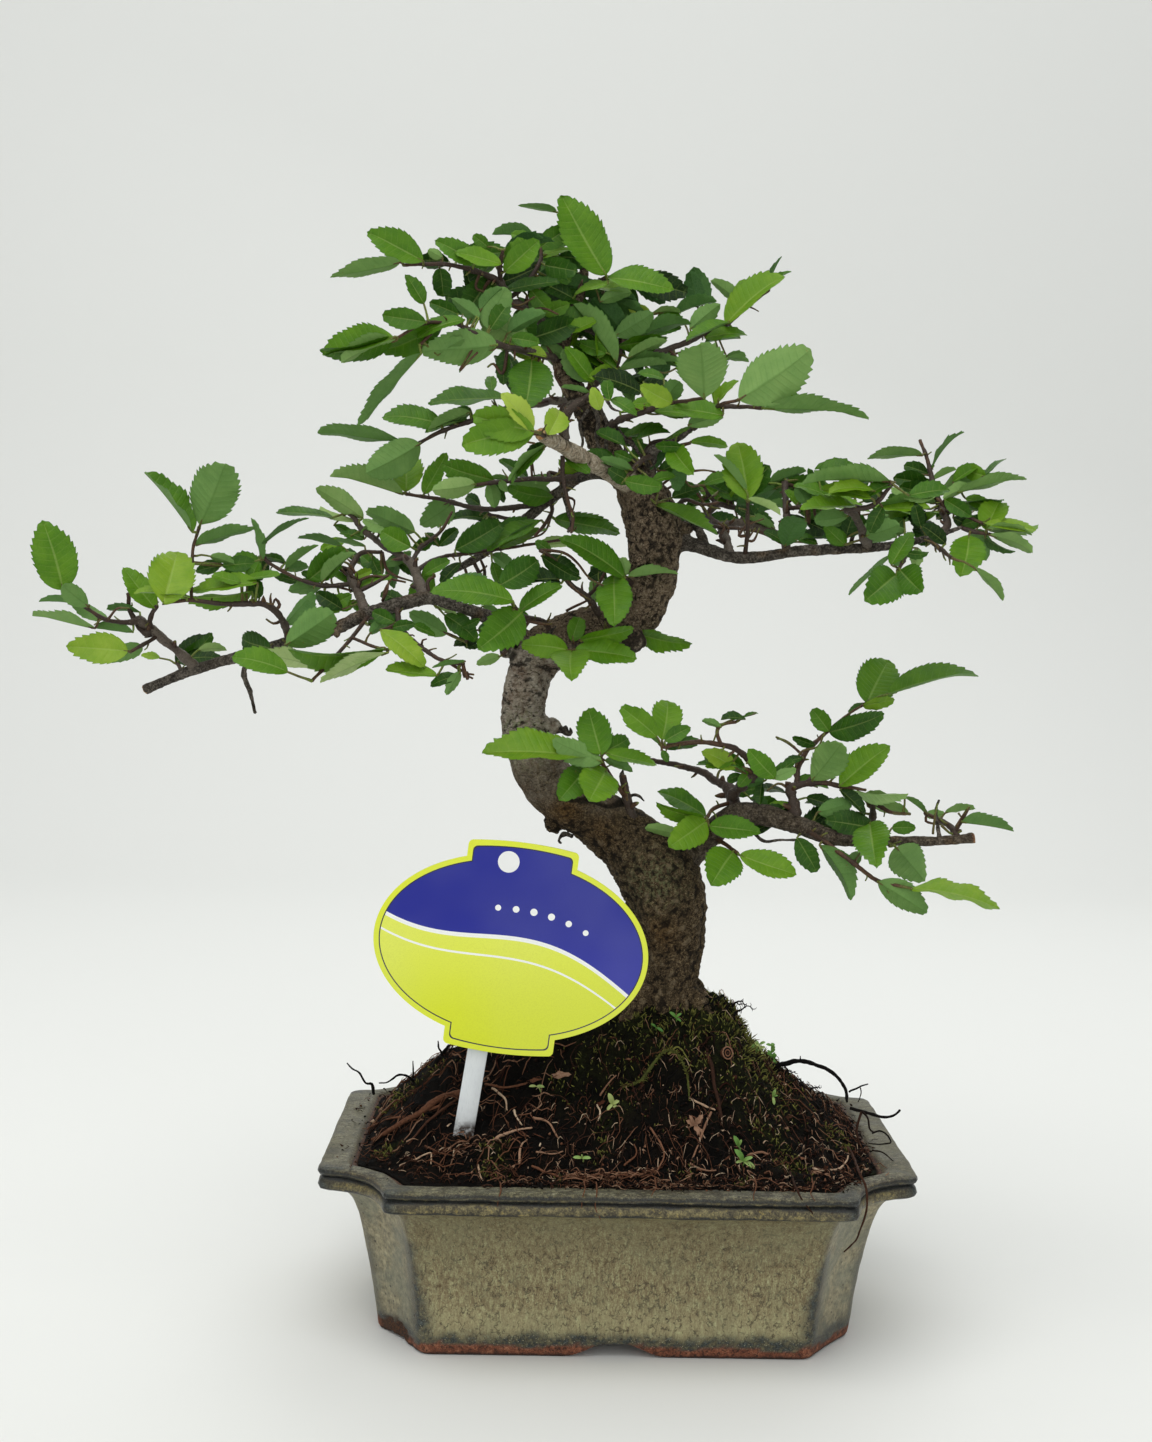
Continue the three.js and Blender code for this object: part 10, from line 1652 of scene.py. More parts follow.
def trunk():
    soup = Soup()
    lines = []
    for name, pts in WOOD.items():
        if name in ("x_low", "x_h", "x_g", "BB_a", "R_a", "x_stub2"):
            continue
        p = np.array(pts, float)
        if name == "trunk":
            p = p.copy()
            p[0, 3] = 13.4
        if name in SLIM:
            f = np.linspace(0, 1, len(p))
            p[:, 3] *= np.interp(f, [0, 0.12, 1.0], [1.0, *SLIM[name]])
        lines.append((name, resample(p, 1.6)))
    # knots, stumps of old shoots and the flare of the roots
    extra = {
        "k1": knob(507, 650, -1.0, 3.1, -3.4, -1.0, 0.6, 0.7),
        "k2": knob(634, 640, -4.0, 4.6, 6.0, -3.0, -2.0, 0.6),
        "k3": knob(554, 727, -2.0, 2.7, 7.0, -1.0, -2.8, 0.32),
        "k4": knob(553, 824, -3.0, 3.6, -2.6, -1.0, -2.4, 0.86),
        "k5": knob(575, 815, -9.0, 3.2, -1.0, -2.5, 0.6, 0.8),
        "k6": knob(631, 818, -3.0, 2.1, -1.0, 0.0, 4.0, 0.6),
        "k7": knob(649, 460, -3.0, 3.4, 3.2, -2.0, 1.0, 0.8),
        "k8": knob(683, 529, 4.0, 3.3, 5.0, 0.0, 0.8, 0.62),
        "k10": knob(585, 413, -2.0, 3.0, -1.5, -3.0, 2.4, 0.55),
        "k11": knob(700, 835, -9.0, 3.4, 3.0, -1.6, 0.5, 0.8),
        "k12": knob(640, 560, -9.5, 2.4, 0.6, -1.4, 0.4, 0.8),
        "k13": knob(660, 900, -13.5, 2.6, 1.0, -0.9, 0.8, 0.8),
        "k14": knob(530, 700, -8.5, 2.0, -0.6, -1.0, 0.5, 0.8),
        "b1": [[26, 4, 106, 7.5], [20, 14, 116, 6.0], [15, 17, 130, 3.0]],
        "f1": [[12, -3, 116, 3.8], [5, -8, 105, 3.4], [-3, -12, 95, 2.6]],
        "f2": [[27, -3, 112, 3.6], [33, -7, 102, 3.0], [40, -11, 92, 2.2]],
        "f3": [[20, -6, 110, 3.6], [21, -11, 102, 3.0], [22, -16, 93, 2.0]],
        "f4": [[27, 6, 113, 3.8], [34, 13, 103, 3.2], [41, 20, 93, 2.2]],
        "f5": [[13, 6, 115, 3.8], [5, 13, 104, 3.2], [-3, 20, 94, 2.2]],
    }
    for name, pts in extra.items():
        lines.append((name, resample(np.array(pts, float), 1.4)))
    for name, p in lines:
        q = p
        if name in CUTS:
            q = p.copy()
            far = np.linalg.norm(q[:, :3] - q[-1, :3], axis=1)
            q[:, 3] *= 1 + 0.10 * np.exp(-((far - 1.6) / 1.2) ** 2)
        v, f4, caps, _ = tube_parts(q, 20)
        if name in CUTS:
            v[-1] = q[-1, :3]
        soup.add(v, f4, caps)
    ob = soup.build("trunk_bark", [BARK])
    mod = ob.modifiers.new("remesh", "REMESH")
    mod.mode = "VOXEL"
    mod.voxel_size = 0.775 * MM
    mod.adaptivity = 0.0
    dg = bpy.context.evaluated_depsgraph_get()
    me = bpy.data.meshes.new_from_object(ob.evaluated_get(dg), depsgraph=dg)
    ob.modifiers.clear()
    ob.data = me
    ob.data.name = "trunk_bark"
    n = len(me.vertices)
    co = np.zeros(n * 3, np.float32)
    me.vertices.foreach_get("co", co)
    co = co.reshape(-1, 3).astype(float) / MM - SHIFT
    ed = np.zeros(len(me.edges) * 2, np.int32)
    me.edges.foreach_get("vertices", ed)
    a, b = ed.reshape(-1, 2).T
    deg = np.bincount(a, minlength=n) + np.bincount(b, minlength=n)

    def relax(x, k, keep=0.0):
        for _ in range(k):
            s = np.stack([np.bincount(a, x[b, j], n) + np.bincount(b, x[a, j], n) for j in range(x.shape[1])], 1)
            x = x + (s / deg[:, None] - x) * (0.5 if _ % 2 == 0 or not keep else -keep)
        return x

    co = relax(co, 6, 0.53)
    # nearest centre line, by distance beyond its radius
    cen = np.vstack([p[:, :3] for _, p in lines])
    rad = np.concatenate([p[:, 3] for _, p in lines])
    who = np.concatenate([np.full(len(p), i) for i, (_, p) in enumerate(lines)])
    tan, uu, ww, arc = [], [], [], []
    for _, p in lines:
        t, u, w = frames(p[:, :3])
        tan.append(t)
        uu.append(u)
        ww.append(w)
        arc.append(np.concatenate([[0], np.cumsum(np.linalg.norm(np.diff(p[:, :3], axis=0), axis=1))]))
    tan, uu, ww, arc = np.vstack(tan), np.vstack(uu), np.vstack(ww), np.concatenate(arc)
    near = np.zeros(n, np.int64)
    for s in range(0, n, 6000):
        c = co[s:s + 6000]
        d = (c ** 2).sum(1)[:, None] - 2 * c @ cen.T + (cen ** 2).sum(1)[None] - rad[None] ** 2
        near[s:s + 6000] = d.argmin(1)
    rel = co - cen[near]
    along = arc[near] + (rel * tan[near]).sum(1)
    flat = np.stack([(rel * uu[near]).sum(1), (rel * ww[near]).sum(1), along + 37.0 * who[near]], 1)
    r = rad[near]
    nor = np.zeros(n * 3, np.float32)
    me.vertices.foreach_set("co", ((co + SHIFT) * MM).astype(np.float32).ravel())
    me.update()
    me.vertices.foreach_get("normal", nor)
    nor = nor.reshape(-1, 3).astype(float)
    z = co[:, 2]
    main = np.isin(who[near], [i for i, (k, _) in enumerate(lines) if k == "trunk" or k[0] in "kfb" and k != "front_stub" and k != "back_left"])
    jit = 7 * fbm(co / 13, 2, 11)
    low = np.where(main, smoothstep(176 + 6, 168, z + jit), 0)
    pale = np.where(main, (0.30 * smoothstep(172, 184, z + jit) + 0.70 * smoothstep(187, 200, z + jit)) * smoothstep(242, 231, z + jit), 0)
    up = np.where(main, smoothstep(230, 243, z + jit), 0)
    branch = ~main
    frontstub = who[near] == [k for k, _ in lines].index("front_stub")
    lowbranch = who[near] == [k for k, _ in lines].index("low_right")
    pale = np.where(frontstub, smoothstep(4, 14, along) * 0.95, pale)
    rings = frontstub * np.exp(-((perlin(np.stack([0 * along, 0 * along, along / 2.2], 1), 77) + 0.10 * perlin(flat / 2.0, 78)) / 0.10) ** 2)
    thick = np.clip(r / 9.0, 0.12, 1.15)
    # relief
    d = np.zeros(n)
    d += 1.15 * fbm(flat / np.array([13, 13, 17.0]), 2, 21) * thick
    d += 0.75 * fbm(flat / np.array([4.6, 4.6, 6.5]), 2, 31) * thick ** 0.8
    f1, f2 = cells(flat / np.array([2.3, 2.3, 2.9]), 41)
    b1, b2 = cells(flat / np.array([3.6, 3.6, 4.2]), 43)
    lumps = 1 - np.minimum(b1 / 0.62, 1) ** 2
    small = perlin(flat / 2.4, 53)
    plate = np.minimum(f2 - f1, 0.42) / 0.42
    gran = perlin(flat / 1.5, 51)
    g1, _ = cells(flat / np.array([5.2, 5.2, 4.4]), 61)
    pits = np.exp(-(g1 / 0.15) ** 2)
    ring = np.exp(-((g1 - 0.26) / 0.08) ** 2)
    across = perlin(flat / np.array([4.6, 4.6, 1.05]), 71)
    across2 = perlin(flat / np.array([3.0, 3.0, 0.85]) + 5, 72)
    lines_ = smoothstep(0.26, 0.42, across) + 0.8 * smoothstep(0.28, 0.42, across2)
    worm = 1 - np.minimum(np.abs(perlin(flat / np.array([2.3, 2.3, 3.4]), 81)) * 5.0, 1)
    worm2 = 1 - np.minimum(np.abs(perlin(flat / np.array([1.9, 1.9, 2.5]) + 3, 82)) * 4.0, 1)
    fine = np.zeros(n)
    fine += low * (0.44 * (plate - 0.6) + 0.36 * gran - 0.30 * pits + 0.40 * (lumps - 0.45) + 0.34 * small)
    fine += pale * (-0.26 * lines_ - 0.75 * pits + 0.24 * ring + 0.24 * gran + 0.22 * small + 0.16 * (plate - 0.6))
    fine += up * (0.38 * (plate - 0.6) - 0.22 * worm + 0.40 * gran + 0.30 * small + 0.20 * (lumps - 0.45))
    fine += branch * thick ** 0.6 * (0.30 * (plate - 0.6) - 0.12 * lines_ + 0.30 * gran - 0.25 * pits + 0.30 * small) * 0.9
    # named cracks, seen from the front
    crack = np.zeros(n)
    for px, py, nx, wid, deep in ((540, 668, 0.9, 0.5, 0.5), (530, 645, 0.7, 0.6, 0.35), (596, 800, 1.2, 0.8, 0.8)):
        c = at_y(px, py, -8)
        crack += deep * np.exp(-(((z - c[2]) + 1.4 * perlin(flat / 6, 91) + 0.12 * (co[:, 0] - c[0])) / wid) ** 2) * smoothstep(17, 11, np.abs(co[:, 0] - c[0])) * main
    fine -= crack
    fine = np.where(frontstub, 0.10 * gran + 0.14 * small - 0.30 * rings * smoothstep(6, 14, along), fine)
    disp = d + fine
    cut = np.zeros(n)
    rim = np.zeros(n)
    for name, red in CUTS.items():
        p = dict(lines)[name]
        e, dr, rr = p[-1, :3], unit(p[-1, :3] - p[-4, :3]), p[-1, 3]
        q = co - e
        h = q @ dr
        on = smoothstep(-1.25, -0.7, h) * (np.linalg.norm(q, axis=1) < rr * 1.7)
        radial = np.linalg.norm(q - h[:, None] * dr, axis=1)
        cut = np.maximum(cut, on * smoothstep(rr * 1.02, rr * 0.86, radial))
        rim = np.maximum(rim, red * on)
    disp *= 1 - cut * 0.85
    limit = 0.42 * r + 0.15
    disp = np.clip(disp, -limit, limit)
    co2 = co + nor * disp[:, None]
    me.vertices.foreach_set("co", ((co2 + SHIFT) * MM).astype(np.float32).ravel())
    front = at_y(566, 808, -9)
    warm = 0.95 * np.exp(-(np.linalg.norm((co - front) * np.array([1, 0.7, 1.15]), axis=1) / 5.2) ** 2)
    for px, py, y, w, s in ((568, 452, -38, 0.75, 2.2), (536, 664, -10, 0.55, 4.5), (660, 935, -13, 0.5, 6.0), (520, 688, -9, 0.35, 5.0), (600, 830, -12, 0.35, 6.0)):
        warm = np.maximum(warm, w * np.exp(-(np.linalg.norm(co - at_y(px, py, y), axis=1) / s) ** 2))
    warm = np.maximum(warm, 0.35 * branch * smoothstep(0.15, 0.4, perlin(flat / 9, 95)) * smoothstep(4, 2, r))
    moss = 0.9 * np.exp(-(np.linalg.norm((co - at_y(522, 738, -9)) * np.array([1, 0.6, 1]), axis=1) / 8.0) ** 2)
    moss = np.maximum(moss, 0.5 * np.exp(-(np.linalg.norm(co - at_y(655, 880, -12), axis=1) / 9.0) ** 2))
    # painted shade: dark patches round the knots and the bases of stubs, where the bark lies in creases; they lower
    # relief below
    dark = np.zeros(n)
    for px, py, y, s in ((553, 824, -4, 4.6), (629, 800, -3, 5.5), (634, 642, -5, 6.5), (507, 650, -2, 3.6), (566, 733, -2, 4.2), (580, 413, 0, 9.0), (649, 460, -4, 3.6), (637, 770, -3, 7.0)):
        dark = np.maximum(dark, np.exp(-(np.linalg.norm(co - at_y(px, py, y), axis=1) / s) ** 2.6))
    relief = np.clip(0.5 + fine / 0.9 - 0.42 * dark - 0.11 * lowbranch * smoothstep(3, 12, along), 0, 1)
    zone = np.clip(np.where(branch, 0.30 + 0.25 * perlin(co / 20, 97), 0) + pale, 0, 1)
    zone = np.where(lowbranch, 0.12, zone)
    zone = np.where(frontstub, 0.9 * smoothstep(6, 16, along), zone)
    limb = np.where(branch & ~frontstub, smoothstep(3, 12, along) * np.where(lowbranch, 0.45, 0.9), 0.0)
    values = dict(pale=zone, fissured=np.clip(up * 0.9 + (branch & ~frontstub) * 0.25, 0, 1), relief=relief, cut=cut, warm=np.clip(warm, 0, 1),
                  moss=moss, cutrim=rim, limb=limb, ashen=np.where(frontstub, 0.95 * smoothstep(2.5, 7, along), 0.0))
    for k, x in values.items():
        at = me.attributes.new(k, "FLOAT", "POINT")
        at.data.foreach_set("value", np.asarray(x, np.float32))
    me.polygons.foreach_set("use_smooth", np.ones(len(me.polygons), bool))
    me.materials.clear()
    me.materials.append(BARK)
    me.update()
    COUNT["trunk_bark"] = 2 * len(me.polygons)
    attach(ob, "root")
    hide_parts("trunk")

    # thin dead twigs and stubs that belong to the wood
    twigs = Soup("pale", "fissured", "relief", "cut", "warm", "moss", "cutrim", "limb")
    thin = [WOOD[k] for k in ("x_low", "x_h", "x_g", "BB_a", "R_a")]
    at = at_y
    thin += [
        [[*at(630, 815, -3), 2.3], [*at(627, 800, -4), 1.7], [*at(624, 786, -4), 1.2], [*at(622, 776, -4.5), 0.9], [*at(623, 770, -5), 0.35]],
        [[*at(627, 799, -4), 0.8], [*at(633, 795, -6), 0.6], [*at(639, 796, -7), 0.5], [*at(644, 801, -7), 0.25]],
        [[*at(563, 729, -3), 1.6], [*at(568, 733, -4), 1.1], [*at(571, 732, -4.5), 0.7], [*at(570, 728, -4.5), 0.35]],
        [[*at(572, 836, -6), 0.9], [*at(566, 834, -8), 0.85], [*at(561, 836, -8.5), 0.75], [*at(559, 841, -8), 0.6], [*at(561, 843, -7), 0.3]],
        [[*at(548, 640, -8), 0.7], [*at(551, 632, -10), 0.55], [*at(556, 626, -11), 0.3]],
        [[*at(597, 560, -7), 0.8], [*at(592, 552, -9), 0.6], [*at(590, 544, -10), 0.3]],
        [[*at(582, 400, -6), 1.0], [*at(570, 404, -9), 1.0], [*at(562, 418, -12), 1.1], [*at(562, 434, -14), 1.15], [*at(567, 450, -16), 1.0], [*at(571, 459, -17), 0.4]],
        [[*at(592, 400, -6), 0.8], [*at(598, 420, -8), 0.8], [*at(597, 440, -9), 0.7], [*at(602, 456, -9), 0.35]],
        [[*at(598, 404, -5), 0.7], [*at(607, 424, -6), 0.7], [*at(606, 446, -7), 0.6], [*at(611, 462, -8), 0.3]],
        [[*at(588, 410, -7), 0.6], [*at(580, 424, -10), 0.6], [*at(583, 442, -11), 0.5], [*at(579, 452, -12), 0.25]],
        [[*at(611, 420, -5), 0.8], [*at(622, 436, -6), 0.9], [*at(634, 446, -8), 0.8], [*at(644, 462, -9), 0.4]],
        [[*at(622, 436, -6), 0.6], [*at(626, 452, -8), 0.6], [*at(622, 466, -9), 0.3]],
        [[*at(606, 446, -7), 0.5], [*at(594, 458, -9), 0.5], [*at(586, 470, -9), 0.25]],
        [[*at(604, 395, -4), 0.6], [*at(612, 408, -6), 0.5], [*at(622, 412, -7), 0.25]],
    ]
    for i, line in enumerate(thin):
        p = resample(np.array(line, float), 0.9)
        p[:, 3] *= 1 + 0.30 * perlin(p[:, :3] / 1.9, 101)
        v, f4, caps, _ = tube_parts(p, 12, 0.4, 7)
        twigs.add(v, f4, caps, relief=0.36 + 0.4 * perlin(v / 1.2, 103), pale=0.0, fissured=0.2, limb=0.85)
    ob2 = twigs.build("dead_twigs", [BARK])
    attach(ob2, "root")


trunk()


# ------------------------------------------------------------------ outline shared by pot and soil
def outline(hw, hd, yc, wf, c, na=10, nb=14, nc=24, soft=2):
    """Rectangle with indented corners, anticlockwise from (hw, 0); all arguments in millimetres."""
    dx, dy = hw - wf, hd - yc
    side = np.stack([np.full(na, hw), np.linspace(0, yc, na, endpoint=False)], 1)
    f = np.linspace(0, math.pi / 2, nb, endpoint=False)
    s = np.linspace(0, 1, nb, endpoint=False)
    bx = s + (np.sin(f) - s) * c
    by = s + (1 - np.cos(f) - s) * c
    corner = np.stack([hw - dx * bx, yc + dy * by], 1)
    front = np.stack([np.linspace(wf, 0, nc, endpoint=False), np.full(nc, hd)], 1)
    q = np.vstack([side, corner, front])
    top = np.array([[0.0, hd]])
    left = q[1:][::-1] * [-1, 1]
    ring = np.vstack([q, top, left, [[-hw, 0.0]], q[1:] * [-1, -1], top * [1, -1], (q[1:][::-1]) * [1, -1]])
    for _ in range(soft):
        ring = 0.5 * ring + 0.25 * (np.roll(ring, 1, 0) + np.roll(ring, -1, 0))
    return ring


CAVITY = [(9, 70, 45, 26, 55, 0.1), (14, 74.5, 49.5, 29.5, 57.5, 0.15), (30, 77.5, 53.5, 32, 59.5, 0.2),
          (45, 80.5, 58.5, 36, 62, 0.3), (54, 84, 63.5, 41, 66, 0.4), (60.2, 87.6, 68, 46, 69.5, 0.5), (62.6, 89, 69.4, 47, 70.6, 0.5)]
RIDGE = np.array([[-90, 0], [-87, .02], [-76, .28], [-66, .45], [-59, .56], [-40, .72], [-20, .88], [0, .97], [19, 1], [38, .97],
                  [42, .91], [46, .74], [55, .54], [66, .37], [77, .19], [86, .02], [90, 0]])
EDGE = outline(87.2, 67.6, 45.6, 69.1, 0.5, 14, 18, 40, 3)
_ang = np.arctan2(EDGE[:, 1], EDGE[:, 0] - 19)
_rad = np.hypot(EDGE[:, 0] - 19, EDGE[:, 1])
_o = np.argsort(_ang)
_ang, _rad = _ang[_o], _rad[_o]


def share(x, y):
    """0 at the trunk, 1 at the pot's wall."""
    a = np.arctan2(y, x - 19)
    return np.hypot(x - 19, y) / np.interp(a, _ang, _rad, period=2 * math.pi)


def mound(x, y):
    ax = np.abs(x)
    reach = np.where(ax < 69, 67, np.maximum(20, 67 - (ax - 69) * 1.3))
    t = np.minimum(1, np.abs(y) / reach)
    return 60.9 + 50.6 * np.interp(x, RIDGE[:, 0], RIDGE[:, 1]) * (1 + np.cos(math.pi * t ** 0.92)) / 2


def ground(x, y):
    """Height of the peat's clumpy surface."""
    x, y = np.atleast_1d(np.asarray(x, float)), np.atleast_1d(np.asarray(y, float))
    p = np.stack([x, y, np.zeros_like(x)], 1)
    s = share(x, y)
    fade = smoothstep(1.0, 0.93, s)
    f1, _ = cells(p / 5.2, 5)
    g1, _ = cells(p / 2.2, 6)
    d = 2.6 * fbm(p / 13, 2, 7) + 1.9 * fbm(p / 4.6, 2, 8) + 1.9 * (0.45 - f1) + 1.2 * (0.45 - g1) + 0.5 * perlin(p / 1.2, 9)
    swell = 1.1 * smoothstep(1.0, 0.95, s) * smoothstep(0.62, 0.85, s)
    top = 3.2 * np.exp(-(np.hypot(x - 19, y) / 17) ** 4)
    return mound(x, y) + (d - 0.5) * fade + swell - 0.3 - top * 0


def hit(px, py, lift=0.0):
    """Where the line of sight through a pixel meets the ground."""
    d = unit(FWD + (px - 576) / FOCAL * RIGHT + (721 - py) / FOCAL * UP)
    t = np.linspace(560, 760, 1200)
    q = CAM + t[:, None] * d
    inside = share(q[:, 0], q[:, 1]) < 1.0
    gap = q[:, 2] - ground(q[:, 0], q[:, 1])
    ok = inside & (gap < 0)
    if ok.any() or not inside.any():
        i = int(np.argmax(ok)) if ok.any() else int(np.argmin(np.abs(q[:, 1] + 66)))
        return q[i] + np.array([0, 0, lift])
    # a line of sight that clears the mound: the ground below its nearest pass
    i = int(np.argmin(np.where(inside, gap, 1e9)))
    return q[i] + np.array([0, 0, lift - max(gap[i] - 0.4, 0)])


def soil_material():
    m = Mat("peat", 0.95, 0.12)
    wet, moss = m.attr("wet"), m.attr("moss")
    obj = m.coords()
    big, mid, fine = m.noise(obj, 0.09, 4, 0.65), m.noise(obj, 0.6, 4, 0.7), m.noise(obj, 2.2, 4, 0.75)
    t = m.math("ADD", m.math("MULTIPLY", mid, 0.5), m.math("MULTIPLY", fine, 0.5))
    col = m.ramp(t, [(0.32, "#020101"), (0.48, "#060403"), (0.58, "#100b08"), (0.66, "#231811"), (0.75, "#423023"), (0.87, "#745f4b")])
    col = m.mix(m.range(big, 0.5, 0.62, 0.0, 0.4, True), col, m.mix(0.4, col, "#2b2011"))
    col = m.mix(m.math("MULTIPLY", moss, m.range(mid, 0.4, 0.6, 0.3, 1.0)), col, m.ramp(fine, [(0.3, "#0e1205"), (0.55, "#2a3110"), (0.75, "#565c24")]))
    # painted shade: the peat is darkened where this value is low, mostly in the gaps between the clumps
    col = m.mix(m.range(wet, 0.5, 0.0, 0.0, 0.85), col, "#050302")
    h = m.math("ADD", m.math("MULTIPLY", fine, 1.0), m.math("MULTIPLY", mid, 0.6))
    return m.out(col, m.range(fine, 0.3, 0.7, 0.8, 1.0), m.bump(h, 1.0, 1.1))


def litter_material(name="litter", rough=0.85):
    m = Mat(name, rough, 0.15)
    tone, rnd = m.attr("tone"), m.attr("rnd")
    obj = m.coords()
    n = m.noise(obj, 1.6, 3, 0.6)
    t = m.math("ADD", tone, m.math("MULTIPLY", m.math("SUBTRACT", n, 0.5), 0.25), True)
    col = m.ramp(t, [(0.0, "#030202"), (0.17, "#0b0806"), (0.36, "#1f130d"), (0.52, "#43291c"), (0.64, "#6c4733"), (0.80, "#90705a"), (1.0, "#cfba9e")])
    col = m.mix(m.range(rnd, 0.82, 1.0, 0.0, 0.30), col, "#5c2c1a")
    return m.out(col, rough, m.bump(m.noise(obj, 3.0, 2, 0.6), 0.4, 0.2))


def moss_material():
    m = Mat("moss", 0.8, 0.2)
    tone, tip = m.attr("tone"), m.attr("rnd")
    obj = m.coords()
    n = m.noise(obj, 0.35, 3, 0.6)
    t = m.math("ADD", m.math("MULTIPLY", tone, 0.6), m.math("MULTIPLY", n, 0.4), True)
    col = m.ramp(t, [(0.1, "#0c0f05"), (0.35, "#1f260c"), (0.55, "#3b4318"), (0.75, "#696a2d"), (0.95, "#9c964f")])
    col = m.mix(m.math("MULTIPLY", tip, 0.45), col, "#a9a353")
    return m.out(col, 0.8, m.bump(m.noise(obj, 4.0, 2, 0.6), 0.4, 0.15))


PEAT = soil_material()
LITTER = litter_material()
MOSS = moss_material()
SPROUT = Mat("sprout", 0.5, 0.4)
_t = SPROUT.attr("tone")
_n = SPROUT.noise(SPROUT.coords(), 0.9, 3, 0.6)
SPROUT = SPROUT.out(SPROUT.ramp(SPROUT.math("ADD", _t, SPROUT.math("MULTIPLY", _n, 0.3)), [(0.1, "#1f3d10"), (0.5, "#3f6f24"), (0.8, "#689343"), (1.1, "#9aa763")]),
                    0.5, SPROUT.bump(_n, 0.4, 0.2))


def mossy(x, y):
    """How mossy the ground is: the bank to the right of the trunk, a belt round its foot, patches elsewhere."""
    p = np.stack([np.asarray(x, float), np.asarray(y, float), np.zeros_like(x, float)], 1)
    bank = np.exp(-(np.hypot((x - 45) / 16, (y + 8) / 26)) ** 2)
    foot = np.exp(-((np.hypot(x - 19, y) - 17) / 8) ** 2) * 0.8
    left = 0.45 * np.exp(-(np.hypot((x + 4) / 18, (y + 22) / 16)) ** 2)
    patch = smoothstep(0.12, 0.42, fbm(p / 16, 2, 19)) * 0.6
    return np.clip(np.maximum(np.maximum(bank, foot), np.maximum(patch, left)), 0, 1)


def ribbon_batch(path, rad, sides=3):
    """Many thin tubes at once. path: tubes x points x 3; rad: tubes x points."""
    n, s, _ = path.shape
    t = units(np.gradient(path, axis=1))
    ref = np.where(np.abs(t[..., 2:3]) > 0.9, np.array([1.0, 0, 0]), np.array([0, 0, 1.0]))
    u = units(np.cross(t, ref))
    w = np.cross(t, u)
    a = 2 * math.pi * np.arange(sides) / sides
    v = path[:, :, None, :] + rad[:, :, None, None] * (np.cos(a)[None, None, :, None] * u[:, :, None] + np.sin(a)[None, None, :, None] * w[:, :, None])
    v = v.reshape(-1, 3)
    base = (np.arange(n) * s * sides)[:, None, None] + (np.arange(s - 1) * sides)[None, :, None]
    k = np.arange(sides)[None, None, :]
    k2 = (k + 1) % sides
    f4 = np.stack([base + k, base + k2, base + sides + k2, base + sides + k], -1).reshape(-1, 4)
    b0 = (np.arange(n) * s * sides)[:, None]
    b1 = b0 + (s - 1) * sides
    caps = []
    for j in range(1, sides - 1):
        caps.append(np.concatenate([b0, b0 + j + 1, b0 + j], 1))
        caps.append(np.concatenate([b1, b1 + j, b1 + j + 1], 1))
    return v, f4, np.vstack(caps)


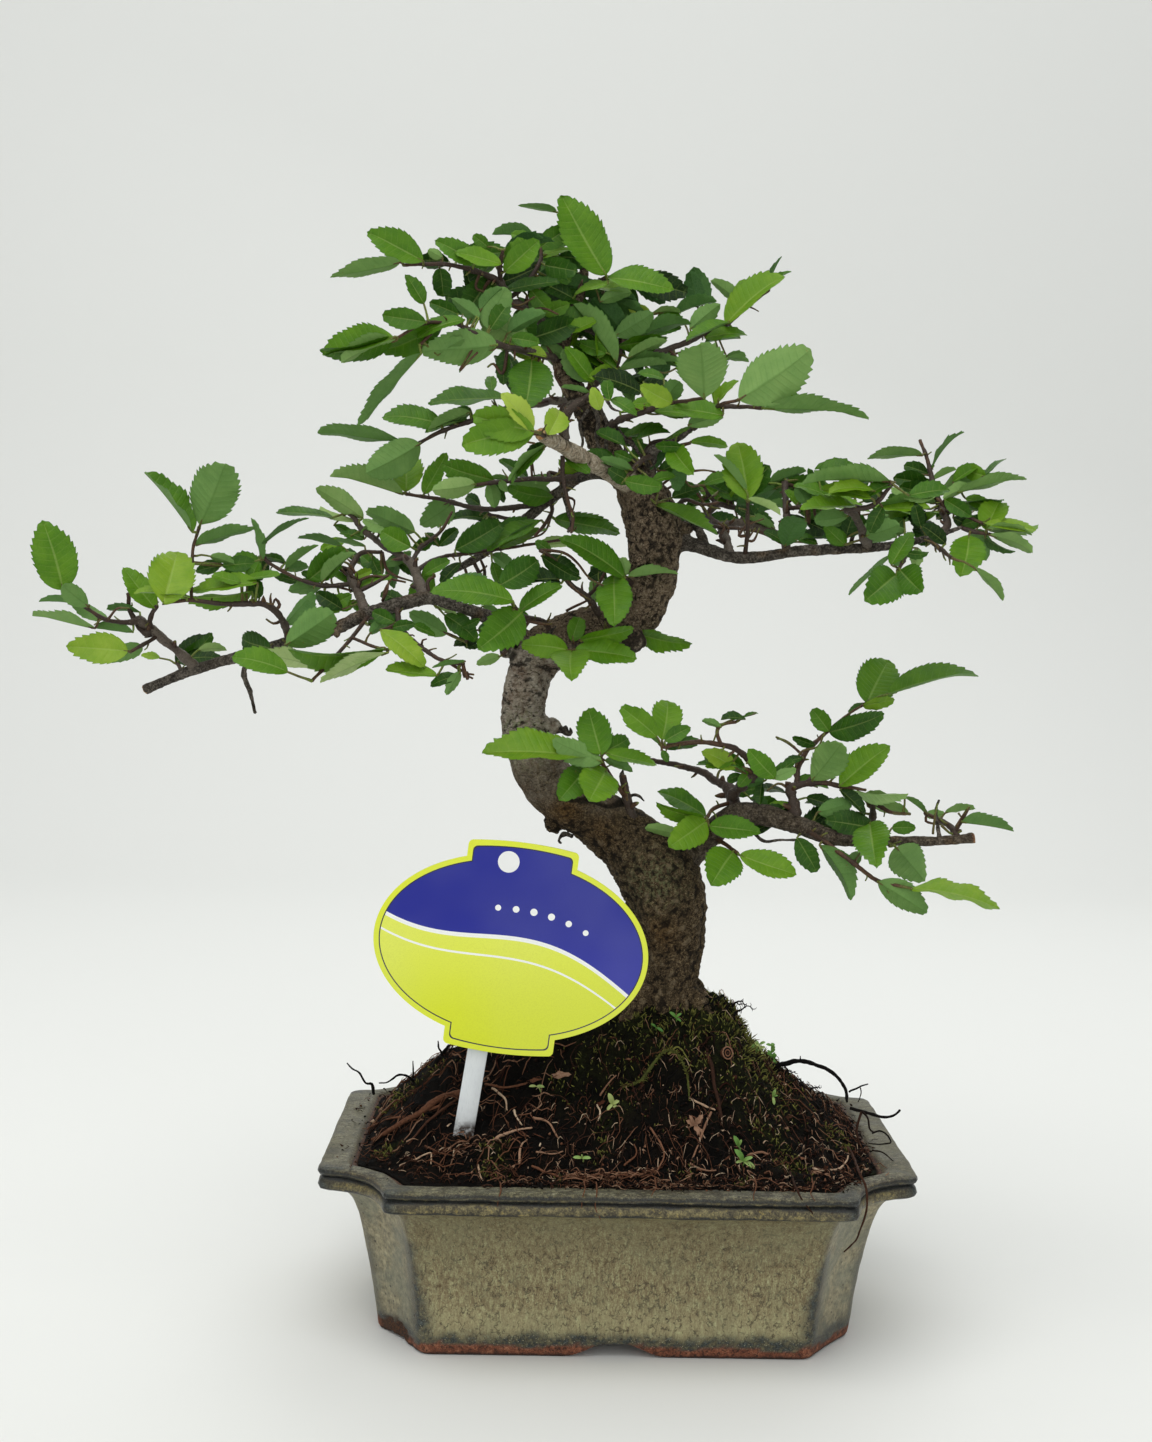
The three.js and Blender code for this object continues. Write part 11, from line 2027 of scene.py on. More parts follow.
def soil():
    # ground
    soup = Soup("wet", "moss")
    na = len(EDGE)
    scales = np.concatenate([1 - 0.04 * np.linspace(0, 1, 6) ** 1.2, np.linspace(0.95, 0.115, 78)])
    below = [outline(hw - 0.4, hd - 0.4, yc - 0.4, wf - 0.4, c, 14, 18, 40, 3) for z, hw, hd, yc, wf, c in CAVITY[:6]]
    zb = [9.4, 14, 30, 45, 54, 59.0]
    rings = [np.column_stack([below[i], np.full(na, zb[i])]) for i in range(6)]
    for s in scales:
        x, y = 19 + (EDGE[:, 0] - 19) * s, EDGE[:, 1] * s
        rings.append(np.column_stack([x, y, ground(x, y)]))
    v = np.vstack(rings)
    nr = len(rings)
    i, j = np.meshgrid(np.arange(nr - 1) * na, np.arange(na), indexing="ij")
    j2 = (j + 1) % na
    f4 = np.stack([i + j, i + j2, i + na + j2, i + na + j], -1).reshape(-1, 4)
    v = np.vstack([v, [[0, 0, 9.4]], [[19, 0, float(ground(19.0, 0.0)[0])]]])
    k = np.arange(na)
    caps = np.vstack([np.stack([np.full(na, nr * na), (k + 1) % na, k], 1),
                      np.stack([np.full(na, nr * na + 1), (nr - 1) * na + k, (nr - 1) * na + (k + 1) % na], 1)])
    p = np.column_stack([v[:, 0], v[:, 1], np.zeros(len(v))])
    f1, _ = cells(p / 5.2, 5)
    g1, _ = cells(p / 2.2, 6)
    # low in the gaps between clumps, where the peat is painted dark as shade
    wet = np.clip(1.15 - 0.9 * f1 - 0.55 * g1 + 0.4 * fbm(p / 4.6, 2, 8), 0, 1)
    soup.add(v, f4, caps, wet=wet, moss=mossy(v[:, 0], v[:, 1]))
    ob = soup.build("peat_ground", [PEAT])
    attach(ob, "root")
    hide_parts("soil")

    rng = np.random.default_rng(77)

    def spots(n, lo=0.14, hi=0.985, power=0.5):
        a = rng.uniform(-math.pi, math.pi, n)
        s = lo + (hi - lo) * rng.random(n) ** power
        r = np.interp(a, _ang, _rad, period=2 * math.pi) * s
        return 19 + r * np.cos(a), r * np.sin(a)

    # fibres
    def fibres(n, length, rad, lift, arch, points=7, left=False):
        x0, y0 = spots(n)
        if left:
            x0, y0 = rng.uniform(-84, -15, n), rng.uniform(-62, 20, n)
            ok = share(x0, y0) < 0.97
            x0, y0 = x0[ok], y0[ok]
            n = len(x0)
        th = rng.uniform(0, 2 * math.pi, n)
        down = np.arctan2(y0, x0 - 19)
        if left:
            th = math.radians(195) + rng.normal(0, 0.38, n)
        else:
            pull = rng.random(n) < 0.45
            th = np.where(pull, down + rng.normal(0, 0.6, n), th)
        ln = rng.uniform(*length, n)
        bend = rng.normal(0, 0.55, n)
        kink = rng.normal(0, 0.75, (n, points))
        t = np.linspace(0, 1, points)
        ang = th[:, None] + bend[:, None] * (t - 0.5)[None] * 2 + np.cumsum(kink, 1) * 0.35
        step = ln[:, None] / (points - 1)
        dx = np.cumsum(np.cos(ang) * step, 1)
        dy = np.cumsum(np.sin(ang) * step, 1)
        x = x0[:, None] + dx - dx[:, points // 2:points // 2 + 1]
        y = y0[:, None] + dy - dy[:, points // 2:points // 2 + 1]
        s = share(x.ravel(), y.ravel()).reshape(x.shape)
        ok = (s.max(1) < 1.03) & (np.hypot(x - 19, y - 1).min(1) > 11)
        x, y, s = x[ok], y[ok], s[ok]
        n = len(x)
        xc, yc = x.ravel(), y.ravel()
        z = ground(xc, yc).reshape(x.shape)
        z = np.where(s > 0.99, np.maximum(z, 62.3), z)
        up = rng.uniform(*lift, n)[:, None] + rng.random((n, 1)) ** 2 * arch * np.sin(math.pi * t)[None]
        dip = -0.9 * (rng.random((n, 1)) < 0.6) * (np.abs(t - 0.5)[None] * 2) ** 3
        z = z + up + dip
        path = np.stack([x, y, z], -1)
        rr = rng.uniform(*rad, n)[:, None] * (0.55 + 0.45 * np.sin(math.pi * np.clip(t * 0.9 + 0.08, 0, 1)))[None]
        return path, rr

    lit = Soup("tone", "rnd")
    for n, length, rad, lift, arch, tone, left in (
            (1400, (1.8, 6), (0.08, 0.18), (0.1, 1.2), 1.6, (0.14, 0.60), False),
            (1130, (1.4, 4.8), (0.08, 0.18), (0.4, 1.7), 1.3, (0.50, 0.97), False),
            (300, (7, 17), (0.09, 0.22), (0.3, 1.2), 2.6, (0.26, 0.72), False),
            (210, (6, 15), (0.12, 0.34), (0.3, 1.3), 1.8, (0.34, 0.78), True),
            (680, (2, 7.9), (0.12, 0.40), (0.0, 0.9), 1.3, (0.0, 0.20), False)):
        path, rr = fibres(n, length, rad, lift, arch, points=4 if length[1] < 7 else 5 if length[1] < 8 else 7, left=left)
        v, f4, caps = ribbon_batch(path, rr)
        k = path.shape[1] * 3
        lit.add(v, f4, caps, tone=np.repeat(rng.uniform(*tone, len(path)), k), rnd=np.repeat(rng.random(len(path)), k))
    # short strands caught on the rim, a few of them hanging over it
    n = 420
    a = np.concatenate([rng.uniform(-2.3, -0.75, 300), rng.uniform(-math.pi, math.pi, n - 300)])
    r = np.interp(a, _ang, _rad, period=2 * math.pi) * np.where(rng.random(n) < 0.45, rng.uniform(1.0, 1.085, n), rng.uniform(0.955, 1.02, n))
    x, y = 19 + r * np.cos(a), r * np.sin(a)
    th = rng.uniform(0, 2 * math.pi, n)
    ln = rng.uniform(1.5, 6.5, n)
    t = np.linspace(-0.5, 0.5, 5)
    turn = th[:, None] + rng.normal(0, 1.1, (n, 1)) * t[None] + rng.normal(0, 0.3, (n, 5))
    px_ = x[:, None] + ln[:, None] * t[None] * np.cos(turn)
    py_ = y[:, None] + ln[:, None] * t[None] * np.sin(turn)
    s_ = share(px_.ravel(), py_.ravel()).reshape(px_.shape)
    top_z = np.where(s_ > 0.985, 61.8, np.maximum(ground(px_.ravel(), py_.ravel()).reshape(px_.shape), 61.6))
    pz_ = top_z + rng.uniform(0.05, 0.5, (n, 1)) + rng.random((n, 1)) ** 2 * 1.8 * (0.25 - t[None] ** 2) * 4
    ok = (s_.max(1) < 1.10) & (np.abs(py_).max(1) < 76) & (np.abs(px_).max(1) < 96.5)
    v, f4, caps = ribbon_batch(np.stack([px_, py_, pz_], -1)[ok], rng.uniform(0.07, 0.2, ok.sum())[:, None] * np.array([0.6, 1, 1, 0.9, 0.5])[None])
    lit.add(v, f4, caps, tone=np.repeat(rng.uniform(0.1, 0.85, ok.sum()), 15), rnd=np.repeat(rng.random(ok.sum()), 15))
    # crumbs of peat, bark and grit
    oct_v = np.array([[1, 0, 0], [0, 1, 0], [-1, 0, 0], [0, -1, 0], [0, 0, 1], [0, 0, -1.0]])
    oct_f = np.array([[0, 1, 4], [1, 2, 4], [2, 3, 4], [3, 0, 4], [1, 0, 5], [2, 1, 5], [3, 2, 5], [0, 3, 5]])
    x, y = spots(2250, 0.16, 0.995)
    size = 0.28 + 0.9 * rng.random(len(x)) ** 2.4
    z = ground(x, y) + size * 0.25
    c = np.stack([x, y, z], 1)
    sh = rng.uniform(0.5, 1.25, (len(x), 1, 3)) * rng.uniform(0.65, 1.2, (len(x), 6, 1))
    q1 = units(rng.normal(0, 1, (len(x), 3)))
    q2 = units(np.cross(q1, rng.normal(0, 1, (len(x), 3))))
    q3 = np.cross(q1, q2)
    w_ = oct_v[None] * sh
    v = c[:, None, :] + (w_[..., :1] * q1[:, None] + w_[..., 1:2] * q2[:, None] + w_[..., 2:] * q3[:, None]) * size[:, None, None]
    f3 = (oct_f[None] + (np.arange(len(x)) * 6)[:, None, None]).reshape(-1, 3)
    tone = np.where(rng.random(len(x)) < 0.04, rng.uniform(0.6, 0.85, len(x)), rng.uniform(0.0, 0.42, len(x)))
    lit.add(v.reshape(-1, 3), None, f3, tone=np.repeat(tone, 6), rnd=np.repeat(rng.random(len(x)), 6))
    # flakes: torn scraps of bark, root skin and old leaf, each a thin bent wedge
    n = 3400
    x, y = spots(n, 0.15, 0.99)
    a = np.concatenate([rng.uniform(-2.3, -0.75, 420), rng.uniform(-math.pi, math.pi, 230)])
    r = np.interp(a, _ang, _rad, period=2 * math.pi) * np.where(rng.random(650) < 0.35, rng.uniform(1.0, 1.07, 650), rng.uniform(0.95, 1.02, 650))
    x[:650], y[:650] = 19 + r * np.cos(a), r * np.sin(a)
    z = ground(x, y)
    z = np.where(share(x, y) > 0.985, 61.75, np.where(np.arange(n) < 650, np.maximum(z, 61.2), z))
    c = np.stack([x, y, z + rng.uniform(0.0, 0.9, n) * np.where(np.arange(n) < 650, 0.35, 1.0)], 1)
    ln, wd, th = rng.uniform(0.6, 2.6, n), rng.uniform(0.25, 0.9, n), rng.uniform(0.05, 0.14, n)
    du = units(rng.normal(0, 1, (n, 3)) * np.array([1, 1, 0.55]))
    dw = units(np.cross(du, rng.normal(0, 1, (n, 3))))
    dn = np.cross(du, dw)
    shape = np.array([[-1, -0.3], [0.3, -1.0], [1.0, 0.2], [-0.2, 0.9]])
    sh = shape[None] * rng.uniform(0.5, 1.25, (n, 4, 1))
    bend = rng.uniform(-0.5, 0.5, (n, 1)) * (sh[..., 0] ** 2)
    top_ = c[:, None] + sh[..., :1] * ln[:, None, None] * 0.5 * du[:, None] + sh[..., 1:] * wd[:, None, None] * 0.5 * dw[:, None] + (bend * ln[:, None] + th[:, None])[..., None] * dn[:, None]
    low_ = top_ - 2 * th[:, None, None] * dn[:, None]
    v = np.concatenate([top_, low_], 1).reshape(-1, 3)
    fan = [[0, 1, 2], [0, 2, 3]]
    tri = fan + [[4 + a, 4 + c_, 4 + b_] for a, b_, c_ in fan]
    for i in range(4):
        j = (i + 1) % 4
        tri += [[i, 4 + i, 4 + j], [i, 4 + j, j]]
    f3 = (np.array(tri)[None] + (np.arange(n) * 8)[:, None, None]).reshape(-1, 3)
    tone = np.where(rng.random(n) < 0.16, rng.uniform(0.55, 0.95, n), rng.uniform(0.02, 0.5, n))
    lit.add(v, None, f3, tone=np.repeat(tone, 8), rnd=np.repeat(rng.random(n), 8))
    ob = lit.build("peat_fibres", [LITTER])
    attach(ob, "root")

    # moss: short pointed shoots in cushions
    ms = Soup("tone", "rnd")
    x, y = rng.uniform(-86, 86, 60000), rng.uniform(-66, 66, 60000)
    ok = (share(x, y) < 0.985) & (np.hypot(x - 19, y - 1) > 10.5)
    x, y = x[ok], y[ok]
    dens = mossy(x, y)
    clump = smoothstep(-0.25, 0.3, perlin(np.stack([x, y, 0 * x], 1) / 3.0, 29))
    ok = rng.random(len(x)) < dens ** 1.6 * (0.25 + 0.75 * clump) * 0.75
    x, y, dens = x[ok][:9000], y[ok][:9000], dens[ok][:9000]
    n = len(x)
    e = 0.6
    gx = (ground(x + e, y) - ground(x - e, y)) / (2 * e)
    gy = (ground(x, y + e) - ground(x, y - e)) / (2 * e)
    nor = units(np.stack([-gx * 0.6, -gy * 0.6, np.ones(n)], 1)) + rng.normal(0, 0.38, (n, 3))
    nor = units(nor)
    hgt = rng.uniform(0.8, 2.9, n) * (0.55 + 0.75 * dens)
    b = np.stack([x, y, ground(x, y) - 0.3], 1)
    t = np.array([0, 0.5, 1.0])
    side = units(np.cross(nor, rng.normal(0, 1, (n, 3))))
    path = b[:, None] + nor[:, None] * (hgt[:, None] * t[None])[..., None] + side[:, None] * (rng.uniform(0, 0.35, n)[:, None] * hgt[:, None] * t[None] ** 2)[..., None]
    rr = rng.uniform(0.16, 0.34, n)[:, None] * np.array([0.8, 1.0, 0.12])[None]
    v, f4, caps = ribbon_batch(path, rr)
    ms.add(v, f4, caps, tone=np.repeat(np.clip(rng.normal(0.45, 0.2, n), 0, 1), 9), rnd=np.tile(np.repeat([0, 0.25, 1.0], 3), n))
    ob = ms.build("moss_cushions", [MOSS])
    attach(ob, "root")

    # single roots, a cut root, seedlings and fallen leaves where they lie
    rt = Soup("tone", "rnd")
    grn = Soup("tone", "rnd")

    def root(points, r0, r1, tone, soup=rt, sides=8, wob=0.35):
        p = np.array([[*q, 1.0] for q in points], float)
        p[:, 3] = np.linspace(r0, r1, len(p))
        p = resample(p, 0.9)
        p[:, 3] *= 1 + 0.18 * perlin(p[:, :3] / 2.3, 33)
        p[1:-1, :3] += 0.22 * np.stack([perlin(p[1:-1, :3] / 3.5 + 7 * k, 34 + k) for k in range(3)], 1)
        v, f4, caps, _ = tube_parts(p, sides, wob, 12)
        soup.add(v, f4, caps, tone=tone, rnd=rng.random() * 0.7)

    g = hit
    # thick strand running down to the left, smaller ones beside it
    root([g(462, 1096, 1.0), g(440, 1103, 1.6), g(420, 1117, 1.5), g(402, 1127, 1.4), g(386, 1136, 1.1), g(372, 1142, 0.7)], 1.5, 0.6, 0.57)
    root([g(458, 1100, 0.5), g(430, 1122, 0.9), g(408, 1146, 0.6)], 0.6, 0.3, 0.5)
    own = np.random.default_rng(515)
    for k in range(120):
        c = g(467 + own.normal(0, 14), 1147 + own.normal(0, 7), own.uniform(0.2, 1.0)) if k < 60 else g(own.uniform(400, 840), own.uniform(1110, 1175), own.uniform(0.3, 1.2))
        d = unit(own.normal(0, 1, 3) * np.array([1, 0.8, 0.5]))
        ln = own.uniform(1.4, 4.2)
        root([c - d * ln * 0.5, c + np.array([0, 0, own.uniform(0.2, 1.1)]), c + d * ln * 0.5], own.uniform(0.12, 0.30), 0.08, own.uniform(0.25, 0.98), sides=5)
    root([g(440, 1108, 0.8), g(415, 1118, 1.0), g(390, 1121, 0.8), g(368, 1128, 0.8)], 0.55, 0.25, 0.62)
    root([g(400, 1168, 0.6), g(415, 1163, 1.2), g(430, 1157, 1.4), g(431, 1166, 0.7)], 0.45, 0.2, 0.86)
    root([g(425, 1148, 0.7), g(440, 1156, 1.0), g(452, 1158, 0.8)], 0.35, 0.2, 0.55)
    root([g(492, 1090, 0.6), g(504, 1101, 1.2), g(507, 1112, 0.6)], 0.5, 0.22, 0.88)
    root([g(514, 1112, 0.6), g(517, 1121, 1.1), g(522, 1127, 0.6)], 0.45, 0.22, 0.95)
    root([g(495, 1142, 0.8), g(508, 1137, 1.4), g(520, 1133, 1.2), g(532, 1130, 0.8)], 0.6, 0.3, 0.82)
    root([g(533, 1120, 0.8), g(548, 1126, 1.3), g(558, 1140, 0.8)], 0.5, 0.25, 0.75)
    root([g(519, 1166, 0.6), g(521, 1150, 1.3), g(527, 1142, 0.8)], 0.5, 0.2, 0.8)
    root([g(478, 1167, 0.7), g(480, 1178, 0.9), g(483, 1182, 0.4)], 0.4, 0.2, 0.85)
    root([g(485, 1085, 0.4), g(505, 1090, 0.8), g(525, 1086, 0.8), g(542, 1080, 0.4)], 0.5, 0.3, 0.6)
    root([g(532, 1168, 0.6), g(548, 1176, 1.0), g(566, 1180, 0.8), g(590, 1177, 0.6)], 0.45, 0.3, 0.62)
    root([g(536, 1154, 0.7), g(552, 1157, 1.0), g(563, 1153, 0.6)], 0.35, 0.2, 0.78)
    root([g(597, 1106, 0.5), g(600, 1116, 1.0), g(598, 1122, 0.4)], 0.3, 0.2, 0.95)
    root([g(530, 1115, 0.5), g(541, 1108, 1.2), g(538, 1098, 0.6)], 0.3, 0.18, 0.8)
    root([g(600, 1098, 0.8), g(608, 1090, 2.2), g(616, 1084, 3.0)], 0.35, 0.2, 0.7)
    # twiggy roots that stand out on the left
    root([at_y(374, 1094, -8), at_y(372, 1084, -9), at_y(366, 1083, -10), at_y(360, 1073, -11), at_y(353, 1069, -12), at_y(347, 1063, -13)], 0.55, 0.2, 0.12)
    root([at_y(414, 1081, -6), at_y(405, 1075, -8), at_y(396, 1076, -10), at_y(388, 1082, -11), at_y(379, 1083, -12)], 0.5, 0.2, 0.14)
    root([at_y(396, 1076, -10), at_y(392, 1080, -11)], 0.3, 0.15, 0.14)
    root([at_y(413, 1078, -5), at_y(413, 1069, -5), at_y(413, 1061, -5.5)], 0.4, 0.2, 0.12)
    root([at_y(431, 1072, -4), at_y(437, 1061, -5), at_y(444, 1052, -6), at_y(449, 1045, -7)], 1.1, 0.45, 0.08)
    root([at_y(442, 1054, -6), at_y(439, 1048, -8), at_y(438, 1041, -9)], 0.5, 0.2, 0.1)
    root([at_y(440, 1056, -6), at_y(446, 1058, -9), at_y(448, 1054, -11)], 0.4, 0.2, 0.1)
    # a mossy branching root in front, a straight one, a cut one
    root([g(622, 1089, 0.8), g(640, 1085, 1.2), g(652, 1070, 1.6), g(666, 1056, 1.8), g(676, 1058, 1.4), g(683, 1066, 1.0), g(688, 1082, 0.8), g(689, 1102, 0.6)], 0.62, 0.35, 0.52, grn, 9, 0.8)
    root([g(668, 1058, 1.4), g(678, 1052, 1.6), g(690, 1064, 0.8)], 0.4, 0.25, 0.5, grn, 8, 0.6)
    mossy_path = resample(np.array([[*q, 1.0] for q in (g(622, 1089, 0.9), g(640, 1085, 1.3), g(652, 1070, 1.7), g(666, 1056, 1.9), g(676, 1058, 1.5), g(683, 1066, 1.1), g(688, 1082, 0.9), g(689, 1102, 0.7))]), 0.25)[:, :3]
    n = 380
    k = rng.integers(0, len(mossy_path), n)
    nd = units(rng.normal(0, 1, (n, 3)) + np.array([0, -0.3, 0.3]))
    hh = rng.uniform(0.5, 2.0, n) * smoothstep(-0.4, 0.3, perlin(mossy_path[k] / 2.6, 88))+ 0.3
    pa = mossy_path[k][:, None] + nd[:, None] * (hh[:, None] * np.array([0.2, 0.65, 1.0])[None])[..., None]
    v, f4, caps = ribbon_batch(pa, rng.uniform(0.08, 0.20, n)[:, None] * np.array([0.9, 1.0, 0.1])[None])
    grn.add(v, f4, caps, tone=np.repeat(np.clip(rng.normal(0.5, 0.25, n), 0, 1), 9), rnd=np.tile(np.repeat([0, 0.3, 1.0], 3), n))
    root([g(689, 1100, 0.8), g(700, 1108, 1.4), g(715, 1113, 1.0)], 0.45, 0.3, 0.85)
    root([g(706, 1056, 0.8), g(712, 1072, 1.4), g(714, 1090, 1.6), g(719, 1108, 1.2), g(722, 1124, 0.6)], 0.75, 0.5, 0.42)
    root([g(711, 1114, 0.7), g(704, 1132, 1.3), g(697, 1150, 0.9), g(692, 1162, 0.5)], 0.4, 0.25, 0.72)
    root([g(650, 1130, 0.7), g(660, 1146, 1.2), g(664, 1160, 1.2), g(655, 1176, 0.5)], 0.4, 0.25, 0.66)
    root([g(624, 1168, 0.8), g(636, 1158, 1.3), g(634, 1146, 0.6)], 0.35, 0.2, 0.6)
    root([g(621, 1176, 0.6), g(640, 1178, 1.0), g(655, 1170, 0.6)], 0.5, 0.3, 0.68)
    root([g(748, 1157, 0.6), g(760, 1155, 1.0), g(768, 1156, 0.6)], 0.5, 0.35, 0.72)
    root([g(735, 1095, 0.6), g(745, 1105, 1.0), g(750, 1115, 0.6)], 0.3, 0.2, 0.45)
    root([g(690, 1165, 0.5), g(703, 1173, 1.0), g(716, 1172, 0.6)], 0.4, 0.25, 0.74)
    root([g(812, 1170, 0.6), g(822, 1173, 1.0), g(838, 1172, 1.0), g(846, 1165, 1.2), g(848, 1158, 0.8)], 0.45, 0.3, 0.88)
    root([g(786, 1158, 0.8), g(798, 1165, 1.4), g(812, 1176, 0.8)], 0.3, 0.2, 0.3)
    # roots that arch out to the right
    root([at_y(770, 1067, -4), at_y(785, 1064, -6), at_y(800, 1061, -8), at_y(816, 1065, -10), at_y(830, 1071, -12), at_y(840, 1080, -14), at_y(846, 1092, -16), at_y(847, 1102, -18)], 0.95, 0.5, 0.1)
    root([at_y(800, 1061, -8), at_y(800.5, 1056, -8.5)], 0.4, 0.15, 0.1)
    root([at_y(849, 1092, -17), at_y(857, 1088, -18), at_y(862, 1086, -19), at_y(868, 1084, -19)], 0.42, 0.2, 0.16)
    root([at_y(860, 1087, -18.5), at_y(861, 1093, -19), at_y(858, 1102, -20)], 0.25, 0.15, 0.25)
    root([at_y(850, 1108, -20), at_y(868, 1113, -22), at_y(882, 1117, -24), at_y(893, 1116, -25), at_y(900, 1110, -26)], 0.62, 0.35, 0.18)
    root([at_y(862, 1112, -26), at_y(858, 1122, -27), at_y(857, 1134, -28), at_y(859, 1145, -29)], 0.5, 0.35, 0.42)
    root([at_y(862, 1111, -27), at_y(868, 1118, -28), at_y(869, 1128, -29), at_y(874, 1133, -30)], 0.38, 0.25, 0.3)
    root([at_y(872, 1133, -30), at_y(882, 1131, -30), at_y(891, 1142, -31), at_y(880, 1144, -32), at_y(868, 1143, -33)], 0.34, 0.2, 0.2)
    root([at_y(872, 1150, -34), at_y(884, 1153, -34), at_y(892, 1160, -35), at_y(898, 1166, -36)], 0.3, 0.15, 0.3)
    # one root hangs over the front rim at the corner
    root([g(848, 1150, 1.0), g(853, 1160, 1.2), at_y(859, 1172, -66), at_y(865, 1186, -70.5), at_y(867, 1198, -72.5), at_y(866, 1212, -74), at_y(862, 1226, -73), at_y(857, 1238, -71), at_y(851, 1246, -70), at_y(844, 1252, -70)], 0.5, 0.22, 0.46)
    root([g(790, 1175, 1.0), at_y(797, 1190, -75.5), at_y(804, 1202, -78.0), at_y(813, 1214, -78.1)], 0.4, 0.2, 0.42)
    # cut root with its rings
    c = g(727, 1056, 1.0)
    d = unit(CAM - c)
    d = unit(d + np.array([0.25, 0.0, 0.12]))
    p = [[*(c - d * 4), 2.1], [*(c + d * 0.2), 2.3], [*(c + d * 0.9), 2.15]]
    v, f4, caps, _ = tube_parts(resample(np.array(p), 0.6), 22, 0.22, 4)
    v[-1] = c + d * 0.55
    rt.add(v, f4, caps, tone=0.5, rnd=0.2)
    u = unit(np.cross(d, [0, 0, 1.0]))
    w = np.cross(u, d)
    for rr, tone in ((2.0, 0.72), (1.45, 0.14), (1.0, 0.66), (0.55, 0.10), (0.15, 0.5)):
        a = np.linspace(0, 2 * math.pi, 26)
        ringp = c + d * 0.85 + rr * (np.cos(a)[:, None] * u * 0.85 + np.sin(a)[:, None] * w * 1.05)
        ringp = np.column_stack([ringp, np.full(len(a), 0.24)])
        v, f4, caps, _ = tube_parts(ringp, 6)
        rt.add(v, f4, caps, tone=tone, rnd=0.1)
    # rootlets curled over the front rim
    for px, n in ((500, 10), (575, 22), (600, 26), (625, 18), (650, 12), (700, 6), (760, 6), (830, 6)):
        for _ in range(n):
            x = px + rng.normal(0, 9)
            y = 1179 + rng.uniform(-6, 6)
            a = g(x, y, 0.7)
            e = a + np.array([rng.normal(0, 3.4), -rng.uniform(1.0, 5.5), rng.uniform(-0.2, 1.4)])
            e[1] = max(e[1], -77.6)
            e[2] = max(e[2], 62.6)
            m_ = 0.5 * (a + e) + np.array([rng.normal(0, 1.2), 0, rng.uniform(0.4, 1.6)])
            root([a, m_, e], rng.uniform(0.18, 0.34), 0.12, rng.uniform(0.45, 0.8), rt, 5, 0.3)
    for px, py, ln in ((500, 1190, 16), (584, 1188, 20), (596, 1190, 30), (655, 1186, 10), (755, 1186, 18), (812, 1186, 15)):
        a, b_, c_, d_ = at_y(px, py - 8, -70), at_y(px + 1, py + 2, -77.3), at_y(px - 1, py + ln * 0.5, -78.15), at_y(px + rng.normal(0, 3), py + ln, -78.1)
        root([a, b_, c_, d_], 0.26, 0.12, 0.6, rt, 5, 0.2)
    ob = rt.build("surface_roots", [LITTER])
    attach(ob, "root")

    # the mossy root, seedlings, sprigs and curled fronds
    ob = grn.build("mossy_root", [MOSS])
    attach(ob, "root")
    sp = Soup("tone", "rnd")

    def petal(base, tip, nor, w, tone, cup=0.25):
        base, tip = np.array(base), np.array(tip)
        ax = tip - base
        ln = np.linalg.norm(ax)
        ax = ax / ln
        nor = unit(nor - ax * float(np.dot(nor, ax)))
        sd = np.cross(nor, ax)
        t = np.linspace(0, 1, 9)
        h = w * np.maximum(0, t) ** 0.55 * np.maximum(0, 1 - t) ** 0.5 * 1.55
        cols = np.array([-1, -0.5, 0, 0.5, 1.0])
        P = base + (t * ln)[:, None, None] * ax + (h[:, None] * cols)[..., None] * sd + ((cup * np.abs(cols)[None] * h[:, None]) + 0.12 * ln * np.sin(math.pi * t)[:, None])[..., None] * nor
        lo = P - 0.12 * nor * (1 - np.abs(cols) ** 4)[None, :, None]
        r, c2 = len(t), len(cols)
        i, j = np.meshgrid(np.arange(r - 1), np.arange(c2 - 1), indexing="ij")
        k = (i * c2 + j).ravel()
        q = np.stack([k, k + c2, k + c2 + 1, k + 1], 1)
        sp.add(np.vstack([P.reshape(-1, 3), lo.reshape(-1, 3)]), np.vstack([q, q[:, ::-1] + r * c2]), tone=tone)

    def seedling(px, py, ln, tone, leaves, high=3.0):
        b = g(px, py, 0.0)
        tip = b + np.array([rng.normal(0, 0.6), -1.0, high])
        v, f4, caps, _ = tube_parts(resample(np.array([[*b, 0.3], [*(0.5 * (b + tip) + [0.3, 0, 0.2]), 0.25], [*tip, 0.2]]), 0.6), 6)
        sp.add(v, f4, caps, tone=tone)
        for a, l2, tilt in leaves:
            dvec = np.array([math.cos(a), -0.35, math.sin(a)])
            petal(tip, tip + unit(dvec) * ln * l2, np.array([0, -1.0, 0.8]), ln * 0.24 * l2, tone + rng.normal(0, 0.06))

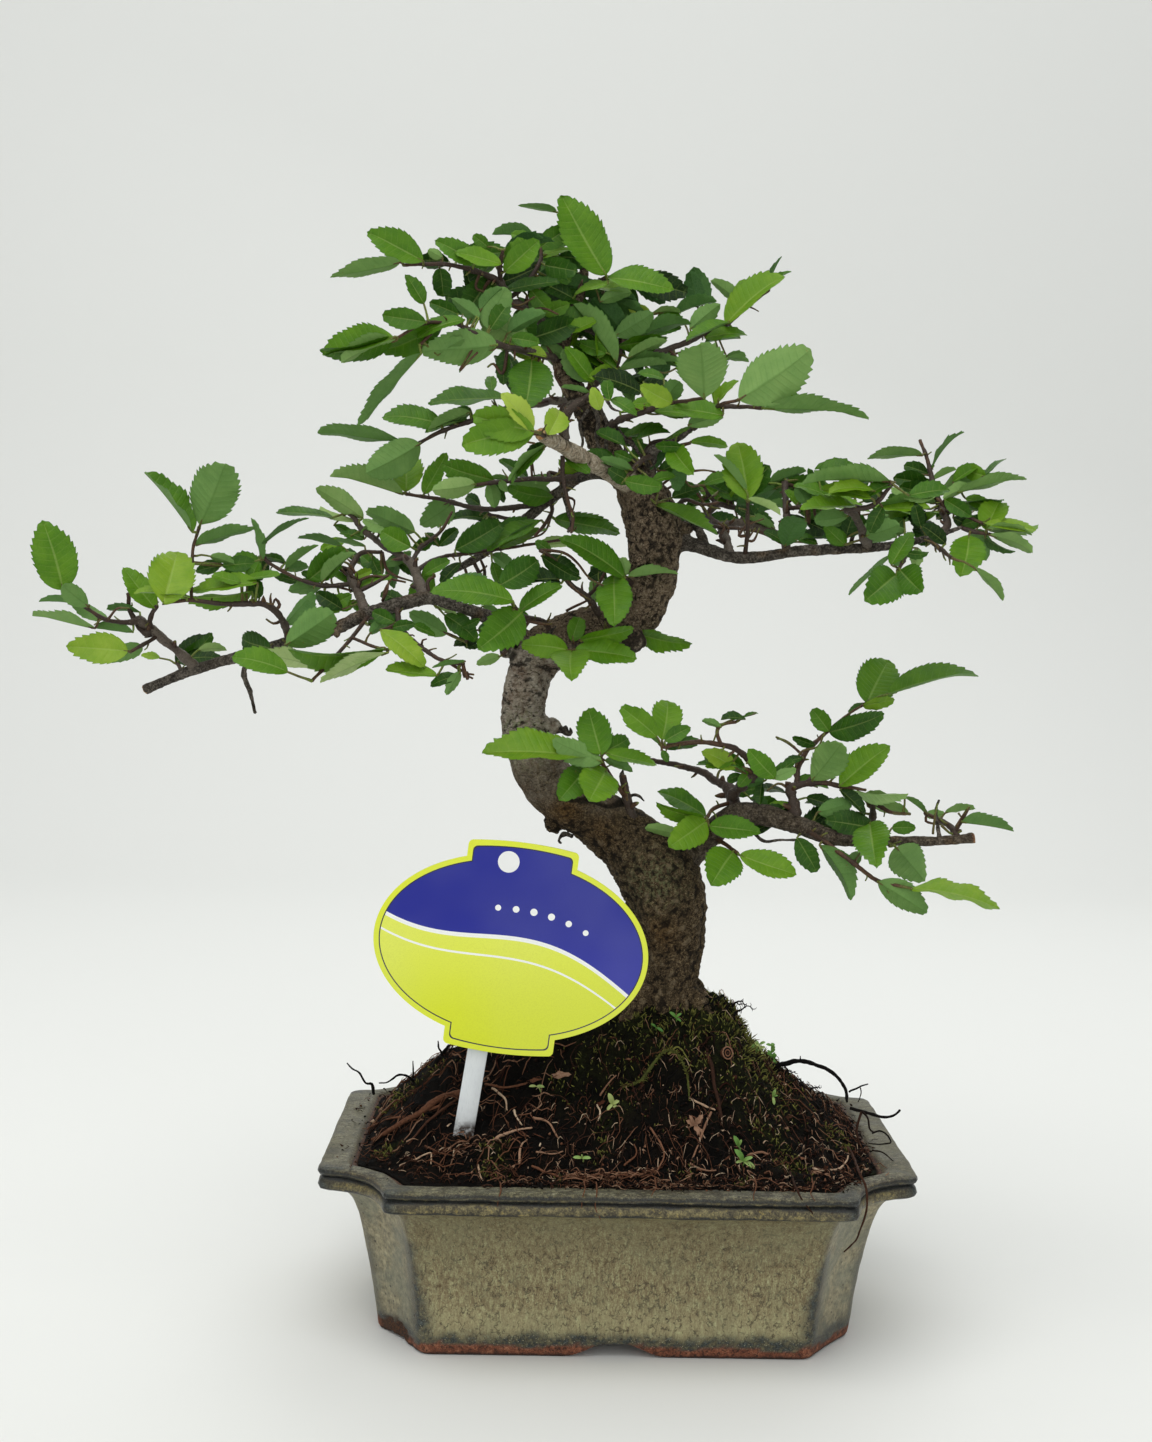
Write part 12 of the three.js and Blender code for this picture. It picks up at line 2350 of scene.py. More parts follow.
    seedling(743, 1166, 4.6, 0.72, [(2.2, 1.25, 0), (0.5, 0.8, 0), (-0.5, 1.0, 0), (3.3, 0.6, 0)], 2.0)
    seedling(740, 1152, 4.2, 0.68, [(2.0, 1.1, 0), (1.2, 0.7, 0)], 2.2)
    seedling(583, 1162, 3.2, 0.8, [(0.1, 1.0, 0), (3.0, 1.0, 0), (1.6, 0.5, 0)], 1.6)
    seedling(773, 1101, 3.2, 0.74, [(1.3, 1.0, 0), (-1.4, 0.9, 0), (0.3, 0.6, 0)], 1.8)
    seedling(541, 1092, 3.0, 0.85, [(0.0, 1.0, 0), (3.1, 0.9, 0)], 2.2)
    seedling(676, 1022, 3.4, 0.5, [(2.4, 1.0, 0), (0.7, 0.8, 0), (-0.6, 0.7, 0)], 1.8)
    seedling(655, 1030, 3.0, 0.42, [(-0.5, 1.0, 0), (2.5, 0.8, 0)], 1.2)
    for px, py, ln, tone in ((757, 1062, 14, 0.62), (765, 1056, 12, 0.9), (771, 1058, 15, 0.66), (776, 1063, 9, 0.5), (748, 1052, 8, 0.7)):
        b = at_y(px, py, -5)
        tip = at_y(px + rng.normal(0, 5), py - ln, -7)
        v, f4, caps, _ = tube_parts(resample(np.array([[*b, 0.28], [*(0.5 * (b + tip)), 0.22], [*tip, 0.16]]), 0.7), 6)
        sp.add(v, f4, caps, tone=tone)
        for k in range(5):
            a = b + (tip - b) * (0.35 + 0.16 * k)
            ang = rng.uniform(0, 2 * math.pi)
            petal(a, a + np.array([math.cos(ang) * 2.0, -0.6, 0.6 + math.sin(ang) * 1.3]), np.array([0, -1.0, 0.6]), 0.7, tone)
    # fallen leaves: a pale one and a brown one
    c0 = g(612, 1108, 1.4)
    for a, l2 in ((1.9, 4.2), (0.5, 2.8), (-0.8, 3.4), (-2.3, 2.6)):
        petal(c0, c0 + np.array([math.cos(a) * l2, -0.9, math.sin(a) * l2]), np.array([0.1, -1.0, 0.5]), l2 * 0.30, 1.0 + rng.normal(0, 0.05), 0.5)
    ob = sp.build("seedlings", [SPROUT])
    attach(ob, "root")

    dead = Soup("tone", "rnd")
    sp_keep, sp2 = sp, dead
    c1 = g(694, 1130, 1.3)
    for a, l2, w in ((1.0, 5.0, 1.3), (-0.9, 5.4, 1.5), (2.5, 3.6, 1.1), (2.0, 4.4, 0.8)):
        tip = c1 + np.array([math.cos(a) * l2, -0.6, math.sin(a) * l2])
        ax = unit(tip - c1)
        nor = unit(np.array([0.1, -1.0, 0.5]))
        sd = unit(np.cross(nor, ax))
        t = np.linspace(0, 1, 9)
        h = w * t ** 0.6 * np.maximum(0, 1 - t) ** 0.8 * 1.9 * (1 + 0.25 * np.sin(t * 17 + a))
        cols = np.array([-1, -0.5, 0, 0.5, 1.0])
        P = c1 + (t * l2)[:, None, None] * ax + (h[:, None] * cols)[..., None] * sd + (0.45 * np.abs(cols)[None] * h[:, None] + 0.2 * l2 * np.sin(math.pi * t)[:, None])[..., None] * nor
        lo = P - 0.14 * nor * (1 - np.abs(cols) ** 4)[None, :, None]
        i, j = np.meshgrid(np.arange(8), np.arange(4), indexing="ij")
        k = (i * 5 + j).ravel()
        q = np.stack([k, k + 5, k + 6, k + 1], 1)
        sp2.add(np.vstack([P.reshape(-1, 3), lo.reshape(-1, 3)]), np.vstack([q, q[:, ::-1] + 45]), tone=0.78, rnd=0.3)
    for px, py, r, ang in ((560, 1078, 4.2, 0.3), (533, 1083, 2.6, 0.5), (640, 1090, 2.2, 1.0), (600, 1106, 2.4, 0.8), (470, 1060, 2.0, 2.0), (815, 1175, 2.4, 0.2), (825, 1172, 2.0, 1.2), (512, 1170, 1.6, 1.0), (788, 1120, 2.0, 0.6), (700, 1093, 1.8, 1.3)):
        c2 = g(px, py, 0.7)
        ax = unit(np.array([math.cos(ang), -0.3, math.sin(ang) * 0.7]))
        nor = unit(np.array([0.0, -0.9, 0.7]))
        sd = unit(np.cross(nor, ax))
        t = np.linspace(0, 1, 8)
        h = r * 0.42 * t ** 0.6 * np.maximum(0, 1 - t) ** 0.8 * 1.8 * (1 + 0.3 * np.sin(t * 15 + px))
        cols = np.array([-1, -0.5, 0, 0.5, 1.0])
        P = c2 + ((t - 0.5) * 2 * r)[:, None, None] * ax + (h[:, None] * cols)[..., None] * sd + (0.3 * np.abs(cols)[None] * h[:, None] + 0.15 * r * np.sin(math.pi * t)[:, None])[..., None] * nor
        lo = P - 0.14 * nor * (1 - np.abs(cols) ** 4)[None, :, None]
        i, j = np.meshgrid(np.arange(7), np.arange(4), indexing="ij")
        k = (i * 5 + j).ravel()
        q = np.stack([k, k + 5, k + 6, k + 1], 1)
        sp2.add(np.vstack([P.reshape(-1, 3), lo.reshape(-1, 3)]), np.vstack([q, q[:, ::-1] + 40]), tone=rng.uniform(0.4, 0.8), rnd=rng.random())
    ob = dead.build("fallen_leaves", [LITTER])
    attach(ob, "root")

    # curled dark fronds on the bank
    fr = Soup("tone", "rnd")
    for px, py, kind in ((706, 1005, 0), (715, 1000, 0), (729, 1010, 1), (735, 1003, 1), (738, 1016, 1), (731, 1022, 2), (722, 1008, 0), (741, 1026, 0), (738, 1040, 0), (787, 1073, 0), (794, 1080, 0), (820, 1090, 0), (812, 1092, 0), (700, 998, 0)):
        b = at_y(px - 3, py + 4, -4 - rng.uniform(0, 6))
        size = rng.uniform(2.2, 4.2) * (1.5 if kind == 1 else 1.0)
        a0 = rng.uniform(0.9, 2.0)
        pts = [b]
        for k in range(1, 9):
            a = a0 - k * rng.uniform(0.20, 0.42)
            pts.append(pts[-1] + np.array([math.cos(a), rng.normal(0, 0.12), math.sin(a)]) * size * 0.22)
        root(pts, 0.42, 0.18, 0.10 if kind != 2 else 0.8, fr, 6, 0.2)
        for k in range(2, 9):
            for sgn in (-1, 1):
                if rng.random() < 0.25:
                    continue
                q0 = np.array(pts[k])
                dv = unit(np.array(pts[k]) - np.array(pts[k - 1]))
                sv = unit(np.cross(dv, [0, 1.0, 0.2])) * sgn
                reach = rng.uniform(0.10, 0.34) * size
                sv = unit(sv + rng.normal(0, 0.35, 3))
                root([q0, q0 + sv * reach * 0.6 + dv * 0.35, q0 + sv * reach + dv * rng.uniform(-0.2, 0.7)], 0.17, 0.06, 0.12 if kind != 2 else 0.78, fr, 4, 0.1)
    ob = fr.build("dry_fronds", [LITTER])
    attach(ob, "root")


soil()


# ------------------------------------------------------------------ pot
PROFILE = [  # z, half width, half depth, half length of the end edge, half width of the front edge, indent
    (0.0, 79.3, 53.7, 31.6, 63.4, 0.10), (0.5, 80.0, 54.4, 32.1, 63.9, 0.11), (1.6, 80.5, 54.9, 32.5, 64.3, 0.12), (9, 81.5, 56.2, 33.5, 65, 0.20),
    (20, 83.1, 58.4, 35.4, 66, 0.34), (32, 84.9, 61.2, 38.2, 67.3, 0.48), (40, 86.4, 63.7, 40.9, 68.5, 0.56), (45, 87.6, 65.8, 42.7, 69.4, 0.60),
    (48.5, 88.9, 67.6, 44.0, 70.1, 0.66), (51.0, 90.6, 69.6, 45.5, 71.0, 0.72), (52.6, 92.8, 71.8, 47.2, 72.1, 0.80), (53.5, 95.6, 74.5, 49.3, 73.6, 0.90),
    (53.9, 98.0, 76.8, 51.3, 74.9, 0.96), (54.5, 99.1, 77.9, 52.2, 75.6, 1.0), (55.6, 99.5, 78.3, 52.5, 75.9, 1.0), (57.2, 99.1, 77.9, 52.3, 75.7, 1.0),
    (57.8, 98.6, 77.4, 52.0, 75.4, 1.0), (58.3, 98.2, 77.0, 51.7, 75.1, 1.0), (58.8, 98.8, 77.6, 52.1, 75.5, 1.0), (59.3, 99.4, 78.2, 52.4, 75.8, 1.0), (60.0, 99.6, 78.4, 52.6, 76.0, 1.0), (60.9, 99.4, 78.2, 52.5, 75.9, 1.0),
    (61.4, 98.6, 77.4, 51.9, 75.3, 1.0), (61.6, 97.4, 76.2, 51.0, 74.6, 0.97)]
TOP = [(61.62, 95.5, 74.4, 49.8, 73.6, 0.9), (61.66, 93.5, 72.8, 48.9, 72.6, 0.8), (61.6, 91.6, 71.4, 48.0, 71.8, 0.7), (61.3, 90.0, 70.2, 47.4, 71.2, 0.6),
       (60.4, 88.8, 69.1, 46.8, 70.5, 0.5)]


def pot_material():
    m = Mat("pot_glaze", 0.5, 0.45)
    pool, bare, top, chip, band, zz, facet = (m.attr(k) for k in ("pool", "bare", "top", "chip", "band", "zz", "facet"))
    obj = m.coords()
    streak = m.noise(m.coords((0.95, 0.95, 0.16)), 1.0, 4, 0.66, 0.6)
    streak2 = m.noise(m.coords((3.2, 3.2, 0.7)), 1.0, 3, 0.6)
    stir = m.node("ShaderNodeTexNoise")
    stir.inputs["Scale"].default_value = 0.55
    stir.inputs["Detail"].default_value = 3
    m.link(obj, stir.inputs["Vector"])
    push = m.node("ShaderNodeVectorMath", operation="MULTIPLY_ADD")
    m.link(stir.outputs["Color"], push.inputs[0])
    push.inputs[1].default_value = (2.2, 2.2, 2.2)
    m.link(m.coords((0.72, 0.72, 0.27)), push.inputs[2])
    craze = m.range(m.voronoi(push.outputs["Vector"], 0.62, "DISTANCE_TO_EDGE"), 0.0, 0.12, 1.0, 0.0, True)
    gate = m.range(m.noise(obj, 0.4, 3, 0.6), 0.44, 0.58, 0.0, 1.0, True)
    blot = m.noise(obj, 0.07, 4, 0.6)
    mid = m.noise(obj, 0.45, 4, 0.65)
    fine = m.noise(obj, 2.0, 4, 0.7)
    brush = m.noise(m.coords((0.25, 2.6, 1.0)), 1.0, 3, 0.6)
    # panel: khaki, streaked by the running glaze, darker towards the rim
    t = m.math("ADD", m.math("MULTIPLY", streak, 0.34), m.math("MULTIPLY", streak2, 0.26))
    t = m.math("ADD", t, m.math("MULTIPLY", mid, 0.15))
    t = m.math("ADD", t, m.math("MULTIPLY", fine, 0.25))
    panel = m.ramp(t, [(0.36, "#42341f"), (0.44, "#6c5c3e"), (0.50, "#867a58"), (0.56, "#9c986f"), (0.66, "#bfbd96")])
    panel = m.mix(m.range(zz, 24, 9, 0.0, 0.30, True), panel, "#b9b48a")
    panel = m.mix(m.math("MULTIPLY", craze, m.math("MULTIPLY", gate, 0.8)), panel, "#35291a")
    panel = m.mix(m.range(zz, 20, 52, 0.0, 0.50, True), panel, "#50492a")
    panel = m.mix(m.range(blot, 0.45, 0.62, 0.0, 0.20, True), panel, "#7b7c5c")
    # corner facets: smooth beige grey
    side = m.ramp(m.math("ADD", m.math("MULTIPLY", mid, 0.6), m.math("MULTIPLY", streak2, 0.4)),
                  [(0.36, "#4f4b39"), (0.46, "#797156"), (0.54, "#938a6c"), (0.68, "#b2a988")])
    side = m.mix(m.range(blot, 0.45, 0.60, 0.0, 0.50, True), side, "#686d5d")
    panel = m.mix(facet, panel, side)
    # rim face: olive brown mottling
    face = m.ramp(m.math("ADD", m.math("MULTIPLY", mid, 0.55), m.math("MULTIPLY", fine, 0.45)),
                  [(0.34, "#17130b"), (0.44, "#39321f"), (0.52, "#5b5336"), (0.60, "#7f754e"), (0.70, "#ab9f6e")])
    face = m.mix(m.range(m.noise(obj, 0.9, 2, 0.5), 0.6, 0.7, 0.0, 0.45, True), face, "#8d7a35")
    # rim top: brushed grey-green
    flat = m.ramp(m.math("ADD", m.math("MULTIPLY", brush, 0.55), m.math("MULTIPLY", fine, 0.45)),
                  [(0.34, "#19170e"), (0.43, "#413f30"), (0.50, "#686551"), (0.57, "#89856c"), (0.68, "#b0aa90")])
    flat = m.mix(m.range(blot, 0.46, 0.6, 0.0, 0.5, True), flat, "#5d5838")
    flat = m.mix(m.math("MULTIPLY", craze, 0.5), flat, "#1d1b10")
    grime = m.attr("grime")
    flat = m.mix(m.math("MULTIPLY", grime, m.range(m.noise(obj, 0.30, 5, 0.72), 0.42, 0.58, 0.1, 0.95, True)), flat, "#2b2617")
    flat = m.mix(m.math("MULTIPLY", grime, m.range(m.noise(obj, 1.1, 3, 0.7), 0.56, 0.66, 0.0, 0.8, True)), flat, "#8b8566")
    col = m.mix(band, panel, face)
    col = m.mix(top, col, flat)
    dark = m.ramp(m.math("ADD", m.math("MULTIPLY", mid, 0.5), m.math("MULTIPLY", fine, 0.5)),
                  [(0.34, "#070808"), (0.47, "#161a19"), (0.56, "#303735"), (0.70, "#6a706a")])
    pl = m.math("MULTIPLY", pool, m.range(mid, 0.32, 0.56, 0.6, 1.25), True)
    col = m.mix(pl, col, dark)
    # near-black lines that run along the rim
    wz = m.math("ADD", zz, m.math("ADD", m.math("MULTIPLY", m.math("SUBTRACT", blot, 0.5), 2.6), m.math("ADD", m.math("MULTIPLY", m.math("SUBTRACT", mid, 0.5), 1.9), m.math("MULTIPLY", m.math("SUBTRACT", fine, 0.5), 0.7))))
    for at, a, b, k in ((60.2, 0.26, 0.85, 0.92), (58.35, 0.48, 1.25, 0.97), (54.0, 0.34, 1.1, 0.9)):
        off = m.math("ABSOLUTE", m.math("SUBTRACT", wz, at))
        ln = m.math("MULTIPLY", m.range(off, a, b, k, 0.0, True), m.range(top, 0.0, 0.6, 1.0, 0.0))
        col = m.mix(ln, col, m.mix(m.range(fine, 0.5, 0.66, 0.0, 0.6), "#08090a", "#3b4442"))
    # pits and freckles in the glaze
    pit = m.math("MULTIPLY", m.range(m.voronoi(obj, 0.30), 0.07, 0.15, 1.0, 0.0, True), m.range(m.noise(obj, 0.11, 2, 0.5), 0.46, 0.56, 0.0, 1.0, True))
    col = m.mix(m.math("MULTIPLY", pit, 0.8), col, "#33261a")
    dot = m.math("MULTIPLY", m.range(m.voronoi(obj, 0.27), 0.09, 0.16, 1.0, 0.0, True), m.range(m.noise(obj, 0.13, 2, 0.5), 0.47, 0.55, 0.0, 1.0, True))
    col = m.mix(m.math("MULTIPLY", m.math("MULTIPLY", dot, facet), 0.85), col, "#2a2016")
    fr = m.range(m.voronoi(obj, 1.1), 0.10, 0.2, 1.0, 0.0, True)
    col = m.mix(m.math("MULTIPLY", m.math("MULTIPLY", fr, m.range(pool, 0.25, 0.8, 0.08, 0.6)), m.range(zz, 18, 10, 0.15, 1.0)), col, "#c9c3a2")
    # unglazed foot
    clay = m.ramp(m.math("ADD", m.math("MULTIPLY", mid, 0.5), m.math("MULTIPLY", fine, 0.5)),
                  [(0.34, "#28140c"), (0.45, "#5f3524"), (0.55, "#834d35"), (0.70, "#ab8061")])
    clay = m.mix(m.math("MULTIPLY", fr, 0.5), clay, "#6b5b4c")
    clay = m.mix(m.range(m.noise(obj, 0.8, 3, 0.65), 0.53, 0.64, 0.0, 0.85, True), clay, "#2a1a10")
    clay = m.mix(m.range(m.math("ADD", zz, m.math("MULTIPLY", mid, 1.5)), 2.5, 1.1, 0.0, 0.88, True), clay, "#2b1c12")
    col = m.mix(bare, col, clay)
    col = m.mix(chip, col, m.ramp(fine, [(0.35, "#140d08"), (0.5, "#3a2415"), (0.66, "#6d4526")]))
    rough = m.range(m.math("MAXIMUM", bare, chip), 0.0, 1.0, 0.44, 0.92)
    rough = m.math("ADD", rough, m.math("MULTIPLY", m.math("SUBTRACT", fine, 0.5), 0.2))
    rough = m.math("SUBTRACT", rough, m.math("MULTIPLY", pool, 0.12))
    rough = m.math("ADD", rough, m.math("MULTIPLY", top, 0.14))
    h = m.math("ADD", m.math("MULTIPLY", streak, 0.6), m.math("MULTIPLY", fine, 0.55))
    h = m.math("SUBTRACT", h, m.math("MULTIPLY", pit, 1.2))
    return m.out(col, rough, m.bump(h, 0.6, 0.45))


GLAZE = pot_material()


def loft(rings, flip=False):
    """Closed solid through rings of equal count, with fan caps; returns an object."""
    n = len(rings[0])
    v = np.vstack(rings + [rings[0].mean(0)[None], rings[-1].mean(0)[None]])
    k = np.arange(n)
    k2 = (k + 1) % n
    faces = []
    for i in range(len(rings) - 1):
        faces += np.stack([i * n + k, i * n + k2, (i + 1) * n + k2, (i + 1) * n + k], 1).tolist()
    a, b = len(rings) * n, len(rings) * n + 1
    faces += np.stack([np.full(n, a), k2, k], 1).tolist()
    faces += np.stack([np.full(n, b), (len(rings) - 1) * n + k, (len(rings) - 1) * n + k2], 1).tolist()
    me = bpy.data.meshes.new("loft")
    me.from_pydata(((v + SHIFT) * MM).tolist(), [], faces)
    me.update()
    ob = bpy.data.objects.new("loft", me)
    bpy.context.scene.collection.objects.link(ob)
    return ob


def cut(ob, tool):
    mod = ob.modifiers.new("cut", "BOOLEAN")
    mod.operation = "DIFFERENCE"
    mod.object = tool
    mod.solver = "EXACT"
    dg = bpy.context.evaluated_depsgraph_get()
    me = bpy.data.meshes.new_from_object(ob.evaluated_get(dg), depsgraph=dg)
    ob.modifiers.clear()
    ob.data = me
    bpy.data.objects.remove(tool)


def levels(table, step, lead=()):
    t = np.array(table, float)
    out = []
    for i in range(len(t) - 1):
        a, b, c, d = t[max(0, i - 1)], t[i], t[i + 1], t[min(len(t) - 1, i + 2)]
        n = max(1, int(round(np.linalg.norm((c - b)[:3]) / step)))
        for s in np.arange(n) / n:
            if i in lead:
                out.append(b + (c - b) * s)
                continue
            out.append(0.5 * (2 * b + (c - a) * s + (2 * a - 5 * b + 4 * c - d) * s ** 2 + (3 * b - a - 3 * c + d) * s ** 3))
    out.append(t[-1])
    return out


def pot():
    ring = lambda r, soft=2: np.column_stack([outline(*r[1:6], 20, 16, 40, soft), np.full(4 * (20 + 16 + 40), r[0])])
    stack = [ring(r) for r in levels(PROFILE, 1.25)] + [ring(r) for r in levels(TOP, 1.1)]
    cav = levels(CAVITY[:6] + [(60.41, 88.8, 69.1, 46.8, 70.5, 0.5)], 5.0)
    stack += [ring((r[0], *r[1:])) for r in reversed(cav[:-1])]
    ob = loft(stack)
    ob.name = "pot_glazed"
    rec = loft([np.column_stack([outline(*r[1:], 6, 5, 8, 1), np.full(76, r[0])]) for r in ((-2, 66.5, 41.5, 24.3, 52.3, 0.0), (3.4, 64.4, 39.4, 23.3, 50.3, 0.0), (4.0, 63.6, 38.6, 22.8, 49.7, 0.0))])
    cut(ob, rec)

    def arch(w, top, h, length, along_y):
        prof = [(-w, -2.0), (w, -2.0), (w - 0.4, 0.0)]
        for k in range(1, 13):
            f = k / 12
            prof.append((w - 0.4 - (w - top - 0.4) * f, h * math.sin(f ** 1.7 * math.pi / 2)))
        prof += [(-x, z) for x, z in reversed(prof[2:])]
        pts = []
        for s in (-length / 2, length / 2):
            pts.append(np.array([(x, s, z) if along_y else (s, -x, z) for x, z in prof]))
        return loft(pts[::-1] if along_y else pts[::-1])

    cut(ob, arch(18.5, 3.2, 4.9, 170, True))
    cut(ob, arch(15.5, 3.2, 4.9, 200, False))
    for sx in (-38, 38):
        a = np.linspace(0, 2 * math.pi, 36, endpoint=False)
        cut(ob, loft([np.column_stack([sx + 6 * np.cos(a), 6 * np.sin(a), np.full(36, z)]) for z in (-4.0, 16.0)]))
    me = ob.data
    n = len(me.vertices)
    co = np.zeros(n * 3, np.float32)
    me.vertices.foreach_get("co", co)
    co = co.reshape(-1, 3).astype(float) / MM - SHIFT
    nor = np.zeros(n * 3, np.float32)
    me.vertices.foreach_get("normal", nor)
    nor = nor.reshape(-1, 3).astype(float)
    x, y, z = co.T
    ax, ay = np.abs(x), np.abs(y)
    tab = np.array(PROFILE)
    hw, hd, yc, wf = (np.interp(z, tab[:, 0], tab[:, k]) for k in (1, 2, 3, 4))
    outer = np.maximum(ax - hw, ay - hd) > -26
    inside = (nor[:, 0] * x + nor[:, 1] * y < 0) & (z > 8.5) & (z < 60.4)
    under = (ax < 67) & (ay < 42) & (z < 8)
    # hand-made unevenness, outside only
    lump = 0.42 * fbm(co / 22, 2, 61) + 0.16 * fbm(co / 5, 2, 62)
    run = 0.10 * perlin(co / np.array([1.6, 1.6, 14.0]), 63)
    ripple = 0.14 * perlin(co / np.array([7.0, 7.0, 1.3]), 64)
    w = smoothstep(0.3, 3.0, z) * np.where(inside, 0, 1)
    disp = (lump + run * smoothstep(54, 50, z) + ripple * smoothstep(53, 54.5, z)) * w
    chipc = np.array([-75.0, -42.0, 2.5])
    chip = np.exp(-(np.linalg.norm((co - chipc) * np.array([0.085, 0.065, 0.135]), axis=1) + 0.35 * perlin(co / 3.0, 65)) ** 2 * 1.6)
    chip = smoothstep(0.35, 0.7, chip) * (y < 0) * (x < 0)
    disp -= chip * (1.0 + 0.8 * perlin(co / 1.6, 66))
    dent = np.zeros(n)
    f1, _ = cells(co / 8.0, 67)
    keep = smoothstep(0.05, 0.3, perlin(co / 15, 68))
    dent = np.exp(-(f1 / 0.085) ** 2) * keep * w * smoothstep(61, 58, z)
    disp -= 0.5 * dent
    co2 = co + nor * np.clip(disp, -1.6, 0.5)[:, None]
    lim = np.array([99.9, 78.85])
    co2[:, 0] = np.clip(co2[:, 0], -lim[0], lim[0])
    co2[:, 1] = np.clip(co2[:, 1], -lim[1], lim[1])
    co2[:, 2] = np.maximum(co2[:, 2], 0)
    me.vertices.foreach_set("co", ((co2 + SHIFT) * MM).astype(np.float32).ravel())
    # where the glaze pools dark: rim lines, panel edges, the band above the foot
    d1, d2 = np.hypot(ax - wf, ay - hd), np.hypot(ax - hw, ay - yc)
    e = np.minimum(d1, d2)
    wob = 0.55 * perlin(co / np.array([9, 9, 4.0]), 71) + 0.3 * perlin(co / 2.2, 72)
    pool = 0.36 * smoothstep(57.6, 60.0, z + wob) * (nor[:, 2] < 0.9) * smoothstep(-0.3, 0.25, perlin(co / np.array([14, 14, 6.0]), 77))
    edge = np.exp(-((e + 1.4 * wob) / 1.6) ** 2) * smoothstep(4, 9, z)
    pool = np.maximum(pool, edge * np.where(z < 53, 0.25 + 0.45 * smoothstep(38, 20, z + 8 * wob), 0.9))
    over = smoothstep(-0.6, 0.8, np.minimum(ax - wf, ay - yc) + 0.25 * wob)
    facet = over * smoothstep(54, 52.5, z)
    smear = over * np.exp(-((np.minimum(d1, d2 + 2.0) - 2.8 + 1.5 * wob) / 2.9) ** 2) * smoothstep(52, 34, z + 9 * perlin(co / 12, 78))
    pool = np.maximum(pool, 0.60 * smear * (z < 53.5))
    # a broad dark run down each long edge of the panel, wider towards the foot
    wide = 1.7 + 2.6 * smoothstep(40, 8, z)
    run = np.exp(-((np.maximum(d1 + 1.3 * wob, 0)) / wide) ** 2) * smoothstep(45, 33, z + 7 * perlin(co / 11, 83)) * smoothstep(5, 9, z)
    pool = np.maximum(pool, 0.92 * run)
    pool = np.maximum(pool, 0.42 * facet * smoothstep(16, 5, z + 4 * perlin(co / 6, 79)))
    bandz = np.exp(-(np.maximum(0, z - 6.0 + 1.8 * wob + 1.2 * perlin(co / 4.5, 80)) / 2.2) ** 2)
    pool = np.maximum(pool, 0.80 * bandz)
    pool = np.maximum(pool, 0.9 * np.where((z > 53.6) & (z < 61.4), np.exp(-((e / 5.5) ** 2)), 0))
    flat = smoothstep(0.45, 0.9, nor[:, 2]) * smoothstep(60.4, 61.0, z)
    pool = np.maximum(pool, flat * 0.6 * smoothstep(0.05, 0.45, perlin(co / np.array([16, 5, 5.0]), 73)))
    inner = np.exp(-(np.minimum(np.abs(ax - hw), np.abs(ay - hd)) - 9.5) ** 2 / 9.0)
    pool = np.maximum(pool, flat * 0.5 * inner * smoothstep(-0.3, 0.3, perlin(co / 5.0, 76)))
    pool = pool * (1 - 0.55 * flat * (e > 7)) * (z < 61.9)
    bare = smoothstep(4.1, 3.3, z + 1.5 * perlin(co / np.array([9, 9, 9.0]), 74) + 0.6 * perlin(co / 2.2, 75))
    bare = np.maximum(bare, np.where(inside, 1, 0))
    bare = np.maximum(bare, np.where(under, 1, 0))
    band = smoothstep(53.4, 54.6, z)
    grime = np.clip(smoothstep(-40, -62, y) + 0.35 + 0.5 * perlin(co / 15, 81), 0, 1)
    chipv = np.maximum(chip, dent * 0.9)
    chipv = np.maximum(chipv, np.where(inside & (z > 40), 1.0, 0))
    lip = smoothstep(62.0, 58.5, z) * smoothstep(0.2, 0.9, nor[:, 2]) * (z > 59.5)
    chipv = np.maximum(chipv, lip * (z < 61.5) * (np.maximum(ax - 91.5, ay - 71.3) < 0))
    for k, val in dict(pool=pool, bare=bare, top=flat, chip=chipv, band=band, zz=z, facet=facet, grime=grime).items():
        at = me.attributes.new(k, "FLOAT", "POINT")
        at.data.foreach_set("value", np.asarray(val, np.float32))
    me.polygons.foreach_set("use_smooth", np.ones(len(me.polygons), bool))
    me.materials.clear()
    me.materials.append(GLAZE)
    me.set_sharp_from_angle(angle=math.radians(38))
    me.update()
    COUNT["pot_glazed"] = sum(len(p.vertices) - 2 for p in me.polygons)
    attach(ob, "root")
    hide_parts("pot")

    mesh = Mat("drain_mesh", 0.6, 0.4)
    mo = mesh.coords()
    mesh.out(mesh.ramp(mesh.noise(mo, 1.2, 3, 0.6), [(0.3, "#17191a"), (0.7, "#2b2e2f")]), mesh.range(mesh.noise(mo, 2, 2, 0.5), 0.3, 0.7, 0.5, 0.7),
             mesh.bump(mesh.noise(mo, 3, 2, 0.5), 0.3, 0.1))
    for node in ("drainage_mesh_left", "drainage_mesh_right"):
        o = bpy.data.objects[node]
        for s in o.material_slots:
            s.material = mesh.m


pot()


# ------------------------------------------------------------------ plant label: plain generic print
from mathutils.geometry import delaunay_2d_cdt

CARD_C = np.array([-37.08, -42.0, 133.69])
CARD_TILT = math.radians(6.5)
CARD_T = 1.0


def card_edge(grow, n=34):
    a, b, tw, th, r = 46 + grow, 31.4 + grow, 18.5 + grow, 35.6 + grow, 1.7
    t0 = math.acos(min(1, tw / a))
    t = np.linspace(0, t0, n)
    q = np.stack([a * np.cos(t), b * np.sin(t)], 1).tolist()
    for k in range(7):
        f = math.pi / 2 * k / 6
        q.append([tw - r + r * math.cos(f), th - 1.1 - r + r * math.sin(f)])
    for k in range(1, 8):
        s = k / 7
        q.append([(tw - r) * (1 - s), th - 1.1 * (1 - s) ** 2])
    q = np.array(q)
    return np.vstack([q, q[:-1][::-1] * [-1, 1], q[1:] * [-1, -1], q[1:-1][::-1] * [1, -1]])


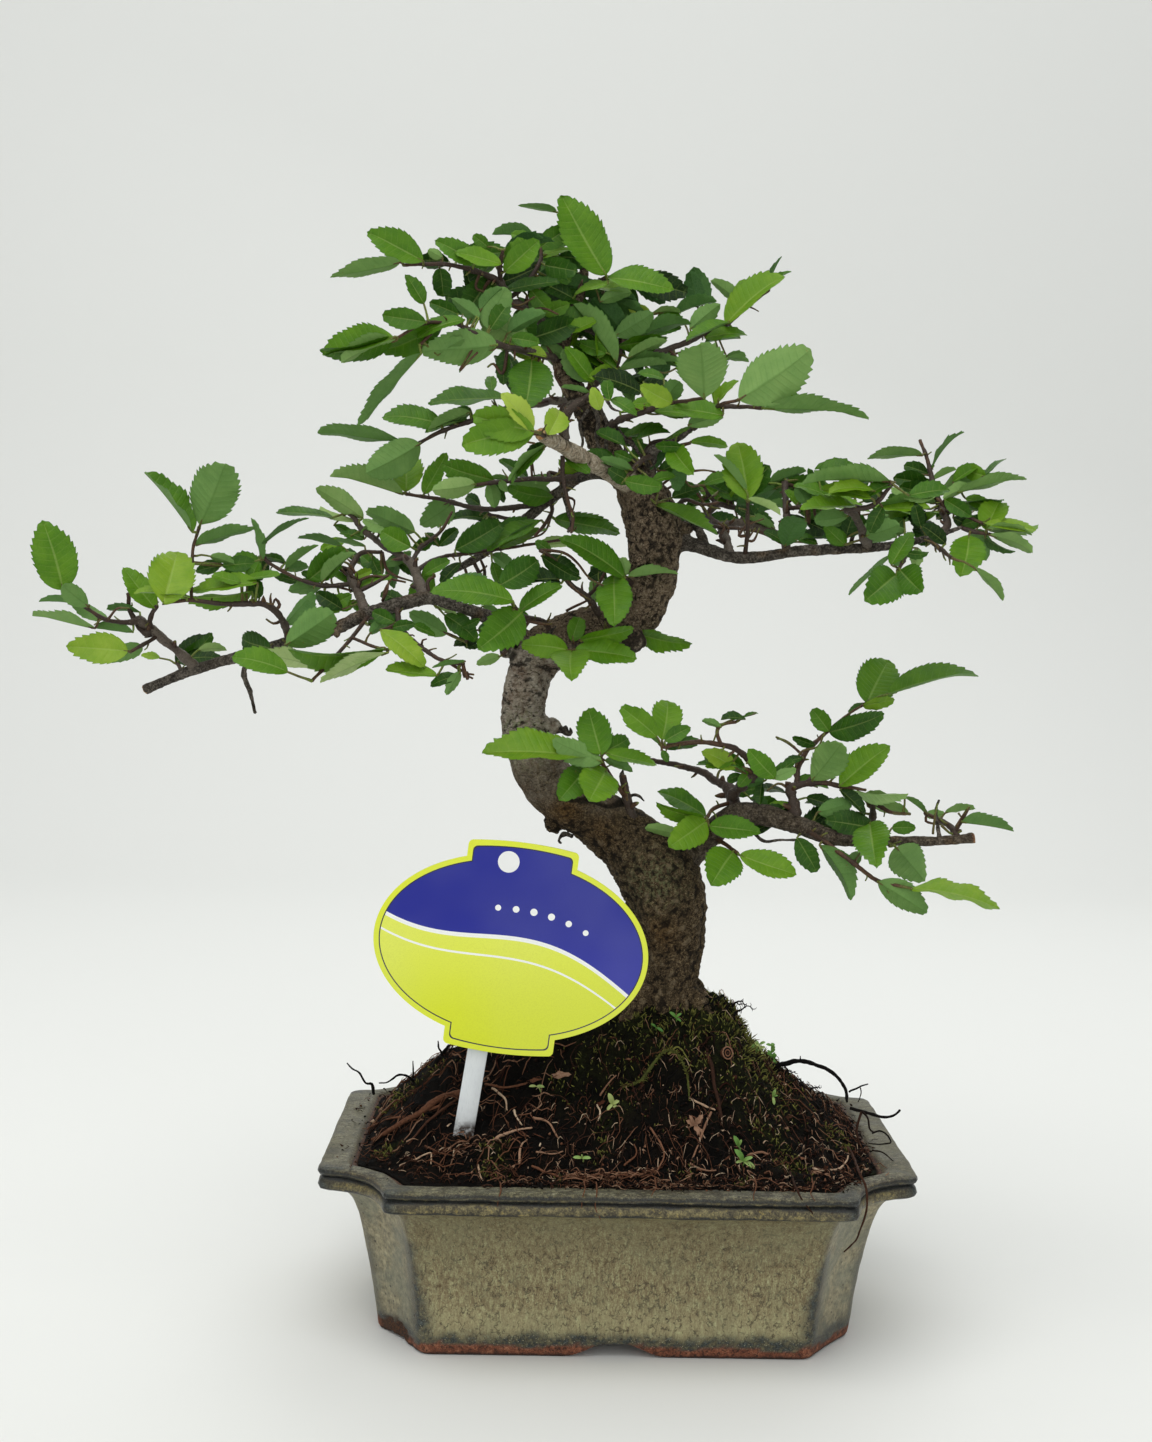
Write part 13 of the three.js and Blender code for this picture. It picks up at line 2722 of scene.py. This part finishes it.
def in_poly(p, poly):
    x, y = p[:, 0][:, None], p[:, 1][:, None]
    x0, y0 = poly[:, 0][None], poly[:, 1][None]
    x1, y1 = np.roll(poly[:, 0], -1)[None], np.roll(poly[:, 1], -1)[None]
    c = ((y0 > y) != (y1 > y)) & (x < (x1 - x0) * (y - y0) / (y1 - y0 + 1e-12) + x0)
    return c.sum(1) % 2 == 1


def print_material(name, colour, rough=0.28, top=None, z0=0.0, z1=1.0):
    m = Mat(name, rough, 0.28)
    obj = m.coords()
    n = m.noise(obj, 0.03, 2, 0.4)
    f = m.noise(obj, 2.4, 3, 0.6)
    if top:
        z = m.split(obj)[2]
        base = m.mix(m.range(z, z0, z1, 0.0, 1.0, True), colour, top)
    else:
        base = m.ramp(n, [(0.0, colour), (1.0, colour)])
    col = m.mix(m.range(n, 0.35, 0.65, 0.0, 0.05), base, "#c8ccd4")
    col = m.mix(m.range(f, 0.4, 0.7, 0.0, 0.07, True), col, "#202020")
    m.b.inputs["Coat Weight"].default_value = 0.12
    m.b.inputs["Coat Roughness"].default_value = 0.15
    return m.out(col, m.range(f, 0.3, 0.7, rough - 0.05, rough + 0.08), m.bump(n, 0.15, 0.3))


def card():
    mats = [print_material("label_border", "#dbe534"), print_material("label_line", "#20223c"),
            print_material("label_blue", "#272da0", 0.34, "#111c8c", 112.0, 150.0),
            print_material("label_yellow", "#d6e028", 0.34, "#e0e858", 108.0, 146.0),
            print_material("label_white", "#f1f3f0"), print_material("label_back", "#e8eaea", 0.4)]
    circle = lambda u, v, r, n=28: np.stack([u + r * np.cos(np.linspace(0, 2 * math.pi, n, endpoint=False)), v + r * np.sin(np.linspace(0, 2 * math.pi, n, endpoint=False))], 1)
    hole = circle(-4.5, 28.6, 3.6, 40)
    edge, k0, k1 = card_edge(0), card_edge(-1.75), card_edge(-2.15)
    # two soft waves cross the field from the upper left to the lower right
    u = np.linspace(-60, 60, 90)
    wave = lambda off, amp=6.5: np.stack([u, -0.30 * u + amp * np.sin(u / 17.5 + 0.6) + off], 1)
    w0, w1 = wave(-1.0), wave(0.4)
    w2, w3 = wave(-7.0, 5.6), wave(-6.3, 5.6)
    dots = [circle(uu, -0.30 * uu + 6.5 * math.sin(uu / 17.5 + 0.6) + 9.5, 1.25 - 0.018 * abs(uu - 8)) for uu in (-6, 0, 6, 12, 18, 24)]
    verts, edges = [], []

    def loop(p, closed=True):
        b = len(verts)
        verts.extend(p.tolist())
        n = len(p)
        edges.extend([(b + i, b + (i + 1) % n) for i in range(n if closed else n - 1)])

    for p in (edge, k0, k1, hole, *dots):
        loop(p)
    for p in (w0, w1, w2, w3):
        loop(p, False)
    gu, gv = np.meshgrid(np.arange(-46, 47, 3.5), np.arange(-35, 36, 3.5))
    verts.extend(np.stack([gu.ravel() + 0.13, gv.ravel() + 0.07], 1).tolist())
    v2, _, faces, *_ = delaunay_2d_cdt([Vector(p) for p in verts], edges, [], 0, 1e-6)
    v2 = np.array([tuple(p) for p in v2])
    faces = np.array([tuple(f) for f in faces])
    c = v2[faces].mean(1)
    keep = in_poly(c, edge) & ~in_poly(c, hole)
    faces, c = faces[keep], c[keep]
    a = v2[faces]
    area = np.cross(a[:, 1] - a[:, 0], a[:, 2] - a[:, 0])
    faces[area < 0] = faces[area < 0][:, ::-1]
    mat = np.zeros(len(faces), int)
    f0, f1 = in_poly(c, k0), in_poly(c, k1)
    mat[f0] = 1
    y = lambda w: np.interp(c[:, 0], w[:, 0], w[:, 1])
    mat[f1] = np.where(c[f1, 1] > y(w1)[f1], 2, np.where(c[f1, 1] > y(w0)[f1], 4, 3))
    thin = f1 & (c[:, 1] < y(w3)) & (c[:, 1] > y(w2))
    mat[thin] = 4
    for d in dots:
        mat[f1 & in_poly(c, d)] = 4
    used = np.unique(faces)
    remap = np.full(len(v2), -1)
    remap[used] = np.arange(len(used))
    faces = remap[faces]
    v2 = v2[used]
    ct, st = math.cos(CARD_TILT), math.sin(CARD_TILT)

    def place(p, t):
        bow = 0.35 * (p[:, 0] / 46) ** 2 - 0.12
        return CARD_C + np.stack([p[:, 0] * ct + p[:, 1] * st, bow - t, -p[:, 0] * st + p[:, 1] * ct], 1)

    soup = Soup("tone")
    soup.add(place(v2, CARD_T / 2), None, faces, mat)
    soup.add(place(v2, -CARD_T / 2), None, faces[:, ::-1], 5)
    for poly, flip in ((edge, False), (hole, True)):
        n = len(poly)
        rows = []
        for t, s in ((0.5, 0.0), (0.34, 0.16), (-0.34, 0.16), (-0.5, 0.0)):
            cen = poly.mean(0)
            d = units(np.roll(poly, -1, 0) - np.roll(poly, 1, 0))
            nrm = np.stack([d[:, 1], -d[:, 0]], 1)
            rows.append(place(poly + nrm * (s - 0.16 if not flip else 0.0), t * CARD_T))
        rows[0], rows[-1] = place(poly, 0.5 * CARD_T), place(poly, -0.5 * CARD_T)
        k = np.arange(n)
        k2 = (k + 1) % n
        f4 = np.vstack([np.stack([i * n + k, (i + 1) * n + k, (i + 1) * n + k2, i * n + k2], 1) for i in range(3)])
        if flip:
            f4 = f4[:, ::-1]
        soup.add(np.vstack(rows), f4, None, 0 if not flip else 4)
    ob = soup.build("label_card_printed", mats)
    ob.data.set_sharp_from_angle(angle=math.radians(40))
    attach(ob, "root")
    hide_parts("label_card")


def stake():
    m = Mat("label_stake_plastic", 0.42, 0.5)
    obj = m.coords()
    n, f, lip = m.noise(obj, 0.12, 3, 0.6), m.noise(m.coords((3.0, 3.0, 0.4)), 1.0, 3, 0.6), m.attr("tone")
    dirt = m.attr("rnd")
    col = m.mix(m.range(n, 0.35, 0.65, 0.0, 1.0), "#a8b0b6", "#c3c9cc")
    col = m.mix(m.math("MULTIPLY", lip, 0.7), col, "#e4e8e9")
    col = m.mix(m.range(f, 0.5, 0.75, 0.0, 0.16, True), col, "#7c858c")
    col = m.mix(m.math("MULTIPLY", dirt, m.range(m.noise(obj, 0.45, 3, 0.6), 0.36, 0.60, 0.45, 1.0, True)), col, "#2a1b12")
    m.out(col, m.range(f, 0.3, 0.7, 0.34, 0.5), m.bump(f, 0.25, 0.15))
    top, foot = np.array([-43.81, -39.61, 123.76]), np.array([-56.50, -40.63, 40.76])
    d = unit(foot - top)
    u = unit(np.array([1.0, 0, 0]) - d * d[0])
    w = np.cross(d, u)
    sec = [(-3.4, 0.7), (-3.4, -0.75), (-3.28, -0.9), (-2.95, -0.9), (-2.78, -0.78), (-2.62, -0.25), (-2.4, 0.0), (-1.2, 0.08), (0, 0.1), (1.2, 0.08),
           (2.4, 0.0), (2.62, -0.25), (2.78, -0.78), (2.95, -0.9), (3.28, -0.9), (3.4, -0.75), (3.4, 0.7), (3.2, 0.9), (-3.2, 0.9)]
    sec = np.array(sec)
    front = float((w @ np.array([0, -1.0, 0])) > 0)
    sgn = 1.0
    total = float(np.linalg.norm(foot - top))
    s = np.concatenate([[0.0], np.linspace(0.3, total - 12, 60), np.linspace(total - 11, total, 8)])
    k = np.interp(s, [0, total - 12, total], [1, 1, 0.2])
    v = []
    for ss, kk in zip(s, k):
        shrink = 0.93 if ss == 0 else 1.0
        v.append(top + d * ss + sec[:, :1] * kk * shrink * u + sec[:, 1:] * sgn * shrink * w)
    v = np.array(v)
    n_ = len(sec)
    r = len(s)
    i, j = np.meshgrid(np.arange(r - 1) * n_, np.arange(n_), indexing="ij")
    j2 = (j + 1) % n_
    f4 = np.stack([i + j, i + j2, i + n_ + j2, i + n_ + j], -1).reshape(-1, 4)
    vv = np.vstack([v.reshape(-1, 3), v[0].mean(0)[None], v[-1].mean(0)[None]])
    kk = np.arange(n_)
    caps = np.vstack([np.stack([np.full(n_, r * n_), (kk + 1) % n_, kk], 1),
                      np.stack([np.full(n_, r * n_ + 1), (r - 1) * n_ + kk, (r - 1) * n_ + (kk + 1) % n_], 1)])
    a, b, c = vv[f4[0][0]], vv[f4[0][1]], vv[f4[0][2]]
    cen = v[0].mean(0)
    if float(np.cross(b - a, c - a) @ (0.5 * (a + c) - cen)) < 0:
        f4, caps = f4[:, ::-1], caps[:, ::-1]
    tone = np.concatenate([np.tile((np.abs(sec[:, 0]) > 2.6).astype(float), r), [0, 0]])
    dirt = np.clip(smoothstep(80.5, 69.5, vv[:, 2]) * 0.5 + smoothstep(75.5, 71.5, vv[:, 2]) * 0.75, 0, 1)
    soup = Soup("tone", "rnd")
    soup.add(vv, f4, caps, tone=tone, rnd=dirt)
    ob = soup.build("label_stake_channel", [m.m])
    ob.data.set_sharp_from_angle(angle=math.radians(50))
    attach(ob, "root")
    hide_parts("label_stake")


card()
stake()


# ------------------------------------------------------------------ floor, light
def stage():
    floor = Mat("floor", 0.75, 0.2)
    floor.out((0.80, 0.81, 0.795))
    pts, faces = [], []
    prof = [(-2.6, 0.0), (1.05, 0.0)]
    for k in range(1, 13):
        a = math.pi / 2 * k / 12
        prof.append((1.05 + 0.55 * math.sin(a), 0.55 * (1 - math.cos(a))))
    prof.append((1.6, 3.2))
    for x in (-3.2, 3.2):
        pts += [(x, y, z) for y, z in prof]
    n = len(prof)
    faces = [(i, n + i, n + i + 1, i + 1) for i in range(n - 1)]
    me = bpy.data.meshes.new("floor")
    me.from_pydata(pts, [], faces)
    me.polygons.foreach_set("use_smooth", np.ones(len(faces), bool))
    me.materials.append(floor.m)
    ob = bpy.data.objects.new("floor", me)
    bpy.context.scene.collection.objects.link(ob)

    world = bpy.data.worlds.new("world")
    bpy.context.scene.world = world
    world.use_nodes = True
    bg = world.node_tree.nodes["Background"]
    bg.inputs["Color"].default_value = (0.985, 1.0, 0.985, 1)
    bg.inputs["Strength"].default_value = 0.50

    def area(name, loc, target, size, power, colour=(1, 1, 1)):
        d = bpy.data.lights.new(name, "AREA")
        d.shape = "RECTANGLE"
        d.size, d.size_y = size
        d.energy = power
        d.color = colour
        o = bpy.data.objects.new(name, d)
        o.location = loc
        o.rotation_euler = (Vector(target) - Vector(loc)).to_track_quat("-Z", "Y").to_euler()
        bpy.context.scene.collection.objects.link(o)

    area("key", (-0.35, -0.55, 1.55), (0.0, 0.0, 0.18), (1.5, 1.1), 14.0, (1.0, 0.99, 0.965))
    area("front", (0.25, -1.7, 0.65), (0.0, 0.0, 0.18), (1.6, 1.2), 7.0, (1.0, 1.0, 0.99))
    area("backdrop", (0.0, 0.45, 1.9), (0.0, 1.6, 1.25), (2.6, 0.5), 5.6, (1.0, 1.0, 0.995))
    area("back", (0.4, 0.9, 1.2), (0.0, 0.0, 0.25), (1.2, 0.8), 4.5)
    bpy.context.scene.view_settings.view_transform = "Standard"


stage()

print("triangles", sum(COUNT.values()), {k: v for k, v in COUNT.items() })
